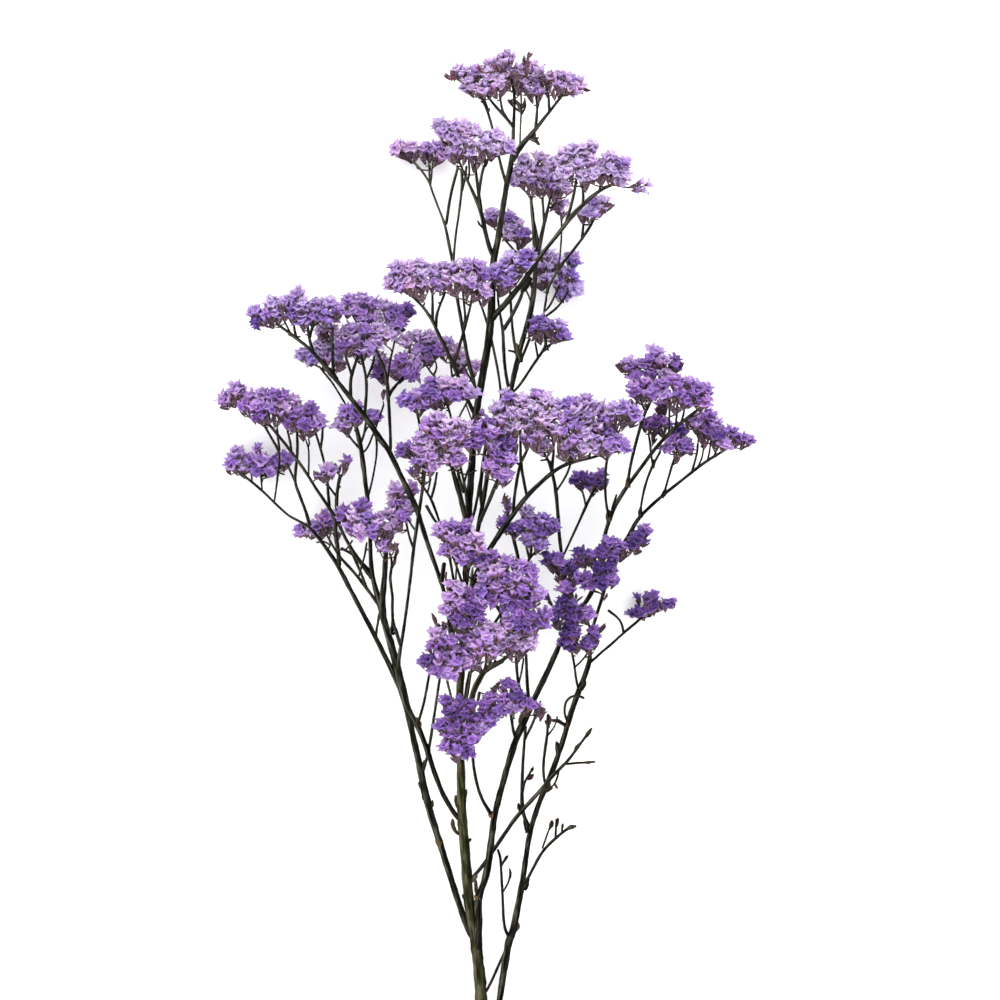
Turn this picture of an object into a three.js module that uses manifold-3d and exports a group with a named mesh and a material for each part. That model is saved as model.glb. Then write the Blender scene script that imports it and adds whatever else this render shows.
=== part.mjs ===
// Dried statice: one cut flowering spray, lying on its side on a flat surface.
//
// Frame: millimetres, +Z up. The spray lies along Y, with the cut stem end at -Y
// and the tip at +Y. The origin is under the middle of the spray, on the surface
// that it rests on, which is the plane z = 0.
//
// The spray is a woody main stem that carries a second stem and eleven side
// branches, each with its own fine twigs. The twigs end in papery flower heads.
// Every branch starts in the axil of the stem that bears it. Every flower head is
// a closed solid of the head's outer shape, and the twigs stop just short of it.
import * as THREE from 'three';
import { mergeVertices } from 'three/addons/utils/BufferGeometryUtils.js';
import { ConvexGeometry } from 'three/addons/geometries/ConvexGeometry.js';
import Module from 'manifold-3d';

const wasm = await Module();
wasm.setup();

// ---- driving dimensions, mm ----
const GAP = 0.35;            // clearance between neighbouring pieces
const HEAD_SHRINK = 0.92;    // solid part of a flower head against its petal tips
const SIDES_THICK = 6;       // sides of a stem section of radius THICK or more
const SIDES_MEDIUM = 5;      // sides of a branch section of radius MEDIUM or more
const SIDES_THIN = 4;        // sides of a twig section
const THICK = 2.4;           // radius that counts as thick
const MEDIUM = 1.3;          // radius that counts as medium
const MIN_RADIUS = 0.6;      // thinnest twig radius
const SURFACE_Z = 0;         // the surface that the spray rests on
const ORIGIN = [-13.894, -54.319]; // middle of the spray's outline, moved to x = y = 0

// ---- stems: each branch is a list of tubes, each tube a list of [x, y, z, radius] ----
const STEMS = {
  main_stem: [
    [[-10.6, -402.0, 3.7, 3.90], [-13.9, -311.6, 9.5, 3.73], [-20.6, -267.9, 15.2, 3.38], [-25.3, -210.7, 27.0, 3.12], [-26.8, -127.3, 44.7, 2.23], [-22.3, -74.9, 55.2, 1.69], [-23.1, -58.2, 58.1, 1.72], [-21.7, -38.8, 60.9, 2.54], [-21.3, -9.7, 63.8, 2.01], [-16.7, 52.2, 68.3, 2.39], [-6.8, 106.9, 70.0, 2.58], [-5.5, 126.3, 70.0, 2.37], [-4.8, 155.5, 68.0, 2.11], [-1.8, 166.4, 66.9, 2.05], [8.4, 227.2, 62.5, 1.41], [9.0, 263.4, 60.9, 0.85], [4.8, 279.1, 62.0, 0.69]],
    [[7.5, 220.5, 62.8, 1.92], [13.9, 231.5, 63.6, 1.78], [19.7, 236.9, 64.0, 1.51], [40.3, 263.1, 66.0, 0.83]],
    [[22.6, 240.8, 64.3, 0.98], [23.8, 254.6, 61.6, 0.87], [23.1, 262.6, 60.0, 0.66]],
    [[12.6, 229.4, 63.4, 0.51], [13.4, 264.4, 56.0, 0.55]],
    [[8.4, 242.8, 61.7, 1.16], [-4.9, 257.0, 67.7, 0.93], [-9.5, 263.2, 70.0, 0.83]],
    [[3.9, 205.2, 63.8, 1.03], [1.0, 212.9, 62.7, 0.87], [-8.1, 253.9, 57.3, 0.90], [-12.7, 262.5, 56.0, 0.75]],
    [[-4.4, 157.0, 67.9, 1.37], [-7.5, 164.2, 67.9, 1.37], [-12.0, 185.2, 68.0, 1.38], [-14.1, 192.2, 68.8, 1.36], [-24.2, 212.2, 71.0, 0.74], [-27.4, 221.2, 72.0, 0.67]],
    [[-12.8, 187.9, 68.3, 1.31], [-16.4, 216.0, 74.0, 0.83]],
    [[-14.1, 198.4, 70.4, 1.00], [-11.4, 213.6, 74.1, 0.83], [-8.0, 220.7, 76.0, 0.69]],
    [[-12.9, -330.3, 8.1, 1.01], [-8.1, -323.7, 7.0, 0.85], [1.9, -300.9, 3.6, 0.81], [7.2, -291.7, 3.2, 0.80], [11.2, -284.9, 4.5, 0.85], [10.5, -278.7, 7.0, 0.95]],
    [[-26.4, -165.3, 36.8, 1.79], [-20.4, -133.8, 53.2, 1.80], [-14.6, -117.4, 63.0, 1.83], [-8.0, -108.1, 70.0, 1.63], [0.3, -104.4, 75.6, 1.27], [5.5, -99.7, 80.0, 0.89]],
    [[-10.3, -110.3, 68.0, 0.82], [-9.3, -103.0, 76.4, 0.72], [-10.3, -95.1, 86.0, 0.61]],
    [[-12.0, -113.1, 66.0, 0.94], [-16.8, -96.1, 90.0, 0.83]],
    [[-26.8, -158.7, 38.2, 1.23], [-18.6, -108.0, 88.0, 0.72]],
    [[-26.8, -145.0, 41.1, 0.96], [-30.1, -135.1, 56.6, 0.72], [-34.8, -114.3, 88.0, 0.75]],
    [[-21.2, -138.2, 50.9, 0.78], [-15.7, -132.7, 58.2, 0.87], [-13.6, -124.5, 66.0, 0.98]],
    [[-25.7, -109.9, 48.2, 0.90], [-30.7, -97.3, 61.7, 0.82], [-32.8, -87.5, 71.9, 0.96], [-33.5, -77.5, 82.2, 0.87], [-33.0, -64.1, 96.0, 0.75]],
    [[-32.9, -85.3, 74.2, 0.65], [-29.5, -75.7, 94.0, 0.52]],
    [[-22.8, -81.5, 53.9, 0.97], [-27.2, -68.1, 65.1, 0.89], [-33.5, -31.5, 96.0, 0.83]],
    [[-28.9, -58.1, 73.5, 0.74], [-27.4, -35.8, 94.0, 0.48]],
    [[-24.8, -101.1, 50.0, 1.16], [-4.1, -85.8, 76.3, 0.98], [-0.2, -81.7, 82.0, 1.09], [0.9, -78.6, 83.9, 1.17], [0.2, -72.2, 86.7, 1.10], [-6.3, -63.2, 92.0, 1.00]],
    [[-22.3, -72.9, 55.6, 0.98], [-5.1, -56.5, 90.0, 0.65]],
    [[-25.7, -109.5, 48.3, 1.16], [-10.6, -90.0, 48.8, 1.03], [2.4, -70.2, 49.4, 0.90], [10.6, -52.3, 49.8, 0.58], [18.8, -39.2, 50.0, 0.79], [20.3, -28.6, 50.0, 0.83]],
    [[12.9, -48.7, 49.9, 0.86], [11.8, -39.2, 49.9, 1.06], [7.6, -20.9, 50.0, 1.00]],
    [[-23.1, -59.0, 58.0, 0.92], [-30.5, -35.5, 69.2, 0.59], [-38.1, -19.8, 77.2, 0.69], [-44.4, 1.6, 86.2, 0.84], [-53.1, 13.8, 92.0, 0.59]],
    [[-26.0, -172.1, 35.4, 0.95], [-32.1, -156.9, 70.0, 0.68]],
    [[-26.7, -160.7, 37.8, 0.98], [-20.7, -146.3, 70.0, 0.72]],
    [[-21.4, -19.9, 62.8, 0.77], [-16.7, -6.4, 70.2, 0.85], [-11.9, 19.3, 84.0, 0.75]],
  ],
  second_stem: [
    [[-10.9, -393.3, 4.2, 1.79], [4.9, -295.3, 8.9, 2.47], [8.3, -285.2, 10.7, 2.24], [15.1, -254.3, 15.5, 1.86], [18.7, -216.6, 20.0, 1.64], [35.1, -176.7, 25.0, 1.79], [41.7, -156.8, 26.4, 1.64], [48.8, -131.9, 27.0, 1.95], [58.3, -108.3, 26.1, 1.63], [59.2, -88.9, 25.0, 1.02], [67.9, -62.8, 23.1, 1.08], [70.5, -49.4, 23.7, 1.30], [85.5, -21.7, 26.0, 1.42], [92.7, -9.2, 28.9, 1.08], [109.5, 6.1, 33.5, 0.93], [130.7, 22.7, 39.0, 0.97], [151.5, 35.7, 44.0, 0.71]],
    [[6.6, -290.1, 9.7, 1.10], [3.3, -285.5, 11.9, 0.98], [1.9, -280.6, 14.0, 0.95], [0.2, -234.4, 21.3, 0.84], [-1.8, -230.5, 22.0, 0.83]],
    [[19.1, -215.7, 20.1, 1.17], [15.8, -210.0, 21.8, 1.30], [14.0, -197.8, 25.0, 1.33], [15.8, -156.2, 36.0, 0.95], [16.5, -148.1, 40.0, 0.92]],
    [[15.7, -157.3, 35.7, 0.83], [21.6, -144.5, 41.8, 0.79], [26.1, -131.0, 48.0, 0.61]],
    [[14.0, -196.3, 25.4, 0.83], [14.9, -187.4, 29.6, 0.76], [20.7, -175.7, 36.0, 0.57]],
    [[30.0, -188.0, 23.5, 0.88], [28.3, -183.3, 25.4, 0.88], [28.0, -174.4, 28.7, 0.90], [31.4, -150.8, 37.9, 0.88], [30.5, -144.7, 40.2, 0.81], [31.1, -139.9, 42.0, 0.74]],
    [[44.5, -146.3, 26.8, 0.76], [42.0, -139.5, 30.6, 0.79], [43.1, -131.6, 34.6, 0.79], [46.2, -128.4, 37.0, 0.79], [50.5, -127.1, 38.0, 0.80], [54.7, -129.6, 38.0, 0.84]],
    [[51.5, -125.2, 26.8, 0.77], [49.6, -118.6, 30.0, 0.75], [48.7, -107.5, 35.2, 0.75], [45.6, -93.7, 42.0, 0.65]],
    [[58.6, -106.9, 26.1, 0.85], [72.6, -95.7, 21.4, 0.80], [81.9, -86.6, 18.0, 0.82], [90.0, -80.8, 15.4, 0.86], [96.9, -74.3, 13.0, 0.81]],
    [[15.2, -253.9, 15.5, 1.03], [20.1, -246.4, 17.7, 1.00], [26.8, -230.1, 21.8, 1.00], [42.1, -217.3, 26.5, 0.98], [47.5, -214.1, 28.0, 0.92]],
    [[27.6, -229.4, 22.1, 0.63], [33.5, -211.8, 30.0, 0.63]],
    [[91.6, -10.6, 28.6, 0.72], [92.8, 0.6, 31.4, 0.73], [95.5, 12.4, 34.4, 0.75], [99.3, 22.5, 37.1, 0.83], [104.5, 31.8, 42.0, 0.75]],
    [[99.9, 23.5, 37.6, 0.72], [98.4, 29.3, 42.0, 0.70], [96.7, 44.4, 48.0, 0.65]],
    [[107.3, 4.1, 32.9, 0.71], [115.7, 32.8, 42.0, 0.70]],
    [[69.0, -56.8, 23.4, 0.82], [68.5, -45.2, 44.0, 0.67]],
  ],
  branch_right: [
    [[-14.8, -296.7, 12.0, 2.60], [-14.9, -263.4, 20.5, 2.47], [-10.9, -252.6, 23.0, 1.95], [-10.1, -248.6, 22.3, 2.41], [-8.2, -241.1, 25.0, 2.39], [-6.2, -227.3, 26.0, 2.12], [-5.1, -208.0, 29.0, 1.92], [10.3, -154.4, 43.5, 2.15], [16.8, -142.0, 47.3, 2.12], [20.0, -133.1, 48.0, 1.79], [30.7, -113.1, 46.0, 1.79], [38.6, -94.8, 40.9, 1.71], [41.8, -86.0, 38.4, 0.97], [53.8, -69.8, 33.0, 1.26], [59.6, -61.3, 33.3, 1.50], [65.3, -39.1, 34.0, 0.89], [69.4, -16.4, 40.0, 1.30], [73.7, -4.8, 43.9, 1.39], [83.0, 10.4, 50.0, 1.18], [98.6, 31.4, 58.2, 1.10], [114.5, 48.9, 65.9, 1.05], [128.6, 59.5, 72.0, 0.80]],
    [[-5.1, -208.0, 29.0, 1.16], [-11.9, -197.0, 38.5, 1.04], [-14.4, -189.9, 44.4, 1.02], [-17.8, -174.5, 56.8, 1.00], [-18.6, -157.8, 70.0, 0.92]],
    [[9.9, -156.0, 43.1, 1.01], [8.1, -150.3, 49.8, 1.03], [5.1, -129.2, 76.0, 0.77]],
    [[19.0, -135.9, 47.8, 1.14], [16.5, -99.3, 80.0, 0.85]],
    [[18.3, -128.6, 54.2, 0.72], [12.7, -123.2, 60.9, 0.81], [11.9, -120.7, 63.4, 0.87], [9.9, -99.3, 82.0, 0.83]],
    [[11.8, -119.4, 64.5, 0.57], [14.9, -101.9, 80.0, 0.54]],
    [[46.8, -78.7, 36.0, 1.30], [45.1, -69.0, 35.8, 1.03], [44.4, -59.0, 36.9, 0.89], [40.5, -39.3, 40.0, 1.00], [38.5, -26.2, 46.2, 1.01], [37.5, -9.8, 54.0, 1.03], [36.0, 9.7, 67.1, 1.17], [31.5, 25.8, 78.3, 0.94], [26.9, 32.8, 84.0, 0.67]],
    [[36.3, 6.3, 64.8, 0.61], [43.5, 18.0, 76.5, 0.64], [46.0, 26.3, 84.0, 0.69]],
    [[40.3, -38.0, 40.6, 0.63], [57.2, -1.0, 30.9, 1.02], [63.1, 9.9, 28.0, 1.00]],
    [[82.8, 10.1, 49.9, 0.95], [84.2, 22.5, 53.7, 0.95], [89.7, 44.2, 60.6, 1.09], [93.2, 56.5, 64.6, 1.03], [98.2, 66.3, 68.0, 0.92]],
    [[71.0, -12.0, 41.4, 0.84], [68.4, -0.2, 52.4, 0.81], [67.9, 9.7, 61.7, 0.84], [67.8, 21.8, 73.2, 0.90], [69.7, 32.8, 84.0, 0.86]],
  ],
  cross_branch: [
    [[-21.2, -252.4, 18.0, 1.23], [-9.9, -239.7, 17.9, 1.23], [8.8, -210.7, 22.8, 1.33], [13.7, -204.9, 24.0, 1.35], [26.4, -190.6, 33.0, 1.33], [35.7, -179.1, 34.5, 1.16], [43.7, -172.3, 36.7, 1.03], [59.1, -150.1, 42.0, 0.92]],
  ],
  branch_upper_right: [
    [[-22.4, -67.0, 56.6, 1.59], [-10.9, -37.5, 65.6, 1.59], [3.0, -16.0, 74.0, 1.70], [16.7, 3.9, 77.2, 1.44], [33.1, 18.0, 80.0, 1.22], [39.7, 22.4, 81.4, 1.17], [48.2, 25.6, 83.0, 1.00], [57.8, 26.8, 84.7, 0.81], [64.8, 29.4, 86.0, 0.70]],
    [[16.7, 3.8, 77.2, 0.85], [13.2, 24.5, 82.2, 0.98], [12.9, 48.2, 88.0, 0.66]],
    [[7.9, -8.9, 75.1, 0.93], [8.9, 4.0, 78.0, 1.00], [12.2, 21.9, 82.2, 0.98], [22.0, 44.7, 88.0, 0.66]],
    [[33.1, 18.0, 80.0, 1.04], [34.8, 32.2, 83.9, 0.78], [33.5, 39.9, 86.0, 0.65]],
  ],
  branch_left_low: [
    [[-15.9, -291.7, 11.7, 1.90], [-21.7, -284.1, 12.8, 1.90], [-31.6, -254.5, 16.5, 2.02], [-46.9, -204.9, 20.1, 2.23], [-51.4, -186.9, 21.0, 2.49], [-52.6, -176.3, 21.8, 2.23], [-58.4, -153.4, 23.6, 1.79], [-64.0, -127.0, 25.7, 2.73], [-70.0, -101.4, 28.0, 2.49], [-84.1, -51.0, 34.7, 1.48], [-85.8, -6.6, 39.6, 1.28], [-90.2, 29.3, 43.0, 1.52], [-94.9, 50.3, 46.0, 1.12]],
    [[-62.4, -132.8, 25.2, 2.15], [-66.7, -121.7, 25.6, 2.09], [-73.3, -108.6, 26.1, 1.54], [-82.4, -89.3, 26.7, 1.53], [-97.7, -61.7, 27.7, 1.46], [-107.0, -41.3, 28.4, 1.48], [-125.9, -16.1, 29.0, 0.76], [-139.8, -10.0, 25.1, 0.80], [-156.8, 6.3, 19.9, 0.81], [-174.2, 20.9, 16.0, 0.64]],
    [[-149.3, -1.2, 22.1, 0.57], [-147.8, 6.7, 27.0, 0.63], [-146.7, 14.6, 30.0, 0.63], [-145.1, 26.3, 31.3, 0.84], [-145.3, 32.8, 32.0, 0.87], [-154.9, 49.2, 36.0, 0.75]],
    [[-125.4, -16.7, 29.0, 1.03], [-127.1, -9.3, 29.7, 0.98], [-133.1, 6.0, 31.2, 0.91], [-135.4, 14.5, 32.0, 0.89], [-132.7, 32.8, 35.5, 0.89], [-133.3, 45.8, 38.0, 0.83]],
    [[-106.2, -43.1, 28.4, 1.33], [-105.9, -37.4, 30.2, 1.47], [-108.2, -19.7, 37.0, 1.28], [-108.7, -10.3, 37.1, 1.20], [-120.1, 6.1, 37.7, 0.85], [-129.5, 22.0, 38.5, 0.89], [-152.0, 50.4, 40.0, 0.82]],
    [[-125.8, 15.7, 38.2, 0.60], [-125.7, 32.7, 39.5, 0.57], [-127.2, 38.6, 40.0, 0.57]],
    [[-112.1, -4.9, 37.1, 0.96], [-113.4, 5.3, 33.0, 0.95], [-113.7, 11.8, 28.0, 0.83], [-114.3, 15.6, 26.9, 0.77], [-115.5, 22.5, 27.9, 0.79], [-117.3, 31.4, 32.0, 0.78], [-122.1, 47.2, 38.0, 0.75]],
    [[-84.2, -50.7, 34.7, 1.58], [-97.6, -32.5, 35.1, 0.99], [-105.6, -17.9, 35.4, 0.98], [-107.3, -9.9, 35.5, 1.14], [-107.8, 0.0, 35.7, 1.08], [-105.0, 16.6, 36.0, 1.00]],
    [[-79.0, -69.7, 32.7, 1.15], [-93.5, -50.8, 30.7, 0.95], [-105.6, -37.2, 29.0, 0.89]],
    [[-84.6, -47.1, 35.0, 0.97], [-96.6, -36.0, 33.0, 0.91], [-104.7, -31.3, 32.0, 0.85]],
    [[-87.7, -58.4, 31.5, 0.88], [-99.2, -30.5, 34.0, 0.89]],
    [[-93.4, -50.8, 30.7, 0.65], [-88.9, -36.7, 40.0, 0.64], [-87.3, -27.5, 46.0, 0.59]],
    [[-77.2, -77.3, 31.6, 2.29], [-78.1, -65.6, 36.2, 2.01], [-75.5, -49.1, 42.8, 1.70], [-74.6, -31.3, 50.0, 1.50]],
    [[-90.6, 31.0, 43.2, 0.60], [-87.3, 33.5, 44.4, 0.64], [-86.0, 36.1, 45.4, 0.68], [-76.1, 62.2, 54.0, 0.54]],
    [[-87.1, 1.8, 40.4, 0.80], [-84.4, 9.9, 42.0, 0.56], [-80.9, 28.5, 45.5, 0.58], [-81.3, 41.8, 48.0, 0.78]],
    [[-92.9, 42.5, 44.9, 1.00], [-95.9, 49.8, 36.0, 0.98], [-97.7, 55.2, 34.2, 0.96], [-100.1, 60.3, 34.0, 0.60], [-101.5, 62.8, 35.0, 0.56], [-103.0, 65.3, 38.1, 0.57], [-107.3, 72.9, 50.0, 0.59], [-110.4, 78.2, 50.0, 0.64], [-118.3, 87.4, 48.0, 0.65]],
    [[-51.9, -182.0, 21.4, 0.91], [-47.1, -165.9, 27.0, 0.98], [-44.8, -149.9, 46.4, 0.93], [-38.7, -111.8, 88.0, 0.83]],
    [[-100.3, -43.1, 29.8, 0.71], [-105.4, -36.3, 50.0, 0.68], [-107.3, -33.1, 51.2, 0.66], [-109.3, -29.8, 50.0, 0.64], [-115.8, -18.1, 50.0, 0.59]],
  ],
  branch_left_second: [
    [[-25.4, -211.4, 26.8, 1.56], [-31.2, -206.1, 28.2, 1.54], [-39.4, -190.3, 31.0, 1.50], [-47.1, -166.0, 35.0, 1.61], [-53.4, -149.6, 36.7, 1.73], [-61.4, -134.7, 37.9, 1.89], [-65.5, -117.1, 39.0, 1.79], [-66.6, -109.7, 41.6, 1.45], [-66.4, -101.9, 44.6, 1.19], [-58.5, -52.0, 60.0, 0.91], [-56.2, -29.1, 71.4, 1.03], [-52.6, -7.8, 80.0, 1.07], [-49.5, 11.6, 84.0, 0.95], [-48.1, 21.8, 92.0, 0.71]],
    [[-56.4, -31.2, 70.4, 0.72], [-61.5, -13.7, 60.0, 0.63]],
    [[-54.3, -147.5, 36.9, 0.90], [-49.4, -130.0, 60.3, 0.90], [-45.5, -109.8, 88.0, 0.83]],
    [[-50.3, 6.4, 82.9, 0.96], [-49.7, 25.7, 78.1, 0.82], [-50.5, 38.9, 78.5, 0.87], [-52.4, 52.2, 81.2, 0.90], [-55.8, 63.5, 86.0, 0.68]],
    [[-65.3, -96.7, 46.2, 0.64], [-70.6, -76.7, 47.6, 1.00], [-70.2, -62.1, 48.4, 0.94], [-72.1, -50.5, 49.1, 0.90], [-70.2, -40.4, 49.6, 0.78], [-72.2, -34.2, 50.0, 0.65]],
  ],
  branch_left_long: [
    [[-25.0, -102.7, 49.7, 1.38], [-31.3, -88.7, 52.2, 1.52], [-36.5, -58.5, 57.4, 1.22], [-53.1, -7.8, 70.0, 1.59], [-62.2, 11.1, 72.2, 1.44], [-71.5, 31.4, 72.9, 1.58], [-79.9, 42.8, 73.0, 1.90], [-92.8, 61.1, 72.6, 1.45], [-120.5, 95.2, 71.3, 1.05], [-145.5, 114.7, 66.0, 0.76]],
    [[-121.3, 96.0, 71.2, 0.93], [-124.1, 106.8, 71.6, 0.91], [-125.1, 117.7, 72.0, 0.75]],
    [[-123.7, 105.2, 71.5, 1.08], [-122.1, 112.0, 71.6, 0.95], [-119.9, 114.4, 71.7, 0.89], [-117.0, 116.3, 71.7, 0.84], [-107.1, 119.7, 71.9, 0.67], [-102.5, 123.2, 72.0, 0.60]],
    [[-106.9, 78.7, 72.0, 0.96], [-109.1, 90.5, 70.5, 0.93], [-108.8, 111.4, 68.0, 0.68]],
    [[-107.8, 79.8, 72.0, 1.10], [-112.3, 86.4, 62.0, 0.92], [-115.4, 91.9, 52.0, 0.78]],
    [[-96.9, 66.4, 72.4, 1.12], [-97.0, 78.5, 66.6, 1.08], [-92.0, 96.4, 58.0, 0.83]],
    [[-88.0, 54.6, 72.8, 1.09], [-86.7, 79.8, 63.8, 0.93], [-91.1, 95.4, 58.0, 0.83]],
    [[-86.7, 79.3, 63.9, 0.70], [-83.5, 87.0, 61.5, 0.76], [-81.1, 98.2, 58.0, 0.74]],
    [[-71.1, 30.4, 72.9, 0.89], [-72.5, 64.7, 72.0, 1.05], [-72.8, 72.6, 69.8, 1.16], [-73.7, 80.5, 67.7, 1.06], [-77.1, 90.5, 64.8, 0.92], [-82.0, 99.6, 62.0, 0.79]],
    [[-72.6, 66.8, 71.4, 1.08], [-70.2, 71.6, 66.6, 0.98], [-63.0, 80.6, 56.0, 0.75]],
    [[-73.2, 75.7, 69.0, 0.71], [-72.7, 87.9, 62.2, 0.64], [-67.9, 110.3, 50.0, 0.62]],
    [[-72.4, 62.9, 72.0, 0.83], [-73.8, 68.0, 66.6, 0.81], [-74.4, 81.7, 54.0, 0.67]],
  ],
  branch_mid_right: [
    [[-22.4, -48.0, 59.6, 1.39], [-16.8, -29.8, 60.4, 1.32], [-9.2, 9.9, 60.7, 1.39], [-7.5, 32.9, 60.4, 1.25], [-1.5, 45.5, 60.3, 1.06], [6.1, 67.3, 60.0, 1.66], [12.9, 98.9, 61.7, 1.63], [20.3, 123.3, 63.0, 1.78], [22.5, 142.8, 62.3, 1.79], [23.0, 153.4, 61.1, 1.11], [19.7, 198.4, 50.0, 0.89]],
    [[-13.8, -14.1, 60.5, 1.17], [-3.1, 9.0, 78.9, 0.84], [-0.6, 18.7, 86.0, 0.70]],
    [[-12.1, -5.5, 60.6, 0.97], [-13.2, 6.5, 60.0, 1.12], [-10.8, 29.2, 58.0, 1.17], [-6.9, 48.9, 58.0, 0.68], [-0.6, 63.4, 60.1, 0.61], [0.3, 69.9, 60.0, 0.68], [-1.1, 82.1, 60.0, 0.74], [-4.9, 101.1, 59.9, 0.78], [-9.1, 117.3, 61.1, 0.66], [-12.5, 126.6, 65.8, 0.62], [-16.3, 135.7, 74.0, 0.59]],
    [[6.4, 68.7, 60.1, 1.09], [2.7, 87.1, 60.5, 1.05], [2.0, 110.4, 61.0, 1.01], [-0.9, 123.5, 62.2, 0.72], [-1.6, 129.8, 65.2, 0.64], [-2.0, 136.5, 71.0, 0.60]],
    [[1.9, 111.0, 61.0, 1.29], [5.7, 116.5, 62.6, 1.19], [12.2, 129.4, 65.8, 1.13], [15.1, 138.1, 68.0, 1.00]],
    [[11.2, 91.7, 61.3, 0.89], [7.6, 110.6, 62.4, 0.90], [6.7, 128.1, 63.3, 0.85], [6.5, 131.0, 64.0, 0.76], [5.8, 138.5, 70.0, 0.60]],
    [[6.4, 68.8, 60.1, 0.81], [11.2, 72.2, 57.1, 0.80], [22.5, 91.0, 46.4, 0.88], [29.2, 99.7, 41.0, 0.97], [29.6, 105.3, 40.1, 0.94], [28.0, 120.6, 40.0, 0.58], [30.1, 134.5, 39.6, 0.64], [33.3, 143.8, 39.3, 0.82], [39.5, 154.5, 39.0, 1.10], [53.7, 172.3, 24.0, 0.84], [63.0, 188.1, 15.0, 0.76]],
    [[28.4, 123.5, 39.9, 0.66], [32.0, 126.8, 37.1, 0.63], [33.7, 129.9, 34.9, 0.61], [38.4, 141.0, 28.0, 0.59]],
    [[28.0, 119.5, 40.0, 0.70], [38.2, 127.6, 32.8, 0.73], [44.6, 137.8, 26.0, 0.64]],
    [[22.9, 154.4, 60.9, 1.23], [32.6, 198.2, 46.0, 0.67]],
    [[22.5, 159.4, 59.6, 0.98], [24.4, 169.3, 56.0, 1.08], [20.5, 187.8, 49.4, 0.92], [20.1, 198.1, 46.0, 0.83]],
    [[37.8, 151.5, 39.1, 0.56], [40.4, 177.3, 35.7, 0.55], [39.1, 189.6, 34.0, 0.59]],
    [[21.7, 136.0, 62.5, 1.15], [17.7, 146.3, 52.0, 1.04], [13.5, 155.4, 44.0, 0.90], [11.5, 163.8, 38.0, 0.81], [10.9, 170.5, 36.0, 0.73]],
    [[12.5, 159.6, 40.9, 0.78], [1.3, 173.2, 36.0, 0.64], [-2.0, 179.3, 34.0, 0.59]],
    [[10.1, 87.4, 61.0, 0.83], [13.9, 93.0, 56.7, 0.89], [19.1, 105.7, 48.0, 0.83]],
    [[-14.0, -15.4, 60.5, 1.04], [-12.7, -12.9, 66.0, 1.01], [-11.7, -10.4, 66.5, 0.98], [-1.9, 14.3, 66.0, 0.65]],
  ],
  branch_top_right: [
    [[-6.2, 116.7, 70.0, 1.89], [15.9, 142.5, 72.7, 1.70], [24.0, 156.4, 74.0, 1.08], [39.2, 173.9, 76.8, 1.20], [45.7, 184.0, 78.2, 1.59], [65.2, 200.9, 81.7, 0.93], [78.7, 205.8, 84.0, 0.72]],
    [[42.1, 178.4, 77.4, 1.07], [46.6, 193.6, 78.6, 0.89], [49.3, 212.2, 80.0, 0.69]],
    [[53.0, 190.8, 79.4, 0.85], [52.2, 210.9, 80.0, 0.65]],
  ],
  branch_top_left: [
    [[-14.3, 66.7, 68.9, 1.06], [-16.6, 72.2, 68.1, 1.06], [-17.2, 78.0, 67.4, 1.21], [-21.8, 94.0, 65.7, 1.16], [-24.6, 113.6, 63.7, 1.04], [-28.5, 129.9, 62.0, 1.25], [-30.9, 157.2, 60.0, 1.07], [-33.4, 163.8, 57.1, 1.08], [-35.6, 180.6, 50.0, 0.96], [-41.6, 193.2, 41.9, 0.67], [-46.6, 209.7, 32.0, 0.74], [-57.6, 224.3, 20.0, 0.55]],
    [[-46.0, 207.7, 33.2, 0.64], [-44.6, 224.5, 20.0, 0.53]],
    [[-35.5, 180.2, 50.2, 0.96], [-32.4, 198.7, 57.2, 0.97], [-27.7, 216.2, 64.0, 0.92]],
    [[-30.7, 154.8, 60.2, 0.76], [-29.3, 172.1, 61.9, 0.73], [-25.2, 200.8, 64.6, 0.80], [-25.3, 215.3, 66.0, 0.85]],
    [[-24.1, 110.3, 64.0, 0.85], [-22.1, 116.7, 66.4, 0.78], [-24.6, 137.7, 74.0, 0.59]],
  ],
  branch_mid_left: [
    [[-16.3, 54.8, 68.4, 1.26], [-22.8, 67.3, 70.0, 1.43], [-29.6, 86.4, 72.6, 1.28], [-40.5, 107.6, 76.3, 1.13], [-43.0, 115.3, 77.6, 1.13], [-50.6, 126.2, 79.7, 0.85], [-61.5, 135.7, 82.0, 0.63]],
    [[-41.7, 111.4, 76.9, 1.00], [-41.0, 120.2, 78.0, 0.90], [-35.9, 133.9, 80.0, 0.75]],
    [[-30.3, 87.8, 72.8, 1.09], [-19.8, 123.6, 76.6, 0.77], [-18.0, 136.8, 78.0, 0.66]],
    [[-24.3, 71.5, 70.6, 0.78], [-29.7, 71.1, 68.3, 0.76], [-36.3, 73.9, 65.5, 0.74], [-45.0, 82.8, 60.6, 0.69], [-50.1, 91.1, 56.0, 0.59]],
    [[-29.1, 71.1, 68.5, 0.65], [-32.5, 89.8, 58.0, 0.59]],
  ],
  branch_centre: [
    [[-20.8, -22.7, 63.0, 1.43], [-22.4, -13.0, 66.0, 1.62], [-24.9, -1.3, 72.0, 1.62], [-27.4, 7.7, 78.0, 1.62], [-31.8, 23.8, 86.0, 1.10]],
    [[-21.3, -13.0, 66.1, 0.97], [-21.4, -9.6, 68.7, 0.95], [-23.0, 10.8, 77.4, 0.80], [-27.5, 30.4, 86.0, 0.66]],
    [[-30.6, 21.4, 84.8, 0.77], [-30.2, 25.0, 80.6, 0.76], [-29.7, 32.3, 78.0, 0.73], [-30.4, 45.1, 78.0, 0.69], [-32.3, 56.5, 82.0, 0.72], [-34.8, 62.7, 86.0, 0.72]],
    [[-30.5, 45.2, 78.0, 0.62], [-19.5, 67.0, 86.0, 0.53]],
  ],
};

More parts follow.
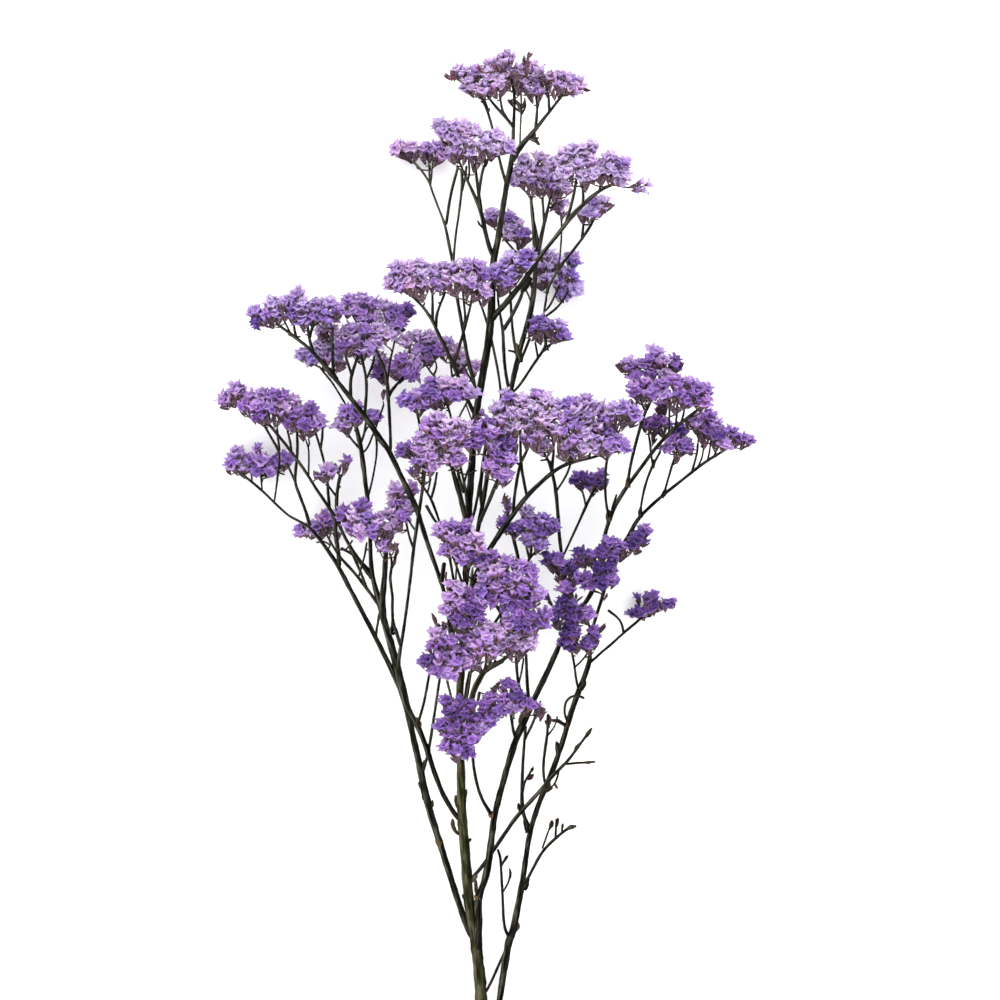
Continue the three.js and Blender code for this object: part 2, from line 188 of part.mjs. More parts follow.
// ---- flower heads: each is a list of lobes [x, y, z, half width, half length, half height] ----
const HEADS = {
  flower_top: [[-21.4, 274.3, 60.0, 9.8, 9.8, 13.0], [-6.5, 271.1, 66.0, 13.0, 9.1, 15.0], [-0.3, 286.7, 62.0, 10.1, 7.5, 10.0], [9.7, 272.1, 62.0, 5.8, 7.1, 12.0], [22.8, 270.9, 58.0, 9.8, 7.5, 14.0], [43.1, 270.7, 66.0, 13.3, 8.8, 15.0]],
  flower_upper_left: [[-39.1, 242.9, 72.0, 4.2, 4.2, 7.0], [-24.6, 236.9, 74.0, 12.9, 9.4, 15.0], [-3.6, 231.4, 74.0, 13.3, 9.7, 15.0], [-25.6, 226.0, 70.0, 8.7, 8.4, 14.0]],
  flower_far_left_top: [[-63.3, 231.2, 11.5, 10.3, 7.3, 13.0], [-42.4, 230.5, 12.2, 10.6, 7.9, 14.0]],
  flower_rear_top: [[-4.6, 184.2, 34.0, 5.3, 7.6, 9.0], [10.5, 177.8, 36.0, 9.2, 11.2, 11.0]],
  flower_upper_mid: [[14.7, 215.7, 50.0, 7.5, 11.4, 14.0], [29.4, 216.0, 46.0, 7.8, 10.8, 16.0], [37.9, 204.7, 44.0, 7.8, 5.9, 11.0], [39.7, 192.9, 36.0, 4.3, 6.6, 8.0]],
  flower_upper_right: [[50.5, 220.3, 86.0, 13.8, 10.6, 16.0], [74.0, 214.6, 86.0, 10.9, 11.3, 15.0], [57.9, 211.0, 86.0, 12.9, 7.7, 14.0]],
  flower_right_small: [[63.6, 194.1, 11.5, 10.6, 8.6, 13.0]],
  flower_row_a: [[-60.0, 143.3, 94.0, 15.1, 11.2, 18.0]],
  flower_row_b: [[-38.9, 144.2, 90.0, 8.7, 8.7, 15.0], [-19.6, 142.8, 92.0, 11.2, 12.5, 18.0]],
  flower_row_c: [[1.6, 146.2, 84.0, 8.7, 7.7, 12.0], [10.6, 154.5, 84.0, 9.3, 6.4, 12.0]],
  flower_row_d: [[32.0, 152.4, 22.0, 6.3, 11.9, 11.0], [46.7, 147.3, 13.0, 7.6, 14.9, 15.0]],
  flower_behind_left: [[-53.9, 103.2, 48.0, 12.1, 6.5, 13.0], [-37.2, 99.9, 48.0, 12.4, 7.2, 14.0], [-19.9, 89.0, 44.0, 7.5, 9.2, 11.0], [-62.0, 87.4, 50.0, 9.8, 8.5, 12.0], [-77.4, 88.2, 46.0, 4.9, 7.8, 10.0]],
  flower_mid_right: [[31.8, 110.5, 61.0, 11.7, 8.4, 12.0]],
  flower_mid_left: [[-54.2, 64.2, 92.0, 10.6, 6.4, 13.0], [-32.4, 70.6, 93.0, 16.4, 7.7, 13.0]],
  flower_left_crown: [[-152.7, 121.6, 66.0, 10.7, 8.8, 14.0], [-131.8, 126.6, 70.0, 10.0, 11.3, 17.0], [-113.4, 124.4, 68.0, 11.0, 7.8, 14.0]],
  flower_left_b: [[-88.3, 125.6, 44.0, 13.7, 9.8, 15.0], [-67.4, 120.4, 44.0, 9.2, 9.8, 13.0]],
  flower_left_c: [[-88.0, 105.9, 54.0, 18.9, 9.4, 15.0]],
  flower_left_d: [[-114.5, 109.9, 44.0, 5.2, 6.5, 9.0], [-126.3, 95.6, 42.0, 7.2, 5.9, 11.0], [-114.6, 96.2, 42.0, 7.9, 7.2, 11.0]],
  flower_far_left: [[-176.2, 69.6, 36.0, 9.5, 7.9, 11.0], [-150.0, 62.6, 40.0, 19.0, 10.8, 17.0], [-126.3, 53.4, 42.0, 12.4, 10.8, 16.0]],
  flower_low_left: [[-174.5, 27.5, 12.0, 7.0, 7.6, 11.0], [-158.2, 26.5, 13.0, 9.9, 10.6, 15.0], [-144.3, 26.5, 13.0, 6.6, 5.3, 12.0]],
  flower_left_e: [[-102.3, 49.3, 46.0, 5.6, 4.2, 8.0], [-96.0, 57.5, 48.0, 8.5, 5.9, 11.0], [-84.6, 55.9, 46.0, 4.9, 3.6, 8.0]],
  flower_left_f: [[-112.8, 18.7, 38.0, 3.9, 4.3, 7.0], [-103.0, 21.7, 36.0, 4.6, 7.2, 8.0]],
  flower_left_g: [[-130.2, -20.5, 10.0, 6.3, 4.6, 10.0], [-116.9, -14.6, 12.0, 9.6, 6.6, 13.0]],
  flower_left_h: [[-100.8, -7.8, 60.0, 4.5, 5.2, 9.0], [-87.4, -12.3, 62.0, 10.7, 12.3, 14.0], [-75.7, -24.7, 60.0, 4.9, 9.1, 10.0]],
  flower_left_i: [[-65.1, 4.6, 56.0, 7.8, 6.5, 11.0], [-65.4, -7.8, 56.0, 10.1, 7.8, 13.0]],
  flower_centre: [[-55.0, 32.6, 102.0, 8.9, 5.8, 10.0], [-34.8, 45.3, 106.0, 15.6, 10.8, 17.0], [-45.4, 28.7, 104.0, 8.3, 9.6, 15.0], [-29.7, 30.7, 102.0, 8.0, 7.7, 13.0], [-12.1, 40.6, 102.0, 12.1, 8.6, 15.0], [-0.3, 22.7, 100.0, 9.3, 11.2, 13.0]],
  flower_right_a: [[8.3, 56.4, 96.0, 12.2, 12.8, 17.0], [27.9, 54.8, 96.0, 10.6, 16.3, 18.0], [4.2, 40.1, 94.0, 8.7, 8.0, 13.0]],
  flower_right_b: [[51.0, 48.4, 95.0, 14.4, 17.6, 18.0], [76.3, 54.8, 96.0, 13.5, 8.0, 13.0], [72.8, 37.8, 94.0, 10.6, 8.3, 14.0]],
  flower_centre_low: [[25.4, -16.6, 52.0, 12.4, 12.7, 12.0], [4.2, -13.1, 50.0, 6.2, 10.4, 9.0]],
  flower_right_dark: [[58.6, 12.5, 25.0, 12.5, 6.6, 10.0]],
  flower_right_c: [[85.8, 86.1, 60.0, 8.5, 6.8, 11.0], [105.6, 89.4, 60.0, 11.4, 10.1, 13.0]],
  flower_right_d: [[94.2, 71.3, 78.0, 10.3, 6.8, 13.0], [113.5, 71.6, 80.0, 11.6, 9.0, 14.0], [127.5, 69.1, 78.0, 8.7, 7.7, 12.0]],
  flower_right_e: [[134.6, 52.0, 46.0, 10.5, 6.2, 12.0], [145.1, 41.8, 46.0, 13.1, 7.8, 13.0]],
  flower_right_f: [[117.2, 38.3, 42.0, 9.8, 9.5, 12.0]],
  flower_right_g: [[98.9, 48.9, 50.0, 4.2, 5.9, 8.0], [106.0, 54.2, 50.0, 3.6, 9.8, 8.0]],
  flower_dark_a: [[34.9, -40.5, 50.0, 6.9, 6.5, 10.0], [46.3, -49.6, 50.0, 5.9, 10.4, 11.0]],
  flower_dark_b: [[57.7, -36.8, 52.0, 10.1, 6.2, 12.0], [72.4, -33.6, 52.0, 7.2, 6.8, 12.0], [66.8, -49.6, 52.0, 12.1, 7.8, 13.0]],
  flower_dark_c: [[90.8, -22.9, 46.0, 7.2, 6.5, 9.0]],
  flower_dark_d: [[43.4, -80.9, 52.0, 8.8, 15.6, 12.0], [56.8, -73.8, 48.0, 4.6, 3.9, 8.0]],
  flower_dark_e: [[59.6, -91.0, 42.0, 7.2, 8.5, 9.0]],
  flower_low_right: [[95.8, -68.6, 9.6, 10.3, 7.6, 11.0], [109.4, -67.6, 9.6, 6.6, 4.6, 9.0]],
  flower_front_a: [[-31.3, -23.0, 106.0, 9.6, 8.9, 15.0], [-18.8, -28.4, 106.0, 9.3, 8.6, 17.0]],
  flower_front_b: [[-2.6, -48.6, 102.0, 10.2, 15.3, 17.0], [15.4, -50.9, 100.0, 10.2, 14.4, 17.0], [12.8, -74.3, 98.0, 10.2, 9.0, 14.0], [26.9, -75.2, 98.0, 5.1, 5.4, 9.0]],
  flower_front_c: [[-27.1, -58.4, 104.0, 8.0, 8.0, 13.0], [-22.4, -70.3, 104.0, 13.4, 10.2, 15.0]],
  flower_front_d: [[-33.9, -89.0, 98.0, 10.9, 7.7, 14.0], [-11.5, -87.7, 98.0, 11.5, 9.6, 15.0], [-36.2, -104.4, 98.0, 13.8, 8.3, 14.0]],
  flower_front_e: [[11.6, -92.8, 90.0, 11.6, 8.0, 13.0]],
  flower_front_low: [[-26.4, -139.1, 84.0, 13.5, 12.2, 16.0], [-19.0, -147.4, 84.0, 9.3, 8.4, 15.0], [-27.7, -158.5, 82.0, 11.0, 5.8, 12.0], [-5.5, -134.6, 84.0, 7.4, 10.9, 12.0], [9.0, -125.9, 84.0, 10.3, 9.3, 13.0]],
};

const barkMain = new THREE.MeshStandardMaterial({ color: 0x46422f, roughness: 0.85, metalness: 0 });
const barkDark = new THREE.MeshStandardMaterial({ color: 0x2b281f, roughness: 0.85, metalness: 0 });
const petalLight = new THREE.MeshStandardMaterial({ color: 0xab92cb, roughness: 0.9, metalness: 0 });
const petalMid = new THREE.MeshStandardMaterial({ color: 0x8a69ae, roughness: 0.9, metalness: 0 });
const petalDark = new THREE.MeshStandardMaterial({ color: 0x5b3f7e, roughness: 0.9, metalness: 0 });
const DARK_HEADS = new Set(['flower_rear_top', 'flower_centre_low', 'flower_right_dark', 'flower_right_g', 'flower_dark_a', 'flower_dark_b', 'flower_dark_c', 'flower_dark_d', 'flower_dark_e']);
const MID_HEADS = new Set(['flower_upper_mid', 'flower_right_small', 'flower_row_d', 'flower_behind_left', 'flower_mid_right', 'flower_left_crown', 'flower_left_b', 'flower_left_d', 'flower_low_left', 'flower_left_e', 'flower_left_f', 'flower_left_g', 'flower_right_c', 'flower_right_e', 'flower_right_f', 'flower_low_right']);

// three.js geometry -> solid
function toSolid(geometry) {
  const g = geometry.index ? geometry : geometry.clone();
  g.deleteAttribute('normal');
  g.deleteAttribute('uv');
  const m = mergeVertices(g, 1e-4);
  const pos = m.attributes.position.array;
  const idx = [];
  const src = m.index.array;
  for (let i = 0; i < src.length; i += 3) {
    const [a, b, c] = [src[i], src[i + 1], src[i + 2]];
    if (a !== b && b !== c && a !== c) idx.push(a, b, c);
  }
  return new wasm.Manifold(new wasm.Mesh({
    numProp: 3,
    vertProperties: new Float32Array(pos),
    triVerts: new Uint32Array(idx),
  }));
}

// solid -> three.js geometry
function toGeometry(solid) {
  const mesh = solid.getMesh();
  const g = new THREE.BufferGeometry();
  const n = mesh.vertProperties.length / mesh.numProp;
  const pos = new Float32Array(n * 3);
  for (let i = 0; i < n; i++) {
    for (let k = 0; k < 3; k++) pos[3 * i + k] = mesh.vertProperties[i * mesh.numProp + k];
  }
  g.setAttribute('position', new THREE.BufferAttribute(pos, 3));
  g.setIndex(new THREE.BufferAttribute(new Uint32Array(mesh.triVerts), 1));
  g.computeVertexNormals();
  return g;
}

// a tapered round stem: a closed cylinder with one ring of its wall on each point of the stem's axis
function stemTube(points, extra) {
  const axis = points.map((p) => new THREE.Vector3(p[0], p[1], p[2]));
  const last = axis.length - 1;
  const sides = points[0][3] >= THICK ? SIDES_THICK : points[0][3] >= MEDIUM ? SIDES_MEDIUM : SIDES_THIN;
  const legs = [];
  for (let i = 0; i < last; i++) legs.push(axis[i + 1].clone().sub(axis[i]).normalize());
  // ring directions, turned as little as possible from one ring to the next
  const e1 = [];
  const e3 = [];
  const along = [];
  let ref = new THREE.Vector3(0, 0, 1);
  for (let i = 0; i <= last; i++) {
    const t = legs[Math.max(0, i - 1)].clone().add(legs[Math.min(last - 1, i)]).normalize();
    if (Math.abs(ref.dot(t)) > 0.98) ref = new THREE.Vector3(1, 0, 0);
    const n = ref.clone().addScaledVector(t, -ref.dot(t)).normalize();
    e3.push(n);
    e1.push(t.clone().cross(n));
    along.push(t);
    ref = n;
  }
  const g = new THREE.CylinderGeometry(1, 1, 1, sides, last, false);
  const pos = g.attributes.position;
  const v = new THREE.Vector3();
  for (let i = 0; i < pos.count; i++) {
    const k = Math.round((pos.getY(i) + 0.5) * last);
    const r = Math.max(MIN_RADIUS, points[k][3]) + extra;
    v.copy(axis[k]).addScaledVector(e1[k], pos.getX(i) * r).addScaledVector(e3[k], pos.getZ(i) * r);
    // a clearance tube also runs past its ends
    if (extra > 0 && k === last) v.addScaledVector(along[k], extra);
    if (extra > 0 && k === 0) v.addScaledVector(along[k], -extra);
    pos.setXYZ(i, v.x, v.y, v.z);
  }
  return toSolid(g);
}

function branchSolid(tubes, extra) {
  let solid = null;
  for (const points of tubes) {
    const tube = stemTube(points, extra);
    solid = solid ? solid.add(tube) : tube;
  }
  return solid;
}

// the outer shape of a flower head: the convex hull of its lobes
function headSolid(lobes, extra) {
  const unit = new THREE.IcosahedronGeometry(1, 1).attributes.position;
  const pts = [];
  for (const [x, y, z, a, b, c] of lobes) {
    for (let i = 0; i < unit.count; i++) {
      pts.push(new THREE.Vector3(
        x + unit.getX(i) * (a * HEAD_SHRINK + extra),
        y + unit.getY(i) * (b * HEAD_SHRINK + extra),
        z + unit.getZ(i) * (c * HEAD_SHRINK + extra)));
    }
  }
  return toSolid(new ConvexGeometry(pts));
}

function boxesMeet(a, b) {
  const p = a.boundingBox();
  const q = b.boundingBox();
  for (let k = 0; k < 3; k++) if (p.min[k] > q.max[k] + 0.5 || q.min[k] > p.max[k] + 0.5) return false;
  return true;
}

// the biggest connected body of a solid
function mainBody(solid) {
  const bodies = solid.decompose();
  let best = bodies[0];
  for (const b of bodies) if (b.volume() > best.volume()) best = b;
  return best;
}

// ---- flower heads: cut apart by a plane where two of them would press together ----
const headNames = Object.keys(HEADS);
const heads = new Map();
const headClear = new Map();
for (const name of headNames) {
  heads.set(name, headSolid(HEADS[name], 0));
  headClear.set(name, headSolid(HEADS[name], GAP));
}
for (let i = 0; i < headNames.length; i++) {
  for (let j = i + 1; j < headNames.length; j++) {
    const a = heads.get(headNames[i]);
    const b = heads.get(headNames[j]);
    if (!boxesMeet(a, b)) continue;
    const common = headClear.get(headNames[i]).intersect(b);
    if (common.isEmpty() || common.volume() < 1e-3) continue;
    const cb = common.boundingBox();
    const mid = [0, 1, 2].map((k) => (cb.min[k] + cb.max[k]) / 2);
    const ba = a.boundingBox();
    const bb = b.boundingBox();
    const dir = new THREE.Vector3(...[0, 1, 2].map((k) => (bb.min[k] + bb.max[k] - ba.min[k] - ba.max[k]) / 2));
    // lean the cutting plane towards the thinnest way through the pressed zone
    dir.set(dir.x / (cb.max[0] - cb.min[0] + 1), dir.y / (cb.max[1] - cb.min[1] + 1), dir.z / (cb.max[2] - cb.min[2] + 1)).normalize();
    const d = dir.x * mid[0] + dir.y * mid[1] + dir.z * mid[2];
    heads.set(headNames[i], a.trimByPlane([-dir.x, -dir.y, -dir.z], -(d - GAP / 2)));
    heads.set(headNames[j], b.trimByPlane([dir.x, dir.y, dir.z], d + GAP / 2));
  }
}
for (const name of headNames) heads.set(name, heads.get(name).trimByPlane([0, 0, 1], SURFACE_Z));

// ---- stems: each is cut back from the stem that bears it and from the flower heads ----
const stemNames = Object.keys(STEMS);
const stems = new Map();
const stemClear = new Map();
for (const name of stemNames) {
  let solid = branchSolid(STEMS[name], 0);
  for (const [other, clear] of stemClear) {
    if (boxesMeet(solid, clear)) {
      solid = solid.subtract(clear);
    }
  }
  for (const h of headNames) {
    const clear = headClear.get(h);
    if (boxesMeet(solid, clear)) {
      solid = solid.subtract(clear);
    }
  }
  solid = mainBody(solid.trimByPlane([0, 0, 1], SURFACE_Z));
  stems.set(name, solid);
  stemClear.set(name, branchSolid(STEMS[name], GAP));
}

// ---- assembly ----
const spray = new THREE.Group();
spray.name = 'dried_statice';
spray.position.set(-ORIGIN[0], -ORIGIN[1], -SURFACE_Z);
for (const [name, solid] of stems) {
  const mesh = new THREE.Mesh(toGeometry(solid), name === 'main_stem' ? barkMain : barkDark);
  mesh.name = name;
  spray.add(mesh);
}
for (const [name, solid] of heads) {
  const material = DARK_HEADS.has(name) ? petalDark : MID_HEADS.has(name) ? petalMid : petalLight;
  const mesh = new THREE.Mesh(toGeometry(solid), material);
  mesh.name = name;
  spray.add(mesh);
}
spray.updateMatrixWorld(true);


export default spray;
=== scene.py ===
"""Dried statice: one cut flowering spray, lying on a pale floor.

Lengths in the data are millimetres in the row frame; the meshes are in metres.
Every stem is a tapered, ribbed tube along its own curve. Every flower head is a
mass of single papery florets, each a ribbed brown calyx cone that opens into
five crinkled petals, fanned out from the twig that bears the head.
"""
import math

import bpy
import numpy as np
from mathutils import Matrix


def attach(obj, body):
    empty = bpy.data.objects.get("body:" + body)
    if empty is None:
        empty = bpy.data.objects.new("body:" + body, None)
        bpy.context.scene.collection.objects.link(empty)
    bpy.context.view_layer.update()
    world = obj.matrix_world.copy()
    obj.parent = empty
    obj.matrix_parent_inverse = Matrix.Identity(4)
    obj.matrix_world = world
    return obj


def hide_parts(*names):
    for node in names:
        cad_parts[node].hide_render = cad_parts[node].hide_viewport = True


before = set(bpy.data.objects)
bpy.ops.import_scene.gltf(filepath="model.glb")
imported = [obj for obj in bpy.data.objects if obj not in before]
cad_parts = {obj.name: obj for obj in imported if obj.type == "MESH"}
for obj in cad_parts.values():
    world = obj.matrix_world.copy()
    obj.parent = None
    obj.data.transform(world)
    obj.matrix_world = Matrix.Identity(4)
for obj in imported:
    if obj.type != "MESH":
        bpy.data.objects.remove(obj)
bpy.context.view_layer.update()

# ---- stems: node -> tubes of (x, y, z, radius), root to tip ----
STEMS = {
    "main_stem": [
        [(3.3, -347.6, 3.7, 3.95), (1.5, -286.8, 7.3, 3.68), (0.7, -269.7, 8.6, 4.01), (-0.0, -257.3, 9.5, 3.78), (-1.3, -249.2, 10.3, 3.62), (-2.0, -240.5, 11.2, 3.62), (-4.4, -227.0, 13.1, 3.62), (-6.7, -213.6, 15.2, 3.43), (-7.8, -200.1, 17.6, 3.30), (-8.6, -186.6, 20.2, 3.30), (-10.0, -169.8, 23.9, 3.23), (-11.4, -156.4, 27.0, 3.17), (-11.9, -143.0, 30.0, 3.10), (-12.0, -129.6, 32.9, 2.78), (-12.0, -120.1, 34.9, 2.72), (-13.0, -103.0, 38.5, 2.49), (-12.9, -73.0, 44.7, 2.33), (-12.0, -56.7, 48.0, 2.33), (-8.9, -27.3, 53.9, 2.33), (-8.4, -20.6, 55.2, 1.79), (-8.5, -13.9, 56.4, 1.55), (-9.2, -3.9, 58.1, 1.81), (-7.8, 15.5, 60.9, 2.59), (-7.4, 44.6, 63.8, 2.11), (-4.1, 82.3, 66.8, 2.37), (-3.6, 96.3, 67.8, 2.16), (-2.8, 106.5, 68.3, 2.44), (2.6, 138.6, 69.5, 2.25), (7.1, 161.2, 70.0, 2.63), (8.3, 180.6, 70.0, 2.42), (8.5, 203.6, 68.5, 2.17), (9.1, 209.9, 68.0, 2.21), (12.1, 220.7, 66.9, 2.15), (14.3, 236.4, 65.5, 1.68), (18.3, 263.0, 63.6, 1.85), (21.4, 275.1, 62.8, 1.80), (22.3, 281.5, 62.5, 1.51), (21.9, 291.4, 62.0, 1.08), (23.1, 311.3, 61.1, 1.01), (22.9, 317.7, 60.9, 0.95), (21.9, 324.5, 61.0, 0.88), (18.7, 333.4, 62.0, 0.78)],
        [(21.4, 274.8, 62.8, 2.02), (24.8, 281.2, 63.3, 2.01), (27.8, 285.8, 63.6, 1.88), (33.6, 291.2, 64.0, 1.61), (41.8, 301.9, 64.8, 0.98), (54.2, 317.4, 66.0, 0.93)],
        [(36.5, 295.1, 64.3, 1.07), (37.7, 309.0, 61.6, 0.97), (37.0, 316.9, 60.0, 0.75)],
        [(45.5, 306.5, 65.2, 1.10), (45.0, 317.4, 68.0, 0.84)],
        [(26.5, 283.8, 63.4, 0.60), (26.6, 294.6, 61.2, 0.60), (27.7, 310.7, 57.7, 0.59), (27.3, 318.7, 56.0, 0.64)],
        [(27.3, 305.3, 58.9, 0.81), (30.1, 310.9, 55.3, 0.74), (29.5, 316.4, 52.0, 0.68)],
        [(27.4, 306.7, 58.6, 0.81), (22.9, 309.8, 59.3, 0.78), (19.1, 313.7, 60.0, 0.75)],
        [(22.3, 297.1, 61.7, 1.26), (19.1, 301.2, 63.3, 1.20), (8.9, 311.3, 67.7, 1.02), (4.4, 317.5, 70.0, 0.93)],
        [(17.9, 302.5, 63.9, 1.01), (15.1, 307.3, 66.7, 0.96), (13.3, 317.6, 72.0, 0.84)],
        [(17.8, 259.5, 63.8, 1.13), (14.9, 267.3, 62.7, 0.97), (10.1, 291.0, 59.6, 0.92), (5.8, 308.2, 57.3, 1.00), (1.2, 316.9, 56.0, 0.84)],
        [(5.8, 308.3, 57.2, 0.81), (3.6, 314.8, 55.8, 0.75), (-0.4, 322.8, 54.0, 0.68)],
        [(31.6, 289.4, 63.9, 1.00), (35.4, 288.8, 62.1, 0.91), (38.6, 285.8, 60.0, 0.82)],
        [(9.5, 211.3, 67.9, 1.47), (6.4, 218.5, 67.9, 1.47), (3.7, 229.3, 68.0, 1.48), (1.9, 239.6, 68.0, 1.48), (-0.2, 246.5, 68.8, 1.46), (-10.3, 266.5, 71.0, 0.84), (-13.5, 275.5, 72.0, 0.77)],
        [(1.1, 242.2, 68.3, 1.41), (-2.5, 270.3, 74.0, 0.93)],
        [(-0.3, 252.7, 70.4, 1.10), (2.5, 267.9, 74.1, 0.93), (5.9, 275.0, 76.0, 0.79)],
        [(-7.5, 260.8, 70.4, 0.88), (-6.3, 266.6, 70.2, 0.79), (-6.8, 274.4, 70.0, 0.68)],
        [(3.6, 229.9, 68.0, 0.71), (-0.3, 233.7, 70.0, 0.66)],
        [(1.0, -276.0, 8.1, 1.10), (5.8, -269.4, 7.0, 0.94), (8.9, -263.1, 6.0, 0.91), (15.8, -246.6, 3.6, 0.91), (21.1, -237.3, 3.2, 0.90), (25.1, -230.6, 4.5, 0.95), (24.4, -224.4, 7.0, 1.04)],
        [(-12.5, -111.0, 36.8, 1.89), (-6.5, -79.4, 53.2, 1.89), (-3.9, -70.5, 58.0, 1.94), (-0.7, -63.0, 63.0, 1.93), (3.3, -56.3, 67.8, 1.85), (5.9, -53.8, 70.0, 1.73), (8.8, -51.9, 72.1, 1.61), (14.2, -50.1, 75.6, 1.37), (19.4, -45.4, 80.0, 0.98)],
        [(3.6, -56.0, 68.0, 0.92), (4.6, -48.7, 76.4, 0.82), (3.6, -40.8, 86.0, 0.71)],
        [(9.8, -51.6, 72.8, 0.79), (10.9, -45.9, 79.0, 0.72), (10.2, -39.0, 86.0, 0.64)],
        [(1.8, -58.8, 66.0, 1.04), (0.1, -50.6, 77.3, 1.06), (-2.9, -41.8, 90.0, 0.93)],
        [(-12.9, -104.4, 38.2, 1.33), (-4.7, -53.7, 88.0, 0.81)],
        [(-12.9, -90.6, 41.1, 1.05), (-16.2, -80.7, 56.6, 0.82), (-20.9, -60.0, 88.0, 0.84)],
        [(-7.3, -83.9, 50.9, 0.88), (-1.8, -78.4, 58.2, 0.97), (0.3, -70.2, 66.0, 1.07)],
        [(-11.8, -55.6, 48.2, 1.00), (-16.8, -42.9, 61.7, 0.92), (-18.9, -33.1, 71.9, 1.06), (-19.6, -23.1, 82.2, 0.97), (-19.1, -9.7, 96.0, 0.84)],
        [(-19.0, -31.0, 74.2, 0.75), (-15.6, -21.4, 94.0, 0.62)],
        [(-8.9, -27.2, 53.9, 1.06), (-13.3, -13.8, 65.1, 0.98), (-19.6, 22.8, 96.0, 0.93)],
        [(-15.1, -3.8, 73.5, 0.84), (-14.6, 9.3, 85.5, 0.58), (-13.5, 18.5, 94.0, 0.58)],
        [(-10.9, -46.7, 50.0, 1.25), (-2.3, -39.7, 61.4, 1.18), (9.8, -31.5, 76.3, 1.08), (13.7, -27.4, 82.0, 1.19), (14.8, -24.3, 83.9, 1.27), (14.9, -21.0, 85.1, 1.23), (14.1, -17.8, 86.7, 1.20), (12.5, -14.9, 88.3, 1.17), (7.6, -8.8, 92.0, 1.10)],
        [(-8.4, -18.6, 55.6, 1.07), (-0.3, -10.4, 72.7, 0.91), (8.8, -2.2, 90.0, 0.75)],
        [(-11.8, -55.2, 48.3, 1.26), (3.3, -35.6, 48.8, 1.13), (11.1, -24.3, 49.1, 1.05), (16.3, -15.9, 49.4, 1.00), (19.3, -10.1, 49.5, 0.82), (24.4, 2.0, 49.8, 0.67), (32.7, 15.1, 50.0, 0.89), (33.5, 17.8, 50.0, 0.95), (34.2, 25.7, 50.0, 0.93)],
        [(32.9, 15.9, 50.0, 0.92), (31.2, 22.7, 50.0, 0.84), (30.6, 28.3, 50.0, 0.76)],
        [(33.3, 16.9, 50.0, 0.73), (38.5, 23.3, 50.0, 0.68), (40.9, 29.3, 50.0, 0.63)],
        [(26.8, 5.7, 49.9, 0.96), (25.7, 15.2, 49.9, 1.16), (21.5, 33.4, 50.0, 1.10)],
        [(-9.2, -4.7, 58.0, 1.02), (-16.6, 18.8, 69.2, 0.69), (-24.2, 34.5, 77.2, 0.79), (-27.6, 47.6, 82.8, 0.89), (-30.5, 55.9, 86.2, 0.94), (-39.2, 68.1, 92.0, 0.69)],
        [(-30.6, 56.0, 86.2, 0.93), (-28.4, 63.8, 89.0, 0.85), (-26.9, 72.3, 92.0, 0.76)],
        [(-33.0, 59.4, 87.9, 0.67), (-30.8, 68.5, 90.0, 0.63)],
        [(-25.3, 38.6, 78.9, 0.90), (-28.3, 41.2, 79.3, 0.97), (-34.0, 51.0, 80.0, 1.08)],
        [(-12.1, -117.8, 35.4, 1.04), (-15.1, -108.7, 55.5, 0.88), (-18.2, -102.6, 70.0, 0.78)],
        [(-12.8, -106.4, 37.8, 1.07), (-9.2, -98.7, 55.2, 0.93), (-6.8, -92.0, 70.0, 0.81)],
        [(-7.5, 34.4, 62.8, 0.87), (-2.8, 47.9, 70.2, 0.94), (2.0, 73.6, 84.0, 0.84)],
        [(22.2, 310.6, 59.4, 0.70), (22.3, 311.2, 59.0, 0.62), (22.3, 311.9, 58.4, 0.55)],
        [(45.5, 306.5, 65.2, 0.85), (45.6, 306.9, 63.5, 0.70), (45.7, 307.7, 61.5, 0.55)],
        [(3.2, 313.0, 56.6, 0.82), (2.1, 313.6, 56.4, 0.69), (0.9, 314.1, 56.1, 0.55)],
        [(22.6, 320.0, 61.0, 0.83), (19.9, 320.5, 60.2, 0.69), (17.1, 320.9, 59.0, 0.55)],
        [(6.0, 307.2, 57.4, 0.85), (6.4, 307.9, 59.6, 0.70), (6.7, 309.0, 61.5, 0.55)],
        [(37.5, 307.0, 62.0, 0.85), (37.8, 307.3, 58.1, 0.70), (38.0, 308.4, 53.8, 0.55)],
        [(-11.0, 268.5, 71.2, 0.74), (-12.2, 268.7, 70.5, 0.65), (-13.3, 269.3, 69.5, 0.55)],
        [(-2.0, 266.3, 73.2, 0.85), (-1.8, 266.9, 71.5, 0.70), (-1.6, 268.0, 69.5, 0.55)],
        [(-13.5, 275.5, 72.0, 0.69), (-19.2, 281.8, 71.5, 0.62), (-25.0, 290.0, 69.9, 0.55)],
        [(-39.2, 68.1, 92.0, 0.62), (-37.0, 69.1, 95.8, 0.59), (-34.7, 71.0, 99.0, 0.55)],
        [(-36.5, 64.3, 90.2, 0.69), (-34.7, 64.5, 95.1, 0.62), (-32.8, 65.8, 99.5, 0.55)],
        [(23.4, 25.3, 50.0, 0.85), (22.9, 25.9, 48.7, 0.70), (22.4, 26.9, 47.3, 0.55)],
        [(33.8, 21.2, 50.0, 0.85), (34.0, 20.7, 49.3, 0.70), (34.1, 20.4, 48.4, 0.55)],
        [(-14.3, 11.6, 87.6, 0.52), (-14.3, 11.2, 95.0, 0.54), (-14.2, 12.1, 101.5, 0.55)],
        [(8.3, -2.6, 89.2, 0.68), (0.9, 0.5, 95.7, 0.61), (-6.6, 5.7, 100.9, 0.55)],
        [(12.5, -14.9, 88.3, 0.85), (13.2, -14.7, 92.9, 0.70), (13.9, -13.6, 96.9, 0.55)],
        [(13.4, -14.5, 94.0, 0.54), (19.4, -15.3, 94.8, 0.55), (25.4, -14.9, 94.9, 0.55)],
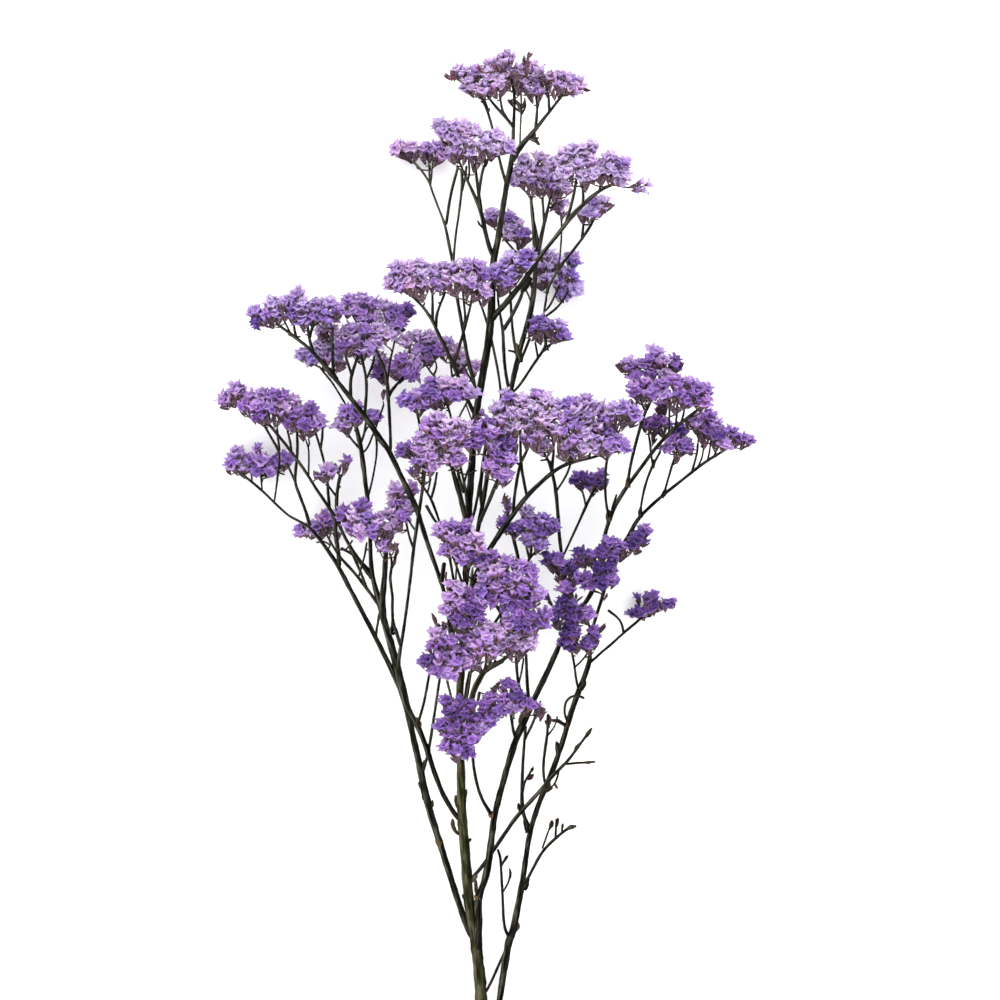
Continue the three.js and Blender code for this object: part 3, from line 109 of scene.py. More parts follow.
        [(10.2, -39.0, 86.0, 0.58), (15.9, -38.0, 90.3, 0.56), (21.6, -35.5, 93.8, 0.55)],
        [(21.6, -35.5, 93.8, 0.54), (27.4, -34.8, 94.9, 0.55), (33.1, -32.9, 95.3, 0.55)],
        [(-15.6, -21.4, 94.0, 0.56), (-16.2, -19.7, 97.3, 0.55), (-16.8, -17.3, 100.1, 0.55)],
        [(-2.9, -41.8, 90.0, 0.84), (-7.9, -37.5, 95.3, 0.69), (-13.0, -31.4, 99.5, 0.55)],
        [(-20.9, -60.0, 88.0, 0.76), (-19.5, -58.4, 91.1, 0.66), (-18.2, -56.0, 93.8, 0.55)],
        [(-20.5, -61.7, 85.5, 0.76), (-20.0, -63.1, 89.9, 0.65), (-19.5, -63.7, 93.8, 0.55)],
        [(-5.2, -56.5, 85.2, 0.76), (-2.3, -54.6, 89.7, 0.65), (1.1, -56.0, 93.5, 0.55)],
    ],
    "second_stem": [
        [(3.0, -338.9, 4.2, 1.89), (9.6, -297.3, 6.0, 1.89), (13.5, -277.3, 7.0, 2.17), (18.8, -241.0, 8.9, 2.52), (19.4, -238.1, 9.2, 2.52), (21.4, -234.1, 10.0, 2.43), (22.2, -230.9, 10.7, 2.34), (29.0, -200.0, 15.5, 1.96), (32.6, -162.3, 20.0, 1.74), (38.0, -150.0, 21.5, 1.72), (42.4, -137.0, 23.0, 1.87), (49.0, -122.3, 25.0, 1.89), (55.6, -102.5, 26.4, 1.74), (59.8, -86.7, 27.0, 1.88), (62.7, -77.6, 27.0, 2.04), (72.2, -54.0, 26.1, 1.73), (72.8, -51.2, 26.0, 1.60), (72.3, -41.2, 25.4, 1.34), (73.1, -34.6, 25.0, 1.12), (74.9, -28.0, 24.5, 1.07), (81.7, -8.5, 23.1, 1.18), (84.4, 4.9, 23.7, 1.40), (89.4, 15.9, 24.6, 1.32), (99.4, 32.7, 26.0, 1.51), (103.3, 40.6, 27.8, 1.37), (106.6, 45.2, 28.9, 1.18), (123.4, 60.4, 33.5, 1.03), (131.3, 66.1, 35.5, 1.04), (144.6, 77.1, 39.0, 1.07), (149.9, 80.9, 40.3, 1.02), (165.4, 90.0, 44.0, 0.81)],
        [(20.5, -235.8, 9.7, 1.20), (17.2, -231.2, 11.9, 1.07), (15.8, -226.3, 14.0, 1.04), (15.6, -210.2, 16.5, 1.01), (14.2, -190.3, 19.7, 0.93), (14.1, -180.1, 21.3, 0.94), (12.1, -176.1, 22.0, 0.93)],
        [(14.2, -187.1, 20.2, 0.84), (17.5, -181.6, 22.0, 0.85)],
        [(15.2, -205.1, 17.3, 0.66), (19.2, -197.2, 19.9, 0.67), (20.4, -190.4, 22.0, 0.67)],
        [(33.0, -161.4, 20.1, 1.26), (29.7, -155.6, 21.8, 1.39), (28.4, -149.8, 23.3, 1.40), (27.9, -143.5, 25.0, 1.43), (28.3, -119.8, 31.2, 1.03), (29.7, -101.9, 36.0, 1.04), (30.4, -93.8, 40.0, 1.01)],
        [(29.6, -103.0, 35.7, 0.93), (35.5, -90.2, 41.8, 0.89), (40.0, -76.7, 48.0, 0.71)],
        [(27.9, -142.0, 25.4, 0.93), (28.8, -133.1, 29.6, 0.86), (30.8, -128.3, 32.1, 0.82), (32.8, -126.2, 33.5, 0.80), (34.6, -121.4, 36.0, 0.67)],
        [(43.9, -133.7, 23.5, 0.98), (42.2, -129.0, 25.4, 0.98), (41.9, -120.0, 28.7, 0.99), (42.9, -109.8, 32.6, 1.10), (45.3, -96.5, 37.9, 0.98), (44.4, -90.4, 40.2, 0.90), (45.0, -85.6, 42.0, 0.84)],
        [(44.6, -100.1, 36.4, 0.59), (48.0, -96.1, 38.3, 0.58), (49.4, -93.5, 39.4, 0.57), (50.5, -90.9, 40.5, 0.57), (51.1, -86.9, 42.0, 0.57)],
        [(57.9, -93.8, 26.8, 1.03), (53.4, -91.5, 30.5, 0.98), (48.6, -89.9, 34.0, 0.92)],
        [(58.4, -92.0, 26.8, 0.86), (56.4, -87.8, 29.2, 0.88), (55.9, -85.1, 30.6, 0.89), (56.2, -79.7, 33.3, 0.89), (57.0, -77.3, 34.6, 0.89), (60.1, -74.1, 37.0, 0.89), (64.4, -72.8, 38.0, 0.90), (68.6, -75.3, 38.0, 0.93)],
        [(65.7, -70.1, 26.7, 1.51), (69.1, -66.7, 30.4, 1.32), (68.6, -62.6, 33.0, 1.18)],
        [(65.4, -70.9, 26.8, 0.86), (63.5, -64.3, 30.0, 0.85), (62.6, -53.1, 35.2, 0.85), (59.5, -39.4, 42.0, 0.75)],
        [(62.7, -55.0, 34.4, 0.68), (67.1, -50.9, 35.2, 0.68), (71.2, -45.6, 36.0, 0.68)],
        [(72.5, -52.6, 26.1, 0.95), (76.8, -49.4, 24.7, 0.89), (80.6, -45.4, 23.2, 0.89), (86.5, -41.4, 21.4, 0.89), (95.8, -32.3, 18.0, 0.92), (103.9, -26.4, 15.4, 0.96), (110.7, -20.0, 13.0, 0.91)],
        [(95.2, -32.9, 18.2, 0.93), (94.1, -27.0, 19.8, 0.84), (92.1, -23.3, 21.2, 0.83), (84.9, -18.1, 24.0, 0.83)],
        [(73.7, -32.4, 24.8, 0.88), (71.3, -25.1, 32.6, 0.76), (70.3, -19.8, 38.0, 0.68)],
        [(29.1, -199.6, 15.5, 1.12), (32.5, -194.8, 16.9, 1.11), (34.0, -192.1, 17.7, 1.10), (40.7, -175.8, 21.8, 1.10), (56.0, -163.0, 26.5, 1.07), (61.4, -159.8, 28.0, 1.01)],
        [(41.5, -175.1, 22.1, 0.73), (47.4, -157.4, 30.0, 0.73)],
        [(50.1, -168.0, 24.7, 0.82), (50.6, -155.5, 30.0, 0.82)],
        [(54.2, -164.5, 26.0, 0.68), (54.7, -158.9, 29.0, 0.68)],
        [(49.9, -119.5, 25.2, 1.64), (52.0, -112.8, 29.0, 1.56), (51.1, -105.3, 33.0, 1.35)],
        [(105.5, 43.7, 28.6, 0.81), (106.7, 54.9, 31.4, 0.83), (109.4, 66.7, 34.4, 0.85), (113.2, 76.8, 37.1, 0.93), (118.4, 86.1, 42.0, 0.84)],
        [(113.8, 77.8, 37.6, 0.81), (112.3, 83.7, 42.0, 0.79), (112.0, 90.9, 44.9, 0.77), (110.5, 98.7, 48.0, 0.75)],
        [(121.2, 58.4, 32.9, 0.81), (126.0, 76.0, 38.5, 0.85), (129.6, 87.1, 42.0, 0.79)],
        [(139.4, 72.7, 37.6, 0.87), (142.5, 85.2, 40.5, 0.78), (143.1, 91.7, 42.0, 0.76)],
        [(142.8, 75.6, 38.5, 0.63), (145.7, 82.1, 41.2, 0.63), (146.8, 89.7, 44.0, 0.63)],
        [(149.6, 80.7, 40.2, 0.73), (150.8, 87.2, 42.2, 0.68), (151.3, 93.6, 44.0, 0.63)],
        [(153.9, 83.3, 41.3, 0.75), (155.8, 89.6, 44.0, 0.62)],
        [(82.9, -2.5, 23.4, 0.92), (82.4, 9.1, 44.0, 0.77)],
        [(72.4, -43.3, 25.5, 0.99), (71.2, -33.5, 42.0, 0.93)],
        [(100.7, 35.3, 26.6, 0.88), (106.3, 30.7, 40.0, 0.75)],
        [(146.7, 88.8, 43.6, 0.57), (145.8, 89.2, 43.1, 0.56), (144.8, 89.7, 42.4, 0.55)],
        [(154.2, 83.4, 41.3, 0.85), (154.7, 83.2, 41.8, 0.70), (155.3, 83.1, 42.1, 0.55)],
        [(126.6, 77.9, 39.1, 0.76), (127.9, 78.4, 38.8, 0.65), (129.3, 79.2, 38.4, 0.55)],
        [(112.1, 88.9, 44.0, 0.70), (112.0, 89.0, 45.9, 0.63), (111.9, 89.6, 47.6, 0.55)],
        [(118.4, 86.1, 42.0, 0.76), (118.4, 87.5, 45.0, 0.66), (118.4, 89.6, 47.6, 0.55)],
        [(92.1, 20.3, 25.0, 0.85), (96.8, 19.9, 34.8, 0.70), (101.6, 21.6, 43.3, 0.55)],
        [(60.9, -45.8, 38.8, 0.72), (60.9, -45.8, 43.9, 0.63), (60.9, -44.9, 48.4, 0.55)],
        [(71.2, -33.5, 42.0, 0.84), (72.2, -30.5, 44.0, 0.69), (71.4, -26.7, 45.6, 0.55)],
        [(69.1, -48.3, 35.6, 0.61), (71.2, -48.4, 37.6, 0.58), (72.9, -49.2, 39.3, 0.55)],
        [(107.0, -23.6, 14.3, 0.84), (110.1, -22.9, 10.9, 0.70), (113.4, -22.7, 6.9, 0.55)],
        [(110.2, -22.9, 10.8, 0.54), (109.2, -24.2, 8.7, 0.55), (109.5, -25.3, 6.3, 0.55)],
    ],
    "branch_right": [
        [(-0.9, -242.4, 12.0, 2.65), (-0.8, -230.2, 14.5, 2.71), (-0.9, -217.9, 18.0, 2.65), (-1.0, -209.1, 20.5, 2.52), (0.4, -203.6, 22.0, 2.24), (3.0, -198.3, 23.0, 2.05), (3.8, -194.3, 22.3, 2.45), (5.7, -186.8, 25.0, 2.44), (7.7, -173.0, 26.0, 2.21), (8.8, -153.7, 29.0, 2.02), (17.3, -124.7, 36.8, 1.90), (24.2, -100.1, 43.5, 2.25), (28.1, -92.8, 45.8, 2.50), (30.7, -87.7, 47.3, 2.21), (33.8, -78.8, 48.0, 1.89), (44.6, -58.7, 46.0, 1.89), (52.5, -40.5, 40.9, 1.80), (55.7, -31.7, 38.4, 1.07), (58.7, -27.0, 36.9, 0.97), (67.7, -15.5, 33.0, 1.36), (73.5, -7.0, 33.3, 1.60), (75.0, -3.9, 33.4, 1.52), (79.2, 15.2, 34.0, 0.99), (83.3, 37.9, 40.0, 1.40), (87.6, 49.5, 43.9, 1.49), (96.9, 64.7, 50.0, 1.27), (107.1, 77.7, 55.2, 1.15), (112.5, 85.8, 58.2, 1.20), (120.4, 95.2, 62.0, 1.20), (128.4, 103.2, 65.9, 1.14), (137.4, 109.4, 69.7, 1.06), (142.5, 113.9, 72.0, 0.90)],
        [(8.8, -153.7, 29.0, 1.26), (2.0, -142.7, 38.5, 1.14), (-0.5, -135.6, 44.4, 1.12), (-3.9, -120.1, 56.8, 1.10), (-4.7, -103.5, 70.0, 1.01)],
        [(23.8, -101.7, 43.1, 1.11), (22.0, -96.0, 49.8, 1.12), (21.0, -85.3, 62.8, 1.06), (19.0, -74.9, 76.0, 0.87)],
        [(32.9, -81.6, 47.8, 1.23), (31.4, -65.9, 61.6, 1.23), (30.4, -45.0, 80.0, 0.95)],
        [(32.2, -74.3, 54.2, 0.82), (29.0, -71.9, 57.3, 0.85), (26.6, -68.9, 60.9, 0.91), (25.8, -66.4, 63.4, 0.97), (24.2, -54.0, 74.1, 1.00), (23.8, -44.9, 82.0, 0.93)],
        [(25.6, -65.1, 64.5, 0.67), (27.4, -57.0, 71.7, 0.67), (28.8, -47.6, 80.0, 0.63)],
        [(60.7, -24.4, 36.0, 1.40), (59.0, -14.7, 35.8, 1.13), (58.3, -4.7, 36.9, 0.99), (54.4, 15.0, 40.0, 1.10), (52.4, 28.1, 46.2, 1.11), (51.4, 44.5, 54.0, 1.13), (49.9, 64.0, 67.1, 1.26), (45.4, 80.1, 78.3, 1.04), (40.8, 87.1, 84.0, 0.76)],
        [(50.2, 60.6, 64.8, 0.71), (54.6, 67.1, 71.5, 0.75), (57.4, 72.3, 76.5, 0.74), (59.9, 80.6, 84.0, 0.79)],
        [(54.2, 16.3, 40.6, 0.73), (64.9, 38.7, 34.7, 0.79), (71.1, 53.3, 30.9, 1.12), (77.0, 64.2, 28.0, 1.10)],
        [(70.0, 50.7, 31.6, 0.74), (68.3, 58.6, 28.4, 0.71), (65.8, 64.5, 26.0, 0.69)],
        [(55.2, 11.1, 39.4, 0.88), (48.5, 16.4, 46.0, 0.75)],
        [(62.1, -22.7, 35.5, 0.94), (59.9, -19.1, 40.5, 0.85), (58.3, -15.0, 46.0, 0.75)],
        [(78.4, 11.4, 33.9, 0.94), (76.0, 15.2, 40.0, 0.84), (72.7, 17.7, 46.0, 0.75)],
        [(96.7, 64.4, 49.9, 1.04), (98.1, 76.8, 53.7, 1.04), (103.6, 98.5, 60.6, 1.19), (107.1, 110.8, 64.6, 1.12), (112.1, 120.6, 68.0, 1.01)],
        [(107.7, 111.9, 64.9, 0.81), (102.2, 126.4, 64.0, 0.68)],
        [(86.8, 48.4, 46.0, 0.88), (88.4, 53.7, 47.0, 0.94), (89.7, 58.2, 48.0, 0.68)],
        [(84.9, 42.3, 41.4, 0.93), (82.3, 54.1, 52.4, 0.91), (81.8, 64.0, 61.7, 0.93), (81.7, 76.1, 73.2, 1.00), (83.6, 87.1, 84.0, 0.96)],
        [(123.3, 98.1, 63.4, 0.75), (123.3, 114.5, 70.0, 0.68)],
        [(127.1, 102.0, 65.3, 0.75), (128.1, 109.2, 67.5, 0.71), (128.5, 117.1, 70.0, 0.68)],
        [(131.0, 105.0, 67.0, 0.75), (132.6, 111.1, 68.5, 0.71), (133.0, 117.8, 70.0, 0.68)],
        [(59.3, 78.4, 81.9, 0.70), (60.3, 78.1, 86.0, 0.62), (61.4, 78.7, 89.6, 0.55)],
        [(83.6, 87.1, 84.0, 0.85), (86.6, 91.8, 88.5, 0.70), (89.6, 98.0, 92.1, 0.55)],
        [(73.1, 56.9, 30.0, 0.85), (74.5, 57.2, 26.2, 0.70), (75.9, 58.3, 22.0, 0.55)],
        [(102.2, 126.4, 64.0, 0.61), (101.0, 128.9, 60.6, 0.58), (99.8, 132.4, 56.7, 0.55)],
        [(101.2, 128.3, 61.4, 0.54), (107.7, 128.4, 59.2, 0.55), (114.1, 129.8, 56.1, 0.55)],
        [(136.6, 108.8, 69.3, 0.85), (137.9, 108.4, 72.0, 0.70), (139.3, 108.6, 74.4, 0.55)],
        [(123.3, 108.7, 67.7, 0.63), (124.8, 108.9, 72.0, 0.59), (126.3, 109.9, 75.8, 0.55)],
        [(108.9, 114.4, 65.8, 0.85), (108.3, 114.3, 70.2, 0.70), (107.6, 115.1, 74.1, 0.55)],
        [(58.3, -15.0, 46.0, 0.67), (58.3, -13.2, 46.5, 0.61), (58.3, -11.0, 46.7, 0.55)],
        [(57.5, -0.8, 37.5, 0.85), (56.0, -0.5, 42.6, 0.70), (54.4, 0.7, 47.0, 0.55)],
        [(76.1, 1.1, 33.6, 0.85), (76.4, 0.8, 41.4, 0.70), (76.6, 2.1, 48.4, 0.55)],
        [(76.5, 1.6, 46.8, 0.54), (79.2, 1.6, 47.8, 0.55), (81.8, 2.1, 48.4, 0.55)],
        [(74.5, -5.0, 33.4, 0.85), (77.9, -5.8, 41.2, 0.70), (80.5, -7.1, 48.1, 0.55)],
        [(24.1, -51.7, 76.1, 0.85), (24.4, -52.0, 81.4, 0.70), (24.8, -51.2, 86.1, 0.55)],
        [(-4.7, -103.5, 70.0, 0.85), (-2.8, -102.5, 75.5, 0.70), (-0.3, -101.7, 80.4, 0.55)],
        [(-4.4, -109.1, 65.6, 0.85), (-5.6, -109.3, 73.0, 0.70), (-6.7, -108.2, 79.5, 0.55)],
        [(-6.5, -108.6, 78.0, 0.54), (-8.5, -110.0, 78.7, 0.55), (-10.6, -110.8, 79.2, 0.55)],
        [(-10.6, -110.8, 79.2, 0.54), (-11.3, -112.3, 78.9, 0.55), (-11.9, -113.5, 78.4, 0.55)],
        [(20.5, -82.7, 66.1, 0.85), (20.9, -85.8, 73.5, 0.70), (22.9, -86.3, 80.1, 0.55)],
    ],
    "cross_branch": [
        [(-7.3, -198.1, 18.0, 1.32), (4.0, -185.4, 17.9, 1.33), (11.3, -173.4, 19.6, 1.38), (18.6, -163.0, 21.6, 1.40), (22.6, -156.4, 22.8, 1.42), (27.6, -150.6, 24.0, 1.45), (40.3, -136.3, 33.0, 1.43), (49.6, -124.8, 34.5, 1.26), (51.7, -122.6, 35.2, 1.20), (57.6, -118.0, 36.7, 1.13), (68.4, -101.7, 40.5, 1.02), (73.0, -95.7, 42.0, 1.01)],
        [(56.8, -118.6, 36.5, 0.88), (65.6, -117.5, 36.3, 0.87), (71.6, -117.8, 36.1, 0.86), (75.6, -117.1, 36.0, 0.85)],
        [(52.4, -122.0, 35.4, 0.68), (51.2, -128.1, 33.5, 0.68), (50.1, -130.7, 32.6, 0.68), (48.7, -133.0, 31.8, 0.68), (46.8, -134.4, 31.0, 0.68)],
    ],
    "branch_upper_right": [
        [(-8.5, -12.7, 56.6, 1.69), (-2.7, 4.2, 61.7, 1.73), (1.1, 13.3, 64.5, 1.70), (3.0, 16.8, 65.6, 1.68), (16.9, 38.3, 74.0, 1.79), (30.6, 58.2, 77.2, 1.54), (47.0, 72.3, 80.0, 1.32), (53.6, 76.7, 81.4, 1.27), (62.1, 79.9, 83.0, 1.10), (71.7, 81.2, 84.7, 0.90), (78.7, 83.7, 86.0, 0.79)],
        [(30.6, 58.2, 77.2, 0.95), (27.1, 78.8, 82.2, 1.08), (26.8, 102.5, 88.0, 0.76)],
        [(21.8, 45.4, 75.1, 1.03), (22.8, 58.3, 78.0, 1.10), (26.1, 76.2, 82.2, 1.08), (26.8, 78.8, 82.8, 1.06), (29.7, 83.1, 84.0, 1.03), (35.9, 99.0, 88.0, 0.75)],
        [(47.0, 72.3, 80.0, 1.14), (47.2, 79.1, 81.9, 1.02), (48.7, 86.5, 83.9, 0.88), (47.3, 94.2, 86.0, 0.75)],
        [(57.5, 78.1, 82.1, 0.88), (60.1, 83.5, 85.1, 0.81), (62.1, 89.0, 88.0, 0.75)],
        [(70.5, 81.0, 84.5, 0.88), (72.4, 87.7, 88.0, 0.75)],
        [(26.4, 77.5, 82.5, 0.85), (25.3, 77.7, 86.6, 0.70), (24.2, 78.7, 90.1, 0.55)],
        [(24.7, 78.1, 88.4, 0.54), (26.0, 78.2, 89.8, 0.55), (27.4, 78.7, 90.9, 0.55)],
        [(47.2, 77.2, 81.3, 0.85), (44.3, 80.4, 86.3, 0.70), (39.6, 80.0, 90.6, 0.55)],
        [(78.7, 83.7, 86.0, 0.71), (80.3, 81.5, 88.1, 0.63), (82.0, 80.0, 89.8, 0.55)],
    ],
    "branch_left_low": [
        [(-2.0, -237.4, 11.7, 2.00), (-6.9, -232.4, 12.4, 2.00), (-7.8, -229.8, 12.8, 2.00), (-17.7, -200.2, 16.5, 2.12), (-29.6, -160.4, 19.5, 2.22), (-33.0, -150.5, 20.1, 2.32), (-37.5, -132.6, 21.0, 2.54), (-38.7, -122.0, 21.8, 2.33), (-44.5, -99.1, 23.6, 1.89), (-46.1, -87.6, 24.5, 2.28), (-50.1, -72.7, 25.7, 2.78), (-53.5, -58.5, 26.7, 2.70), (-56.1, -47.0, 28.0, 2.54), (-63.8, -21.3, 31.9, 2.11), (-66.6, -9.1, 33.6, 1.87), (-70.2, 3.3, 34.7, 1.57), (-71.2, 10.7, 35.3, 1.50), (-71.6, 28.1, 37.2, 1.17), (-71.9, 47.8, 39.6, 1.38), (-75.5, 71.6, 41.9, 1.48), (-76.3, 83.7, 43.0, 1.62), (-79.1, 97.4, 45.0, 1.48), (-81.0, 104.6, 46.0, 1.22)],
        [(-48.6, -78.5, 25.2, 2.24), (-52.8, -67.4, 25.6, 2.19), (-59.4, -54.3, 26.1, 1.63), (-68.5, -35.0, 26.7, 1.62), (-83.9, -7.4, 27.7, 1.55), (-93.1, 13.0, 28.4, 1.57), (-104.7, 27.9, 29.0, 1.21), (-112.0, 38.3, 29.0, 0.85), (-119.9, 40.9, 26.8, 0.87), (-125.9, 44.3, 25.1, 0.90), (-130.6, 48.3, 23.5, 0.90), (-142.9, 60.6, 19.9, 0.91), (-151.0, 67.2, 18.1, 0.95), (-155.0, 69.9, 17.3, 0.87), (-160.3, 75.2, 16.0, 0.74)],
        [(-143.5, 61.1, 19.8, 0.60), (-144.5, 72.8, 18.0, 0.60)],
        [(-150.3, 66.6, 18.3, 0.68), (-150.8, 71.5, 16.0, 0.62)],
        [(-135.4, 53.1, 22.1, 0.67), (-133.9, 61.0, 27.0, 0.73), (-132.9, 68.9, 30.0, 0.73), (-131.2, 80.6, 31.3, 0.93), (-131.4, 87.2, 32.0, 0.97), (-135.8, 93.8, 33.7, 0.92), (-141.1, 103.5, 36.0, 0.84)],
        [(-131.4, 87.2, 32.0, 0.93), (-132.7, 101.5, 36.0, 0.76)],
        [(-111.5, 37.6, 29.0, 1.12), (-113.2, 45.0, 29.7, 1.08), (-119.2, 60.3, 31.2, 1.01), (-121.0, 65.7, 31.7, 0.99), (-121.5, 68.8, 32.0, 0.99), (-118.8, 87.1, 35.5, 0.99), (-119.4, 100.1, 38.0, 0.93)],
        [(-121.3, 67.3, 31.8, 0.93), (-127.6, 79.9, 22.0, 0.76)],
        [(-92.3, 11.2, 28.4, 1.43), (-92.0, 16.9, 30.2, 1.57), (-93.9, 28.4, 34.7, 1.42), (-94.3, 34.6, 37.0, 1.38), (-94.1, 41.0, 37.3, 1.33), (-94.8, 44.0, 37.1, 1.29), (-98.5, 49.8, 37.1, 1.16), (-106.2, 60.4, 37.7, 0.95), (-115.6, 76.3, 38.5, 0.99), (-123.8, 87.4, 39.1, 1.09), (-138.1, 104.7, 40.0, 0.91)],
        [(-111.9, 70.1, 38.2, 0.70), (-111.8, 87.0, 39.5, 0.66), (-113.3, 92.9, 40.0, 0.67)],
        [(-123.1, 86.4, 39.0, 0.88), (-124.0, 93.2, 40.5, 0.85), (-125.6, 100.0, 42.0, 0.76)],
        [(-98.2, 49.4, 37.1, 1.06), (-99.5, 59.7, 33.0, 1.05), (-99.9, 66.1, 28.0, 0.93), (-100.4, 69.9, 26.9, 0.87), (-101.6, 76.8, 27.9, 0.89), (-103.4, 85.8, 32.0, 0.88), (-108.2, 101.5, 38.0, 0.84)],
        [(-104.2, 88.3, 33.0, 0.88), (-102.9, 96.9, 37.9, 0.84), (-102.6, 104.1, 42.0, 0.76)],
        [(-70.3, 3.6, 34.7, 1.68), (-78.5, 14.6, 35.0, 1.57), (-83.7, 21.8, 35.1, 1.09), (-91.7, 36.4, 35.4, 1.08), (-93.4, 44.4, 35.5, 1.23), (-93.9, 54.3, 35.7, 1.18), (-92.8, 64.3, 35.9, 1.15), (-91.1, 71.0, 36.0, 1.10)],
        [(-93.6, 56.8, 35.8, 0.87), (-99.1, 64.0, 38.0, 0.84)],
        [(-65.2, -15.4, 32.7, 1.25), (-79.6, 3.6, 30.7, 1.05), (-91.7, 17.1, 29.0, 0.99)],
        [(-70.7, 7.2, 35.0, 1.07), (-82.7, 18.3, 33.0, 1.01), (-90.8, 23.0, 32.0, 0.95)],
        [(-73.8, -4.0, 31.5, 0.98), (-78.6, 8.5, 32.7, 0.99), (-85.3, 23.8, 34.0, 0.99)],
        [(-79.5, 3.5, 30.7, 0.75), (-77.3, 11.5, 36.0, 0.75), (-75.0, 17.6, 40.0, 0.74), (-73.5, 26.8, 46.0, 0.69)],
        [(-63.3, -23.0, 31.6, 2.34), (-64.2, -11.3, 36.2, 2.11), (-61.6, 5.2, 42.8, 1.80), (-61.6, 15.1, 46.8, 1.73), (-60.7, 23.0, 50.0, 1.60)],
        [(-77.0, 87.1, 43.5, 0.92), (-82.9, 93.6, 44.8, 0.80), (-87.3, 100.1, 46.0, 0.71)],
        [(-77.8, 90.9, 44.0, 0.93), (-75.1, 98.8, 45.0, 0.89), (-73.9, 106.6, 46.0, 0.84)],
        [(-76.7, 85.4, 43.2, 0.70), (-73.4, 87.8, 44.4, 0.74), (-72.1, 90.4, 45.4, 0.78), (-64.1, 110.8, 52.1, 0.64), (-62.2, 116.6, 54.0, 0.63)],
        [(-73.2, 56.1, 40.4, 0.89), (-70.5, 64.2, 42.0, 0.66), (-67.0, 82.8, 45.5, 0.68), (-66.8, 89.1, 46.7, 0.77), (-67.4, 96.1, 48.0, 0.88)],
        [(-79.0, 96.8, 44.9, 1.10), (-82.0, 104.2, 36.0, 1.07), (-83.8, 109.5, 34.2, 1.05), (-86.2, 114.7, 34.0, 0.70), (-87.6, 117.1, 35.0, 0.65), (-89.1, 119.6, 38.1, 0.67), (-93.4, 127.3, 50.0, 0.69), (-96.5, 132.5, 50.0, 0.74), (-100.4, 136.5, 49.1, 0.77), (-104.4, 141.8, 48.0, 0.75)],
        [(-38.0, -127.7, 21.4, 1.00), (-33.2, -111.5, 27.0, 1.08), (-30.9, -95.5, 46.4, 1.03), (-24.8, -57.5, 88.0, 0.93)],
        [(-86.5, 11.2, 29.8, 0.81), (-89.9, 15.8, 44.7, 0.79), (-91.5, 18.0, 50.0, 0.77), (-93.5, 21.3, 51.2, 0.76), (-95.4, 24.5, 50.0, 0.74), (-101.9, 36.2, 50.0, 0.69)],
        [(-102.4, 139.1, 48.5, 0.68), (-100.2, 139.5, 45.2, 0.62), (-98.1, 140.8, 41.3, 0.55)],
        [(-99.1, 140.0, 43.2, 0.54), (-101.0, 140.1, 41.2, 0.55), (-102.8, 140.8, 38.7, 0.55)],
        [(-101.0, 140.2, 41.1, 0.54), (-99.9, 139.0, 40.0, 0.55), (-98.8, 138.2, 38.7, 0.55)],
        [(-132.5, 99.5, 35.4, 0.71), (-132.8, 99.8, 35.2, 0.63), (-133.1, 100.3, 34.9, 0.55)],
        [(-112.3, 89.0, 39.7, 0.60), (-111.4, 91.6, 38.6, 0.57), (-112.0, 95.0, 37.2, 0.55)],
        [(-141.1, 103.5, 36.0, 0.76), (-145.0, 107.2, 34.7, 0.66), (-149.0, 112.1, 32.7, 0.55)],
        [(-154.0, 69.2, 17.5, 0.80), (-155.6, 69.3, 13.4, 0.67), (-157.2, 70.2, 8.7, 0.55)],
        [(-143.9, 66.4, 19.0, 0.54), (-143.9, 66.5, 14.1, 0.55), (-143.9, 67.6, 8.5, 0.55)],
        [(-144.2, 69.6, 18.5, 0.54), (-137.2, 73.4, 14.5, 0.55), (-129.3, 71.6, 9.4, 0.55)],
        [(-79.7, 99.5, 45.3, 0.85), (-80.6, 99.7, 45.0, 0.70), (-81.6, 100.1, 44.7, 0.55)],
        [(-75.1, 98.8, 45.0, 0.80), (-74.0, 100.7, 44.5, 0.67), (-72.5, 102.7, 43.6, 0.55)],
        [(-84.2, 95.5, 45.2, 0.69), (-85.5, 95.8, 44.5, 0.62), (-86.9, 96.2, 43.6, 0.55)],
        [(-99.1, 64.0, 38.0, 0.76), (-99.1, 64.3, 37.0, 0.66), (-99.0, 64.8, 35.9, 0.55)],
        [(-93.1, 62.0, 35.8, 0.85), (-92.1, 62.6, 34.8, 0.70), (-91.2, 63.5, 33.6, 0.55)],
        [(-100.9, 22.9, 28.8, 0.85), (-99.9, 22.6, 19.1, 0.70), (-98.9, 24.5, 8.1, 0.55)],
        [(-98.9, 24.5, 8.1, 0.54), (-103.1, 27.0, 7.8, 0.55), (-108.2, 26.4, 7.0, 0.55)],
        [(-61.6, 14.1, 46.4, 0.85), (-61.6, 14.2, 52.0, 0.70), (-61.6, 15.3, 57.0, 0.55)],
        [(-74.1, 22.6, 43.3, 0.64), (-72.4, 22.1, 51.0, 0.60), (-70.7, 23.1, 57.8, 0.55)],
        [(-94.7, 23.4, 50.4, 0.67), (-87.4, 22.2, 54.3, 0.61), (-82.4, 28.3, 57.3, 0.55)],
    ],
    "branch_left_second": [
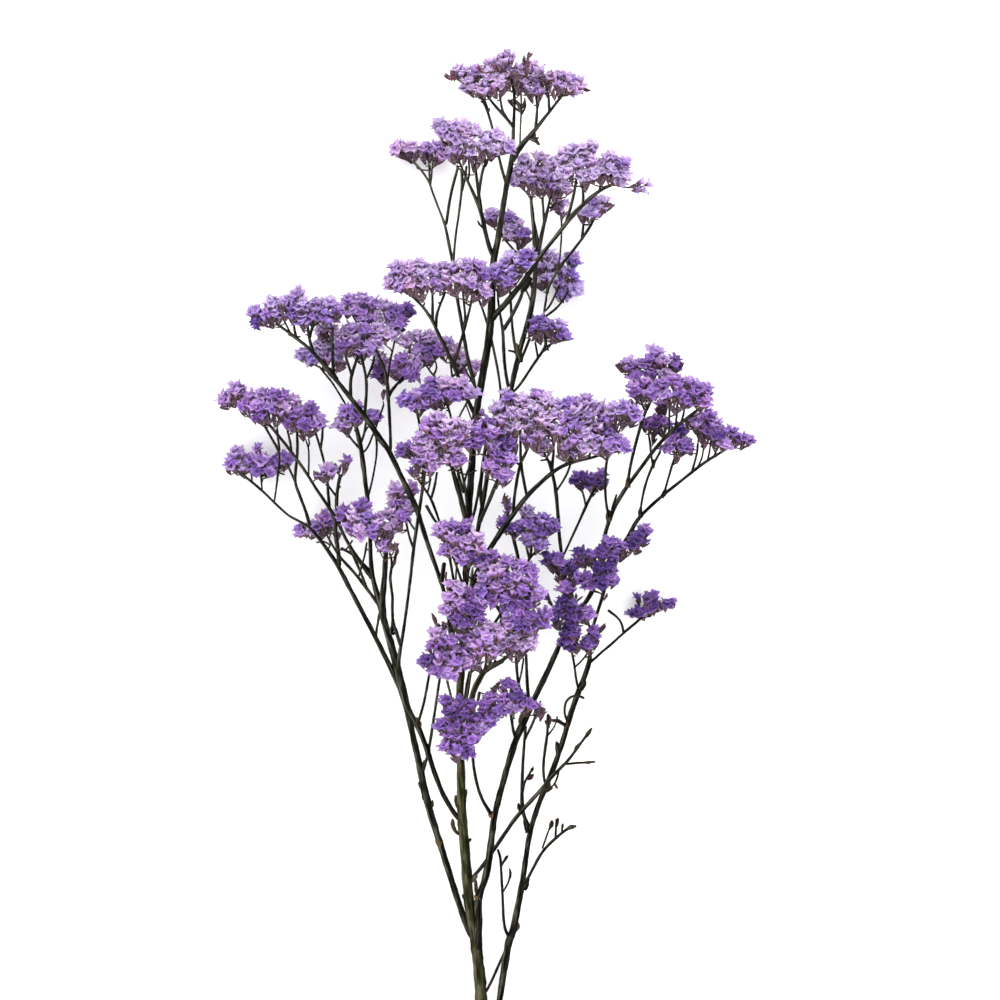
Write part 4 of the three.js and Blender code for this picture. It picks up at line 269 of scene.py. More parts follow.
        [(-11.5, -157.1, 26.8, 1.66), (-17.3, -151.8, 28.2, 1.63), (-25.5, -136.0, 31.0, 1.60), (-29.3, -125.1, 32.8, 1.60), (-33.2, -111.7, 35.0, 1.71), (-39.5, -95.3, 36.7, 1.83), (-41.0, -92.1, 37.0, 1.93), (-44.7, -86.6, 37.4, 2.03), (-47.5, -80.3, 37.9, 1.99), (-50.3, -70.0, 38.4, 1.93), (-51.6, -62.8, 39.0, 1.89), (-52.7, -55.4, 41.6, 1.55), (-52.9, -51.7, 43.0, 1.42), (-52.5, -47.6, 44.6, 1.29), (-49.1, -30.6, 50.0, 0.96), (-44.6, 2.3, 60.0, 1.00), (-42.3, 25.2, 71.4, 1.13), (-38.7, 46.5, 80.0, 1.17), (-35.6, 65.9, 84.0, 1.05), (-34.2, 76.1, 92.0, 0.81)],
        [(-42.5, 23.1, 70.4, 0.82), (-45.4, 31.5, 65.4, 0.81), (-47.6, 40.6, 60.0, 0.73)],
        [(-40.7, 34.6, 75.2, 0.67), (-42.8, 37.2, 72.0, 0.66), (-46.2, 41.8, 62.0, 0.63)],
        [(-40.5, -93.2, 36.9, 1.00), (-35.6, -75.7, 60.3, 0.99), (-31.6, -55.5, 88.0, 0.93)],
        [(-36.4, 60.8, 82.9, 1.06), (-35.8, 80.0, 78.1, 0.91), (-36.6, 93.3, 78.5, 0.97), (-38.5, 106.5, 81.2, 0.99), (-41.9, 117.8, 86.0, 0.78)],
        [(-51.4, -42.4, 46.2, 0.74), (-55.6, -28.3, 47.2, 1.00), (-56.7, -22.4, 47.6, 1.10), (-56.9, -16.2, 47.9, 1.07), (-56.3, -7.8, 48.4, 1.04), (-58.0, 0.1, 48.9, 1.01), (-58.2, 3.8, 49.1, 0.99), (-57.9, 7.3, 49.3, 0.98), (-56.3, 13.9, 49.6, 0.87), (-58.4, 20.1, 50.0, 0.75)],
        [(-57.3, 9.8, 49.4, 0.84), (-55.5, 13.8, 49.6, 0.88), (-54.2, 20.5, 50.0, 0.93)],
        [(-39.1, 108.4, 82.0, 0.85), (-38.9, 108.7, 85.2, 0.70), (-38.8, 109.6, 88.1, 0.55)],
        [(-47.6, 40.6, 60.0, 0.66), (-48.8, 40.5, 56.6, 0.60), (-50.0, 41.3, 52.7, 0.55)],
        [(-47.4, 39.7, 60.5, 0.66), (-46.8, 35.7, 56.6, 0.61), (-50.0, 34.8, 52.1, 0.55)],
    ],
    "branch_left_long": [
        [(-11.1, -48.4, 49.7, 1.48), (-17.4, -34.4, 52.2, 1.62), (-19.6, -24.4, 54.0, 1.57), (-21.3, -11.0, 56.3, 1.22), (-22.6, -4.2, 57.4, 1.32), (-31.2, 19.9, 63.2, 1.49), (-37.7, 39.9, 68.0, 1.53), (-39.3, 46.5, 70.0, 1.69), (-43.0, 55.6, 71.1, 1.96), (-48.3, 65.4, 72.2, 1.54), (-57.6, 85.7, 72.9, 1.68), (-59.1, 88.2, 73.0, 1.79), (-63.9, 93.8, 73.0, 2.00), (-66.0, 97.1, 73.0, 2.00), (-68.0, 100.5, 73.0, 1.95), (-78.9, 115.5, 72.6, 1.55), (-90.9, 130.7, 72.0, 1.43), (-98.6, 139.5, 72.0, 1.37), (-106.6, 149.6, 71.3, 1.15), (-111.0, 153.8, 70.5, 1.13), (-118.0, 158.9, 69.0, 1.15), (-121.9, 162.3, 68.1, 1.14), (-131.6, 169.0, 66.0, 0.86)],
        [(-24.4, 0.8, 58.6, 1.43), (-22.7, 13.5, 66.0, 1.44)],
        [(-117.9, 158.8, 69.0, 0.93), (-119.5, 164.5, 68.5, 0.89), (-120.3, 172.2, 68.0, 0.84)],
        [(-122.0, 162.4, 68.0, 0.68), (-127.1, 172.2, 66.0, 0.63)],
        [(-107.4, 150.3, 71.2, 1.03), (-110.2, 161.1, 71.6, 1.01), (-111.2, 172.0, 72.0, 0.85)],
        [(-109.8, 159.5, 71.5, 1.18), (-108.2, 166.3, 71.6, 1.04), (-106.0, 168.8, 71.7, 0.98), (-103.1, 170.6, 71.7, 0.94), (-93.2, 174.0, 71.9, 0.76), (-88.6, 177.5, 72.0, 0.70)],
        [(-93.0, 133.1, 72.0, 1.06), (-94.3, 138.7, 71.3, 1.03), (-95.2, 144.8, 70.5, 1.02), (-94.9, 165.8, 68.0, 0.78)],
        [(-93.9, 134.1, 72.0, 1.20), (-98.4, 140.7, 62.0, 1.02), (-101.5, 146.3, 52.0, 0.88)],
        [(-83.0, 120.7, 72.4, 1.22), (-83.4, 128.9, 68.5, 1.23), (-83.2, 132.9, 66.6, 1.18), (-82.4, 136.8, 64.8, 1.12), (-78.2, 150.7, 58.0, 0.93)],
        [(-82.6, 135.8, 65.2, 1.01), (-87.0, 148.2, 58.0, 0.84)],
        [(-74.1, 108.9, 72.8, 1.18), (-72.7, 127.0, 66.3, 1.04), (-72.9, 134.1, 63.8, 1.03), (-77.2, 149.7, 58.0, 0.93)],
        [(-72.9, 133.7, 63.9, 0.79), (-69.6, 141.4, 61.5, 0.85), (-67.2, 152.5, 58.0, 0.84)],
        [(-57.2, 84.7, 72.9, 0.99), (-57.1, 96.3, 72.6, 1.01), (-58.6, 119.0, 72.0, 1.15), (-58.9, 126.9, 69.8, 1.26), (-59.8, 134.9, 67.7, 1.16), (-63.2, 144.8, 64.8, 1.02), (-68.1, 154.0, 62.0, 0.89)],
        [(-58.7, 121.1, 71.4, 1.18), (-56.3, 125.9, 66.6, 1.08), (-49.2, 135.0, 56.0, 0.84)],
        [(-59.3, 130.0, 69.0, 0.80), (-58.8, 142.2, 62.2, 0.74), (-55.0, 157.3, 53.9, 0.73), (-54.0, 164.6, 50.0, 0.72)],
        [(-58.5, 117.2, 72.0, 0.93), (-59.9, 122.3, 66.6, 0.90), (-59.6, 129.3, 60.0, 0.87), (-60.5, 136.0, 54.0, 0.76)],
        [(-52.0, 131.3, 60.2, 0.84), (-51.7, 130.7, 53.7, 0.70), (-51.5, 131.4, 46.4, 0.55)],
        [(-60.2, 133.8, 56.0, 0.72), (-61.1, 132.6, 49.9, 0.64), (-62.0, 132.8, 43.0, 0.55)],
        [(-120.3, 160.9, 68.4, 0.85), (-122.1, 161.2, 65.3, 0.70), (-123.8, 162.1, 61.8, 0.55)],
        [(-110.3, 162.2, 71.6, 0.85), (-110.2, 162.4, 67.9, 0.70), (-110.1, 163.4, 63.8, 0.55)],
        [(-120.3, 160.9, 68.4, 0.85), (-118.1, 160.2, 66.8, 0.70), (-115.9, 160.7, 64.9, 0.55)],
        [(-54.5, 161.0, 52.0, 0.65), (-54.4, 160.8, 46.4, 0.60), (-54.2, 161.8, 40.1, 0.55)],
        [(-78.2, 150.7, 58.0, 0.84), (-77.3, 153.9, 49.4, 0.69), (-76.5, 159.2, 39.5, 0.55)],
        [(-75.4, 143.3, 60.4, 0.85), (-77.1, 143.3, 55.3, 0.70), (-78.8, 144.4, 49.5, 0.55)],
    ],
    "branch_mid_right": [
        [(-8.5, 6.3, 59.6, 1.49), (-4.5, 18.0, 60.1, 1.44), (-2.9, 24.5, 60.4, 1.41), (4.7, 64.2, 60.7, 1.49), (5.5, 70.7, 60.6, 1.54), (5.4, 80.6, 60.5, 1.49), (6.4, 87.3, 60.4, 1.35), (12.4, 99.8, 60.3, 1.16), (20.0, 121.6, 60.0, 1.76), (22.8, 136.3, 60.7, 1.75), (26.8, 153.2, 61.7, 1.73), (30.3, 166.4, 62.5, 1.58), (34.2, 177.6, 63.0, 1.88), (36.4, 197.2, 62.3, 1.89), (36.9, 207.7, 61.1, 1.21), (35.9, 220.2, 58.0, 1.38), (35.5, 233.5, 54.7, 1.34), (33.6, 252.7, 50.0, 0.99)],
        [(0.1, 40.2, 60.5, 1.27), (4.0, 47.9, 67.0, 1.16), (10.8, 63.3, 78.9, 0.93), (12.0, 66.6, 81.3, 0.89), (13.3, 73.0, 86.0, 0.80)],
        [(1.8, 48.9, 60.6, 1.07), (0.7, 60.8, 60.0, 1.22), (0.8, 64.0, 59.5, 1.27), (3.1, 83.5, 58.0, 1.27), (5.6, 96.8, 57.8, 1.19), (7.0, 103.2, 58.0, 0.77), (13.3, 117.7, 60.1, 0.71), (14.2, 121.3, 60.0, 0.74), (14.2, 124.2, 60.0, 0.77), (12.8, 136.4, 60.0, 0.84), (9.0, 155.4, 59.9, 0.87), (4.8, 171.6, 61.1, 0.76), (1.4, 180.9, 65.8, 0.72), (-2.4, 190.0, 74.0, 0.69)],
        [(20.3, 123.0, 60.1, 1.19), (18.5, 129.4, 60.2, 1.11), (16.6, 141.4, 60.5, 1.14), (15.8, 151.8, 60.7, 1.21), (15.9, 164.7, 61.0, 1.10), (13.0, 177.9, 62.2, 0.82), (12.3, 184.1, 65.2, 0.73), (11.9, 190.8, 71.0, 0.70)],
        [(15.8, 165.3, 61.0, 1.39), (19.6, 170.8, 62.6, 1.28), (26.1, 183.7, 65.8, 1.23), (27.2, 186.1, 66.5, 1.19), (29.0, 192.5, 68.0, 1.10)],
        [(25.0, 146.0, 61.3, 0.99), (23.6, 151.4, 61.6, 0.95), (21.4, 164.9, 62.4, 0.99), (20.6, 182.4, 63.3, 0.94), (20.4, 185.4, 64.0, 0.86), (19.7, 192.8, 70.0, 0.70)],
        [(25.6, 148.5, 61.4, 0.81), (22.3, 151.1, 61.8, 0.74), (19.1, 151.7, 62.0, 0.68)],
        [(20.3, 123.1, 60.1, 0.90), (25.1, 126.5, 57.1, 0.89), (36.4, 145.3, 46.4, 0.98), (43.1, 154.0, 41.0, 1.07), (43.6, 156.6, 40.4, 1.08), (43.5, 159.6, 40.1, 1.03), (42.0, 168.9, 40.0, 0.77), (41.9, 174.9, 40.0, 0.68), (44.0, 188.8, 39.6, 0.74), (44.8, 192.1, 39.5, 0.80), (47.2, 198.2, 39.3, 0.91), (53.4, 208.8, 39.0, 1.20), (61.8, 218.8, 30.4, 0.92), (67.6, 226.6, 24.0, 0.93), (73.0, 235.0, 19.1, 1.10), (76.9, 242.5, 15.0, 0.86)],
        [(67.7, 226.7, 23.9, 1.05), (69.0, 240.3, 15.0, 0.84)],
        [(41.2, 151.5, 42.5, 0.90), (44.9, 154.0, 46.5, 0.84), (47.4, 157.1, 50.0, 0.79)],
        [(38.3, 147.8, 44.8, 0.84), (36.5, 157.9, 50.0, 0.71)],
        [(42.3, 177.8, 39.9, 0.76), (45.8, 181.1, 37.1, 0.73), (47.6, 184.2, 34.9, 0.71), (52.3, 195.3, 28.0, 0.69)],
        [(41.9, 173.8, 40.0, 0.80), (49.5, 179.4, 34.8, 0.83), (52.1, 182.0, 32.8, 0.83), (55.8, 187.1, 29.2, 0.82), (58.5, 192.1, 26.0, 0.74)],
        [(42.4, 178.4, 39.9, 0.70), (43.9, 185.7, 35.5, 0.70), (44.4, 195.1, 30.0, 0.68)],
        [(36.8, 208.7, 60.9, 1.33), (38.7, 215.6, 58.4, 1.32), (41.3, 231.8, 53.0, 1.24), (45.2, 245.8, 48.2, 0.97), (46.5, 252.5, 46.0, 0.76)],
        [(42.4, 235.6, 51.7, 0.92), (41.3, 252.3, 46.0, 0.84)],
        [(36.4, 213.7, 59.6, 1.07), (38.1, 220.3, 57.2, 1.21), (38.3, 223.7, 56.0, 1.17), (36.1, 232.4, 52.8, 1.10), (34.4, 242.1, 49.4, 1.01), (33.9, 245.5, 48.3, 0.98), (34.0, 252.4, 46.0, 0.93)],
        [(51.7, 205.8, 39.1, 0.65), (52.9, 212.8, 38.2, 0.60), (54.3, 231.6, 35.7, 0.64), (54.0, 237.8, 34.8, 0.66), (53.0, 243.9, 34.0, 0.69)],
        [(35.6, 190.3, 62.5, 1.25), (31.6, 200.6, 52.0, 1.13), (27.4, 209.7, 44.0, 1.00), (25.4, 218.1, 38.0, 0.90), (24.7, 224.8, 36.0, 0.83)],
        [(26.4, 214.0, 40.9, 0.88), (15.2, 227.5, 36.0, 0.73), (11.9, 233.6, 34.0, 0.68)],
        [(24.0, 141.7, 61.0, 0.93), (27.8, 147.3, 56.7, 0.98), (33.0, 160.1, 48.0, 0.93)],
        [(34.5, 180.3, 62.9, 0.68), (32.1, 187.3, 64.4, 0.65), (28.8, 193.7, 66.0, 0.62)],
        [(-0.1, 38.9, 60.5, 1.14), (1.2, 41.4, 66.0, 1.10), (2.2, 43.9, 66.5, 1.07), (11.9, 68.6, 66.0, 0.75)],
        [(14.7, 228.4, 35.7, 0.65), (13.7, 228.5, 33.7, 0.60), (12.6, 229.2, 31.3, 0.55)],
        [(25.8, 216.4, 39.2, 0.83), (25.8, 216.5, 36.1, 0.69), (25.7, 217.3, 32.7, 0.55)],
        [(33.9, 249.4, 47.0, 0.85), (33.7, 249.8, 46.4, 0.70), (33.5, 250.4, 45.8, 0.55)],
        [(53.8, 238.8, 34.7, 0.60), (53.9, 239.1, 34.2, 0.58), (54.0, 239.5, 33.6, 0.55)],
        [(41.5, 248.4, 47.3, 0.78), (41.5, 248.6, 44.5, 0.66), (41.4, 249.5, 41.2, 0.55)],
        [(45.2, 245.8, 48.2, 0.85), (46.6, 245.9, 44.7, 0.70), (48.0, 246.9, 40.7, 0.55)],
        [(68.7, 236.9, 17.2, 0.81), (70.5, 236.7, 12.7, 0.68), (72.3, 237.4, 7.6, 0.55)],
        [(12.1, 187.5, 68.1, 0.64), (12.0, 187.3, 74.6, 0.60), (12.0, 188.4, 80.4, 0.55)],
        [(44.1, 190.4, 32.8, 0.62), (43.5, 191.8, 26.2, 0.59), (45.6, 191.7, 18.7, 0.55)],
        [(54.2, 184.9, 30.7, 0.74), (52.8, 188.3, 20.3, 0.64), (55.7, 185.6, 8.5, 0.55)],
        [(46.9, 156.5, 49.3, 0.72), (44.2, 154.5, 53.6, 0.64), (45.1, 151.9, 57.4, 0.55)],
        [(9.7, 61.0, 77.1, 0.85), (9.8, 61.7, 87.2, 0.70), (11.3, 62.0, 96.1, 0.55)],
    ],
    "branch_top_right": [
        [(7.7, 171.0, 70.0, 1.99), (11.0, 175.5, 70.4, 1.97), (17.0, 181.3, 71.1, 1.92), (29.8, 196.8, 72.7, 1.80), (35.0, 204.5, 73.4, 1.38), (37.9, 210.7, 74.0, 1.17), (53.1, 228.2, 76.8, 1.30), (59.6, 238.3, 78.2, 1.69), (70.6, 248.5, 80.0, 1.35), (79.1, 255.2, 81.7, 1.02), (84.8, 257.0, 82.7, 0.97), (92.5, 260.1, 84.0, 0.82)],
        [(56.0, 232.7, 77.4, 1.17), (60.5, 248.0, 78.6, 0.99), (62.5, 258.2, 79.4, 0.97), (63.2, 266.5, 80.0, 0.78)],
        [(66.9, 245.1, 79.4, 0.94), (67.2, 251.2, 79.6, 0.88), (66.1, 265.2, 80.0, 0.75)],
        [(77.6, 254.1, 81.4, 0.86), (78.8, 259.2, 82.5, 0.79), (81.5, 265.9, 84.0, 0.71)],
        [(86.1, 257.5, 82.9, 0.59), (98.8, 255.8, 82.2, 0.59), (102.6, 257.8, 82.0, 0.59)],
        [(80.0, 255.5, 81.9, 0.85), (79.8, 256.1, 81.7, 0.70), (79.6, 256.7, 81.5, 0.55)],
        [(62.5, 258.2, 79.4, 0.85), (63.0, 258.6, 80.4, 0.70), (63.5, 259.3, 81.2, 0.55)],
        [(67.1, 253.2, 79.6, 0.78), (67.9, 253.5, 80.8, 0.66), (68.7, 254.1, 81.8, 0.55)],
        [(25.3, 191.4, 72.1, 0.85), (24.4, 191.7, 76.5, 0.70), (23.6, 192.9, 80.4, 0.55)],
    ],
    "branch_top_left": [
        [(-0.4, 121.0, 68.9, 1.16), (-2.7, 126.5, 68.1, 1.16), (-3.3, 132.3, 67.4, 1.31), (-6.4, 141.9, 66.4, 1.45), (-7.9, 148.4, 65.7, 1.25), (-10.7, 167.9, 63.7, 1.13), (-14.6, 184.2, 62.0, 1.35), (-17.0, 211.6, 60.0, 1.17), (-19.5, 218.1, 57.1, 1.18), (-21.7, 235.0, 50.0, 1.06), (-27.7, 247.6, 41.9, 0.77), (-30.5, 255.7, 36.9, 0.79), (-32.7, 264.0, 32.0, 0.84), (-37.7, 271.4, 26.1, 0.84), (-43.7, 278.6, 20.0, 0.65)],
        [(-32.5, 263.2, 32.4, 0.68), (-33.7, 278.9, 20.0, 0.62)],
        [(-32.1, 262.0, 33.2, 0.73), (-30.7, 278.9, 20.0, 0.63)],
        [(-21.6, 234.5, 50.2, 1.06), (-18.5, 253.0, 57.2, 1.07), (-13.8, 270.5, 64.0, 1.01)],
        [(-16.8, 209.1, 60.2, 0.86), (-15.5, 226.5, 61.9, 0.83), (-13.6, 236.0, 62.8, 0.81), (-11.3, 255.1, 64.6, 0.89), (-10.9, 260.6, 65.1, 1.02), (-11.4, 269.6, 66.0, 0.95)],
        [(-11.3, 255.2, 64.6, 1.01), (-9.1, 263.5, 65.3, 0.92), (-8.2, 271.1, 66.0, 0.84)],
        [(-10.2, 164.6, 64.0, 0.94), (-8.2, 171.0, 66.4, 0.88), (-10.1, 183.8, 71.0, 0.76), (-10.7, 192.0, 74.0, 0.68)],
        [(-2.9, 128.5, 67.9, 0.75), (-10.1, 141.2, 66.0, 0.62)],
        [(-11.3, 267.6, 65.8, 0.85), (-11.7, 267.9, 65.8, 0.70), (-12.0, 268.3, 65.8, 0.55)],
        [(-31.2, 272.4, 25.0, 0.60), (-31.9, 272.0, 17.0, 0.58), (-32.5, 273.2, 8.0, 0.55)],
        [(-32.5, 273.2, 8.0, 0.54), (-36.9, 273.5, 8.1, 0.55), (-41.2, 274.6, 7.6, 0.55)],
    ],
    "branch_mid_left": [
        [(-2.4, 109.1, 68.4, 1.36), (-8.9, 121.6, 70.0, 1.53), (-15.7, 140.7, 72.6, 1.37), (-19.9, 149.6, 74.1, 1.24), (-26.6, 162.0, 76.3, 1.23), (-29.1, 169.6, 77.6, 1.23), (-33.5, 175.4, 78.8, 1.16), (-36.7, 180.5, 79.7, 0.95), (-47.6, 190.0, 82.0, 0.72)],
        [(-29.9, 170.6, 77.8, 1.02), (-30.0, 187.2, 80.0, 0.84)],
        [(-27.8, 165.8, 76.9, 1.10), (-27.1, 174.5, 78.0, 1.00), (-22.0, 188.2, 80.0, 0.84)],
        [(-16.4, 142.1, 72.8, 1.19), (-12.3, 154.8, 74.1, 1.09), (-5.9, 177.9, 76.6, 0.87), (-5.0, 181.6, 77.0, 0.84), (-4.1, 191.2, 78.0, 0.76)],
        [(-10.4, 125.8, 70.6, 0.88), (-15.8, 125.4, 68.3, 0.86), (-19.2, 126.4, 66.9, 0.85), (-22.4, 128.3, 65.5, 0.84), (-24.8, 130.2, 64.3, 0.83), (-31.1, 137.2, 60.6, 0.78), (-32.9, 139.5, 59.2, 0.75), (-36.2, 145.5, 56.0, 0.68)],
        [(-29.6, 135.5, 61.5, 0.75), (-27.7, 140.8, 58.9, 0.69), (-29.1, 146.8, 56.0, 0.62)],
        [(-15.2, 125.4, 68.5, 0.75), (-17.3, 133.4, 63.8, 0.72), (-18.6, 144.1, 58.0, 0.68)],
        [(-17.4, 134.8, 63.1, 0.75), (-12.1, 138.9, 56.9, 0.72), (-7.0, 144.4, 50.0, 0.68)],
        [(-36.2, 179.6, 79.5, 0.85), (-35.6, 179.8, 84.3, 0.70), (-34.9, 180.9, 88.6, 0.55)],
        [(-5.3, 180.4, 76.9, 0.76), (-7.0, 180.5, 82.0, 0.66), (-8.6, 181.7, 86.6, 0.55)],
        [(-24.9, 180.4, 78.9, 0.84), (-24.8, 181.2, 82.4, 0.70), (-26.0, 181.7, 85.5, 0.55)],
        [(-9.0, 142.2, 52.8, 0.63), (-13.9, 142.1, 48.7, 0.59), (-18.8, 143.3, 43.8, 0.55)],
        [(-34.3, 142.1, 57.8, 0.65), (-33.1, 142.6, 51.4, 0.60), (-31.9, 144.6, 44.1, 0.55)],
        [(-16.6, 130.8, 65.4, 0.66), (-12.5, 129.9, 53.8, 0.60), (-8.4, 131.6, 40.7, 0.55)],
    ],
    "branch_centre": [
        [(-6.9, 31.6, 63.0, 1.53), (-8.5, 41.3, 66.0, 1.72), (-11.0, 53.0, 72.0, 1.72), (-13.5, 62.1, 78.0, 1.72), (-15.7, 69.8, 82.0, 1.59), (-18.0, 78.1, 86.0, 1.20)],
        [(-7.4, 41.4, 66.1, 1.06), (-7.5, 44.7, 68.7, 1.05), (-8.0, 54.8, 73.0, 0.98), (-9.1, 65.1, 77.4, 0.90), (-12.4, 77.0, 82.7, 0.80), (-13.6, 84.7, 86.0, 0.76)],
        [(-9.4, 66.1, 77.8, 0.75), (-7.6, 72.5, 79.8, 0.69), (-4.8, 79.4, 82.0, 0.62)],
        [(-16.7, 75.7, 84.8, 0.87), (-16.3, 79.4, 80.6, 0.86), (-15.8, 86.7, 78.0, 0.83), (-16.5, 99.4, 78.0, 0.79), (-18.4, 110.8, 82.0, 0.82), (-20.9, 117.1, 86.0, 0.82)],
        [(-16.6, 99.5, 78.0, 0.71), (-12.9, 107.9, 81.0, 0.65), (-5.6, 121.3, 86.0, 0.63)],
        [(-18.7, 111.7, 82.6, 0.73), (-19.7, 112.0, 86.0, 0.64), (-20.8, 112.1, 89.1, 0.55)],
        [(-16.7, 73.5, 83.8, 0.85), (-16.5, 73.4, 91.4, 0.70), (-16.2, 74.8, 98.1, 0.55)],
        [(-16.2, 74.8, 98.1, 0.54), (-17.8, 73.9, 99.6, 0.55), (-19.4, 73.5, 100.9, 0.55)],
        [(-16.3, 74.3, 96.5, 0.54), (-9.0, 71.1, 97.5, 0.55), (-1.5, 73.5, 97.5, 0.55)],
    ],
}

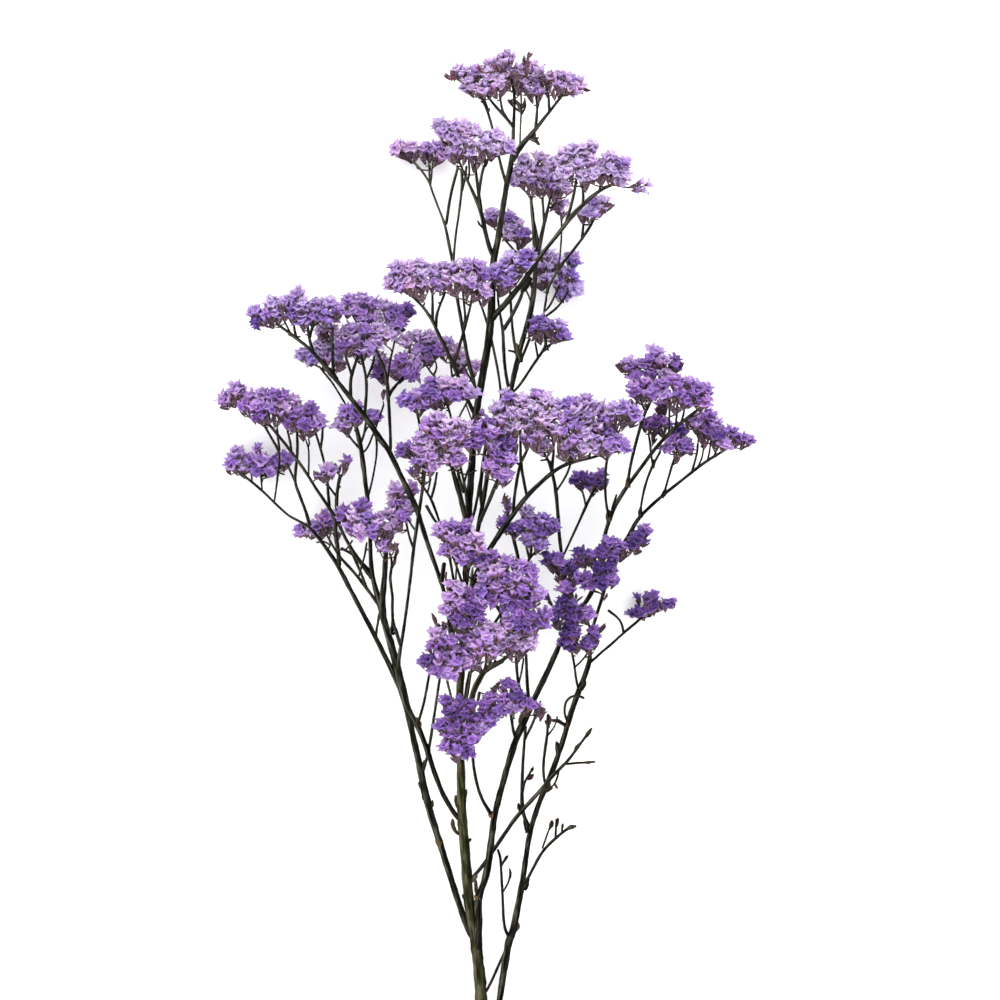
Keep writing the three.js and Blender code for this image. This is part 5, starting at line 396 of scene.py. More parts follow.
# ---- flower heads: node -> (floret groups (x, y, z, half width, half length, half height, tone, focus x, y, z),
#      calyx tufts (x, y, z, half width, half length, foot x, y, z, tubes, tone), twigs (start, middle, end)) ----
# tone is a group's darkness: partly the head's own colour, partly painted shade on heads that lie in shade and on the
# lower layer of each head
HEADS = {
    "flower_top": (
        [
            (2.1, 321.7, 72.8, 5.5, 4.7, 5.4, -0.05, 3.3, 313.8, 69.9), (29.4, 325.2, 64.5, 5.0, 4.2, 4.8, -0.05, 24.8, 318.3, 62.4),
            (65.6, 325.1, 73.1, 3.3, 4.7, 4.2, -0.05, 61.4, 318.1, 70.6), (17.3, 332.5, 62.4, 5.1, 5.6, 5.6, -0.05, 17.3, 324.1, 61.2),
            (-12.4, 332.8, 65.0, 5.4, 4.8, 5.3, -0.05, -9.9, 324.8, 63.4), (52.3, 323.3, 72.9, 4.5, 3.5, 4.2, -0.05, 50.9, 315.4, 70.4),
            (17.6, 342.0, 67.2, 5.1, 5.2, 5.4, -0.05, 17.5, 333.7, 65.6), (6.3, 329.4, 72.8, 4.8, 4.4, 4.8, -0.05, 9.1, 322.2, 69.3),
            (33.8, 331.3, 63.1, 3.9, 4.5, 4.4, -0.05, 29.8, 323.9, 62.1), (8.4, 337.7, 64.8, 5.8, 4.3, 5.3, -0.05, 10.4, 329.5, 63.5),
            (46.8, 329.5, 71.2, 4.1, 4.3, 4.4, -0.05, 46.6, 321.2, 69.4), (53.9, 329.8, 72.2, 3.9, 3.3, 3.8, -0.05, 52.5, 321.6, 70.4),
            (-1.7, 332.6, 65.5, 5.3, 4.9, 5.3, -0.05, -1.2, 324.3, 63.5), (40.3, 328.4, 64.0, 4.0, 4.5, 4.4, -0.05, 41.4, 320.0, 63.5),
            (12.4, 324.4, 73.0, 4.9, 4.8, 5.1, -0.05, 14.1, 317.7, 68.0), (59.2, 326.3, 73.9, 3.5, 4.2, 4.0, -0.05, 56.8, 318.4, 71.7),
            (37.8, 321.1, 65.3, 4.8, 4.4, 4.8, -0.05, 39.2, 315.9, 64.6), (-6.7, 324.3, 66.2, 5.0, 5.3, 5.4, -0.05, -4.5, 316.6, 63.3),
            (26.0, 333.5, 64.4, 4.4, 4.4, 4.6, -0.05, 23.6, 325.5, 62.9), (62.2, 320.2, 73.0, 4.8, 2.9, 4.0, -0.05, 57.5, 316.3, 69.7),
            (35.8, 335.5, 80.0, 1.8, 3.5, 2.8, -0.05, 32.9, 328.2, 76.7), (40.4, 334.4, 78.0, 1.0, 1.0, 1.1, -0.05, 41.1, 326.3, 75.7),
            (1.4, 321.7, 59.8, 5.5, 4.7, 5.4, 0.01, 3.1, 313.3, 60.3), (27.5, 324.8, 57.7, 5.0, 4.2, 4.8, 0.01, 22.7, 317.8, 58.3),
            (65.0, 324.5, 60.9, 3.3, 4.7, 4.2, 0.01, 60.5, 319.1, 61.0), (-11.3, 331.5, 54.9, 5.4, 4.8, 5.3, 0.01, -8.8, 323.4, 55.2),
            (53.5, 323.0, 59.8, 4.5, 3.5, 4.2, 0.01, 51.5, 314.8, 60.2), (6.7, 328.1, 59.7, 4.8, 4.4, 4.8, 0.01, 10.7, 320.6, 59.4),
            (8.7, 337.6, 57.4, 5.8, 4.3, 5.3, 0.01, 10.7, 329.4, 57.8), (45.3, 328.2, 53.2, 4.1, 4.3, 4.4, 0.01, 45.4, 319.9, 54.8),
            (-2.0, 331.3, 56.8, 5.3, 4.9, 5.3, 0.01, -1.3, 322.9, 56.7), (59.4, 325.5, 58.8, 3.5, 4.2, 4.0, 0.01, 55.1, 318.2, 59.6),
            (37.9, 321.2, 51.1, 4.8, 4.4, 4.8, 0.01, 39.5, 314.7, 53.2), (25.6, 331.8, 59.1, 4.4, 4.4, 4.6, 0.01, 22.9, 323.8, 59.1),
            (60.7, 320.4, 61.4, 4.8, 2.9, 4.0, 0.01, 57.8, 317.8, 61.4),
        ],
        [
            (-17.9, 329.4, 65.4, 3.3, 2.9, -16.0, 325.8, 64.8, 14, 0.00, 0.3), (-4.7, 318.3, 65.8, 2.3, 2.5, -3.5, 314.9, 64.8, 8, 0.00, 0.3),
            (-1.5, 317.0, 71.9, 1.8, 2.1, 0.1, 314.1, 71.6, 6, 0.00, 0.3), (15.3, 318.3, 73.1, 2.5, 3.0, 14.4, 314.3, 72.5, 11, 0.00, 0.3),
            (8.5, 320.5, 72.7, 2.1, 2.1, 7.2, 317.4, 72.3, 7, 0.00, 0.3), (7.7, 317.1, 72.2, 1.6, 2.5, 7.2, 313.6, 71.4, 6, 0.00, 0.3),
            (10.5, 316.7, 72.7, 1.7, 3.3, 12.1, 312.5, 72.1, 8, 0.00, 0.3), (17.5, 322.0, 73.2, 1.8, 3.2, 16.1, 317.8, 73.0, 9, 0.00, 0.3),
            (31.8, 342.4, 67.5, 1.9, 2.3, 30.5, 339.2, 67.2, 7, 0.00, 0.3), (30.4, 336.9, 65.1, 2.1, 1.7, 29.1, 334.4, 64.9, 5, 0.00, 0.3),
            (29.7, 339.4, 66.8, 2.3, 1.9, 28.4, 336.6, 66.5, 6, 0.00, 0.3), (23.7, 328.1, 67.4, 3.0, 3.1, 22.7, 324.2, 66.0, 14, 0.00, 0.3),
            (19.3, 323.3, 67.0, 1.1, 3.8, 20.7, 318.7, 65.7, 6, 0.00, 0.3), (24.7, 322.6, 66.3, 2.1, 2.5, 23.9, 319.2, 65.3, 8, 0.00, 0.3),
            (25.6, 318.9, 67.9, 2.1, 2.5, 24.7, 315.4, 66.8, 8, 0.00, 0.3), (43.7, 324.1, 63.0, 1.7, 3.1, 44.0, 319.9, 63.6, 8, 0.00, 0.3),
            (39.5, 315.0, 64.3, 1.7, 2.6, 38.6, 311.4, 63.6, 6, 0.00, 0.3), (31.0, 319.8, 64.8, 2.9, 2.4, 30.0, 316.5, 63.6, 10, 0.00, 0.3),
            (43.4, 319.2, 62.8, 1.9, 2.7, 44.1, 315.6, 63.8, 8, 0.00, 0.3), (34.0, 315.3, 63.7, 1.7, 3.8, 35.6, 310.6, 63.0, 10, 0.00, 0.3),
            (48.6, 315.9, 71.4, 2.1, 2.1, 49.1, 312.7, 70.5, 7, 0.00, 0.3), (56.1, 319.3, 72.5, 2.5, 2.8, 55.1, 315.6, 71.2, 10, 0.00, 0.3),
            (47.3, 319.7, 73.4, 2.3, 2.4, 46.5, 316.3, 72.4, 8, 0.00, 0.3), (46.3, 324.1, 71.1, 1.9, 2.1, 46.0, 320.7, 70.7, 6, 0.00, 0.3),
            (51.4, 318.9, 71.9, 2.3, 1.9, 51.9, 316.0, 70.9, 7, 0.00, 0.3), (31.3, 335.3, 82.0, 1.9, 4.5, 30.6, 329.4, 81.1, 9, 0.35, 0.9),
            (30.7, 330.3, 80.0, 1.9, 2.6, 30.7, 326.3, 79.4, 5, 0.20, 0.3), (9.4, 334.2, 80.0, 1.7, 2.3, 10.8, 330.7, 79.5, 5, 0.30, 0.9),
            (13.2, 334.2, 80.0, 1.3, 2.2, 13.2, 330.5, 79.5, 3, 0.30, 0.9), (-0.3, 333.6, 74.0, 1.7, 1.9, 1.8, 330.9, 73.6, 5, 0.35, 0.9),
            (-17.8, 328.8, 70.0, 2.6, 1.9, -14.4, 328.5, 69.5, 6, 0.40, 0.9), (23.6, 327.3, 78.0, 1.7, 2.6, 22.8, 323.4, 77.4, 4, 0.30, 0.3),
            (-2.9, 319.4, 74.0, 1.9, 1.9, -1.4, 322.4, 73.5, 4, 0.35, 0.9), (43.0, 324.1, 72.0, 1.6, 2.6, 44.2, 320.2, 71.4, 4, 0.40, 0.3),
        ],
        [
            (22.0, 323.4, 61.0, 22.4, 323.5, 60.0, 22.9, 323.8, 59.1), (13.8, 314.8, 70.5, 14.1, 314.7, 71.5, 14.5, 314.7, 72.5),
            (22.9, 317.7, 60.9, 23.9, 318.0, 61.7, 24.8, 318.3, 62.4), (22.9, 317.7, 60.9, 22.8, 317.7, 59.6, 22.7, 317.8, 58.3),
            (21.5, 325.5, 61.1, 22.5, 325.4, 62.0, 23.6, 325.5, 62.9), (-0.4, 322.8, 54.0, -0.9, 322.7, 55.3, -1.3, 322.9, 56.7),
            (37.5, 310.9, 61.2, 38.1, 311.3, 62.4, 38.7, 311.7, 63.6), (37.5, 310.9, 61.2, 36.5, 310.9, 62.1, 35.4, 311.0, 63.1),
            (7.2, 313.6, 68.5, 7.3, 313.7, 70.0, 7.3, 313.9, 71.4), (13.3, 317.6, 72.0, 14.8, 317.8, 72.5, 16.3, 318.2, 73.0),
            (5.0, 316.8, 69.7, 6.2, 317.2, 71.0, 7.4, 317.7, 72.4), (13.6, 315.7, 71.0, 13.9, 316.6, 69.5, 14.1, 317.7, 68.0),
            (3.2, 313.0, 56.6, 3.1, 313.1, 58.5, 3.1, 313.3, 60.3), (18.7, 333.4, 62.0, 18.1, 333.5, 63.8, 17.5, 333.7, 65.6),
            (17.1, 320.9, 59.0, 17.2, 322.4, 60.1, 17.3, 324.1, 61.2), (6.7, 314.4, 68.8, 5.0, 314.0, 69.4, 3.3, 313.8, 69.9),
            (45.1, 315.4, 67.5, 44.6, 315.6, 65.6, 44.0, 316.0, 63.7), (45.0, 317.4, 68.0, 45.8, 319.2, 68.7, 46.6, 321.2, 69.4),
            (46.6, 321.2, 69.4, 46.3, 321.1, 70.1, 46.0, 321.1, 70.8), (46.0, 321.1, 70.8, 45.0, 320.8, 71.1, 44.1, 320.6, 71.5),
            (24.8, 318.3, 62.4, 24.4, 318.9, 63.9, 24.0, 319.6, 65.4), (52.2, 315.0, 65.8, 51.5, 315.0, 68.1, 50.9, 315.4, 70.4),
            (50.9, 315.4, 70.4, 51.3, 315.8, 70.7, 51.8, 316.3, 71.0), (51.8, 316.3, 71.0, 53.5, 316.0, 71.2, 55.2, 316.0, 71.3),
            (55.2, 316.0, 71.3, 56.0, 317.1, 71.5, 56.8, 318.4, 71.7), (55.2, 316.0, 71.3, 56.3, 316.2, 70.5, 57.5, 316.3, 69.7),
            (37.2, 314.9, 60.4, 38.2, 315.3, 62.5, 39.2, 315.9, 64.6), (14.0, 313.8, 70.1, 12.9, 313.3, 71.1, 11.9, 312.9, 72.2),
            (24.0, 319.6, 65.4, 22.3, 319.3, 65.6, 20.6, 319.1, 65.8), (45.1, 316.4, 67.7, 45.8, 316.4, 70.1, 46.6, 316.6, 72.5),
            (3.3, 313.8, 69.9, 1.6, 314.0, 70.8, -0.0, 314.4, 71.7), (50.3, 312.5, 65.6, 49.7, 312.6, 68.1, 49.1, 313.0, 70.5),
            (23.6, 325.5, 62.9, 23.2, 325.0, 64.5, 22.8, 324.6, 66.1), (45.0, 317.4, 68.0, 44.5, 318.7, 65.8, 44.0, 320.3, 63.6),
            (44.0, 320.3, 63.6, 42.7, 320.1, 63.5, 41.4, 320.0, 63.5), (51.6, 314.2, 65.8, 51.6, 314.3, 63.0, 51.5, 314.8, 60.2),
            (54.2, 317.4, 66.0, 56.0, 317.4, 63.7, 57.8, 317.8, 61.4), (57.8, 317.8, 61.4, 56.4, 317.9, 60.5, 55.1, 318.2, 59.6),
            (56.8, 318.4, 71.7, 59.1, 318.1, 71.2, 61.4, 318.1, 70.6), (23.0, 315.6, 61.0, 23.9, 315.5, 63.9, 24.8, 315.8, 66.9),
            (54.2, 317.4, 66.0, 53.3, 319.4, 68.2, 52.5, 321.6, 70.4), (38.0, 308.4, 53.8, 38.7, 311.4, 53.5, 39.5, 314.7, 53.2),
            (4.4, 317.5, 70.0, 6.7, 319.7, 69.6, 9.1, 322.2, 69.3), (17.1, 320.9, 59.0, 13.9, 320.6, 59.2, 10.7, 320.6, 59.4),
            (57.8, 317.8, 61.4, 59.2, 318.2, 61.2, 60.5, 319.1, 61.0), (24.8, 318.3, 62.4, 27.6, 317.8, 63.1, 30.1, 316.9, 63.8),
            (22.2, 322.2, 61.0, 26.0, 322.9, 61.5, 29.8, 323.9, 62.1), (-1.3, 322.9, 56.7, -1.2, 323.4, 60.1, -1.2, 324.3, 63.5),
            (4.4, 317.5, 70.0, 1.4, 319.6, 71.8, -1.5, 322.1, 73.6), (-0.4, 322.8, 54.0, -4.6, 322.9, 54.6, -8.8, 323.4, 55.2),
            (44.1, 320.6, 71.5, 42.6, 323.2, 73.6, 41.1, 326.3, 75.7), (1.2, 316.9, 56.0, -1.6, 316.5, 59.6, -4.5, 316.6, 63.3),
            (-4.5, 316.6, 63.3, -4.1, 315.9, 64.1, -3.6, 315.2, 64.9), (-8.8, 323.4, 55.2, -9.3, 323.9, 59.3, -9.9, 324.8, 63.4),
            (41.1, 326.3, 75.7, 37.0, 327.0, 76.2, 32.9, 328.2, 76.7), (32.9, 328.2, 76.7, 31.8, 327.4, 78.1, 30.7, 326.7, 79.5),
            (30.7, 326.7, 79.5, 30.7, 328.2, 80.3, 30.7, 330.0, 81.2), (-9.9, 324.8, 63.4, -12.4, 326.5, 66.5, -14.8, 328.5, 69.5),
            (20.1, 329.5, 61.6, 15.2, 329.3, 62.5, 10.4, 329.5, 63.5), (10.4, 329.5, 63.5, 10.5, 329.3, 60.6, 10.7, 329.4, 57.8),
            (44.0, 320.3, 63.6, 44.7, 319.9, 59.2, 45.4, 319.9, 54.8), (19.4, 331.5, 61.8, 24.3, 332.8, 63.4, 29.2, 334.6, 64.9),
            (29.2, 334.6, 64.9, 28.9, 335.7, 65.7, 28.5, 336.9, 66.6), (28.5, 336.9, 66.6, 29.6, 338.1, 66.9, 30.6, 339.5, 67.2),
            (-1.5, 322.1, 73.6, 0.0, 326.4, 73.6, 1.6, 331.2, 73.6), (16.3, 318.2, 73.0, 19.6, 320.8, 75.2, 22.9, 323.8, 77.5),
            (1.6, 331.2, 73.6, 6.1, 330.8, 76.6, 10.6, 331.0, 79.5), (10.6, 331.0, 79.5, 11.9, 330.9, 79.5, 13.2, 330.9, 79.5),
            (-14.8, 328.5, 69.5, -15.5, 327.2, 67.2, -16.2, 326.2, 64.8),
        ],
    ),
    "flower_upper_left": (
        [
            (-16.0, 288.4, 81.5, 4.8, 4.4, 4.8, -0.05, -19.9, 282.7, 76.5), (-1.8, 293.3, 80.9, 4.1, 5.0, 4.8, -0.05, -6.9, 286.9, 78.5),
            (-22.3, 291.4, 78.6, 3.9, 4.6, 4.4, -0.05, -23.7, 285.7, 73.8), (10.4, 281.3, 80.7, 4.8, 4.7, 5.0, -0.05, 6.9, 274.2, 77.5),
            (-9.3, 295.3, 81.1, 4.1, 4.6, 4.6, -0.05, -13.5, 288.6, 78.1), (-16.3, 296.7, 79.5, 4.1, 4.2, 4.4, -0.05, -19.2, 289.4, 76.2),
            (-5.6, 280.0, 75.6, 3.9, 4.8, 4.6, -0.05, -4.3, 271.8, 73.7), (12.3, 289.9, 80.3, 4.1, 4.9, 4.7, -0.05, 10.1, 281.9, 78.6),
            (-15.4, 281.0, 77.0, 4.4, 4.6, 4.7, -0.05, -14.7, 272.9, 74.6), (1.6, 283.6, 80.2, 4.7, 4.8, 5.0, -0.05, 0.8, 275.5, 77.7),
            (18.9, 282.6, 79.8, 4.4, 5.5, 5.2, -0.05, 13.3, 276.8, 77.0), (-7.8, 286.9, 80.9, 4.8, 4.3, 4.7, -0.05, -8.9, 278.8, 78.6),
            (5.4, 289.7, 79.5, 4.3, 4.5, 4.6, -0.05, 4.2, 281.5, 77.7), (-26.2, 297.7, 75.2, 4.3, 4.3, 4.5, -0.05, -25.5, 292.1, 72.2),
            (-16.3, 288.3, 68.1, 4.8, 4.4, 4.8, 0.01, -22.0, 283.5, 69.3), (-1.6, 292.4, 69.6, 4.1, 5.0, 4.8, 0.01, -7.3, 286.1, 69.6),
            (9.2, 281.4, 67.7, 4.8, 4.7, 5.0, 0.01, 5.6, 273.7, 68.3), (-15.9, 295.2, 68.6, 4.1, 4.2, 4.4, 0.01, -20.0, 288.1, 69.2),
            (11.7, 288.7, 68.1, 4.1, 4.9, 4.7, 0.01, 9.3, 280.5, 68.3), (-14.7, 280.3, 65.4, 4.4, 4.6, 4.7, 0.01, -14.2, 271.9, 66.9),
            (3.2, 283.4, 68.6, 4.7, 4.8, 5.0, 0.01, 1.9, 275.0, 68.8), (6.7, 288.5, 68.1, 4.3, 4.5, 4.6, 0.01, 5.1, 280.2, 68.4),
            (-25.4, 297.0, 70.2, 4.3, 4.3, 4.5, 0.01, -25.2, 291.7, 70.1),
        ],
        [
            (1.3, 273.6, 80.2, 1.7, 2.8, 2.3, 269.9, 79.2, 7, 0.00, 0.3), (2.7, 277.1, 79.8, 2.1, 2.1, 3.6, 274.0, 79.1, 6, 0.00, 0.3),
            (8.9, 275.4, 79.8, 2.1, 2.0, 7.8, 272.5, 79.2, 6, 0.00, 0.3), (6.1, 277.2, 80.0, 1.7, 2.3, 5.8, 273.9, 79.1, 6, 0.00, 0.3),
            (-16.6, 273.9, 75.1, 2.3, 3.4, -14.7, 269.8, 74.4, 11, 0.00, 0.3), (-0.7, 271.0, 75.5, 1.7, 2.3, -1.4, 267.6, 75.1, 6, 0.00, 0.3),
            (-11.5, 277.0, 75.8, 2.8, 1.7, -11.9, 274.1, 75.2, 7, 0.00, 0.3), (-4.6, 273.3, 76.1, 1.9, 2.5, -3.7, 269.8, 75.6, 7, 0.00, 0.3),
            (-1.9, 274.8, 75.6, 1.8, 2.1, -2.1, 271.5, 75.4, 6, 0.00, 0.3), (-9.4, 273.7, 74.5, 2.1, 2.9, -10.5, 269.7, 73.9, 9, 0.00, 0.3),
            (-2.7, 271.1, 64.0, 2.1, 4.5, -3.2, 265.1, 63.1, 9, 0.35, 0.3), (3.5, 274.8, 66.0, 1.7, 3.2, 4.4, 270.2, 65.3, 5, 0.30, 0.3),
        ],
        [
            (-2.3, 268.3, 73.6, -1.8, 268.1, 74.3, -1.4, 268.0, 75.1), (-2.5, 270.3, 74.0, -3.2, 270.2, 74.8, -3.8, 270.2, 75.7),
            (-2.5, 270.3, 74.0, -2.3, 271.0, 74.7, -2.0, 271.9, 75.4), (5.4, 274.1, 75.8, 6.2, 274.1, 76.6, 6.9, 274.2, 77.5),
            (-2.5, 270.3, 74.0, -3.4, 271.0, 73.8, -4.3, 271.8, 73.7), (-11.4, 269.5, 71.4, -10.9, 269.7, 72.6, -10.4, 270.1, 73.9),
            (-25.0, 290.0, 69.9, -25.1, 290.8, 70.0, -25.2, 291.7, 70.1), (6.9, 274.2, 77.5, 6.4, 274.1, 78.3, 5.9, 274.2, 79.2),
            (-13.8, 270.5, 64.0, -14.0, 271.1, 65.5, -14.2, 271.9, 66.9), (-25.2, 291.7, 70.1, -25.4, 291.9, 71.2, -25.5, 292.1, 72.2),
            (5.9, 274.2, 79.2, 4.7, 274.2, 79.2, 3.5, 274.3, 79.2), (-13.2, 274.5, 71.9, -12.5, 274.4, 73.6, -11.9, 274.4, 75.3),
            (-12.5, 272.5, 71.7, -13.6, 272.6, 73.1, -14.7, 272.9, 74.6), (-11.8, 270.5, 71.5, -13.3, 270.3, 72.9, -14.9, 270.3, 74.4),
            (3.5, 274.3, 79.2, 2.2, 274.8, 78.5, 0.8, 275.5, 77.7), (3.4, 269.7, 74.6, 2.8, 269.8, 76.9, 2.2, 270.2, 79.3),
            (5.9, 274.2, 79.2, 7.0, 273.7, 79.2, 7.9, 272.8, 79.2), (-8.9, 265.6, 65.5, -6.0, 265.5, 64.4, -3.2, 265.7, 63.2),
            (-25.0, 290.0, 69.9, -22.5, 288.9, 69.5, -20.0, 288.1, 69.2), (5.9, 275.0, 76.0, 5.0, 278.1, 76.9, 4.2, 281.5, 77.7),
            (4.2, 281.5, 77.7, 7.1, 281.6, 78.2, 10.1, 281.9, 78.6), (4.6, 272.4, 75.3, 5.1, 272.9, 71.8, 5.6, 273.7, 68.3),
            (5.6, 273.7, 68.3, 3.8, 274.2, 68.6, 1.9, 275.0, 68.8), (5.6, 273.7, 68.3, 5.0, 272.1, 66.8, 4.3, 270.7, 65.4),
            (1.9, 275.0, 68.8, 3.5, 277.4, 68.6, 5.1, 280.2, 68.4), (5.1, 280.2, 68.4, 7.2, 280.2, 68.3, 9.3, 280.5, 68.3),
            (-11.9, 274.4, 75.3, -10.4, 276.5, 76.9, -8.9, 278.8, 78.6), (5.9, 275.0, 76.0, 9.6, 275.7, 76.5, 13.3, 276.8, 77.0),
            (-25.0, 290.0, 69.9, -24.3, 287.7, 71.9, -23.7, 285.7, 73.8), (-23.7, 285.7, 73.8, -21.5, 287.4, 75.0, -19.2, 289.4, 76.2),
            (-23.7, 285.7, 73.8, -22.9, 284.4, 71.6, -22.0, 283.5, 69.3), (-19.2, 289.4, 76.2, -16.4, 288.9, 77.2, -13.5, 288.6, 78.1),
            (-23.7, 285.7, 73.8, -21.8, 284.1, 75.2, -19.9, 282.7, 76.5), (-13.5, 288.6, 78.1, -10.2, 287.6, 78.3, -6.9, 286.9, 78.5),
            (-6.9, 286.9, 78.5, -7.1, 286.3, 74.1, -7.3, 286.1, 69.6),
        ],
    ),
    "flower_far_left_top": (
        [
            (-34.7, 286.3, 18.0, 4.9, 5.4, 5.4, 0.23, -34.1, 278.3, 15.3), (-44.5, 287.3, 17.5, 5.2, 5.0, 5.3, 0.13, -43.6, 279.3, 14.8),
            (-54.4, 287.9, 17.9, 5.6, 4.8, 5.4, 0.13, -49.9, 281.6, 14.4), (-24.1, 283.3, 19.4, 5.5, 3.8, 4.9, 0.23, -27.7, 277.3, 14.6),
            (-26.4, 289.0, 17.8, 5.7, 3.6, 4.9, 0.23, -27.8, 281.0, 15.5), (-33.1, 285.5, 6.5, 4.9, 5.4, 5.4, 0.29, -32.9, 277.0, 7.0),
            (-46.0, 286.4, 6.1, 5.2, 5.0, 5.3, 0.19, -43.9, 278.2, 6.7), (-53.2, 286.9, 5.1, 5.6, 4.8, 5.4, 0.19, -48.2, 280.1, 6.1),
            (-24.7, 283.0, 4.2, 5.5, 3.8, 4.9, 0.29, -29.6, 276.4, 6.6), (-27.3, 287.8, 4.6, 5.7, 3.6, 4.9, 0.29, -28.8, 279.4, 5.5),
        ],
        [
            (-52.9, 282.8, 17.0, 2.5, 1.9, -51.5, 280.0, 17.3, 7, 0.13, 0.3), (-46.4, 280.0, 16.6, 2.2, 2.4, -45.0, 276.8, 17.5, 8, 0.13, 0.3),
            (-49.2, 282.1, 17.4, 2.1, 2.4, -47.8, 278.9, 17.7, 7, 0.13, 0.3), (-42.1, 281.3, 17.5, 2.0, 3.0, -43.0, 277.2, 18.2, 9, 0.13, 0.3),
            (-36.7, 279.1, 18.3, 1.9, 3.9, -35.0, 274.4, 19.2, 11, 0.23, 0.3), (-30.9, 281.5, 18.3, 2.7, 1.9, -30.8, 278.4, 18.7, 7, 0.23, 0.3),
            (-27.9, 278.4, 17.8, 2.8, 2.8, -29.1, 274.7, 18.7, 11, 0.23, 0.3),
        ],
        [
            (-30.7, 278.9, 20.0, -30.7, 278.7, 19.3, -30.8, 278.7, 18.7), (-43.2, 277.9, 20.6, -43.1, 277.7, 19.4, -42.9, 277.6, 18.1),
            (-42.9, 277.6, 18.1, -44.0, 277.3, 17.8, -45.1, 277.1, 17.4), (-32.5, 273.2, 8.0, -32.7, 275.0, 7.5, -32.9, 277.0, 7.0),
            (-33.4, 275.6, 22.6, -34.3, 275.1, 20.9, -35.2, 274.9, 19.2), (-32.5, 273.2, 8.0, -31.1, 274.7, 7.3, -29.6, 276.4, 6.6),
            (-29.6, 276.4, 6.6, -29.2, 277.9, 6.0, -28.8, 279.4, 5.5), (-45.1, 277.1, 17.4, -46.5, 278.1, 17.6, -47.9, 279.2, 17.7),
            (-45.1, 277.1, 17.4, -44.4, 278.1, 16.1, -43.6, 279.3, 14.8), (-33.7, 278.9, 20.0, -33.9, 278.4, 17.7, -34.1, 278.3, 15.3),
            (-47.9, 279.2, 17.7, -49.8, 279.7, 17.5, -51.6, 280.3, 17.3), (-51.6, 280.3, 17.3, -50.8, 280.9, 15.8, -49.9, 281.6, 14.4),
            (-41.2, 274.6, 7.6, -42.1, 276.6, 7.2, -43.9, 278.2, 6.7), (-30.9, 276.5, 21.9, -29.9, 275.7, 20.2, -29.0, 275.1, 18.6),
            (-30.7, 278.9, 20.0, -29.2, 279.8, 17.8, -27.8, 281.0, 15.5), (-43.9, 278.2, 6.7, -46.1, 279.0, 6.4, -48.2, 280.1, 6.1),
            (-29.0, 275.1, 18.6, -28.8, 276.4, 16.6, -27.7, 277.3, 14.6),
        ],
    ),
    "flower_rear_top": (
        [
            (8.4, 241.6, 38.1, 4.9, 4.7, 5.0, 0.41, 9.6, 233.5, 36.1), (19.7, 229.7, 40.6, 4.9, 5.4, 5.4, 0.31, 15.3, 225.4, 34.8),
            (19.5, 239.7, 39.8, 4.5, 4.8, 4.9, 0.31, 17.4, 231.8, 37.2), (24.8, 234.9, 41.5, 4.1, 4.1, 4.3, 0.31, 21.1, 227.9, 38.4),
            (29.7, 229.9, 41.3, 4.8, 4.5, 4.9, 0.31, 28.6, 221.8, 38.8), (7.9, 240.5, 31.2, 4.9, 4.7, 5.0, 0.47, 11.0, 232.6, 31.3),
            (20.0, 229.5, 31.7, 4.9, 5.4, 5.4, 0.37, 15.4, 224.6, 31.4), (19.4, 237.9, 32.4, 4.5, 4.8, 4.9, 0.37, 16.6, 229.8, 32.0),
            (24.8, 233.9, 32.6, 4.1, 4.1, 4.3, 0.37, 20.0, 226.9, 32.1),
        ],
        [
            (6.2, 236.6, 37.8, 2.0, 1.5, 7.4, 234.1, 37.4, 4, 0.41, 0.3), (9.2, 235.1, 36.7, 1.6, 2.8, 10.6, 231.5, 36.1, 7, 0.41, 0.3),
            (30.7, 224.4, 41.9, 2.9, 2.4, 29.3, 221.1, 41.3, 10, 0.31, 0.3), (27.5, 221.6, 41.0, 2.2, 3.0, 26.6, 217.5, 40.3, 9, 0.31, 0.3),
            (23.7, 225.3, 41.0, 4.1, 1.6, 24.1, 222.6, 40.4, 10, 0.31, 0.3),
        ],
        [
            (25.8, 216.4, 39.2, 26.2, 217.1, 39.8, 26.7, 217.9, 40.4), (16.4, 226.0, 36.5, 15.9, 225.7, 35.7, 15.3, 225.4, 34.8),
            (12.9, 231.9, 34.6, 11.7, 231.8, 35.4, 10.5, 231.8, 36.2), (10.5, 231.8, 36.2, 10.1, 232.6, 36.1, 9.6, 233.5, 36.1),
            (12.4, 232.7, 34.3, 11.7, 232.6, 32.8, 11.0, 232.6, 31.3), (25.0, 221.9, 36.9, 24.6, 222.3, 38.6, 24.1, 222.8, 40.4),
            (25.1, 221.0, 37.1, 26.9, 221.3, 38.0, 28.6, 221.8, 38.8), (28.6, 221.8, 38.8, 29.0, 221.6, 40.1, 29.4, 221.4, 41.3),
            (9.6, 233.5, 36.1, 8.5, 233.8, 36.8, 7.3, 234.3, 37.4), (12.6, 229.2, 31.3, 14.6, 229.4, 31.6, 16.6, 229.8, 32.0),
            (14.3, 229.3, 35.4, 15.8, 230.4, 36.3, 17.4, 231.8, 37.2), (17.7, 224.5, 37.1, 19.4, 226.1, 37.7, 21.1, 227.9, 38.4),
            (15.3, 225.4, 34.8, 15.3, 224.9, 33.1, 15.4, 224.6, 31.4), (16.4, 226.0, 36.5, 18.2, 226.3, 34.3, 20.0, 226.9, 32.1),
        ],
    ),
    "flower_upper_mid": (
        [
            (34.9, 271.4, 53.8, 4.4, 4.4, 4.6, -0.05, 34.6, 263.0, 52.3), (53.1, 247.9, 40.4, 4.5, 6.2, 5.6, 0.08, 48.0, 245.6, 40.7),
            (23.8, 263.1, 55.6, 4.6, 4.0, 4.5, -0.05, 27.3, 258.2, 52.1), (55.1, 259.4, 49.6, 4.6, 5.4, 5.2, -0.05, 53.2, 251.5, 47.2),
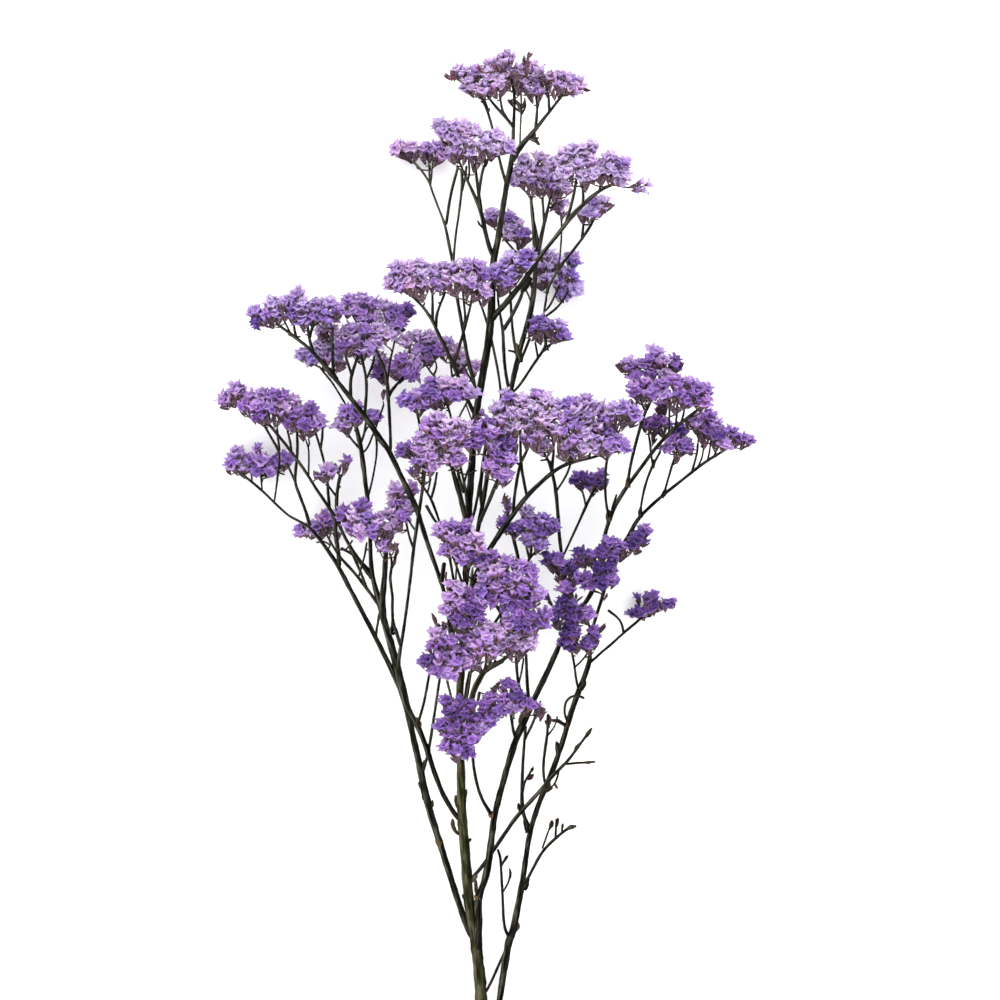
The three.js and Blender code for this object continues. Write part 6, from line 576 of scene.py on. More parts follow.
            (39.8, 277.6, 51.7, 4.6, 4.4, 4.7, -0.05, 38.9, 269.2, 50.8), (38.7, 260.7, 50.1, 4.4, 4.4, 4.6, -0.05, 36.8, 252.6, 48.6),
            (50.7, 266.6, 50.4, 4.6, 4.4, 4.7, -0.05, 48.8, 258.5, 48.5), (47.0, 259.6, 49.1, 4.4, 4.6, 4.7, -0.05, 45.2, 251.7, 46.5),
            (47.1, 274.7, 52.6, 4.1, 4.9, 4.7, -0.05, 46.2, 266.4, 50.8), (42.2, 267.6, 54.6, 4.5, 4.6, 4.8, -0.05, 40.4, 259.5, 52.8),
            (28.5, 276.5, 55.3, 4.4, 4.2, 4.5, -0.05, 29.3, 268.2, 53.8), (25.7, 269.6, 57.5, 4.9, 3.8, 4.6, -0.05, 27.2, 261.5, 55.3),
            (31.9, 264.0, 55.5, 4.4, 4.3, 4.5, -0.05, 32.4, 255.9, 52.9), (35.2, 270.5, 46.0, 4.4, 4.4, 4.6, 0.01, 34.9, 262.1, 45.9),
            (53.8, 247.2, 32.2, 4.5, 6.2, 5.6, 0.14, 49.8, 243.2, 38.1), (24.6, 263.6, 45.7, 4.6, 4.0, 4.5, 0.01, 27.5, 259.0, 45.7),
            (53.7, 258.8, 39.8, 4.6, 5.4, 5.2, 0.01, 51.8, 250.5, 40.1), (39.2, 275.8, 40.0, 4.6, 4.4, 4.7, 0.01, 38.3, 267.4, 40.9),
            (48.6, 258.9, 40.0, 4.4, 4.6, 4.7, 0.01, 45.9, 250.9, 40.4), (28.2, 274.9, 45.3, 4.4, 4.2, 4.5, 0.01, 29.1, 266.4, 45.4),
        ],
        [
            (28.6, 258.8, 55.3, 2.1, 2.3, 29.6, 255.5, 54.8, 7, 0.00, 0.3), (31.3, 255.3, 54.8, 2.1, 2.1, 32.2, 252.3, 54.0, 6, 0.00, 0.3),
            (33.0, 258.6, 55.7, 2.3, 2.1, 33.1, 255.3, 55.1, 7, 0.00, 0.3), (35.1, 254.0, 55.7, 1.6, 3.5, 34.5, 249.6, 54.5, 8, 0.00, 0.3),
            (38.7, 255.1, 52.5, 3.1, 3.1, 39.7, 251.1, 51.1, 14, 0.00, 0.3), (45.6, 254.5, 49.3, 2.5, 1.8, 45.8, 251.6, 48.7, 7, 0.00, 0.3),
            (41.9, 254.7, 49.8, 2.0, 2.5, 41.6, 251.1, 49.1, 7, 0.00, 0.3), (58.2, 255.4, 48.3, 1.8, 2.7, 56.1, 252.1, 48.1, 7, 0.00, 0.3),
            (48.4, 251.2, 49.1, 1.4, 2.4, 47.2, 247.8, 48.7, 5, 0.00, 0.3), (50.8, 254.3, 49.3, 2.9, 1.8, 49.7, 251.6, 48.9, 8, 0.00, 0.3),
            (48.4, 246.1, 39.9, 2.1, 3.7, 45.9, 242.8, 42.5, 11, 0.08, 0.3), (54.8, 241.4, 40.1, 2.2, 2.0, 54.4, 238.4, 39.1, 6, 0.08, 0.3),
        ],
        [
            (46.3, 251.5, 46.3, 45.7, 251.6, 46.4, 45.2, 251.7, 46.5), (48.0, 246.9, 40.7, 48.0, 246.2, 40.7, 48.0, 245.6, 40.7),
            (45.6, 247.7, 47.6, 46.4, 247.9, 48.2, 47.3, 248.1, 48.7), (46.1, 250.6, 46.6, 46.0, 251.2, 47.7, 45.8, 251.9, 48.8),
            (41.4, 250.4, 46.7, 41.5, 250.8, 47.9, 41.7, 251.4, 49.2), (33.6, 252.7, 50.0, 35.2, 252.5, 49.3, 36.8, 252.6, 48.6),
            (34.0, 248.7, 51.0, 34.3, 249.2, 52.8, 34.5, 250.0, 54.6), (33.7, 251.7, 50.2, 32.9, 252.0, 52.1, 32.1, 252.6, 54.0),
            (46.3, 251.5, 46.3, 48.0, 251.6, 47.6, 49.8, 251.9, 48.9), (33.6, 252.7, 50.0, 33.0, 254.2, 51.4, 32.4, 255.9, 52.9),
            (32.4, 255.9, 52.9, 32.7, 255.7, 54.0, 33.1, 255.7, 55.2), (54.0, 237.8, 34.8, 54.2, 238.2, 37.0, 54.5, 238.7, 39.2),
            (48.0, 246.9, 40.7, 46.9, 248.8, 40.6, 45.9, 250.9, 40.4), (32.4, 255.9, 52.9, 30.9, 255.8, 53.9, 29.5, 255.8, 54.8),
            (53.1, 242.9, 34.1, 51.4, 242.9, 36.1, 49.8, 243.2, 38.1), (49.8, 251.9, 48.9, 51.5, 251.6, 48.1, 53.2, 251.5, 47.2),
            (48.0, 246.9, 40.7, 49.9, 248.6, 40.4, 51.8, 250.5, 40.1), (41.7, 251.4, 49.2, 40.7, 251.4, 50.2, 39.6, 251.5, 51.3),
            (29.5, 255.8, 54.8, 28.4, 256.9, 53.5, 27.3, 258.2, 52.1), (27.3, 258.2, 52.1, 27.2, 259.7, 53.7, 27.2, 261.5, 55.3),
            (48.0, 245.6, 40.7, 46.9, 244.4, 41.4, 46.1, 243.1, 42.2), (46.5, 252.5, 46.0, 47.6, 255.3, 47.2, 48.8, 258.5, 48.5),
            (27.3, 258.2, 52.1, 27.4, 258.4, 48.9, 27.5, 259.0, 45.7), (53.2, 251.5, 47.2, 54.7, 252.1, 47.7, 56.3, 252.4, 48.1),
            (27.2, 261.5, 55.3, 28.2, 264.7, 54.6, 29.3, 268.2, 53.8), (32.4, 255.9, 52.9, 33.5, 259.3, 52.6, 34.6, 263.0, 52.3),
            (34.6, 263.0, 52.3, 34.7, 262.4, 49.1, 34.9, 262.1, 45.9), (34.9, 262.1, 45.9, 32.0, 264.1, 45.7, 29.1, 266.4, 45.4),
            (34.6, 263.0, 52.3, 36.8, 265.9, 51.5, 38.9, 269.2, 50.8), (34.9, 262.1, 45.9, 36.6, 264.5, 43.4, 38.3, 267.4, 40.9),
            (39.6, 251.5, 51.3, 40.0, 255.3, 52.0, 40.4, 259.5, 52.8), (48.8, 258.5, 48.5, 47.5, 262.2, 49.7, 46.2, 266.4, 50.8),
        ],
    ),
    "flower_upper_right": (
        [
            (93.4, 263.8, 91.9, 4.9, 3.9, 4.6, -0.05, 88.6, 257.8, 88.3), (58.9, 279.0, 93.4, 4.0, 4.8, 4.6, -0.05, 59.8, 270.9, 91.1),
            (73.2, 264.6, 94.8, 4.2, 4.4, 4.5, -0.05, 75.5, 260.2, 90.0), (83.8, 275.0, 92.7, 4.9, 4.4, 4.9, -0.05, 83.0, 266.8, 90.4),
            (90.8, 258.8, 89.8, 5.5, 3.2, 4.6, -0.05, 84.1, 257.1, 84.9), (56.8, 266.7, 91.3, 4.8, 4.8, 5.1, -0.05, 59.1, 259.3, 87.8),
            (85.6, 265.0, 94.4, 4.0, 4.9, 4.7, -0.05, 83.9, 257.6, 90.6), (71.9, 273.1, 93.3, 4.6, 4.6, 4.8, -0.05, 70.0, 265.3, 90.5),
            (79.3, 268.8, 91.0, 3.9, 4.8, 4.6, -0.05, 79.4, 260.7, 88.2), (73.0, 281.7, 91.4, 3.7, 4.4, 4.2, -0.05, 71.4, 273.5, 89.7),
            (63.8, 271.1, 93.0, 4.6, 4.6, 4.8, -0.05, 63.7, 263.2, 89.8), (53.2, 274.7, 91.8, 4.4, 5.2, 5.0, -0.05, 55.4, 266.8, 89.5),
            (92.4, 271.0, 92.9, 5.0, 3.8, 4.6, -0.05, 89.7, 263.3, 90.5), (65.9, 279.6, 92.3, 3.9, 4.7, 4.5, -0.05, 65.5, 271.4, 90.2),
            (66.6, 263.0, 93.6, 4.2, 4.7, 4.7, -0.05, 65.4, 256.2, 88.6), (103.9, 256.3, 86.9, 5.7, 4.8, 5.5, -0.05, 95.6, 256.0, 85.0),
            (107.8, 258.9, 85.6, 4.0, 4.2, 4.3, -0.05, 100.7, 254.5, 84.6), (59.2, 277.7, 78.7, 4.0, 4.8, 4.6, 0.01, 60.2, 269.3, 79.3),
            (84.5, 273.4, 81.0, 4.9, 4.4, 4.9, 0.01, 83.3, 265.0, 81.1), (58.1, 267.4, 82.6, 4.8, 4.8, 5.1, 0.01, 60.4, 259.8, 82.0),
            (85.2, 265.0, 80.4, 4.0, 4.9, 4.7, 0.01, 82.9, 257.4, 80.8), (71.0, 272.7, 81.4, 4.6, 4.6, 4.8, 0.01, 68.9, 264.5, 81.3),
            (77.7, 267.6, 81.8, 3.9, 4.8, 4.6, 0.01, 78.4, 259.2, 81.7), (71.8, 280.0, 81.6, 3.7, 4.4, 4.2, 0.01, 70.2, 271.6, 81.5),
            (63.5, 271.1, 80.5, 4.6, 4.6, 4.8, 0.01, 63.5, 262.6, 80.8), (54.7, 274.1, 81.1, 4.4, 5.2, 5.0, 0.01, 56.9, 265.9, 81.1),
            (68.6, 278.2, 80.3, 3.9, 4.7, 4.5, 0.01, 67.5, 269.8, 80.5), (67.2, 262.7, 80.8, 4.2, 4.7, 4.7, 0.01, 65.0, 257.7, 81.0),
        ],
        [
            (82.7, 260.2, 91.0, 2.2, 3.0, 83.1, 256.2, 89.5, 10, 0.00, 0.3), (56.1, 261.8, 91.1, 2.2, 1.4, 57.0, 259.4, 90.2, 5, 0.00, 0.3),
            (78.6, 259.7, 92.2, 3.3, 3.7, 79.0, 255.3, 90.2, 16, 0.00, 0.3), (69.1, 256.1, 91.9, 2.1, 3.7, 68.9, 251.8, 89.5, 12, 0.00, 0.3),
            (72.9, 259.6, 93.0, 2.9, 2.1, 73.9, 256.7, 91.9, 9, 0.00, 0.3), (59.5, 262.4, 91.4, 1.7, 1.9, 60.4, 259.7, 90.3, 5, 0.00, 0.3),
            (59.4, 258.9, 92.0, 1.1, 2.1, 60.0, 256.1, 90.6, 3, 0.00, 0.3),
        ],
        [
            (78.8, 259.2, 82.5, 78.6, 259.1, 82.1, 78.4, 259.2, 81.7), (62.9, 262.4, 79.7, 63.2, 262.4, 80.2, 63.5, 262.6, 80.8),
            (82.9, 256.4, 82.4, 82.9, 256.8, 81.6, 82.9, 257.4, 80.8), (66.8, 257.2, 79.8, 65.9, 257.4, 80.4, 65.0, 257.7, 81.0),
            (84.8, 257.0, 82.7, 84.5, 257.0, 83.8, 84.1, 257.1, 84.9), (95.6, 256.2, 82.4, 95.6, 256.0, 83.7, 95.6, 256.0, 85.0),
            (66.2, 264.2, 80.0, 67.5, 264.3, 80.6, 68.9, 264.5, 81.3), (63.5, 259.3, 81.2, 62.0, 259.5, 81.6, 60.4, 259.8, 82.0),
            (81.1, 264.9, 83.8, 82.2, 264.9, 82.5, 83.3, 265.0, 81.1), (98.8, 255.8, 82.2, 99.7, 255.0, 83.4, 100.7, 254.5, 84.6),
            (63.2, 266.5, 80.0, 61.7, 267.8, 79.6, 60.2, 269.3, 79.3), (66.1, 265.2, 80.0, 66.8, 267.4, 80.3, 67.5, 269.8, 80.5),
            (67.5, 269.8, 80.5, 68.8, 270.6, 81.0, 70.2, 271.6, 81.5), (87.7, 258.2, 83.2, 88.1, 257.9, 85.7, 88.6, 257.8, 88.3),
            (79.6, 261.1, 82.9, 79.5, 260.8, 85.6, 79.4, 260.7, 88.2), (79.4, 260.7, 88.2, 77.5, 260.4, 89.1, 75.5, 260.2, 90.0),
            (63.1, 265.5, 79.9, 60.0, 265.5, 80.5, 56.9, 265.9, 81.1), (84.1, 257.1, 84.9, 83.6, 256.7, 87.3, 83.1, 256.6, 89.7),
            (83.1, 256.6, 89.7, 83.5, 257.1, 90.1, 83.9, 257.6, 90.6), (83.1, 256.6, 89.7, 81.0, 256.1, 90.0, 79.0, 255.7, 90.4),
            (81.5, 265.9, 84.0, 82.2, 266.2, 87.2, 83.0, 266.8, 90.4), (88.6, 257.8, 88.3, 89.1, 260.4, 89.4, 89.7, 263.3, 90.5),
            (60.4, 259.8, 82.0, 59.7, 259.4, 84.9, 59.1, 259.3, 87.8), (59.1, 259.3, 87.8, 59.7, 259.6, 89.1, 60.3, 260.0, 90.4),
            (59.1, 259.3, 87.8, 58.0, 259.4, 89.0, 56.9, 259.6, 90.3), (60.3, 260.0, 90.4, 62.0, 261.5, 90.1, 63.7, 263.2, 89.8),
            (60.3, 260.0, 90.4, 60.1, 258.1, 90.6, 59.9, 256.3, 90.7), (59.9, 256.3, 90.7, 62.7, 256.1, 89.7, 65.4, 256.2, 88.6),
            (63.7, 263.2, 89.8, 66.9, 264.1, 90.2, 70.0, 265.3, 90.5), (56.9, 259.6, 90.3, 56.2, 263.0, 89.9, 55.4, 266.8, 89.5),
            (55.4, 266.8, 89.5, 57.6, 268.7, 90.3, 59.8, 270.9, 91.1), (59.8, 270.9, 91.1, 62.6, 271.0, 90.7, 65.5, 271.4, 90.2),
            (65.5, 271.4, 90.2, 68.4, 272.3, 89.9, 71.4, 273.5, 89.7), (65.4, 256.2, 88.6, 67.1, 254.1, 89.2, 68.9, 252.2, 89.8),
            (79.0, 255.7, 90.4, 76.4, 256.2, 91.2, 73.8, 257.0, 92.0),
        ],
    ),
    "flower_right_small": (
        [
            (72.6, 244.4, 19.6, 6.5, 4.3, 5.7, 0.06, 72.5, 237.1, 15.3), (75.2, 251.2, 17.1, 4.3, 4.6, 4.6, 0.06, 74.4, 243.1, 14.6),
            (81.7, 251.3, 16.6, 4.2, 6.1, 5.4, 0.06, 79.4, 243.4, 14.5), (75.6, 250.2, 4.6, 4.3, 4.6, 4.6, 0.12, 74.6, 241.8, 5.6),
        ],
        [
            (79.7, 243.8, 17.1, 2.0, 3.2, 78.1, 239.7, 16.8, 9, 0.06, 0.3), (68.1, 241.0, 18.8, 5.5, 4.7, 68.5, 235.8, 18.1, 16, 0.06, 0.3),
            (85.2, 248.0, 17.9, 2.6, 3.1, 83.5, 244.0, 17.6, 12, 0.06, 0.3),
        ],
        [
            (76.9, 242.5, 15.0, 75.7, 242.7, 14.8, 74.4, 243.1, 14.6), (76.9, 242.5, 15.0, 78.2, 242.8, 14.7, 79.4, 243.4, 14.5),
            (75.6, 240.0, 16.4, 77.0, 240.0, 16.6, 78.3, 240.1, 16.9), (73.9, 236.7, 18.2, 73.2, 236.8, 16.8, 72.5, 237.1, 15.3),
            (72.3, 237.4, 7.6, 73.4, 239.5, 6.6, 74.6, 241.8, 5.6), (79.4, 243.4, 14.5, 81.4, 244.4, 16.0, 83.7, 244.4, 17.6),
        ],
    ),
    "flower_row_a": (
        [
            (-38.2, 206.3, 96.5, 5.4, 3.5, 4.7, 0.01, -37.7, 197.9, 95.2), (-44.6, 192.9, 102.6, 4.0, 5.6, 5.0, 0.01, -42.4, 185.3, 99.4),
            (-37.8, 199.7, 101.1, 5.4, 3.7, 4.8, 0.01, -37.2, 191.6, 98.6), (-46.1, 202.9, 102.7, 4.2, 5.5, 5.1, 0.01, -44.3, 194.9, 100.5),
            (-57.4, 194.7, 100.0, 4.0, 4.5, 4.5, 0.01, -51.6, 189.3, 97.0), (-35.5, 193.7, 102.0, 3.8, 4.0, 4.1, 0.01, -35.3, 185.9, 98.7),
            (-50.9, 192.8, 102.9, 3.7, 5.5, 4.8, 0.01, -46.1, 187.3, 98.6), (-53.2, 203.0, 101.7, 4.2, 5.5, 5.1, 0.01, -50.5, 195.1, 99.8),
            (-39.2, 204.3, 89.5, 5.4, 3.5, 4.7, 0.07, -38.4, 195.8, 89.4), (-38.1, 198.8, 87.2, 5.4, 3.7, 4.8, 0.07, -37.3, 190.3, 87.5),
            (-46.7, 201.5, 87.1, 4.2, 5.5, 5.1, 0.07, -44.5, 193.3, 87.4), (-57.8, 194.6, 88.1, 4.0, 4.5, 4.5, 0.07, -50.7, 189.9, 88.3),
            (-37.3, 193.8, 88.8, 3.8, 4.0, 4.1, 0.07, -36.5, 185.3, 88.7), (-49.8, 193.0, 87.6, 3.7, 5.5, 4.8, 0.07, -45.1, 185.9, 87.9),
            (-51.6, 201.5, 87.8, 4.2, 5.5, 5.1, 0.07, -48.8, 193.5, 88.0),
        ],
        [
            (-36.4, 183.6, 102.7, 2.6, 2.3, -36.1, 180.5, 101.0, 9, 0.01, 0.3), (-32.8, 189.3, 102.8, 1.7, 2.8, -33.2, 185.5, 101.7, 7, 0.01, 0.3),
            (-40.1, 192.2, 102.6, 1.7, 3.3, -41.1, 188.3, 100.6, 9, 0.01, 0.3), (-36.3, 187.9, 100.0, 2.3, 2.4, -36.1, 184.5, 99.0, 8, 0.01, 0.3),
            (-40.6, 186.6, 102.0, 2.8, 2.4, -39.7, 183.4, 100.9, 10, 0.01, 0.3),
        ],
        [
            (-34.9, 180.9, 88.6, -35.7, 183.0, 88.7, -36.5, 185.3, 88.7), (-36.5, 185.3, 88.7, -36.9, 187.7, 88.1, -37.3, 190.3, 87.5),
            (-47.6, 190.0, 82.0, -46.0, 191.4, 84.7, -44.5, 193.3, 87.4), (-44.5, 193.3, 87.4, -46.6, 193.3, 87.7, -48.8, 193.5, 88.0),
            (-47.6, 190.0, 82.0, -49.1, 189.8, 85.1, -50.7, 189.9, 88.3), (-37.3, 190.3, 87.5, -37.9, 192.9, 88.5, -38.4, 195.8, 89.4),
            (-42.9, 185.9, 81.0, -44.0, 185.7, 84.5, -45.1, 185.9, 87.9), (-38.4, 195.8, 89.4, -38.0, 196.7, 92.3, -37.7, 197.9, 95.2),
            (-50.7, 189.9, 88.3, -51.1, 189.4, 92.6, -51.6, 189.3, 97.0), (-51.6, 189.3, 97.0, -51.0, 192.0, 98.4, -50.5, 195.1, 99.8),
            (-50.5, 195.1, 99.8, -47.4, 194.9, 100.1, -44.3, 194.9, 100.5), (-51.6, 189.3, 97.0, -48.8, 188.2, 97.8, -46.1, 187.3, 98.6),
            (-46.1, 187.3, 98.6, -44.2, 186.2, 99.0, -42.4, 185.3, 99.4), (-42.4, 185.3, 99.4, -41.7, 186.9, 100.1, -41.0, 188.7, 100.8),
            (-42.4, 185.3, 99.4, -41.1, 184.4, 100.2, -39.8, 183.7, 101.0), (-39.8, 183.7, 101.0, -38.0, 184.2, 100.0, -36.1, 184.8, 99.1),
            (-36.1, 184.8, 99.1, -35.7, 185.3, 98.9, -35.3, 185.9, 98.7), (-41.0, 188.7, 100.8, -39.1, 190.0, 99.7, -37.2, 191.6, 98.6),
            (-39.8, 183.7, 101.0, -37.9, 182.2, 101.1, -36.1, 180.8, 101.2), (-35.3, 185.9, 98.7, -34.2, 185.8, 100.3, -33.1, 185.9, 101.8),
        ],
    ),
    "flower_row_b": (
        [
            (-7.9, 205.2, 99.0, 4.2, 5.3, 5.0, 0.23, -8.0, 197.0, 97.0), (-16.8, 203.5, 93.2, 4.3, 4.4, 4.6, 0.23, -15.4, 195.2, 92.0),
            (-27.5, 193.5, 96.4, 4.2, 4.8, 4.7, 0.23, -27.1, 188.7, 93.9), (-20.2, 195.8, 96.8, 4.3, 4.3, 4.5, 0.23, -21.6, 187.9, 94.1),
            (-0.6, 204.5, 97.4, 4.6, 4.5, 4.8, 0.23, -1.9, 196.3, 95.6), (2.9, 190.3, 97.4, 3.8, 5.6, 4.9, 0.23, -0.3, 183.0, 94.5),
            (-5.2, 194.4, 100.9, 4.4, 5.2, 5.0, 0.23, -6.0, 186.7, 97.4), (-11.4, 196.7, 100.5, 3.9, 5.1, 4.7, 0.23, -10.8, 188.8, 97.4),
            (-29.6, 201.5, 96.6, 3.5, 5.1, 4.5, 0.23, -28.9, 193.3, 94.5), (2.5, 198.1, 98.8, 4.4, 4.4, 4.6, 0.23, 0.3, 190.2, 96.4),
            (-23.7, 203.3, 96.8, 3.7, 4.5, 4.3, 0.23, -24.1, 195.1, 94.8), (-7.1, 203.3, 86.6, 4.2, 5.3, 5.0, 0.29, -7.4, 194.8, 86.6),
            (-16.7, 202.1, 86.8, 4.3, 4.4, 4.6, 0.29, -15.1, 193.7, 86.8), (-26.8, 193.7, 85.3, 4.2, 4.8, 4.7, 0.29, -26.6, 189.8, 85.4),
            (-20.9, 195.7, 83.9, 4.3, 4.3, 4.5, 0.29, -22.4, 187.3, 84.3), (-2.4, 202.7, 86.8, 4.6, 4.5, 4.8, 0.29, -3.6, 194.3, 86.7),
            (2.8, 190.8, 87.3, 3.8, 5.6, 4.9, 0.29, -0.9, 183.2, 87.0), (-5.7, 194.3, 84.9, 4.4, 5.2, 5.0, 0.29, -6.6, 185.8, 85.4),
            (-10.2, 196.2, 84.8, 3.9, 5.1, 4.7, 0.29, -9.8, 187.7, 85.3), (-28.5, 200.4, 85.0, 3.5, 5.1, 4.5, 0.29, -27.9, 191.9, 85.1),
            (1.6, 197.3, 85.5, 4.4, 4.4, 4.6, 0.29, -0.8, 189.2, 85.7), (-23.9, 202.0, 83.9, 3.7, 4.5, 4.3, 0.29, -24.4, 193.5, 84.2),
        ],
        [
            (-22.5, 190.2, 96.1, 1.7, 2.4, -22.5, 187.1, 94.4, 6, 0.23, 0.3), (-30.2, 188.6, 96.8, 1.5, 2.5, -29.5, 185.2, 95.9, 6, 0.23, 0.3),
            (-19.2, 190.3, 96.3, 2.0, 2.8, -19.9, 186.8, 94.4, 8, 0.23, 0.3), (-25.1, 188.2, 95.9, 1.4, 2.1, -25.2, 185.1, 95.0, 4, 0.23, 0.3),
            (-2.2, 183.5, 100.6, 3.6, 2.6, -3.6, 180.2, 99.1, 14, 0.23, 0.3), (-14.8, 186.9, 100.3, 4.9, 2.6, -13.8, 183.5, 99.1, 16, 0.23, 0.3),
            (3.2, 181.2, 100.4, 2.0, 3.8, 1.6, 176.9, 98.4, 11, 0.23, 0.3), (-10.8, 190.8, 100.0, 3.3, 2.0, -10.5, 187.7, 99.2, 10, 0.23, 0.3),
            (-7.6, 186.7, 99.5, 1.7, 3.5, -7.9, 182.3, 97.7, 9, 0.23, 0.3),
        ],
        [
            (-22.4, 187.2, 79.9, -22.4, 187.2, 82.1, -22.4, 187.3, 84.3), (-8.6, 181.7, 86.6, -7.6, 183.6, 86.0, -6.6, 185.8, 85.4),
            (-6.6, 185.8, 85.4, -8.2, 186.7, 85.4, -9.8, 187.7, 85.3), (-22.4, 187.3, 84.3, -24.5, 188.4, 84.9, -26.6, 189.8, 85.4),
            (-26.6, 189.8, 85.4, -27.3, 190.8, 85.2, -27.9, 191.9, 85.1), (-27.9, 191.9, 85.1, -26.2, 192.6, 84.7, -24.4, 193.5, 84.2),
            (-8.6, 181.7, 86.6, -4.8, 182.2, 86.8, -0.9, 183.2, 87.0), (-0.9, 183.2, 87.0, -0.8, 186.0, 86.4, -0.8, 189.2, 85.7),
            (-0.8, 189.2, 85.7, -2.2, 191.6, 86.2, -3.6, 194.3, 86.7), (-3.6, 194.3, 86.7, -5.5, 194.5, 86.7, -7.4, 194.8, 86.6),
            (-0.9, 183.2, 87.0, -0.6, 182.9, 90.7, -0.3, 183.0, 94.5), (-0.3, 183.0, 94.5, -3.1, 184.7, 95.9, -6.0, 186.7, 97.4),
            (-6.0, 186.7, 97.4, -8.3, 187.2, 98.3, -10.6, 188.0, 99.2), (-10.6, 188.0, 99.2, -10.7, 188.4, 98.3, -10.8, 188.8, 97.4),
            (-6.0, 186.7, 97.4, -6.9, 184.6, 97.7, -7.9, 182.8, 97.9), (-7.9, 182.8, 97.9, -5.6, 181.5, 98.6, -3.4, 180.6, 99.2),
            (-7.9, 182.8, 97.9, -10.9, 183.2, 98.6, -13.9, 183.9, 99.2), (-6.0, 186.7, 97.4, -2.8, 188.3, 96.9, 0.3, 190.2, 96.4),
            (0.3, 190.2, 96.4, -0.8, 193.1, 96.0, -1.9, 196.3, 95.6), (-1.9, 196.3, 95.6, -5.0, 196.5, 96.3, -8.0, 197.0, 97.0),
            (-9.8, 187.7, 85.3, -12.4, 190.5, 86.1, -15.1, 193.7, 86.8), (-15.1, 193.7, 86.8, -15.2, 194.3, 89.4, -15.4, 195.2, 92.0),
            (-26.6, 189.8, 85.4, -26.9, 189.0, 89.6, -27.1, 188.7, 93.9), (-27.1, 188.7, 93.9, -28.0, 190.9, 94.2, -28.9, 193.3, 94.5),
            (-28.9, 193.3, 94.5, -26.5, 194.0, 94.6, -24.1, 195.1, 94.8), (-27.1, 188.7, 93.9, -24.8, 187.9, 94.2, -22.5, 187.4, 94.6),
            (-22.5, 187.4, 94.6, -22.1, 187.6, 94.3, -21.6, 187.9, 94.1), (-21.6, 187.9, 94.1, -20.7, 187.5, 94.4, -19.9, 187.1, 94.6),
            (-22.5, 187.4, 94.6, -23.8, 186.3, 94.9, -25.2, 185.4, 95.1), (-27.1, 188.7, 93.9, -28.6, 187.1, 94.9, -29.6, 185.5, 96.0),
            (-0.3, 183.0, 94.5, 0.8, 180.0, 96.5, 1.8, 177.4, 98.6),
        ],
    ),
    "flower_row_c": (
        [
            (31.3, 212.7, 87.2, 5.4, 3.9, 4.9, 0.45, 29.7, 204.4, 85.9), (21.0, 210.2, 89.5, 5.1, 4.4, 5.0, 0.45, 21.5, 201.9, 87.5),
            (17.8, 195.1, 89.7, 5.2, 4.1, 4.9, 0.40, 20.6, 188.6, 85.1), (9.6, 199.9, 89.1, 3.9, 5.8, 5.1, 0.40, 10.3, 191.9, 86.4),
            (15.4, 204.3, 88.4, 4.4, 4.5, 4.7, 0.40, 17.7, 196.4, 86.1), (28.7, 206.5, 89.4, 4.9, 3.7, 4.5, 0.45, 27.3, 198.4, 87.0),
            (22.6, 200.8, 87.2, 3.8, 5.0, 4.6, 0.40, 23.0, 193.1, 84.3), (29.2, 211.5, 79.8, 5.4, 3.9, 4.9, 0.51, 27.9, 203.1, 79.9),
            (20.2, 209.4, 79.2, 5.1, 4.4, 5.0, 0.51, 21.1, 200.9, 79.5), (16.3, 195.4, 81.6, 5.2, 4.1, 4.9, 0.46, 20.2, 189.8, 80.9),
            (10.1, 199.4, 79.3, 3.9, 5.8, 5.1, 0.46, 10.8, 191.0, 79.7), (16.4, 203.1, 78.3, 4.4, 4.5, 4.7, 0.46, 19.0, 195.0, 79.0),
            (27.8, 206.2, 78.9, 4.9, 3.7, 4.5, 0.51, 26.5, 197.9, 79.3), (22.2, 200.2, 80.0, 3.8, 5.0, 4.6, 0.46, 22.8, 193.5, 80.2),
        ],
        [
            (14.9, 187.5, 87.8, 2.6, 2.8, 13.3, 184.4, 85.8, 11, 0.40, 0.3), (19.8, 191.3, 88.7, 4.0, 1.3, 18.6, 188.8, 88.1, 8, 0.40, 0.3),
            (26.2, 198.1, 89.1, 1.8, 1.9, 25.7, 195.2, 88.3, 5, 0.40, 0.3), (13.1, 192.0, 90.0, 2.5, 2.8, 12.7, 188.3, 88.5, 11, 0.40, 0.3),
            (26.0, 202.5, 88.7, 5.8, 8.6, 25.5, 197.4, 87.8, 16, 0.45, 0.3),
        ],
        [
            (23.6, 192.9, 80.4, 23.2, 193.2, 80.3, 22.8, 193.5, 80.2), (12.0, 188.4, 80.4, 11.4, 189.6, 80.0, 10.8, 191.0, 79.7),
            (23.6, 192.9, 80.4, 23.3, 192.9, 82.4, 23.0, 193.1, 84.3), (23.6, 192.9, 80.4, 21.3, 193.8, 79.7, 19.0, 195.0, 79.0),
            (23.6, 192.9, 80.4, 25.0, 195.3, 79.9, 26.5, 197.9, 79.3), (23.6, 192.9, 80.4, 21.9, 191.3, 80.7, 20.2, 189.8, 80.9),
            (20.2, 189.8, 80.9, 20.4, 189.1, 83.0, 20.6, 188.6, 85.1), (20.6, 188.6, 85.1, 19.7, 188.7, 86.6, 18.7, 189.1, 88.1),
            (23.0, 193.1, 84.3, 24.4, 194.2, 86.3, 25.7, 195.5, 88.4), (25.7, 195.5, 88.4, 25.6, 196.6, 88.1, 25.6, 197.9, 87.9),
            (25.6, 197.9, 87.9, 26.4, 198.1, 87.5, 27.3, 198.4, 87.0), (26.5, 197.9, 79.3, 27.2, 200.3, 79.6, 27.9, 203.1, 79.9),
            (25.6, 197.9, 87.9, 23.6, 199.8, 87.7, 21.5, 201.9, 87.5), (12.0, 188.4, 80.4, 11.1, 190.0, 83.4, 10.3, 191.9, 86.4),
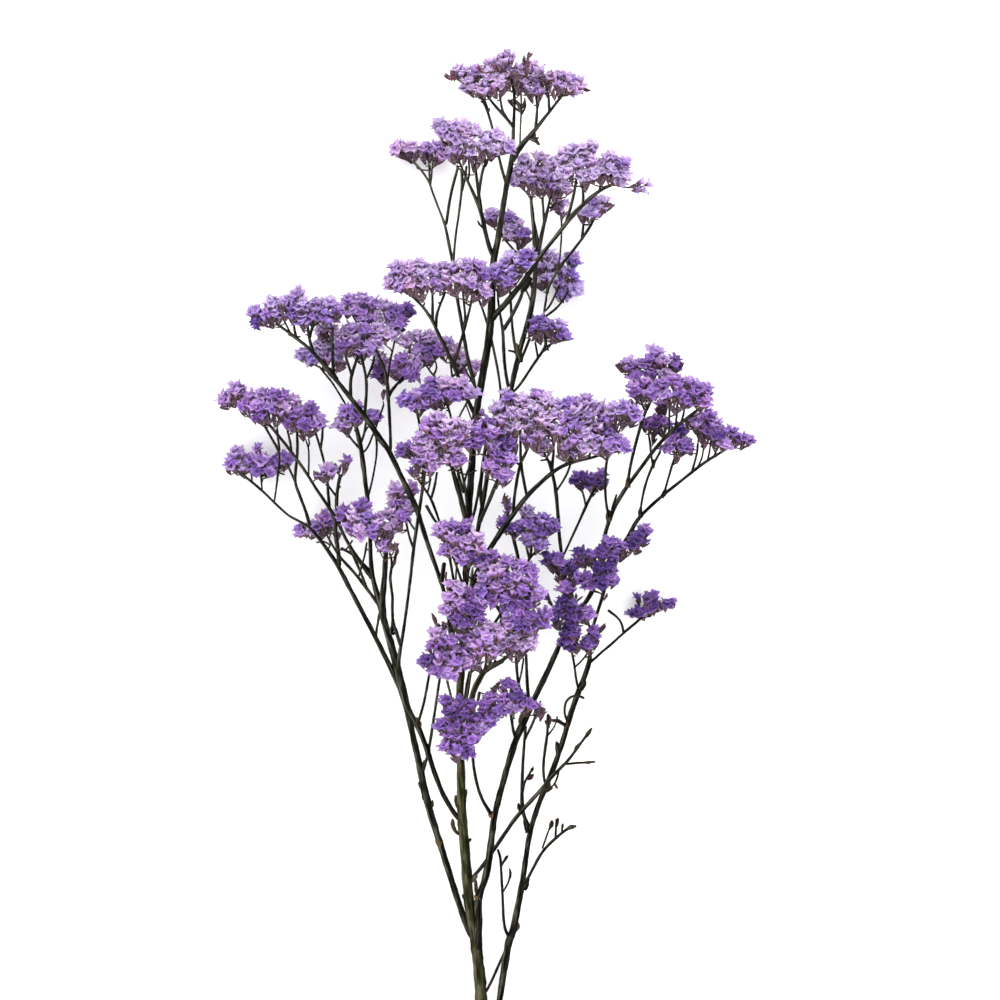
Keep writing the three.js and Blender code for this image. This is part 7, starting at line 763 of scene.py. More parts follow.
            (18.7, 189.1, 88.1, 15.7, 188.7, 88.4, 12.7, 188.7, 88.6), (26.5, 197.9, 79.3, 23.8, 199.2, 79.4, 21.1, 200.9, 79.5),
            (27.9, 203.1, 79.9, 28.8, 203.6, 82.9, 29.7, 204.4, 85.9), (23.0, 193.1, 84.3, 20.4, 194.6, 85.2, 17.7, 196.4, 86.1),
            (12.7, 188.7, 88.6, 13.1, 186.6, 87.3, 13.5, 184.7, 86.0),
        ],
    ),
    "flower_row_d": (
        [
            (42.6, 215.9, 24.5, 5.1, 4.4, 5.0, 0.25, 43.1, 207.5, 23.5), (44.6, 201.4, 27.5, 4.5, 3.6, 4.3, 0.25, 45.0, 193.5, 24.5),
            (61.1, 213.1, 17.8, 5.2, 5.3, 5.5, 0.35, 58.5, 205.0, 18.0), (43.9, 208.5, 27.2, 4.5, 3.8, 4.4, 0.25, 44.3, 200.3, 25.2),
            (56.2, 191.1, 18.5, 5.0, 4.0, 4.7, 0.35, 55.9, 187.5, 12.6), (52.9, 197.8, 18.3, 5.1, 4.2, 4.9, 0.35, 50.8, 193.3, 18.4),
            (55.0, 205.7, 18.9, 4.1, 4.4, 4.5, 0.35, 52.5, 197.6, 18.9), (61.2, 203.0, 20.6, 4.0, 5.1, 4.8, 0.35, 57.4, 195.5, 20.1),
            (63.5, 194.0, 19.8, 4.6, 5.0, 5.1, 0.35, 59.5, 189.3, 14.0), (50.3, 213.1, 24.1, 4.8, 4.5, 4.9, 0.25, 49.4, 204.7, 23.1),
            (45.0, 213.9, 16.9, 5.1, 4.4, 5.0, 0.31, 45.1, 205.4, 17.3), (44.7, 201.6, 15.8, 4.5, 3.6, 4.3, 0.31, 45.0, 193.5, 17.0),
            (43.6, 207.6, 16.8, 4.5, 3.8, 4.4, 0.31, 44.1, 199.2, 17.3), (55.6, 192.2, 7.4, 5.0, 4.0, 4.7, 0.41, 55.6, 188.2, 7.8),
            (54.3, 197.8, 8.7, 5.1, 4.2, 4.9, 0.41, 51.3, 190.6, 12.1), (63.9, 194.6, 5.2, 4.6, 5.0, 5.1, 0.41, 59.2, 187.8, 7.1),
            (49.3, 211.5, 18.1, 4.8, 4.5, 4.9, 0.31, 48.5, 203.0, 18.2),
        ],
        [
            (40.8, 195.7, 25.2, 4.0, 4.5, 42.3, 190.9, 26.5, 16, 0.25, 0.3), (39.9, 203.5, 26.5, 1.5, 3.8, 40.9, 198.7, 26.9, 8, 0.25, 0.3),
            (51.7, 188.0, 18.5, 1.4, 1.8, 52.6, 185.4, 17.3, 4, 0.35, 0.3),
        ],
        [
            (45.6, 191.7, 18.7, 45.3, 192.6, 17.8, 45.0, 193.5, 17.0), (55.7, 185.6, 8.5, 55.7, 186.8, 8.1, 55.6, 188.2, 7.8),
            (55.6, 188.2, 7.8, 57.4, 187.9, 7.4, 59.2, 187.8, 7.1), (44.4, 195.1, 30.0, 42.6, 197.0, 28.4, 40.8, 199.1, 26.9),
            (40.8, 199.1, 26.9, 42.5, 199.6, 26.1, 44.3, 200.3, 25.2), (55.6, 188.2, 7.8, 55.8, 187.7, 10.2, 55.9, 187.5, 12.6),
            (55.9, 187.5, 12.6, 57.7, 188.3, 13.3, 59.5, 189.3, 14.0), (44.4, 194.2, 30.6, 44.7, 193.7, 27.5, 45.0, 193.5, 24.5),
            (45.0, 193.5, 24.5, 43.9, 191.9, 25.4, 42.2, 191.3, 26.4), (55.9, 187.5, 12.6, 53.6, 188.9, 12.4, 51.3, 190.6, 12.1),
            (58.5, 192.1, 26.0, 57.9, 193.6, 23.1, 57.4, 195.5, 20.1), (57.4, 195.5, 20.1, 54.9, 196.4, 19.5, 52.5, 197.6, 18.9),
            (45.0, 193.5, 17.0, 44.6, 196.2, 17.1, 44.1, 199.2, 17.3), (44.1, 199.2, 17.3, 46.3, 200.9, 17.7, 48.5, 203.0, 18.2),
            (48.5, 203.0, 18.2, 46.8, 204.1, 17.7, 45.1, 205.4, 17.3), (48.5, 203.0, 18.2, 49.0, 203.7, 20.6, 49.4, 204.7, 23.1),
            (51.3, 190.6, 12.1, 51.1, 191.8, 15.3, 50.8, 193.3, 18.4), (45.1, 205.4, 17.3, 44.1, 206.3, 20.4, 43.1, 207.5, 23.5),
            (55.9, 187.5, 12.6, 54.2, 186.4, 15.0, 52.5, 185.6, 17.5), (52.5, 197.6, 18.9, 55.5, 201.1, 18.4, 58.5, 205.0, 18.0),
        ],
    ),
    "flower_behind_left": (
        [
            (-47.9, 158.1, 54.1, 5.1, 5.2, 5.4, 0.13, -44.6, 150.5, 52.0), (-11.7, 145.2, 47.6, 2.4, 6.2, 4.5, 0.33, -15.6, 139.6, 45.5),
            (-45.6, 136.9, 55.6, 6.0, 4.5, 5.5, 0.43, -49.6, 132.8, 49.3), (-38.8, 154.0, 53.6, 5.3, 4.2, 5.0, 0.13, -36.6, 146.3, 50.6),
            (-64.4, 146.5, 50.3, 4.6, 4.8, 5.0, 0.43, -63.7, 138.3, 48.3), (-33.8, 148.2, 49.5, 4.5, 4.5, 4.7, 0.23, -32.7, 142.6, 46.6),
            (-2.9, 141.7, 49.4, 3.2, 5.0, 4.3, 0.33, -4.6, 133.8, 46.6), (-26.9, 152.1, 54.5, 4.8, 4.8, 5.0, 0.23, -29.2, 145.4, 49.8),
            (-56.5, 141.3, 52.9, 4.2, 5.1, 4.9, 0.43, -53.3, 134.6, 48.8), (-31.5, 160.3, 53.4, 4.7, 5.1, 5.2, 0.13, -31.6, 152.1, 51.2),
            (-41.7, 144.8, 55.2, 4.6, 5.2, 5.1, 0.43, -36.1, 144.2, 48.9), (-50.2, 146.1, 55.1, 4.9, 4.9, 5.2, 0.43, -50.5, 138.0, 52.8),
            (-21.2, 158.0, 54.5, 3.9, 4.6, 4.4, 0.23, -20.6, 150.0, 51.9), (-16.0, 152.2, 53.0, 5.0, 3.9, 4.7, 0.23, -17.0, 144.4, 49.8),
            (-66.7, 138.7, 49.1, 4.2, 4.8, 4.8, 0.43, -63.5, 132.9, 44.9), (-39.9, 161.4, 53.1, 5.0, 4.0, 4.7, 0.13, -38.2, 153.3, 51.2),
            (-10.2, 144.3, 39.8, 2.4, 6.2, 4.5, 0.39, -14.9, 138.5, 42.0), (-45.2, 137.1, 45.7, 6.0, 4.5, 5.5, 0.49, -49.4, 133.0, 46.2),
            (-64.3, 145.3, 42.6, 4.6, 4.8, 5.0, 0.49, -63.5, 136.8, 42.7), (-2.2, 141.3, 38.7, 3.2, 5.0, 4.3, 0.39, -4.6, 133.2, 39.4),
            (-27.5, 151.8, 42.3, 4.8, 4.8, 5.0, 0.29, -29.4, 144.8, 43.1), (-56.8, 140.9, 44.1, 4.2, 5.1, 4.9, 0.49, -53.4, 133.2, 45.5),
            (-33.5, 159.2, 42.8, 4.7, 5.1, 5.2, 0.19, -33.0, 150.8, 43.2), (-41.8, 143.7, 45.3, 4.6, 5.2, 5.1, 0.49, -33.9, 142.4, 44.3),
            (-49.5, 144.8, 45.5, 4.9, 4.9, 5.2, 0.49, -50.1, 136.4, 45.8), (-16.7, 151.9, 42.4, 5.0, 3.9, 4.7, 0.29, -17.6, 144.5, 43.0),
            (-65.4, 138.7, 43.1, 4.2, 4.8, 4.8, 0.49, -63.2, 132.7, 43.0), (-39.8, 160.2, 42.8, 5.0, 4.0, 4.7, 0.19, -37.9, 151.9, 43.1),
        ],
        [
            (-43.7, 151.1, 52.5, 3.1, 1.3, -42.7, 148.5, 52.8, 6, 0.13, 0.3), (-22.9, 147.2, 53.5, 2.3, 2.5, -21.6, 143.8, 54.2, 8, 0.23, 0.3),
            (-31.6, 142.9, 54.6, 1.7, 1.7, -32.2, 140.2, 55.3, 4, 0.23, 0.3), (-54.1, 135.9, 55.8, 4.6, 5.6, -52.6, 131.0, 56.5, 16, 0.43, 0.3),
            (-62.8, 123.6, 50.1, 1.0, 4.1, -62.6, 118.4, 50.7, 6, 0.43, 0.3), (-63.6, 133.2, 51.0, 8.5, 4.3, -62.1, 128.5, 52.6, 16, 0.43, 0.3),
        ],
        [
            (-62.0, 132.8, 43.0, -62.6, 132.7, 43.0, -63.2, 132.7, 43.0), (-18.8, 143.3, 43.8, -18.2, 143.8, 43.4, -17.6, 144.5, 43.0),
            (-62.0, 132.8, 43.0, -62.7, 132.8, 43.9, -63.5, 132.9, 44.9), (-51.5, 131.4, 46.4, -50.4, 132.1, 46.3, -49.4, 133.0, 46.2),
            (-31.9, 144.6, 44.1, -30.7, 144.6, 43.6, -29.4, 144.8, 43.1), (-51.5, 131.4, 46.4, -52.4, 132.2, 46.0, -53.4, 133.2, 45.5),
            (-51.5, 131.9, 59.5, -52.2, 131.6, 58.0, -52.8, 131.5, 56.5), (-33.4, 140.3, 58.7, -32.8, 140.3, 57.0, -32.2, 140.5, 55.2),
            (-51.5, 131.4, 46.4, -50.5, 132.0, 47.9, -49.6, 132.8, 49.3), (-31.9, 144.6, 44.1, -32.9, 143.4, 44.2, -33.9, 142.4, 44.3),
            (-33.9, 142.4, 44.3, -33.3, 142.4, 45.5, -32.7, 142.6, 46.6), (-62.2, 116.6, 54.0, -62.4, 117.6, 52.3, -62.6, 118.9, 50.6),
            (-62.0, 132.8, 43.0, -62.8, 134.7, 42.9, -63.5, 136.8, 42.7), (-8.4, 131.6, 40.7, -6.5, 132.3, 40.1, -4.6, 133.2, 39.4),
            (-51.5, 131.4, 46.4, -52.4, 132.9, 47.6, -53.3, 134.6, 48.8), (-49.2, 135.0, 56.0, -49.8, 136.3, 54.4, -50.5, 138.0, 52.8),
            (-49.4, 133.0, 46.2, -49.8, 134.6, 46.0, -50.1, 136.4, 45.8), (-36.2, 145.5, 56.0, -36.4, 145.7, 53.3, -36.6, 146.3, 50.6),
            (-36.6, 146.3, 50.6, -36.3, 145.2, 49.7, -36.1, 144.2, 48.9), (-31.9, 144.6, 44.1, -32.4, 147.5, 43.6, -33.0, 150.8, 43.2),
            (-33.0, 150.8, 43.2, -35.4, 151.2, 43.1, -37.9, 151.9, 43.1), (-31.9, 144.6, 44.1, -30.5, 144.8, 46.9, -29.2, 145.4, 49.8),
            (-18.8, 143.3, 43.8, -17.9, 143.7, 46.8, -17.0, 144.4, 49.8), (-63.5, 136.8, 42.7, -63.6, 137.4, 45.5, -63.7, 138.3, 48.3),
            (-18.8, 143.3, 43.8, -17.2, 141.3, 44.7, -15.6, 139.6, 45.5), (-15.6, 139.6, 45.5, -15.3, 138.9, 43.8, -14.9, 138.5, 42.0),
            (-8.4, 131.6, 40.7, -6.5, 132.5, 43.7, -4.6, 133.8, 46.6), (-18.6, 144.1, 58.0, -20.2, 144.0, 56.1, -21.7, 144.2, 54.1),
            (-21.7, 144.2, 54.1, -21.2, 146.9, 53.0, -20.6, 150.0, 51.9), (-29.1, 146.8, 56.0, -30.3, 149.2, 53.6, -31.6, 152.1, 51.2),
            (-59.9, 131.5, 58.0, -61.1, 130.1, 55.2, -62.3, 129.0, 52.4), (-31.6, 152.1, 51.2, -34.9, 152.5, 51.2, -38.2, 153.3, 51.2),
            (-36.2, 145.5, 56.0, -39.5, 146.9, 54.4, -42.8, 148.7, 52.7), (-42.8, 148.7, 52.7, -43.7, 149.6, 52.4, -44.6, 150.5, 52.0),
        ],
    ),
    "flower_mid_right": (
        [
            (55.2, 161.6, 64.3, 5.7, 3.5, 4.8, 0.54, 49.9, 156.1, 60.7), (36.5, 166.5, 65.4, 4.9, 3.3, 4.3, 0.54, 38.6, 158.5, 63.5),
            (38.2, 171.6, 64.6, 4.9, 2.9, 4.1, 0.54, 39.5, 163.3, 63.1), (45.1, 167.9, 66.5, 3.9, 5.8, 5.1, 0.54, 45.1, 159.7, 64.4),
            (52.1, 168.0, 65.4, 4.5, 4.6, 4.8, 0.54, 50.5, 159.8, 63.6), (54.1, 161.5, 58.2, 5.7, 3.5, 4.8, 0.60, 49.5, 156.3, 57.8),
            (36.7, 165.6, 57.8, 4.9, 3.3, 4.3, 0.60, 40.4, 157.9, 57.6), (38.6, 169.9, 58.6, 4.9, 2.9, 4.1, 0.60, 40.1, 161.5, 58.3),
            (44.5, 166.8, 55.3, 3.9, 5.8, 5.1, 0.60, 44.7, 158.3, 55.9), (51.3, 166.8, 56.0, 4.5, 4.6, 4.8, 0.60, 49.6, 158.5, 56.4),
        ],
        [
            (35.6, 159.8, 67.2, 2.1, 1.9, 34.1, 157.1, 66.7, 6, 0.54, 0.3), (38.7, 162.0, 66.9, 2.3, 2.0, 38.3, 159.1, 65.5, 7, 0.54, 0.3),
            (46.6, 161.4, 66.2, 2.6, 2.2, 46.7, 158.3, 64.8, 8, 0.54, 0.3), (33.4, 162.6, 65.3, 2.3, 2.1, 32.1, 159.6, 64.9, 7, 0.54, 0.3),
            (39.3, 158.1, 65.9, 2.5, 2.3, 40.3, 154.8, 65.1, 9, 0.54, 0.3), (48.3, 158.3, 65.4, 2.8, 1.9, 47.7, 155.3, 64.7, 8, 0.54, 0.3),
        ],
        [
            (28.7, 160.3, 62.1, 30.4, 159.7, 63.5, 32.3, 159.9, 64.9), (47.4, 157.1, 50.0, 46.0, 157.6, 52.9, 44.7, 158.3, 55.9),
            (44.7, 158.3, 55.9, 42.5, 158.0, 56.7, 40.4, 157.9, 57.6), (40.4, 157.9, 57.6, 40.2, 159.6, 58.0, 40.1, 161.5, 58.3),
            (44.7, 158.3, 55.9, 47.2, 158.3, 56.1, 49.6, 158.5, 56.4), (49.6, 158.5, 56.4, 49.6, 157.3, 57.1, 49.5, 156.3, 57.8),
            (49.5, 156.3, 57.8, 49.7, 156.1, 59.2, 49.9, 156.1, 60.7), (49.9, 156.1, 60.7, 50.2, 157.8, 62.1, 50.5, 159.8, 63.6),
            (50.5, 159.8, 63.6, 48.6, 159.1, 64.2, 46.7, 158.6, 64.9), (46.7, 158.6, 64.9, 45.9, 159.1, 64.6, 45.1, 159.7, 64.4),
            (46.7, 158.6, 64.9, 47.2, 157.0, 64.8, 47.8, 155.6, 64.7), (40.1, 161.5, 58.3, 39.8, 162.3, 60.7, 39.5, 163.3, 63.1),
            (40.4, 157.9, 57.6, 39.5, 158.0, 60.6, 38.6, 158.5, 63.5), (38.6, 158.5, 63.5, 38.5, 158.9, 64.6, 38.4, 159.4, 65.7),
            (38.6, 158.5, 63.5, 39.6, 156.8, 64.3, 40.2, 155.2, 65.2), (32.3, 159.9, 64.9, 33.3, 158.5, 65.8, 34.3, 157.4, 66.8),
        ],
    ),
    "flower_mid_left": (
        [
            (-33.6, 124.0, 96.8, 4.4, 4.2, 4.5, 0.42, -34.9, 115.9, 94.6), (-21.6, 129.2, 97.8, 4.7, 4.7, 4.9, 0.42, -21.4, 120.9, 95.8),
            (-5.6, 124.0, 98.4, 5.1, 4.5, 5.1, 0.42, -11.4, 119.0, 94.8), (-12.7, 129.1, 98.9, 5.2, 4.0, 4.8, 0.42, -14.4, 121.1, 96.8),
            (-25.6, 121.1, 96.8, 4.6, 5.0, 5.0, 0.42, -23.8, 113.3, 94.1), (-41.1, 114.6, 98.5, 4.6, 3.6, 4.3, 0.57, -39.6, 109.5, 91.8),
            (-47.6, 119.3, 98.4, 3.8, 4.7, 4.5, 0.57, -43.7, 113.2, 93.9), (-30.2, 130.5, 95.0, 5.1, 4.2, 4.9, 0.42, -28.3, 122.4, 93.8),
            (-15.4, 122.2, 100.2, 5.1, 4.0, 4.8, 0.42, -17.7, 117.6, 95.5), (-33.5, 116.3, 95.7, 4.4, 4.1, 4.5, 0.57, -37.3, 111.0, 90.2),
            (-40.8, 121.4, 98.4, 4.5, 3.8, 4.4, 0.57, -40.2, 113.5, 95.4), (2.3, 110.2, 88.0, 3.5, 3.2, 3.5, 0.42, -3.9, 104.5, 88.3),
            (-20.8, 127.9, 86.1, 4.7, 4.7, 4.9, 0.48, -20.8, 119.4, 86.9), (-7.0, 123.5, 88.7, 5.1, 4.5, 5.1, 0.48, -10.5, 119.4, 88.8),
            (-13.2, 127.9, 88.2, 5.2, 4.0, 4.8, 0.48, -15.1, 119.6, 88.4), (-24.0, 121.1, 87.4, 4.6, 5.0, 5.0, 0.48, -22.7, 113.4, 88.1),
            (-29.1, 129.0, 91.9, 5.1, 4.2, 4.9, 0.48, -27.2, 120.8, 91.3), (-33.4, 116.0, 87.5, 4.4, 4.1, 4.5, 0.63, -37.3, 110.0, 87.9),
            (-39.5, 120.3, 87.2, 4.5, 3.8, 4.4, 0.63, -39.2, 112.0, 87.5),
        ],
        [
            (-28.2, 114.4, 98.4, 2.6, 2.8, -26.4, 111.0, 97.3, 11, 0.57, 0.3), (-37.1, 110.4, 96.5, 1.1, 2.4, -37.8, 107.4, 94.7, 4, 0.57, 0.3),
            (-24.3, 115.2, 97.4, 2.9, 2.3, -23.4, 112.0, 96.2, 10, 0.42, 0.3), (-18.2, 117.6, 99.2, 1.9, 1.9, -18.6, 114.7, 98.3, 5, 0.42, 0.3),
            (-20.9, 119.2, 97.8, 1.8, 1.9, -20.8, 116.4, 96.4, 5, 0.42, 0.3),
        ],
        [
            (-38.8, 109.6, 88.1, -38.0, 109.7, 88.0, -37.3, 110.0, 87.9), (-38.8, 109.6, 88.1, -39.0, 110.7, 87.8, -39.2, 112.0, 87.5),
            (-20.9, 117.1, 86.0, -20.8, 118.2, 86.5, -20.8, 119.4, 86.9), (-38.8, 109.6, 88.1, -38.1, 110.2, 89.2, -37.3, 111.0, 90.2),
            (-38.8, 109.6, 88.1, -39.2, 109.5, 90.0, -39.6, 109.5, 91.8), (-6.9, 118.8, 85.1, -8.7, 119.0, 86.9, -10.5, 119.4, 88.8),
            (-19.8, 114.4, 84.3, -21.2, 113.8, 86.2, -22.7, 113.4, 88.1), (-10.5, 119.4, 88.8, -12.8, 119.4, 88.6, -15.1, 119.6, 88.4),
            (-39.6, 109.5, 91.8, -38.7, 108.5, 93.3, -37.8, 107.7, 94.9), (-39.6, 109.5, 91.8, -39.9, 111.3, 93.6, -40.2, 113.5, 95.4),
            (-40.2, 113.5, 95.4, -42.0, 113.2, 94.6, -43.7, 113.2, 93.9), (-40.2, 113.5, 95.4, -37.6, 114.5, 95.0, -34.9, 115.9, 94.6),
            (-22.7, 113.4, 88.1, -23.3, 113.2, 91.1, -23.8, 113.3, 94.1), (-23.8, 113.3, 94.1, -23.7, 112.7, 95.2, -23.5, 112.3, 96.3),
            (-23.5, 112.3, 96.3, -25.0, 111.7, 96.9, -26.6, 111.3, 97.4), (-23.5, 112.3, 96.3, -22.1, 114.4, 96.4, -20.8, 116.7, 96.6),
            (-20.8, 116.7, 96.6, -19.3, 117.0, 96.0, -17.7, 117.6, 95.5), (-20.8, 116.7, 96.6, -19.7, 115.8, 97.5, -18.6, 115.0, 98.4),
            (-20.8, 116.7, 96.6, -21.1, 118.7, 96.2, -21.4, 120.9, 95.8), (-17.7, 117.6, 95.5, -16.1, 119.2, 96.1, -14.4, 121.1, 96.8),
            (-14.4, 121.1, 96.8, -12.9, 119.9, 95.8, -11.4, 119.0, 94.8), (-21.4, 120.9, 95.8, -24.8, 121.4, 94.8, -28.3, 122.4, 93.8),
            (-28.3, 122.4, 93.8, -27.7, 121.5, 92.5, -27.2, 120.8, 91.3), (-8.3, 116.3, 84.1, -6.1, 110.1, 86.2, -3.9, 104.5, 88.3),
        ],
    ),
    "flower_left_crown": (
        [
            (-113.4, 180.9, 78.3, 4.8, 4.9, 5.1, 0.25, -112.8, 172.9, 75.5), (-138.1, 175.0, 72.4, 3.8, 5.4, 4.8, 0.35, -135.0, 167.4, 70.1),
            (-91.6, 178.7, 73.5, 4.3, 4.4, 4.5, 0.30, -95.0, 171.1, 71.7), (-120.8, 175.1, 76.4, 4.1, 4.8, 4.7, 0.25, -119.6, 167.1, 73.7),
            (-107.3, 173.3, 72.9, 4.6, 4.5, 4.8, 0.30, -108.7, 166.4, 68.2), (-123.6, 182.8, 76.4, 5.0, 4.4, 4.9, 0.25, -123.6, 174.7, 73.8),
            (-131.0, 175.3, 71.5, 3.7, 4.5, 4.3, 0.35, -129.2, 167.3, 69.0), (-98.3, 173.7, 74.0, 5.0, 4.5, 5.0, 0.30, -101.3, 166.2, 71.4),
            (-133.8, 182.7, 71.2, 5.4, 4.1, 5.0, 0.35, -132.0, 174.6, 69.5), (-114.8, 171.7, 74.5, 4.2, 4.6, 4.6, 0.25, -113.2, 164.1, 70.9),
            (-117.3, 188.6, 76.7, 3.8, 4.6, 4.4, 0.25, -116.2, 180.4, 74.7), (-145.7, 176.6, 71.5, 4.7, 4.5, 4.8, 0.35, -141.9, 169.2, 69.8),
            (-104.8, 180.6, 74.6, 4.7, 4.3, 4.7, 0.30, -105.9, 172.5, 72.3), (-144.1, 170.2, 71.4, 4.5, 3.4, 4.2, 0.35, -137.0, 166.9, 68.0),
            (-96.8, 182.8, 73.8, 4.6, 4.2, 4.6, 0.30, -99.2, 174.8, 72.0), (-113.8, 180.3, 63.0, 4.8, 4.9, 5.1, 0.31, -112.9, 171.9, 63.2),
            (-138.2, 174.6, 59.6, 3.8, 5.4, 4.8, 0.41, -133.7, 167.4, 60.3), (-93.3, 178.1, 65.0, 4.3, 4.4, 4.5, 0.36, -96.8, 170.3, 64.8),
            (-122.0, 175.4, 65.0, 4.1, 4.8, 4.7, 0.31, -120.3, 167.1, 64.9), (-106.1, 173.6, 63.7, 4.6, 4.5, 4.8, 0.36, -108.5, 167.0, 63.7),
            (-132.5, 174.8, 62.2, 3.7, 4.5, 4.3, 0.41, -130.0, 166.6, 62.1), (-97.6, 173.9, 61.0, 5.0, 4.5, 5.0, 0.36, -101.2, 166.2, 61.8),
            (-133.7, 181.0, 61.1, 5.4, 4.1, 5.0, 0.41, -131.7, 172.8, 61.2), (-114.1, 172.6, 65.9, 4.2, 4.6, 4.6, 0.31, -112.5, 164.6, 65.1),
            (-116.7, 186.7, 63.4, 3.8, 4.6, 4.4, 0.31, -115.6, 178.3, 63.5), (-145.5, 175.9, 61.9, 4.7, 4.5, 4.8, 0.41, -141.4, 168.5, 61.9),
            (-104.3, 179.7, 62.9, 4.7, 4.3, 4.7, 0.36, -105.7, 171.3, 63.1), (-144.7, 170.5, 61.8, 4.5, 3.4, 4.2, 0.41, -138.4, 167.6, 61.8),
        ],
        [
            (-128.4, 171.9, 71.6, 1.8, 5.6, -129.5, 167.0, 70.3, 15, 0.35, 0.3), (-134.1, 170.5, 72.4, 2.7, 1.6, -133.1, 168.0, 71.6, 6, 0.35, 0.3),
            (-134.2, 167.5, 71.0, 2.6, 1.7, -132.6, 165.1, 70.4, 7, 0.35, 0.3), (-138.5, 168.3, 73.1, 2.6, 1.9, -136.9, 165.8, 72.4, 7, 0.35, 0.3),
            (-113.4, 165.2, 76.9, 1.7, 3.1, -112.2, 161.2, 75.9, 8, 0.25, 0.3), (-124.8, 172.6, 76.3, 1.8, 3.2, -125.1, 168.5, 74.5, 9, 0.25, 0.3),
            (-127.0, 178.1, 78.1, 2.3, 2.8, -127.0, 174.3, 76.8, 10, 0.25, 0.3), (-91.8, 172.3, 75.0, 2.6, 2.3, -92.4, 169.0, 74.4, 9, 0.30, 0.3),
        ],
        [
            (-129.2, 167.3, 66.5, -129.2, 167.3, 67.8, -129.2, 167.3, 69.0), (-129.2, 167.3, 69.0, -129.3, 167.4, 69.7, -129.4, 167.5, 70.4),
            (-98.2, 172.3, 71.8, -98.7, 173.5, 71.9, -99.2, 174.8, 72.0), (-110.5, 164.4, 71.7, -111.9, 164.2, 71.3, -113.2, 164.1, 70.9),
            (-110.1, 163.4, 63.8, -111.3, 163.9, 64.4, -112.5, 164.6, 65.1), (-104.1, 170.0, 71.7, -105.0, 171.2, 72.0, -105.9, 172.5, 72.3),
            (-96.2, 173.0, 71.8, -95.6, 172.0, 71.8, -95.0, 171.1, 71.7), (-108.2, 166.3, 71.6, -108.5, 166.3, 69.9, -108.7, 166.4, 68.2),
            (-119.7, 166.7, 68.4, -120.0, 166.8, 66.7, -120.3, 167.1, 64.9), (-111.2, 172.0, 72.0, -112.0, 172.4, 73.7, -112.8, 172.9, 75.5),
            (-110.1, 163.4, 63.8, -109.3, 165.1, 63.8, -108.5, 167.0, 63.7), (-110.2, 161.1, 71.6, -111.2, 161.2, 73.8, -112.3, 161.6, 76.0),
            (-129.2, 167.3, 66.5, -129.6, 166.9, 64.3, -130.0, 166.6, 62.1), (-129.4, 167.5, 70.4, -131.3, 167.8, 71.1, -133.2, 168.2, 71.7),
            (-133.2, 168.2, 71.7, -134.1, 167.8, 70.9, -135.0, 167.4, 70.1), (-135.0, 167.4, 70.1, -136.0, 167.1, 69.1, -137.0, 166.9, 68.0),
            (-119.7, 166.7, 68.4, -119.7, 166.8, 71.0, -119.6, 167.1, 73.7), (-135.0, 167.4, 70.1, -136.0, 166.7, 71.3, -137.0, 166.1, 72.5),
            (-130.0, 166.6, 62.1, -131.8, 166.9, 61.2, -133.7, 167.4, 60.3), (-94.9, 165.8, 68.0, -95.8, 167.9, 66.4, -96.8, 170.3, 64.8),
            (-131.6, 169.0, 66.0, -131.7, 170.7, 63.6, -131.7, 172.8, 61.2), (-133.7, 167.4, 60.3, -136.1, 167.4, 61.0, -138.4, 167.6, 61.8),
            (-138.4, 167.6, 61.8, -139.9, 168.0, 61.8, -141.4, 168.5, 61.9), (-108.5, 167.0, 63.7, -107.1, 169.1, 63.4, -105.7, 171.3, 63.1),
            (-105.1, 169.4, 71.7, -103.2, 167.7, 71.5, -101.3, 166.2, 71.4), (-127.1, 172.2, 66.0, -129.5, 173.2, 67.8, -132.0, 174.6, 69.5),
            (-135.0, 167.4, 70.1, -133.8, 166.4, 70.3, -132.8, 165.3, 70.5), (-137.0, 166.9, 68.0, -139.4, 167.9, 68.9, -141.9, 169.2, 69.8),
            (-120.3, 172.2, 68.0, -122.0, 173.3, 70.9, -123.6, 174.7, 73.8), (-123.6, 174.7, 73.8, -125.3, 174.6, 75.4, -127.0, 174.7, 76.9),
            (-129.4, 167.5, 70.4, -127.2, 168.0, 72.6, -125.1, 168.9, 74.7), (-108.5, 167.0, 63.7, -110.7, 169.3, 63.5, -112.9, 171.9, 63.2),
            (-95.0, 171.1, 71.7, -93.7, 170.1, 73.1, -92.3, 169.3, 74.4), (-112.9, 171.9, 63.2, -114.2, 174.9, 63.3, -115.6, 178.3, 63.5),
            (-94.9, 165.8, 68.0, -98.0, 165.8, 64.9, -101.2, 166.2, 61.8), (-112.8, 172.9, 75.5, -114.5, 176.5, 75.1, -116.2, 180.4, 74.7),
        ],
    ),
    "flower_left_b": (
        [
            (-56.6, 168.2, 48.9, 4.3, 4.1, 4.4, 0.58, -55.1, 162.1, 43.2), (-67.4, 174.5, 49.1, 4.2, 4.8, 4.8, 0.23, -69.4, 166.5, 46.9),
            (-80.5, 177.8, 50.9, 4.4, 5.0, 4.9, 0.23, -79.7, 169.7, 48.6), (-53.6, 179.2, 49.5, 4.4, 4.4, 4.7, 0.58, -53.7, 170.9, 47.4),
            (-59.9, 174.6, 49.0, 4.2, 4.5, 4.6, 0.58, -58.3, 166.6, 46.6), (-50.7, 171.0, 51.4, 3.8, 5.0, 4.6, 0.58, -52.6, 165.5, 45.2),
            (-70.0, 182.8, 51.4, 4.6, 5.0, 5.0, 0.23, -71.1, 174.6, 49.5), (-46.3, 179.0, 48.2, 3.9, 5.7, 5.0, 0.58, -48.5, 171.1, 45.9),
            (-85.0, 184.7, 48.2, 4.2, 5.6, 5.1, 0.23, -83.7, 176.4, 46.9), (-76.9, 186.3, 49.9, 4.4, 4.7, 4.8, 0.23, -76.9, 177.9, 48.4),
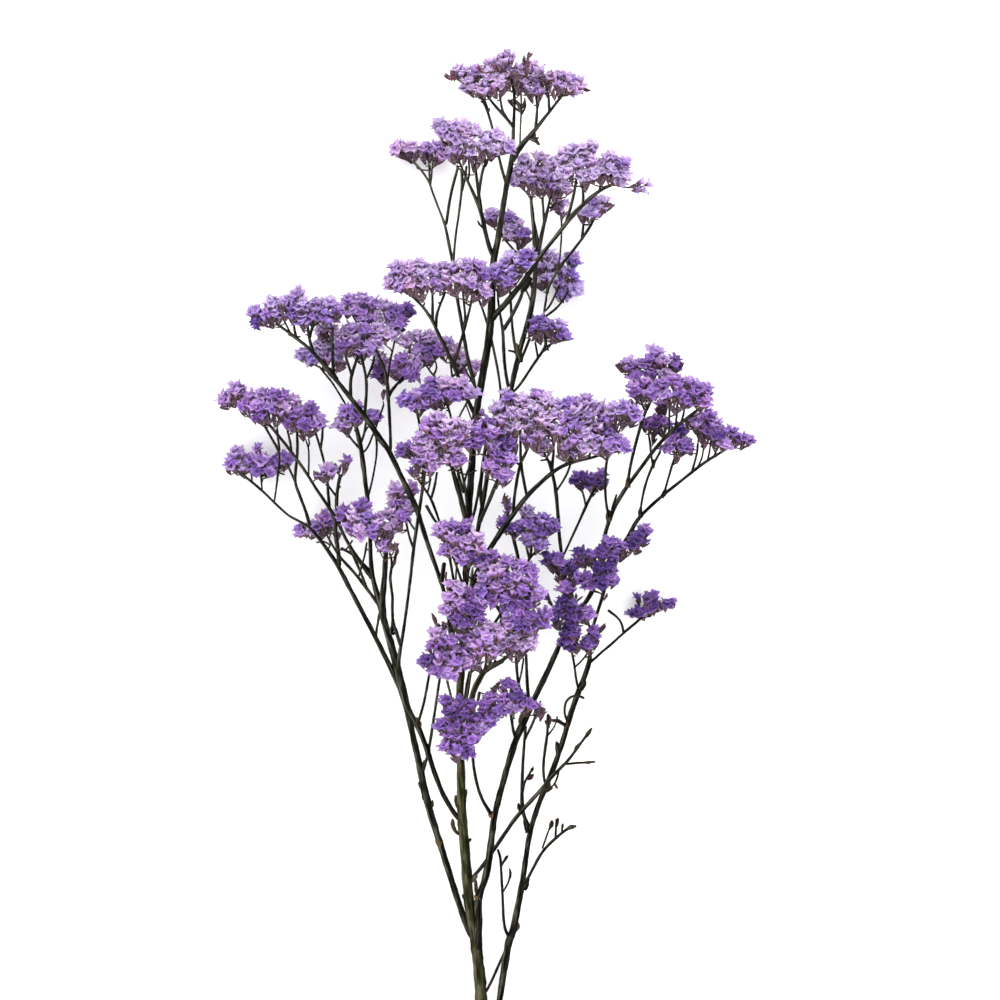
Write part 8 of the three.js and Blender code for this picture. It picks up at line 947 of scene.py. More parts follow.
            (-62.3, 182.8, 48.7, 4.4, 4.7, 4.8, 0.23, -60.8, 174.6, 47.1), (-75.3, 173.8, 51.3, 4.8, 4.8, 5.0, 0.23, -75.6, 165.8, 48.5),
            (-54.2, 168.6, 39.7, 4.3, 4.1, 4.4, 0.64, -54.2, 162.2, 39.9), (-66.9, 174.8, 38.9, 4.2, 4.8, 4.8, 0.29, -69.2, 166.6, 39.0),
            (-79.0, 177.5, 37.4, 4.4, 5.0, 4.9, 0.29, -78.4, 169.1, 37.9), (-53.3, 177.9, 38.6, 4.4, 4.4, 4.7, 0.64, -53.6, 169.4, 39.0),
            (-59.3, 174.0, 39.0, 4.2, 4.5, 4.6, 0.64, -57.6, 165.7, 39.3), (-51.7, 171.0, 39.8, 3.8, 5.0, 4.6, 0.64, -52.8, 164.7, 40.0),
            (-71.2, 181.7, 39.8, 4.6, 5.0, 5.0, 0.29, -72.2, 173.3, 39.7), (-47.6, 177.7, 41.4, 3.9, 5.7, 5.0, 0.64, -49.7, 169.5, 41.0),
        ],
        [
            (-85.2, 176.0, 51.0, 3.0, 4.7, -86.9, 171.7, 53.2, 16, 0.23, 0.3), (-51.7, 165.5, 49.5, 2.9, 1.8, -52.6, 162.6, 49.8, 8, 0.58, 0.3),
        ],
        [
            (-54.2, 161.8, 40.1, -54.6, 161.9, 41.6, -55.1, 162.1, 43.2), (-54.2, 161.8, 40.1, -53.5, 163.1, 40.0, -52.8, 164.7, 40.0),
            (-54.3, 162.8, 51.0, -53.4, 162.8, 50.4, -52.5, 162.9, 49.8), (-54.0, 164.6, 50.0, -53.3, 164.9, 47.6, -52.6, 165.5, 45.2),
            (-54.2, 161.8, 40.1, -55.9, 163.6, 39.7, -57.6, 165.7, 39.3), (-54.0, 164.6, 50.0, -56.2, 165.4, 48.3, -58.3, 166.6, 46.6),
            (-52.8, 164.7, 40.0, -53.2, 166.9, 39.5, -53.6, 169.4, 39.0), (-53.6, 169.4, 39.0, -51.6, 169.3, 40.0, -49.7, 169.5, 41.0),
            (-49.7, 169.5, 41.0, -49.1, 170.2, 43.5, -48.5, 171.1, 45.9), (-48.5, 171.1, 45.9, -51.1, 170.9, 46.7, -53.7, 170.9, 47.4),
            (-53.7, 170.9, 47.4, -57.3, 172.6, 47.3, -60.8, 174.6, 47.1), (-76.5, 159.2, 39.5, -77.5, 163.9, 38.7, -78.4, 169.1, 37.9),
            (-78.4, 169.1, 37.9, -75.3, 171.0, 38.8, -72.2, 173.3, 39.7), (-76.5, 159.2, 39.5, -72.9, 162.6, 39.3, -69.2, 166.6, 39.0),
            (-69.2, 166.6, 39.0, -69.3, 166.4, 43.0, -69.4, 166.5, 46.9), (-69.4, 166.5, 46.9, -72.5, 166.0, 47.7, -75.6, 165.8, 48.5),
            (-75.6, 165.8, 48.5, -77.6, 167.6, 48.5, -79.7, 169.7, 48.6), (-79.7, 169.7, 48.6, -81.7, 172.8, 47.8, -83.7, 176.4, 46.9),
            (-83.7, 176.4, 46.9, -80.3, 177.0, 47.6, -76.9, 177.9, 48.4), (-76.9, 177.9, 48.4, -74.0, 176.1, 48.9, -71.1, 174.6, 49.5),
            (-79.7, 169.7, 48.6, -83.6, 169.7, 50.8, -86.7, 172.1, 53.0),
        ],
    ),
    "flower_left_c": (
        [
            (-90.3, 161.9, 58.9, 4.6, 4.9, 5.0, 0.34, -88.1, 153.9, 57.1), (-73.9, 164.9, 62.0, 4.6, 5.2, 5.1, 0.34, -74.8, 156.7, 59.7),
            (-66.2, 158.3, 60.2, 4.5, 4.7, 4.8, 0.34, -69.0, 150.6, 57.9), (-71.4, 153.9, 61.5, 4.4, 5.1, 4.9, 0.34, -74.1, 147.1, 57.1),
            (-80.2, 159.2, 61.5, 5.1, 3.8, 4.7, 0.34, -79.8, 151.2, 58.6), (-58.1, 161.7, 57.9, 5.1, 4.1, 4.8, 0.34, -64.1, 156.3, 55.5),
            (-65.5, 166.1, 59.1, 4.9, 4.1, 4.7, 0.34, -67.7, 158.0, 57.5), (-88.3, 154.7, 59.1, 4.6, 5.1, 5.1, 0.34, -86.1, 148.5, 56.9),
            (-83.0, 166.1, 60.0, 5.0, 4.0, 4.7, 0.34, -82.2, 157.9, 58.1), (-78.7, 152.6, 57.8, 4.8, 3.9, 4.6, 0.34, -78.7, 144.7, 54.5),
            (-87.9, 161.0, 50.2, 4.6, 4.9, 5.0, 0.40, -85.8, 152.8, 50.0), (-73.3, 163.5, 47.2, 4.6, 5.2, 5.1, 0.40, -74.4, 155.1, 47.7),
            (-68.0, 158.0, 47.9, 4.5, 4.7, 4.8, 0.40, -70.8, 150.0, 48.3), (-71.5, 154.3, 49.3, 4.4, 5.1, 4.9, 0.40, -74.9, 146.5, 49.4),
            (-79.6, 158.7, 47.2, 5.1, 3.8, 4.7, 0.40, -79.3, 150.3, 47.9), (-67.1, 164.5, 49.5, 4.9, 4.1, 4.7, 0.40, -69.3, 156.3, 49.5),
            (-87.5, 155.0, 50.7, 4.6, 5.1, 5.1, 0.40, -82.3, 148.3, 50.0), (-82.0, 164.6, 48.8, 5.0, 4.0, 4.7, 0.40, -81.3, 156.1, 49.0),
            (-77.9, 153.2, 49.6, 4.8, 3.9, 4.6, 0.40, -78.3, 145.8, 49.6),
        ],
        [
            (-84.3, 151.1, 59.9, 3.1, 4.2, -85.9, 146.2, 59.3, 16, 0.34, 0.3), (-74.1, 147.9, 59.2, 1.2, 2.1, -74.9, 144.7, 59.3, 4, 0.34, 0.3),
            (-61.2, 157.0, 60.4, 1.8, 1.7, -60.1, 154.4, 59.9, 4, 0.34, 0.3),
        ],
        [
            (-86.4, 146.6, 59.0, -86.1, 146.6, 59.2, -85.7, 146.7, 59.4), (-75.9, 145.1, 59.7, -75.4, 145.1, 59.5, -74.8, 145.0, 59.3),
            (-87.0, 148.2, 58.0, -86.6, 148.3, 57.5, -86.1, 148.5, 56.9), (-78.8, 144.4, 49.5, -78.5, 145.0, 49.5, -78.3, 145.8, 49.6),
            (-67.6, 150.5, 58.6, -68.3, 150.5, 58.3, -69.0, 150.6, 57.9), (-78.2, 150.7, 58.0, -79.0, 150.9, 58.3, -79.8, 151.2, 58.6),
            (-76.5, 147.0, 59.0, -75.3, 147.0, 58.1, -74.1, 147.1, 57.1), (-78.8, 144.4, 49.5, -76.9, 145.3, 49.4, -74.9, 146.5, 49.4),
            (-78.8, 144.4, 49.5, -78.8, 144.4, 52.0, -78.7, 144.7, 54.5), (-78.8, 144.4, 49.5, -80.6, 146.2, 49.7, -82.3, 148.3, 50.0),
            (-82.3, 148.3, 50.0, -80.8, 149.2, 48.9, -79.3, 150.3, 47.9), (-67.2, 152.5, 58.0, -65.6, 154.2, 56.7, -64.1, 156.3, 55.5),
            (-67.2, 152.5, 58.0, -67.4, 155.1, 57.8, -67.7, 158.0, 57.5), (-87.0, 148.2, 58.0, -87.5, 150.9, 57.5, -88.1, 153.9, 57.1),
            (-56.6, 151.1, 57.3, -57.9, 153.2, 58.7, -60.2, 154.6, 60.0), (-82.3, 148.3, 50.0, -84.1, 150.4, 50.0, -85.8, 152.8, 50.0),
            (-85.8, 152.8, 50.0, -83.5, 154.3, 49.5, -81.3, 156.1, 49.0), (-78.2, 150.7, 58.0, -76.5, 153.5, 58.9, -74.8, 156.7, 59.7),
            (-74.9, 146.5, 49.4, -73.3, 148.6, 48.8, -70.8, 150.0, 48.3), (-70.8, 150.0, 48.3, -72.6, 152.4, 48.0, -74.4, 155.1, 47.7),
            (-74.4, 155.1, 47.7, -71.9, 155.6, 48.6, -69.3, 156.3, 49.5), (-78.2, 150.7, 58.0, -80.2, 154.1, 58.0, -82.2, 157.9, 58.1),
        ],
    ),
    "flower_left_d": (
        [
            (-109.5, 148.4, 48.3, 4.1, 4.9, 4.7, -0.05, -105.9, 142.6, 43.2), (-102.3, 156.0, 45.4, 6.2, 4.4, 5.6, -0.05, -101.2, 147.7, 44.3),
            (-103.5, 165.8, 49.1, 3.3, 5.6, 4.7, -0.04, -102.6, 157.5, 47.8), (-97.3, 166.1, 47.0, 3.5, 5.8, 4.9, -0.04, -97.4, 157.7, 46.1),
            (-116.2, 150.4, 46.4, 3.7, 4.6, 4.4, -0.05, -111.6, 143.7, 43.8), (-100.6, 148.4, 48.0, 4.4, 4.6, 4.7, -0.05, -99.5, 140.8, 45.2),
            (-92.8, 148.9, 45.0, 3.7, 7.2, 5.7, -0.05, -95.0, 141.2, 43.4), (-89.5, 145.3, 43.0, 2.9, 2.9, 3.1, -0.05, -93.5, 138.5, 42.2),
            (-103.0, 154.6, 36.9, 6.2, 4.4, 5.6, 0.01, -101.6, 146.3, 38.2), (-102.8, 165.0, 39.5, 3.3, 5.6, 4.7, 0.02, -102.0, 156.5, 39.8),
            (-95.8, 165.2, 39.1, 3.5, 5.8, 4.9, 0.02, -96.2, 156.7, 39.5), (-114.6, 149.7, 36.8, 3.7, 4.6, 4.4, 0.01, -108.8, 143.5, 37.7),
            (-101.8, 148.2, 36.5, 4.4, 4.6, 4.7, 0.01, -100.2, 140.8, 38.6), (-94.3, 148.6, 40.1, 3.7, 7.2, 5.7, 0.01, -95.9, 141.4, 40.6),
        ],
        [
            (-100.0, 161.3, 47.2, 2.3, 2.0, -99.3, 158.5, 48.7, 7, 0.00, 0.3), (-110.6, 143.9, 46.6, 4.4, 1.6, -109.3, 141.4, 46.7, 10, 0.00, 0.3),
            (-91.4, 141.5, 47.5, 3.7, 3.7, -93.4, 137.2, 46.3, 16, 0.00, 0.3),
        ],
        [
            (-98.1, 140.8, 41.3, -97.0, 141.0, 41.0, -95.9, 141.4, 40.6), (-102.8, 140.8, 38.7, -101.5, 140.8, 38.6, -100.2, 140.8, 38.6),
            (-98.1, 140.8, 41.3, -96.5, 140.9, 42.4, -95.0, 141.2, 43.4), (-98.1, 140.8, 41.3, -98.8, 140.7, 43.2, -99.5, 140.8, 45.2),
            (-104.4, 141.8, 48.0, -105.2, 142.0, 45.6, -105.9, 142.6, 43.2), (-102.8, 140.8, 38.7, -102.2, 143.4, 38.4, -101.6, 146.3, 38.2),
            (-95.0, 141.2, 43.4, -94.3, 139.8, 42.8, -93.5, 138.5, 42.2), (-93.5, 138.5, 42.2, -93.4, 138.0, 44.3, -93.2, 137.6, 46.4),
            (-102.8, 140.8, 38.7, -105.8, 142.0, 38.2, -108.8, 143.5, 37.7), (-105.9, 142.6, 43.2, -108.8, 143.0, 43.5, -111.6, 143.7, 43.8),
            (-101.6, 146.3, 38.2, -101.4, 146.8, 41.3, -101.2, 147.7, 44.3), (-111.6, 143.7, 43.8, -110.3, 142.8, 45.3, -109.4, 141.6, 46.7),
            (-101.2, 147.7, 44.3, -101.6, 151.8, 42.1, -102.0, 156.5, 39.8), (-102.0, 156.5, 39.8, -99.1, 156.5, 39.7, -96.2, 156.7, 39.5),
            (-96.2, 156.7, 39.5, -96.8, 157.0, 42.8, -97.4, 157.7, 46.1), (-97.4, 157.7, 46.1, -98.4, 158.1, 47.3, -99.4, 158.8, 48.5),
            (-99.4, 158.8, 48.5, -101.0, 158.0, 48.2, -102.6, 157.5, 47.8),
        ],
    ),
    "flower_far_left": (
        [
            (-124.7, 104.9, 44.7, 3.9, 5.4, 4.9, 0.54, -126.5, 102.3, 42.6), (-167.1, 121.1, 39.6, 5.2, 4.8, 5.3, 0.44, -160.1, 117.2, 36.9),
            (-104.8, 105.8, 50.6, 4.9, 5.0, 5.2, 0.54, -106.7, 98.2, 47.2), (-144.5, 116.7, 49.3, 4.4, 4.1, 4.5, 0.44, -145.9, 110.0, 44.3),
            (-113.4, 104.3, 50.7, 5.4, 4.9, 5.4, 0.54, -112.9, 97.5, 45.7), (-118.4, 112.1, 48.5, 4.8, 4.2, 4.7, 0.54, -117.1, 104.0, 46.1),
            (-144.0, 109.7, 46.5, 5.3, 3.9, 4.8, 0.44, -140.4, 103.1, 42.6), (-134.2, 123.5, 45.5, 3.9, 4.8, 4.6, 0.44, -137.4, 116.1, 42.8),
            (-159.3, 126.8, 41.4, 5.0, 5.6, 5.6, 0.44, -156.9, 118.9, 39.4), (-141.6, 124.5, 45.1, 4.4, 4.4, 4.7, 0.44, -143.5, 116.8, 42.0),
            (-150.0, 122.3, 43.6, 4.5, 3.8, 4.4, 0.44, -149.7, 114.5, 40.2), (-136.5, 115.9, 48.2, 4.6, 4.4, 4.7, 0.44, -139.9, 109.4, 44.0),
            (-127.8, 114.3, 47.6, 4.8, 4.5, 4.9, 0.44, -129.1, 106.4, 44.6), (-153.0, 115.5, 44.7, 4.2, 4.1, 4.4, 0.44, -150.6, 111.6, 37.6),
            (-127.5, 123.0, 47.0, 3.9, 4.6, 4.5, 0.44, -128.4, 114.8, 45.0), (-110.5, 114.3, 48.9, 4.1, 5.6, 5.1, 0.54, -110.8, 106.1, 46.6),
            (-121.2, 119.3, 44.8, 4.2, 4.3, 4.5, 0.44, -123.4, 111.3, 43.0), (-121.8, 104.8, 38.8, 3.9, 5.4, 4.9, 0.60, -124.7, 100.3, 37.8),
            (-166.7, 120.9, 29.8, 5.2, 4.8, 5.3, 0.50, -159.4, 116.8, 31.0), (-106.2, 105.5, 36.6, 4.9, 5.0, 5.2, 0.60, -108.3, 97.3, 36.8),
            (-142.8, 116.1, 33.9, 4.4, 4.1, 4.5, 0.50, -146.0, 110.2, 33.3), (-113.1, 104.2, 35.6, 5.4, 4.9, 5.4, 0.60, -112.8, 97.9, 36.1),
            (-117.3, 110.8, 35.5, 4.8, 4.2, 4.7, 0.60, -116.0, 102.4, 36.0), (-142.4, 110.2, 35.3, 5.3, 3.9, 4.8, 0.50, -138.4, 102.7, 35.1),
            (-134.3, 121.8, 36.0, 3.9, 4.8, 4.6, 0.50, -138.3, 114.4, 35.1), (-159.7, 125.7, 33.3, 5.0, 5.6, 5.6, 0.50, -156.9, 117.7, 33.1),
            (-139.4, 122.7, 35.5, 4.4, 4.4, 4.7, 0.50, -142.4, 114.8, 34.6), (-151.9, 121.9, 33.5, 4.5, 3.8, 4.4, 0.50, -150.7, 113.9, 33.2),
            (-136.6, 115.5, 33.7, 4.6, 4.4, 4.7, 0.50, -141.8, 108.7, 33.3), (-130.6, 114.1, 33.4, 4.8, 4.5, 4.9, 0.50, -131.6, 105.7, 34.0),
            (-155.2, 116.3, 33.4, 4.2, 4.1, 4.4, 0.50, -151.2, 110.9, 32.9), (-128.7, 121.5, 33.3, 3.9, 4.6, 4.5, 0.50, -129.5, 113.0, 33.6),
            (-110.0, 112.7, 37.5, 4.1, 5.6, 5.1, 0.60, -110.5, 104.2, 37.4), (-119.8, 116.9, 37.4, 4.2, 4.3, 4.5, 0.50, -122.6, 108.8, 36.9),
        ],
        [
            (-154.4, 124.9, 41.4, 1.5, 2.1, -153.9, 121.7, 41.0, 5, 0.44, 0.3), (-166.1, 115.8, 40.2, 2.9, 1.8, -164.6, 113.3, 39.8, 8, 0.44, 0.3),
            (-156.4, 120.5, 41.0, 2.4, 2.5, -155.4, 117.0, 40.4, 9, 0.44, 0.3), (-160.7, 117.2, 40.6, 3.3, 1.7, -159.4, 114.6, 40.1, 8, 0.44, 0.3),
            (-160.8, 120.4, 40.8, 2.3, 1.8, -159.7, 117.7, 40.4, 6, 0.44, 0.3), (-132.8, 104.5, 47.0, 2.4, 2.9, -133.8, 100.8, 45.7, 10, 0.44, 0.3),
            (-150.7, 110.9, 48.6, 1.6, 1.6, -149.8, 108.4, 48.0, 4, 0.44, 0.3), (-137.2, 106.7, 46.7, 2.8, 2.0, -137.3, 103.7, 45.5, 8, 0.44, 0.3),
            (-129.8, 108.5, 47.3, 2.7, 2.2, -131.0, 105.5, 46.7, 8, 0.44, 0.3), (-142.1, 105.3, 47.3, 3.3, 1.4, -141.8, 102.8, 46.1, 7, 0.44, 0.3),
            (-137.8, 110.4, 47.6, 2.3, 2.2, -137.9, 107.0, 46.7, 7, 0.44, 0.3), (-133.6, 110.7, 47.4, 2.1, 3.0, -134.6, 106.7, 46.6, 9, 0.44, 0.3),
            (-154.0, 110.7, 47.8, 2.0, 1.2, -153.0, 108.6, 46.4, 4, 0.44, 0.3), (-119.9, 106.4, 48.7, 1.4, 2.7, -119.8, 102.7, 47.6, 6, 0.54, 0.3),
            (-120.9, 101.1, 47.9, 3.1, 2.7, -122.2, 97.6, 46.9, 12, 0.54, 0.3), (-115.5, 98.9, 48.9, 2.5, 2.1, -115.1, 95.8, 48.0, 8, 0.54, 0.3),
            (-115.3, 95.3, 47.9, 2.4, 2.0, -114.7, 92.4, 46.9, 7, 0.54, 0.3), (-110.8, 98.1, 48.1, 2.3, 2.4, -111.2, 94.9, 46.6, 8, 0.54, 0.3),
        ],
        [
            (-107.1, 97.8, 36.6, -107.7, 97.5, 36.7, -108.3, 97.3, 36.8), (-140.1, 101.7, 35.6, -139.2, 102.2, 35.3, -138.4, 102.7, 35.1),
            (-149.0, 112.1, 32.7, -149.9, 113.0, 32.9, -150.7, 113.9, 33.2), (-125.6, 100.0, 42.0, -126.0, 101.1, 42.3, -126.5, 102.3, 42.6),
            (-149.0, 112.1, 32.7, -150.1, 111.5, 32.8, -151.2, 110.9, 32.9), (-108.2, 101.5, 38.0, -109.4, 102.7, 37.7, -110.5, 104.2, 37.4),
            (-125.3, 99.0, 41.8, -125.0, 99.6, 39.8, -124.7, 100.3, 37.8), (-137.5, 103.9, 40.0, -138.9, 103.4, 41.3, -140.4, 103.1, 42.6),
            (-149.0, 112.1, 32.7, -147.5, 111.1, 33.0, -146.0, 110.2, 33.3), (-119.4, 100.1, 38.0, -117.7, 101.2, 37.0, -116.0, 102.4, 36.0),
            (-132.7, 101.5, 36.0, -132.1, 103.5, 35.0, -131.6, 105.7, 34.0), (-140.4, 103.1, 42.6, -141.1, 103.0, 44.4, -141.8, 103.0, 46.2),
            (-149.0, 112.1, 32.7, -149.8, 111.7, 35.1, -150.6, 111.6, 37.6), (-150.6, 111.6, 37.6, -150.2, 112.9, 38.9, -149.7, 114.5, 40.2),
            (-140.4, 103.1, 42.6, -138.8, 103.4, 44.1, -137.3, 104.0, 45.6), (-137.3, 104.0, 45.6, -137.6, 105.6, 46.2, -137.8, 107.4, 46.8),
            (-137.8, 107.4, 46.8, -136.2, 107.2, 46.7, -134.5, 107.1, 46.7), (-137.8, 107.4, 46.8, -138.9, 108.3, 45.4, -139.9, 109.4, 44.0),
            (-107.1, 97.8, 36.6, -109.9, 97.7, 36.4, -112.8, 97.9, 36.1), (-134.5, 107.1, 46.7, -132.7, 106.3, 46.7, -130.9, 105.8, 46.8),
            (-130.9, 105.8, 46.8, -130.0, 106.0, 45.7, -129.1, 106.4, 44.6), (-141.1, 103.5, 36.0, -141.4, 105.9, 34.7, -141.8, 108.7, 33.3),
            (-134.9, 100.8, 39.8, -134.3, 100.8, 42.8, -133.7, 101.1, 45.8), (-125.1, 98.1, 41.6, -123.6, 97.8, 44.3, -122.1, 97.9, 47.0),
            (-122.1, 97.9, 47.0, -121.0, 100.3, 47.3, -119.8, 103.0, 47.7), (-119.8, 103.0, 47.7, -118.5, 103.4, 46.9, -117.1, 104.0, 46.1),
            (-146.0, 110.2, 33.3, -144.2, 112.4, 34.0, -142.4, 114.8, 34.6), (-142.4, 114.8, 34.6, -140.4, 114.5, 34.9, -138.3, 114.4, 35.1),
            (-139.9, 109.4, 44.0, -142.9, 109.5, 44.2, -145.9, 110.0, 44.3), (-113.3, 92.9, 40.0, -114.0, 95.1, 42.8, -112.9, 97.5, 45.7),
            (-112.9, 97.5, 45.7, -112.0, 96.3, 46.2, -111.1, 95.2, 46.7), (-112.9, 97.5, 45.7, -114.0, 96.7, 46.9, -115.1, 96.1, 48.1),
            (-115.1, 96.1, 48.1, -114.9, 94.3, 47.5, -114.8, 92.7, 47.0), (-111.1, 95.2, 46.7, -108.9, 96.6, 46.9, -106.7, 98.2, 47.2),
            (-149.7, 114.5, 40.2, -152.6, 115.7, 40.3, -155.5, 117.3, 40.5), (-155.5, 117.3, 40.5, -156.2, 118.0, 39.9, -156.9, 118.9, 39.4),
            (-156.9, 118.9, 39.4, -158.4, 118.3, 39.9, -159.8, 117.9, 40.4), (-159.8, 117.9, 40.4, -159.9, 117.5, 38.7, -160.1, 117.2, 36.9),
            (-156.9, 118.9, 39.4, -155.5, 120.3, 40.2, -154.0, 122.0, 41.0), (-160.1, 117.2, 36.9, -158.5, 117.3, 35.0, -156.9, 117.7, 33.1),
            (-156.9, 117.7, 33.1, -158.2, 117.2, 32.1, -159.4, 116.8, 31.0), (-117.1, 104.0, 46.1, -113.9, 104.9, 46.4, -110.8, 106.1, 46.6),
            (-149.7, 114.5, 40.2, -146.6, 115.5, 41.1, -143.5, 116.8, 42.0), (-143.5, 116.8, 42.0, -140.4, 116.3, 42.4, -137.4, 116.1, 42.8),
            (-131.6, 105.7, 34.0, -130.6, 109.2, 33.8, -129.5, 113.0, 33.6), (-129.1, 106.4, 44.6, -126.2, 108.7, 43.8, -123.4, 111.3, 43.0),
            (-123.4, 111.3, 43.0, -125.9, 112.9, 44.0, -128.4, 114.8, 45.0), (-159.8, 117.9, 40.4, -159.7, 116.3, 40.3, -159.6, 114.9, 40.2),
            (-123.4, 111.3, 43.0, -123.0, 109.9, 39.9, -122.6, 108.8, 36.9), (-145.9, 110.0, 44.3, -147.9, 109.2, 46.2, -149.9, 108.6, 48.1),
            (-149.9, 108.6, 48.1, -151.5, 109.1, 47.3, -153.1, 108.8, 46.5), (-160.1, 117.2, 36.9, -162.9, 115.8, 38.4, -164.7, 113.5, 39.9),
        ],
    ),
    "flower_low_left": (
        [
            (-138.6, 74.1, 18.1, 4.8, 4.4, 4.8, 0.55, -140.3, 69.9, 15.1), (-164.0, 79.7, 18.0, 4.5, 5.4, 5.2, 0.40, -160.7, 73.3, 13.5),
            (-146.0, 89.7, 18.3, 3.0, 3.4, 3.4, 0.55, -145.6, 81.4, 16.6), (-142.8, 81.4, 21.0, 4.3, 4.4, 4.5, 0.55, -143.1, 73.5, 17.9),
            (-147.3, 74.3, 20.2, 4.7, 4.4, 4.7, 0.55, -146.0, 71.5, 15.7), (-150.9, 82.1, 18.2, 4.1, 3.8, 4.2, 0.55, -152.7, 74.2, 15.6),
            (-156.3, 76.9, 14.2, 5.0, 4.4, 5.0, 0.40, -156.7, 70.0, 11.7), (-134.1, 80.1, 18.0, 4.0, 3.6, 4.0, 0.45, -131.1, 74.3, 12.6),
            (-127.5, 81.5, 18.6, 4.4, 5.0, 4.9, 0.45, -128.2, 75.3, 15.4), (-159.8, 86.0, 18.0, 4.9, 4.4, 4.9, 0.40, -159.1, 77.9, 15.8),
            (-137.5, 74.6, 5.3, 4.8, 4.4, 4.8, 0.61, -139.3, 69.9, 6.2), (-163.2, 79.4, 6.7, 4.5, 5.4, 5.2, 0.46, -159.4, 71.9, 8.0),
            (-142.9, 80.7, 3.4, 4.3, 4.4, 4.5, 0.61, -143.2, 72.3, 5.0), (-146.9, 74.8, 5.9, 4.7, 4.4, 4.7, 0.61, -144.8, 68.2, 7.7),
            (-150.7, 81.3, 5.8, 4.1, 3.8, 4.2, 0.61, -152.9, 73.1, 6.8), (-156.3, 77.1, 6.3, 5.0, 4.4, 5.0, 0.46, -156.7, 70.5, 7.4),
            (-134.2, 79.6, 6.7, 4.0, 3.6, 4.0, 0.51, -132.5, 73.4, 7.7), (-160.8, 84.8, 4.2, 4.9, 4.4, 4.9, 0.46, -159.8, 76.4, 5.4),
        ],
        [
            (-165.5, 73.4, 16.7, 2.1, 1.7, -164.2, 70.9, 16.1, 5, 0.40, 0.3), (-161.5, 73.3, 17.1, 2.4, 1.9, -160.1, 70.6, 17.0, 6, 0.40, 0.3),
            (-130.0, 75.6, 16.6, 1.8, 2.0, -129.8, 72.6, 15.6, 5, 0.45, 0.3),
        ],
        [
            (-143.9, 67.6, 8.5, -144.4, 67.9, 8.1, -144.8, 68.2, 7.7), (-157.2, 70.2, 8.7, -156.9, 70.3, 8.0, -156.7, 70.5, 7.4),
            (-144.5, 72.8, 18.0, -143.8, 73.1, 18.0, -143.1, 73.5, 17.9), (-157.2, 70.2, 8.7, -158.3, 71.0, 8.3, -159.4, 71.9, 8.0),
            (-160.3, 75.2, 16.0, -159.7, 76.5, 15.9, -159.1, 77.9, 15.8), (-144.4, 71.8, 18.2, -145.2, 71.5, 16.9, -146.0, 71.5, 15.7),
            (-157.2, 70.2, 8.7, -156.9, 70.0, 10.2, -156.7, 70.0, 11.7), (-150.8, 71.5, 16.0, -151.7, 72.8, 15.8, -152.7, 74.2, 15.6),
            (-158.8, 73.7, 16.4, -159.8, 73.4, 14.9, -160.7, 73.3, 13.5), (-157.3, 72.2, 16.7, -158.7, 71.4, 16.9, -160.2, 70.9, 17.1),
            (-157.2, 70.2, 8.7, -155.2, 71.8, 7.7, -152.9, 73.1, 6.8), (-144.3, 70.7, 18.3, -142.2, 70.5, 16.7, -140.3, 69.9, 15.1),
            (-159.4, 71.9, 8.0, -159.6, 74.0, 6.7, -159.8, 76.4, 5.4), (-144.8, 68.2, 7.7, -144.6, 70.4, 6.3, -143.2, 72.3, 5.0),
            (-144.8, 68.2, 7.7, -142.2, 69.2, 6.9, -139.3, 69.9, 6.2), (-160.7, 73.3, 13.5, -162.7, 72.3, 14.8, -164.4, 71.1, 16.1),
            (-144.5, 72.8, 18.0, -145.0, 76.9, 17.3, -145.6, 81.4, 16.6), (-139.3, 69.9, 6.2, -135.9, 71.5, 6.9, -132.5, 73.4, 7.7),
            (-132.5, 73.4, 7.7, -131.8, 73.7, 10.1, -131.1, 74.3, 12.6), (-131.1, 74.3, 12.6, -129.6, 74.7, 14.0, -128.2, 75.3, 15.4),
            (-128.2, 75.3, 15.4, -129.0, 74.0, 15.5, -129.8, 72.9, 15.7),
        ],
    ),
    "flower_left_e": (
        [
            (-80.0, 108.4, 52.3, 5.2, 3.8, 4.7, 0.26, -80.6, 100.5, 49.2), (-79.8, 115.7, 52.4, 4.6, 4.0, 4.5, 0.26, -77.9, 107.7, 50.1),
            (-87.4, 112.3, 52.2, 4.1, 4.8, 4.7, 0.26, -85.7, 104.3, 50.0), (-89.8, 103.9, 49.4, 5.7, 4.5, 5.3, 0.46, -88.4, 99.8, 46.6),
            (-69.9, 109.4, 50.8, 4.9, 3.9, 4.6, 0.51, -71.0, 102.1, 47.7), (-81.1, 108.3, 44.5, 5.2, 3.8, 4.7, 0.32, -81.3, 101.2, 44.6),
            (-81.3, 114.4, 44.0, 4.6, 4.0, 4.5, 0.32, -78.6, 106.4, 43.9), (-86.9, 111.7, 44.1, 4.1, 4.8, 4.7, 0.32, -85.1, 103.4, 44.3),
            (-69.1, 109.0, 43.4, 4.9, 3.9, 4.6, 0.57, -70.7, 102.6, 43.5),
        ],
        [
            (-86.1, 100.1, 49.9, 8.1, 4.0, -85.7, 95.1, 48.5, 16, 0.46, 0.3), (-79.2, 105.0, 51.7, 5.8, 1.8, -79.5, 102.1, 50.8, 15, 0.26, 0.3),
        ],
        [
            (-81.6, 100.1, 44.7, -81.4, 100.6, 44.6, -81.3, 101.2, 44.6), (-87.3, 100.1, 46.0, -87.9, 99.9, 46.3, -88.4, 99.8, 46.6),
            (-72.5, 102.7, 43.6, -71.6, 102.6, 43.5, -70.7, 102.6, 43.5), (-68.1, 100.6, 48.8, -69.6, 101.3, 48.2, -71.0, 102.1, 47.7),
            (-81.0, 104.6, 46.0, -79.8, 105.4, 44.9, -78.6, 106.4, 43.9), (-79.9, 100.5, 45.4, -80.3, 100.4, 47.3, -80.6, 100.5, 49.2),
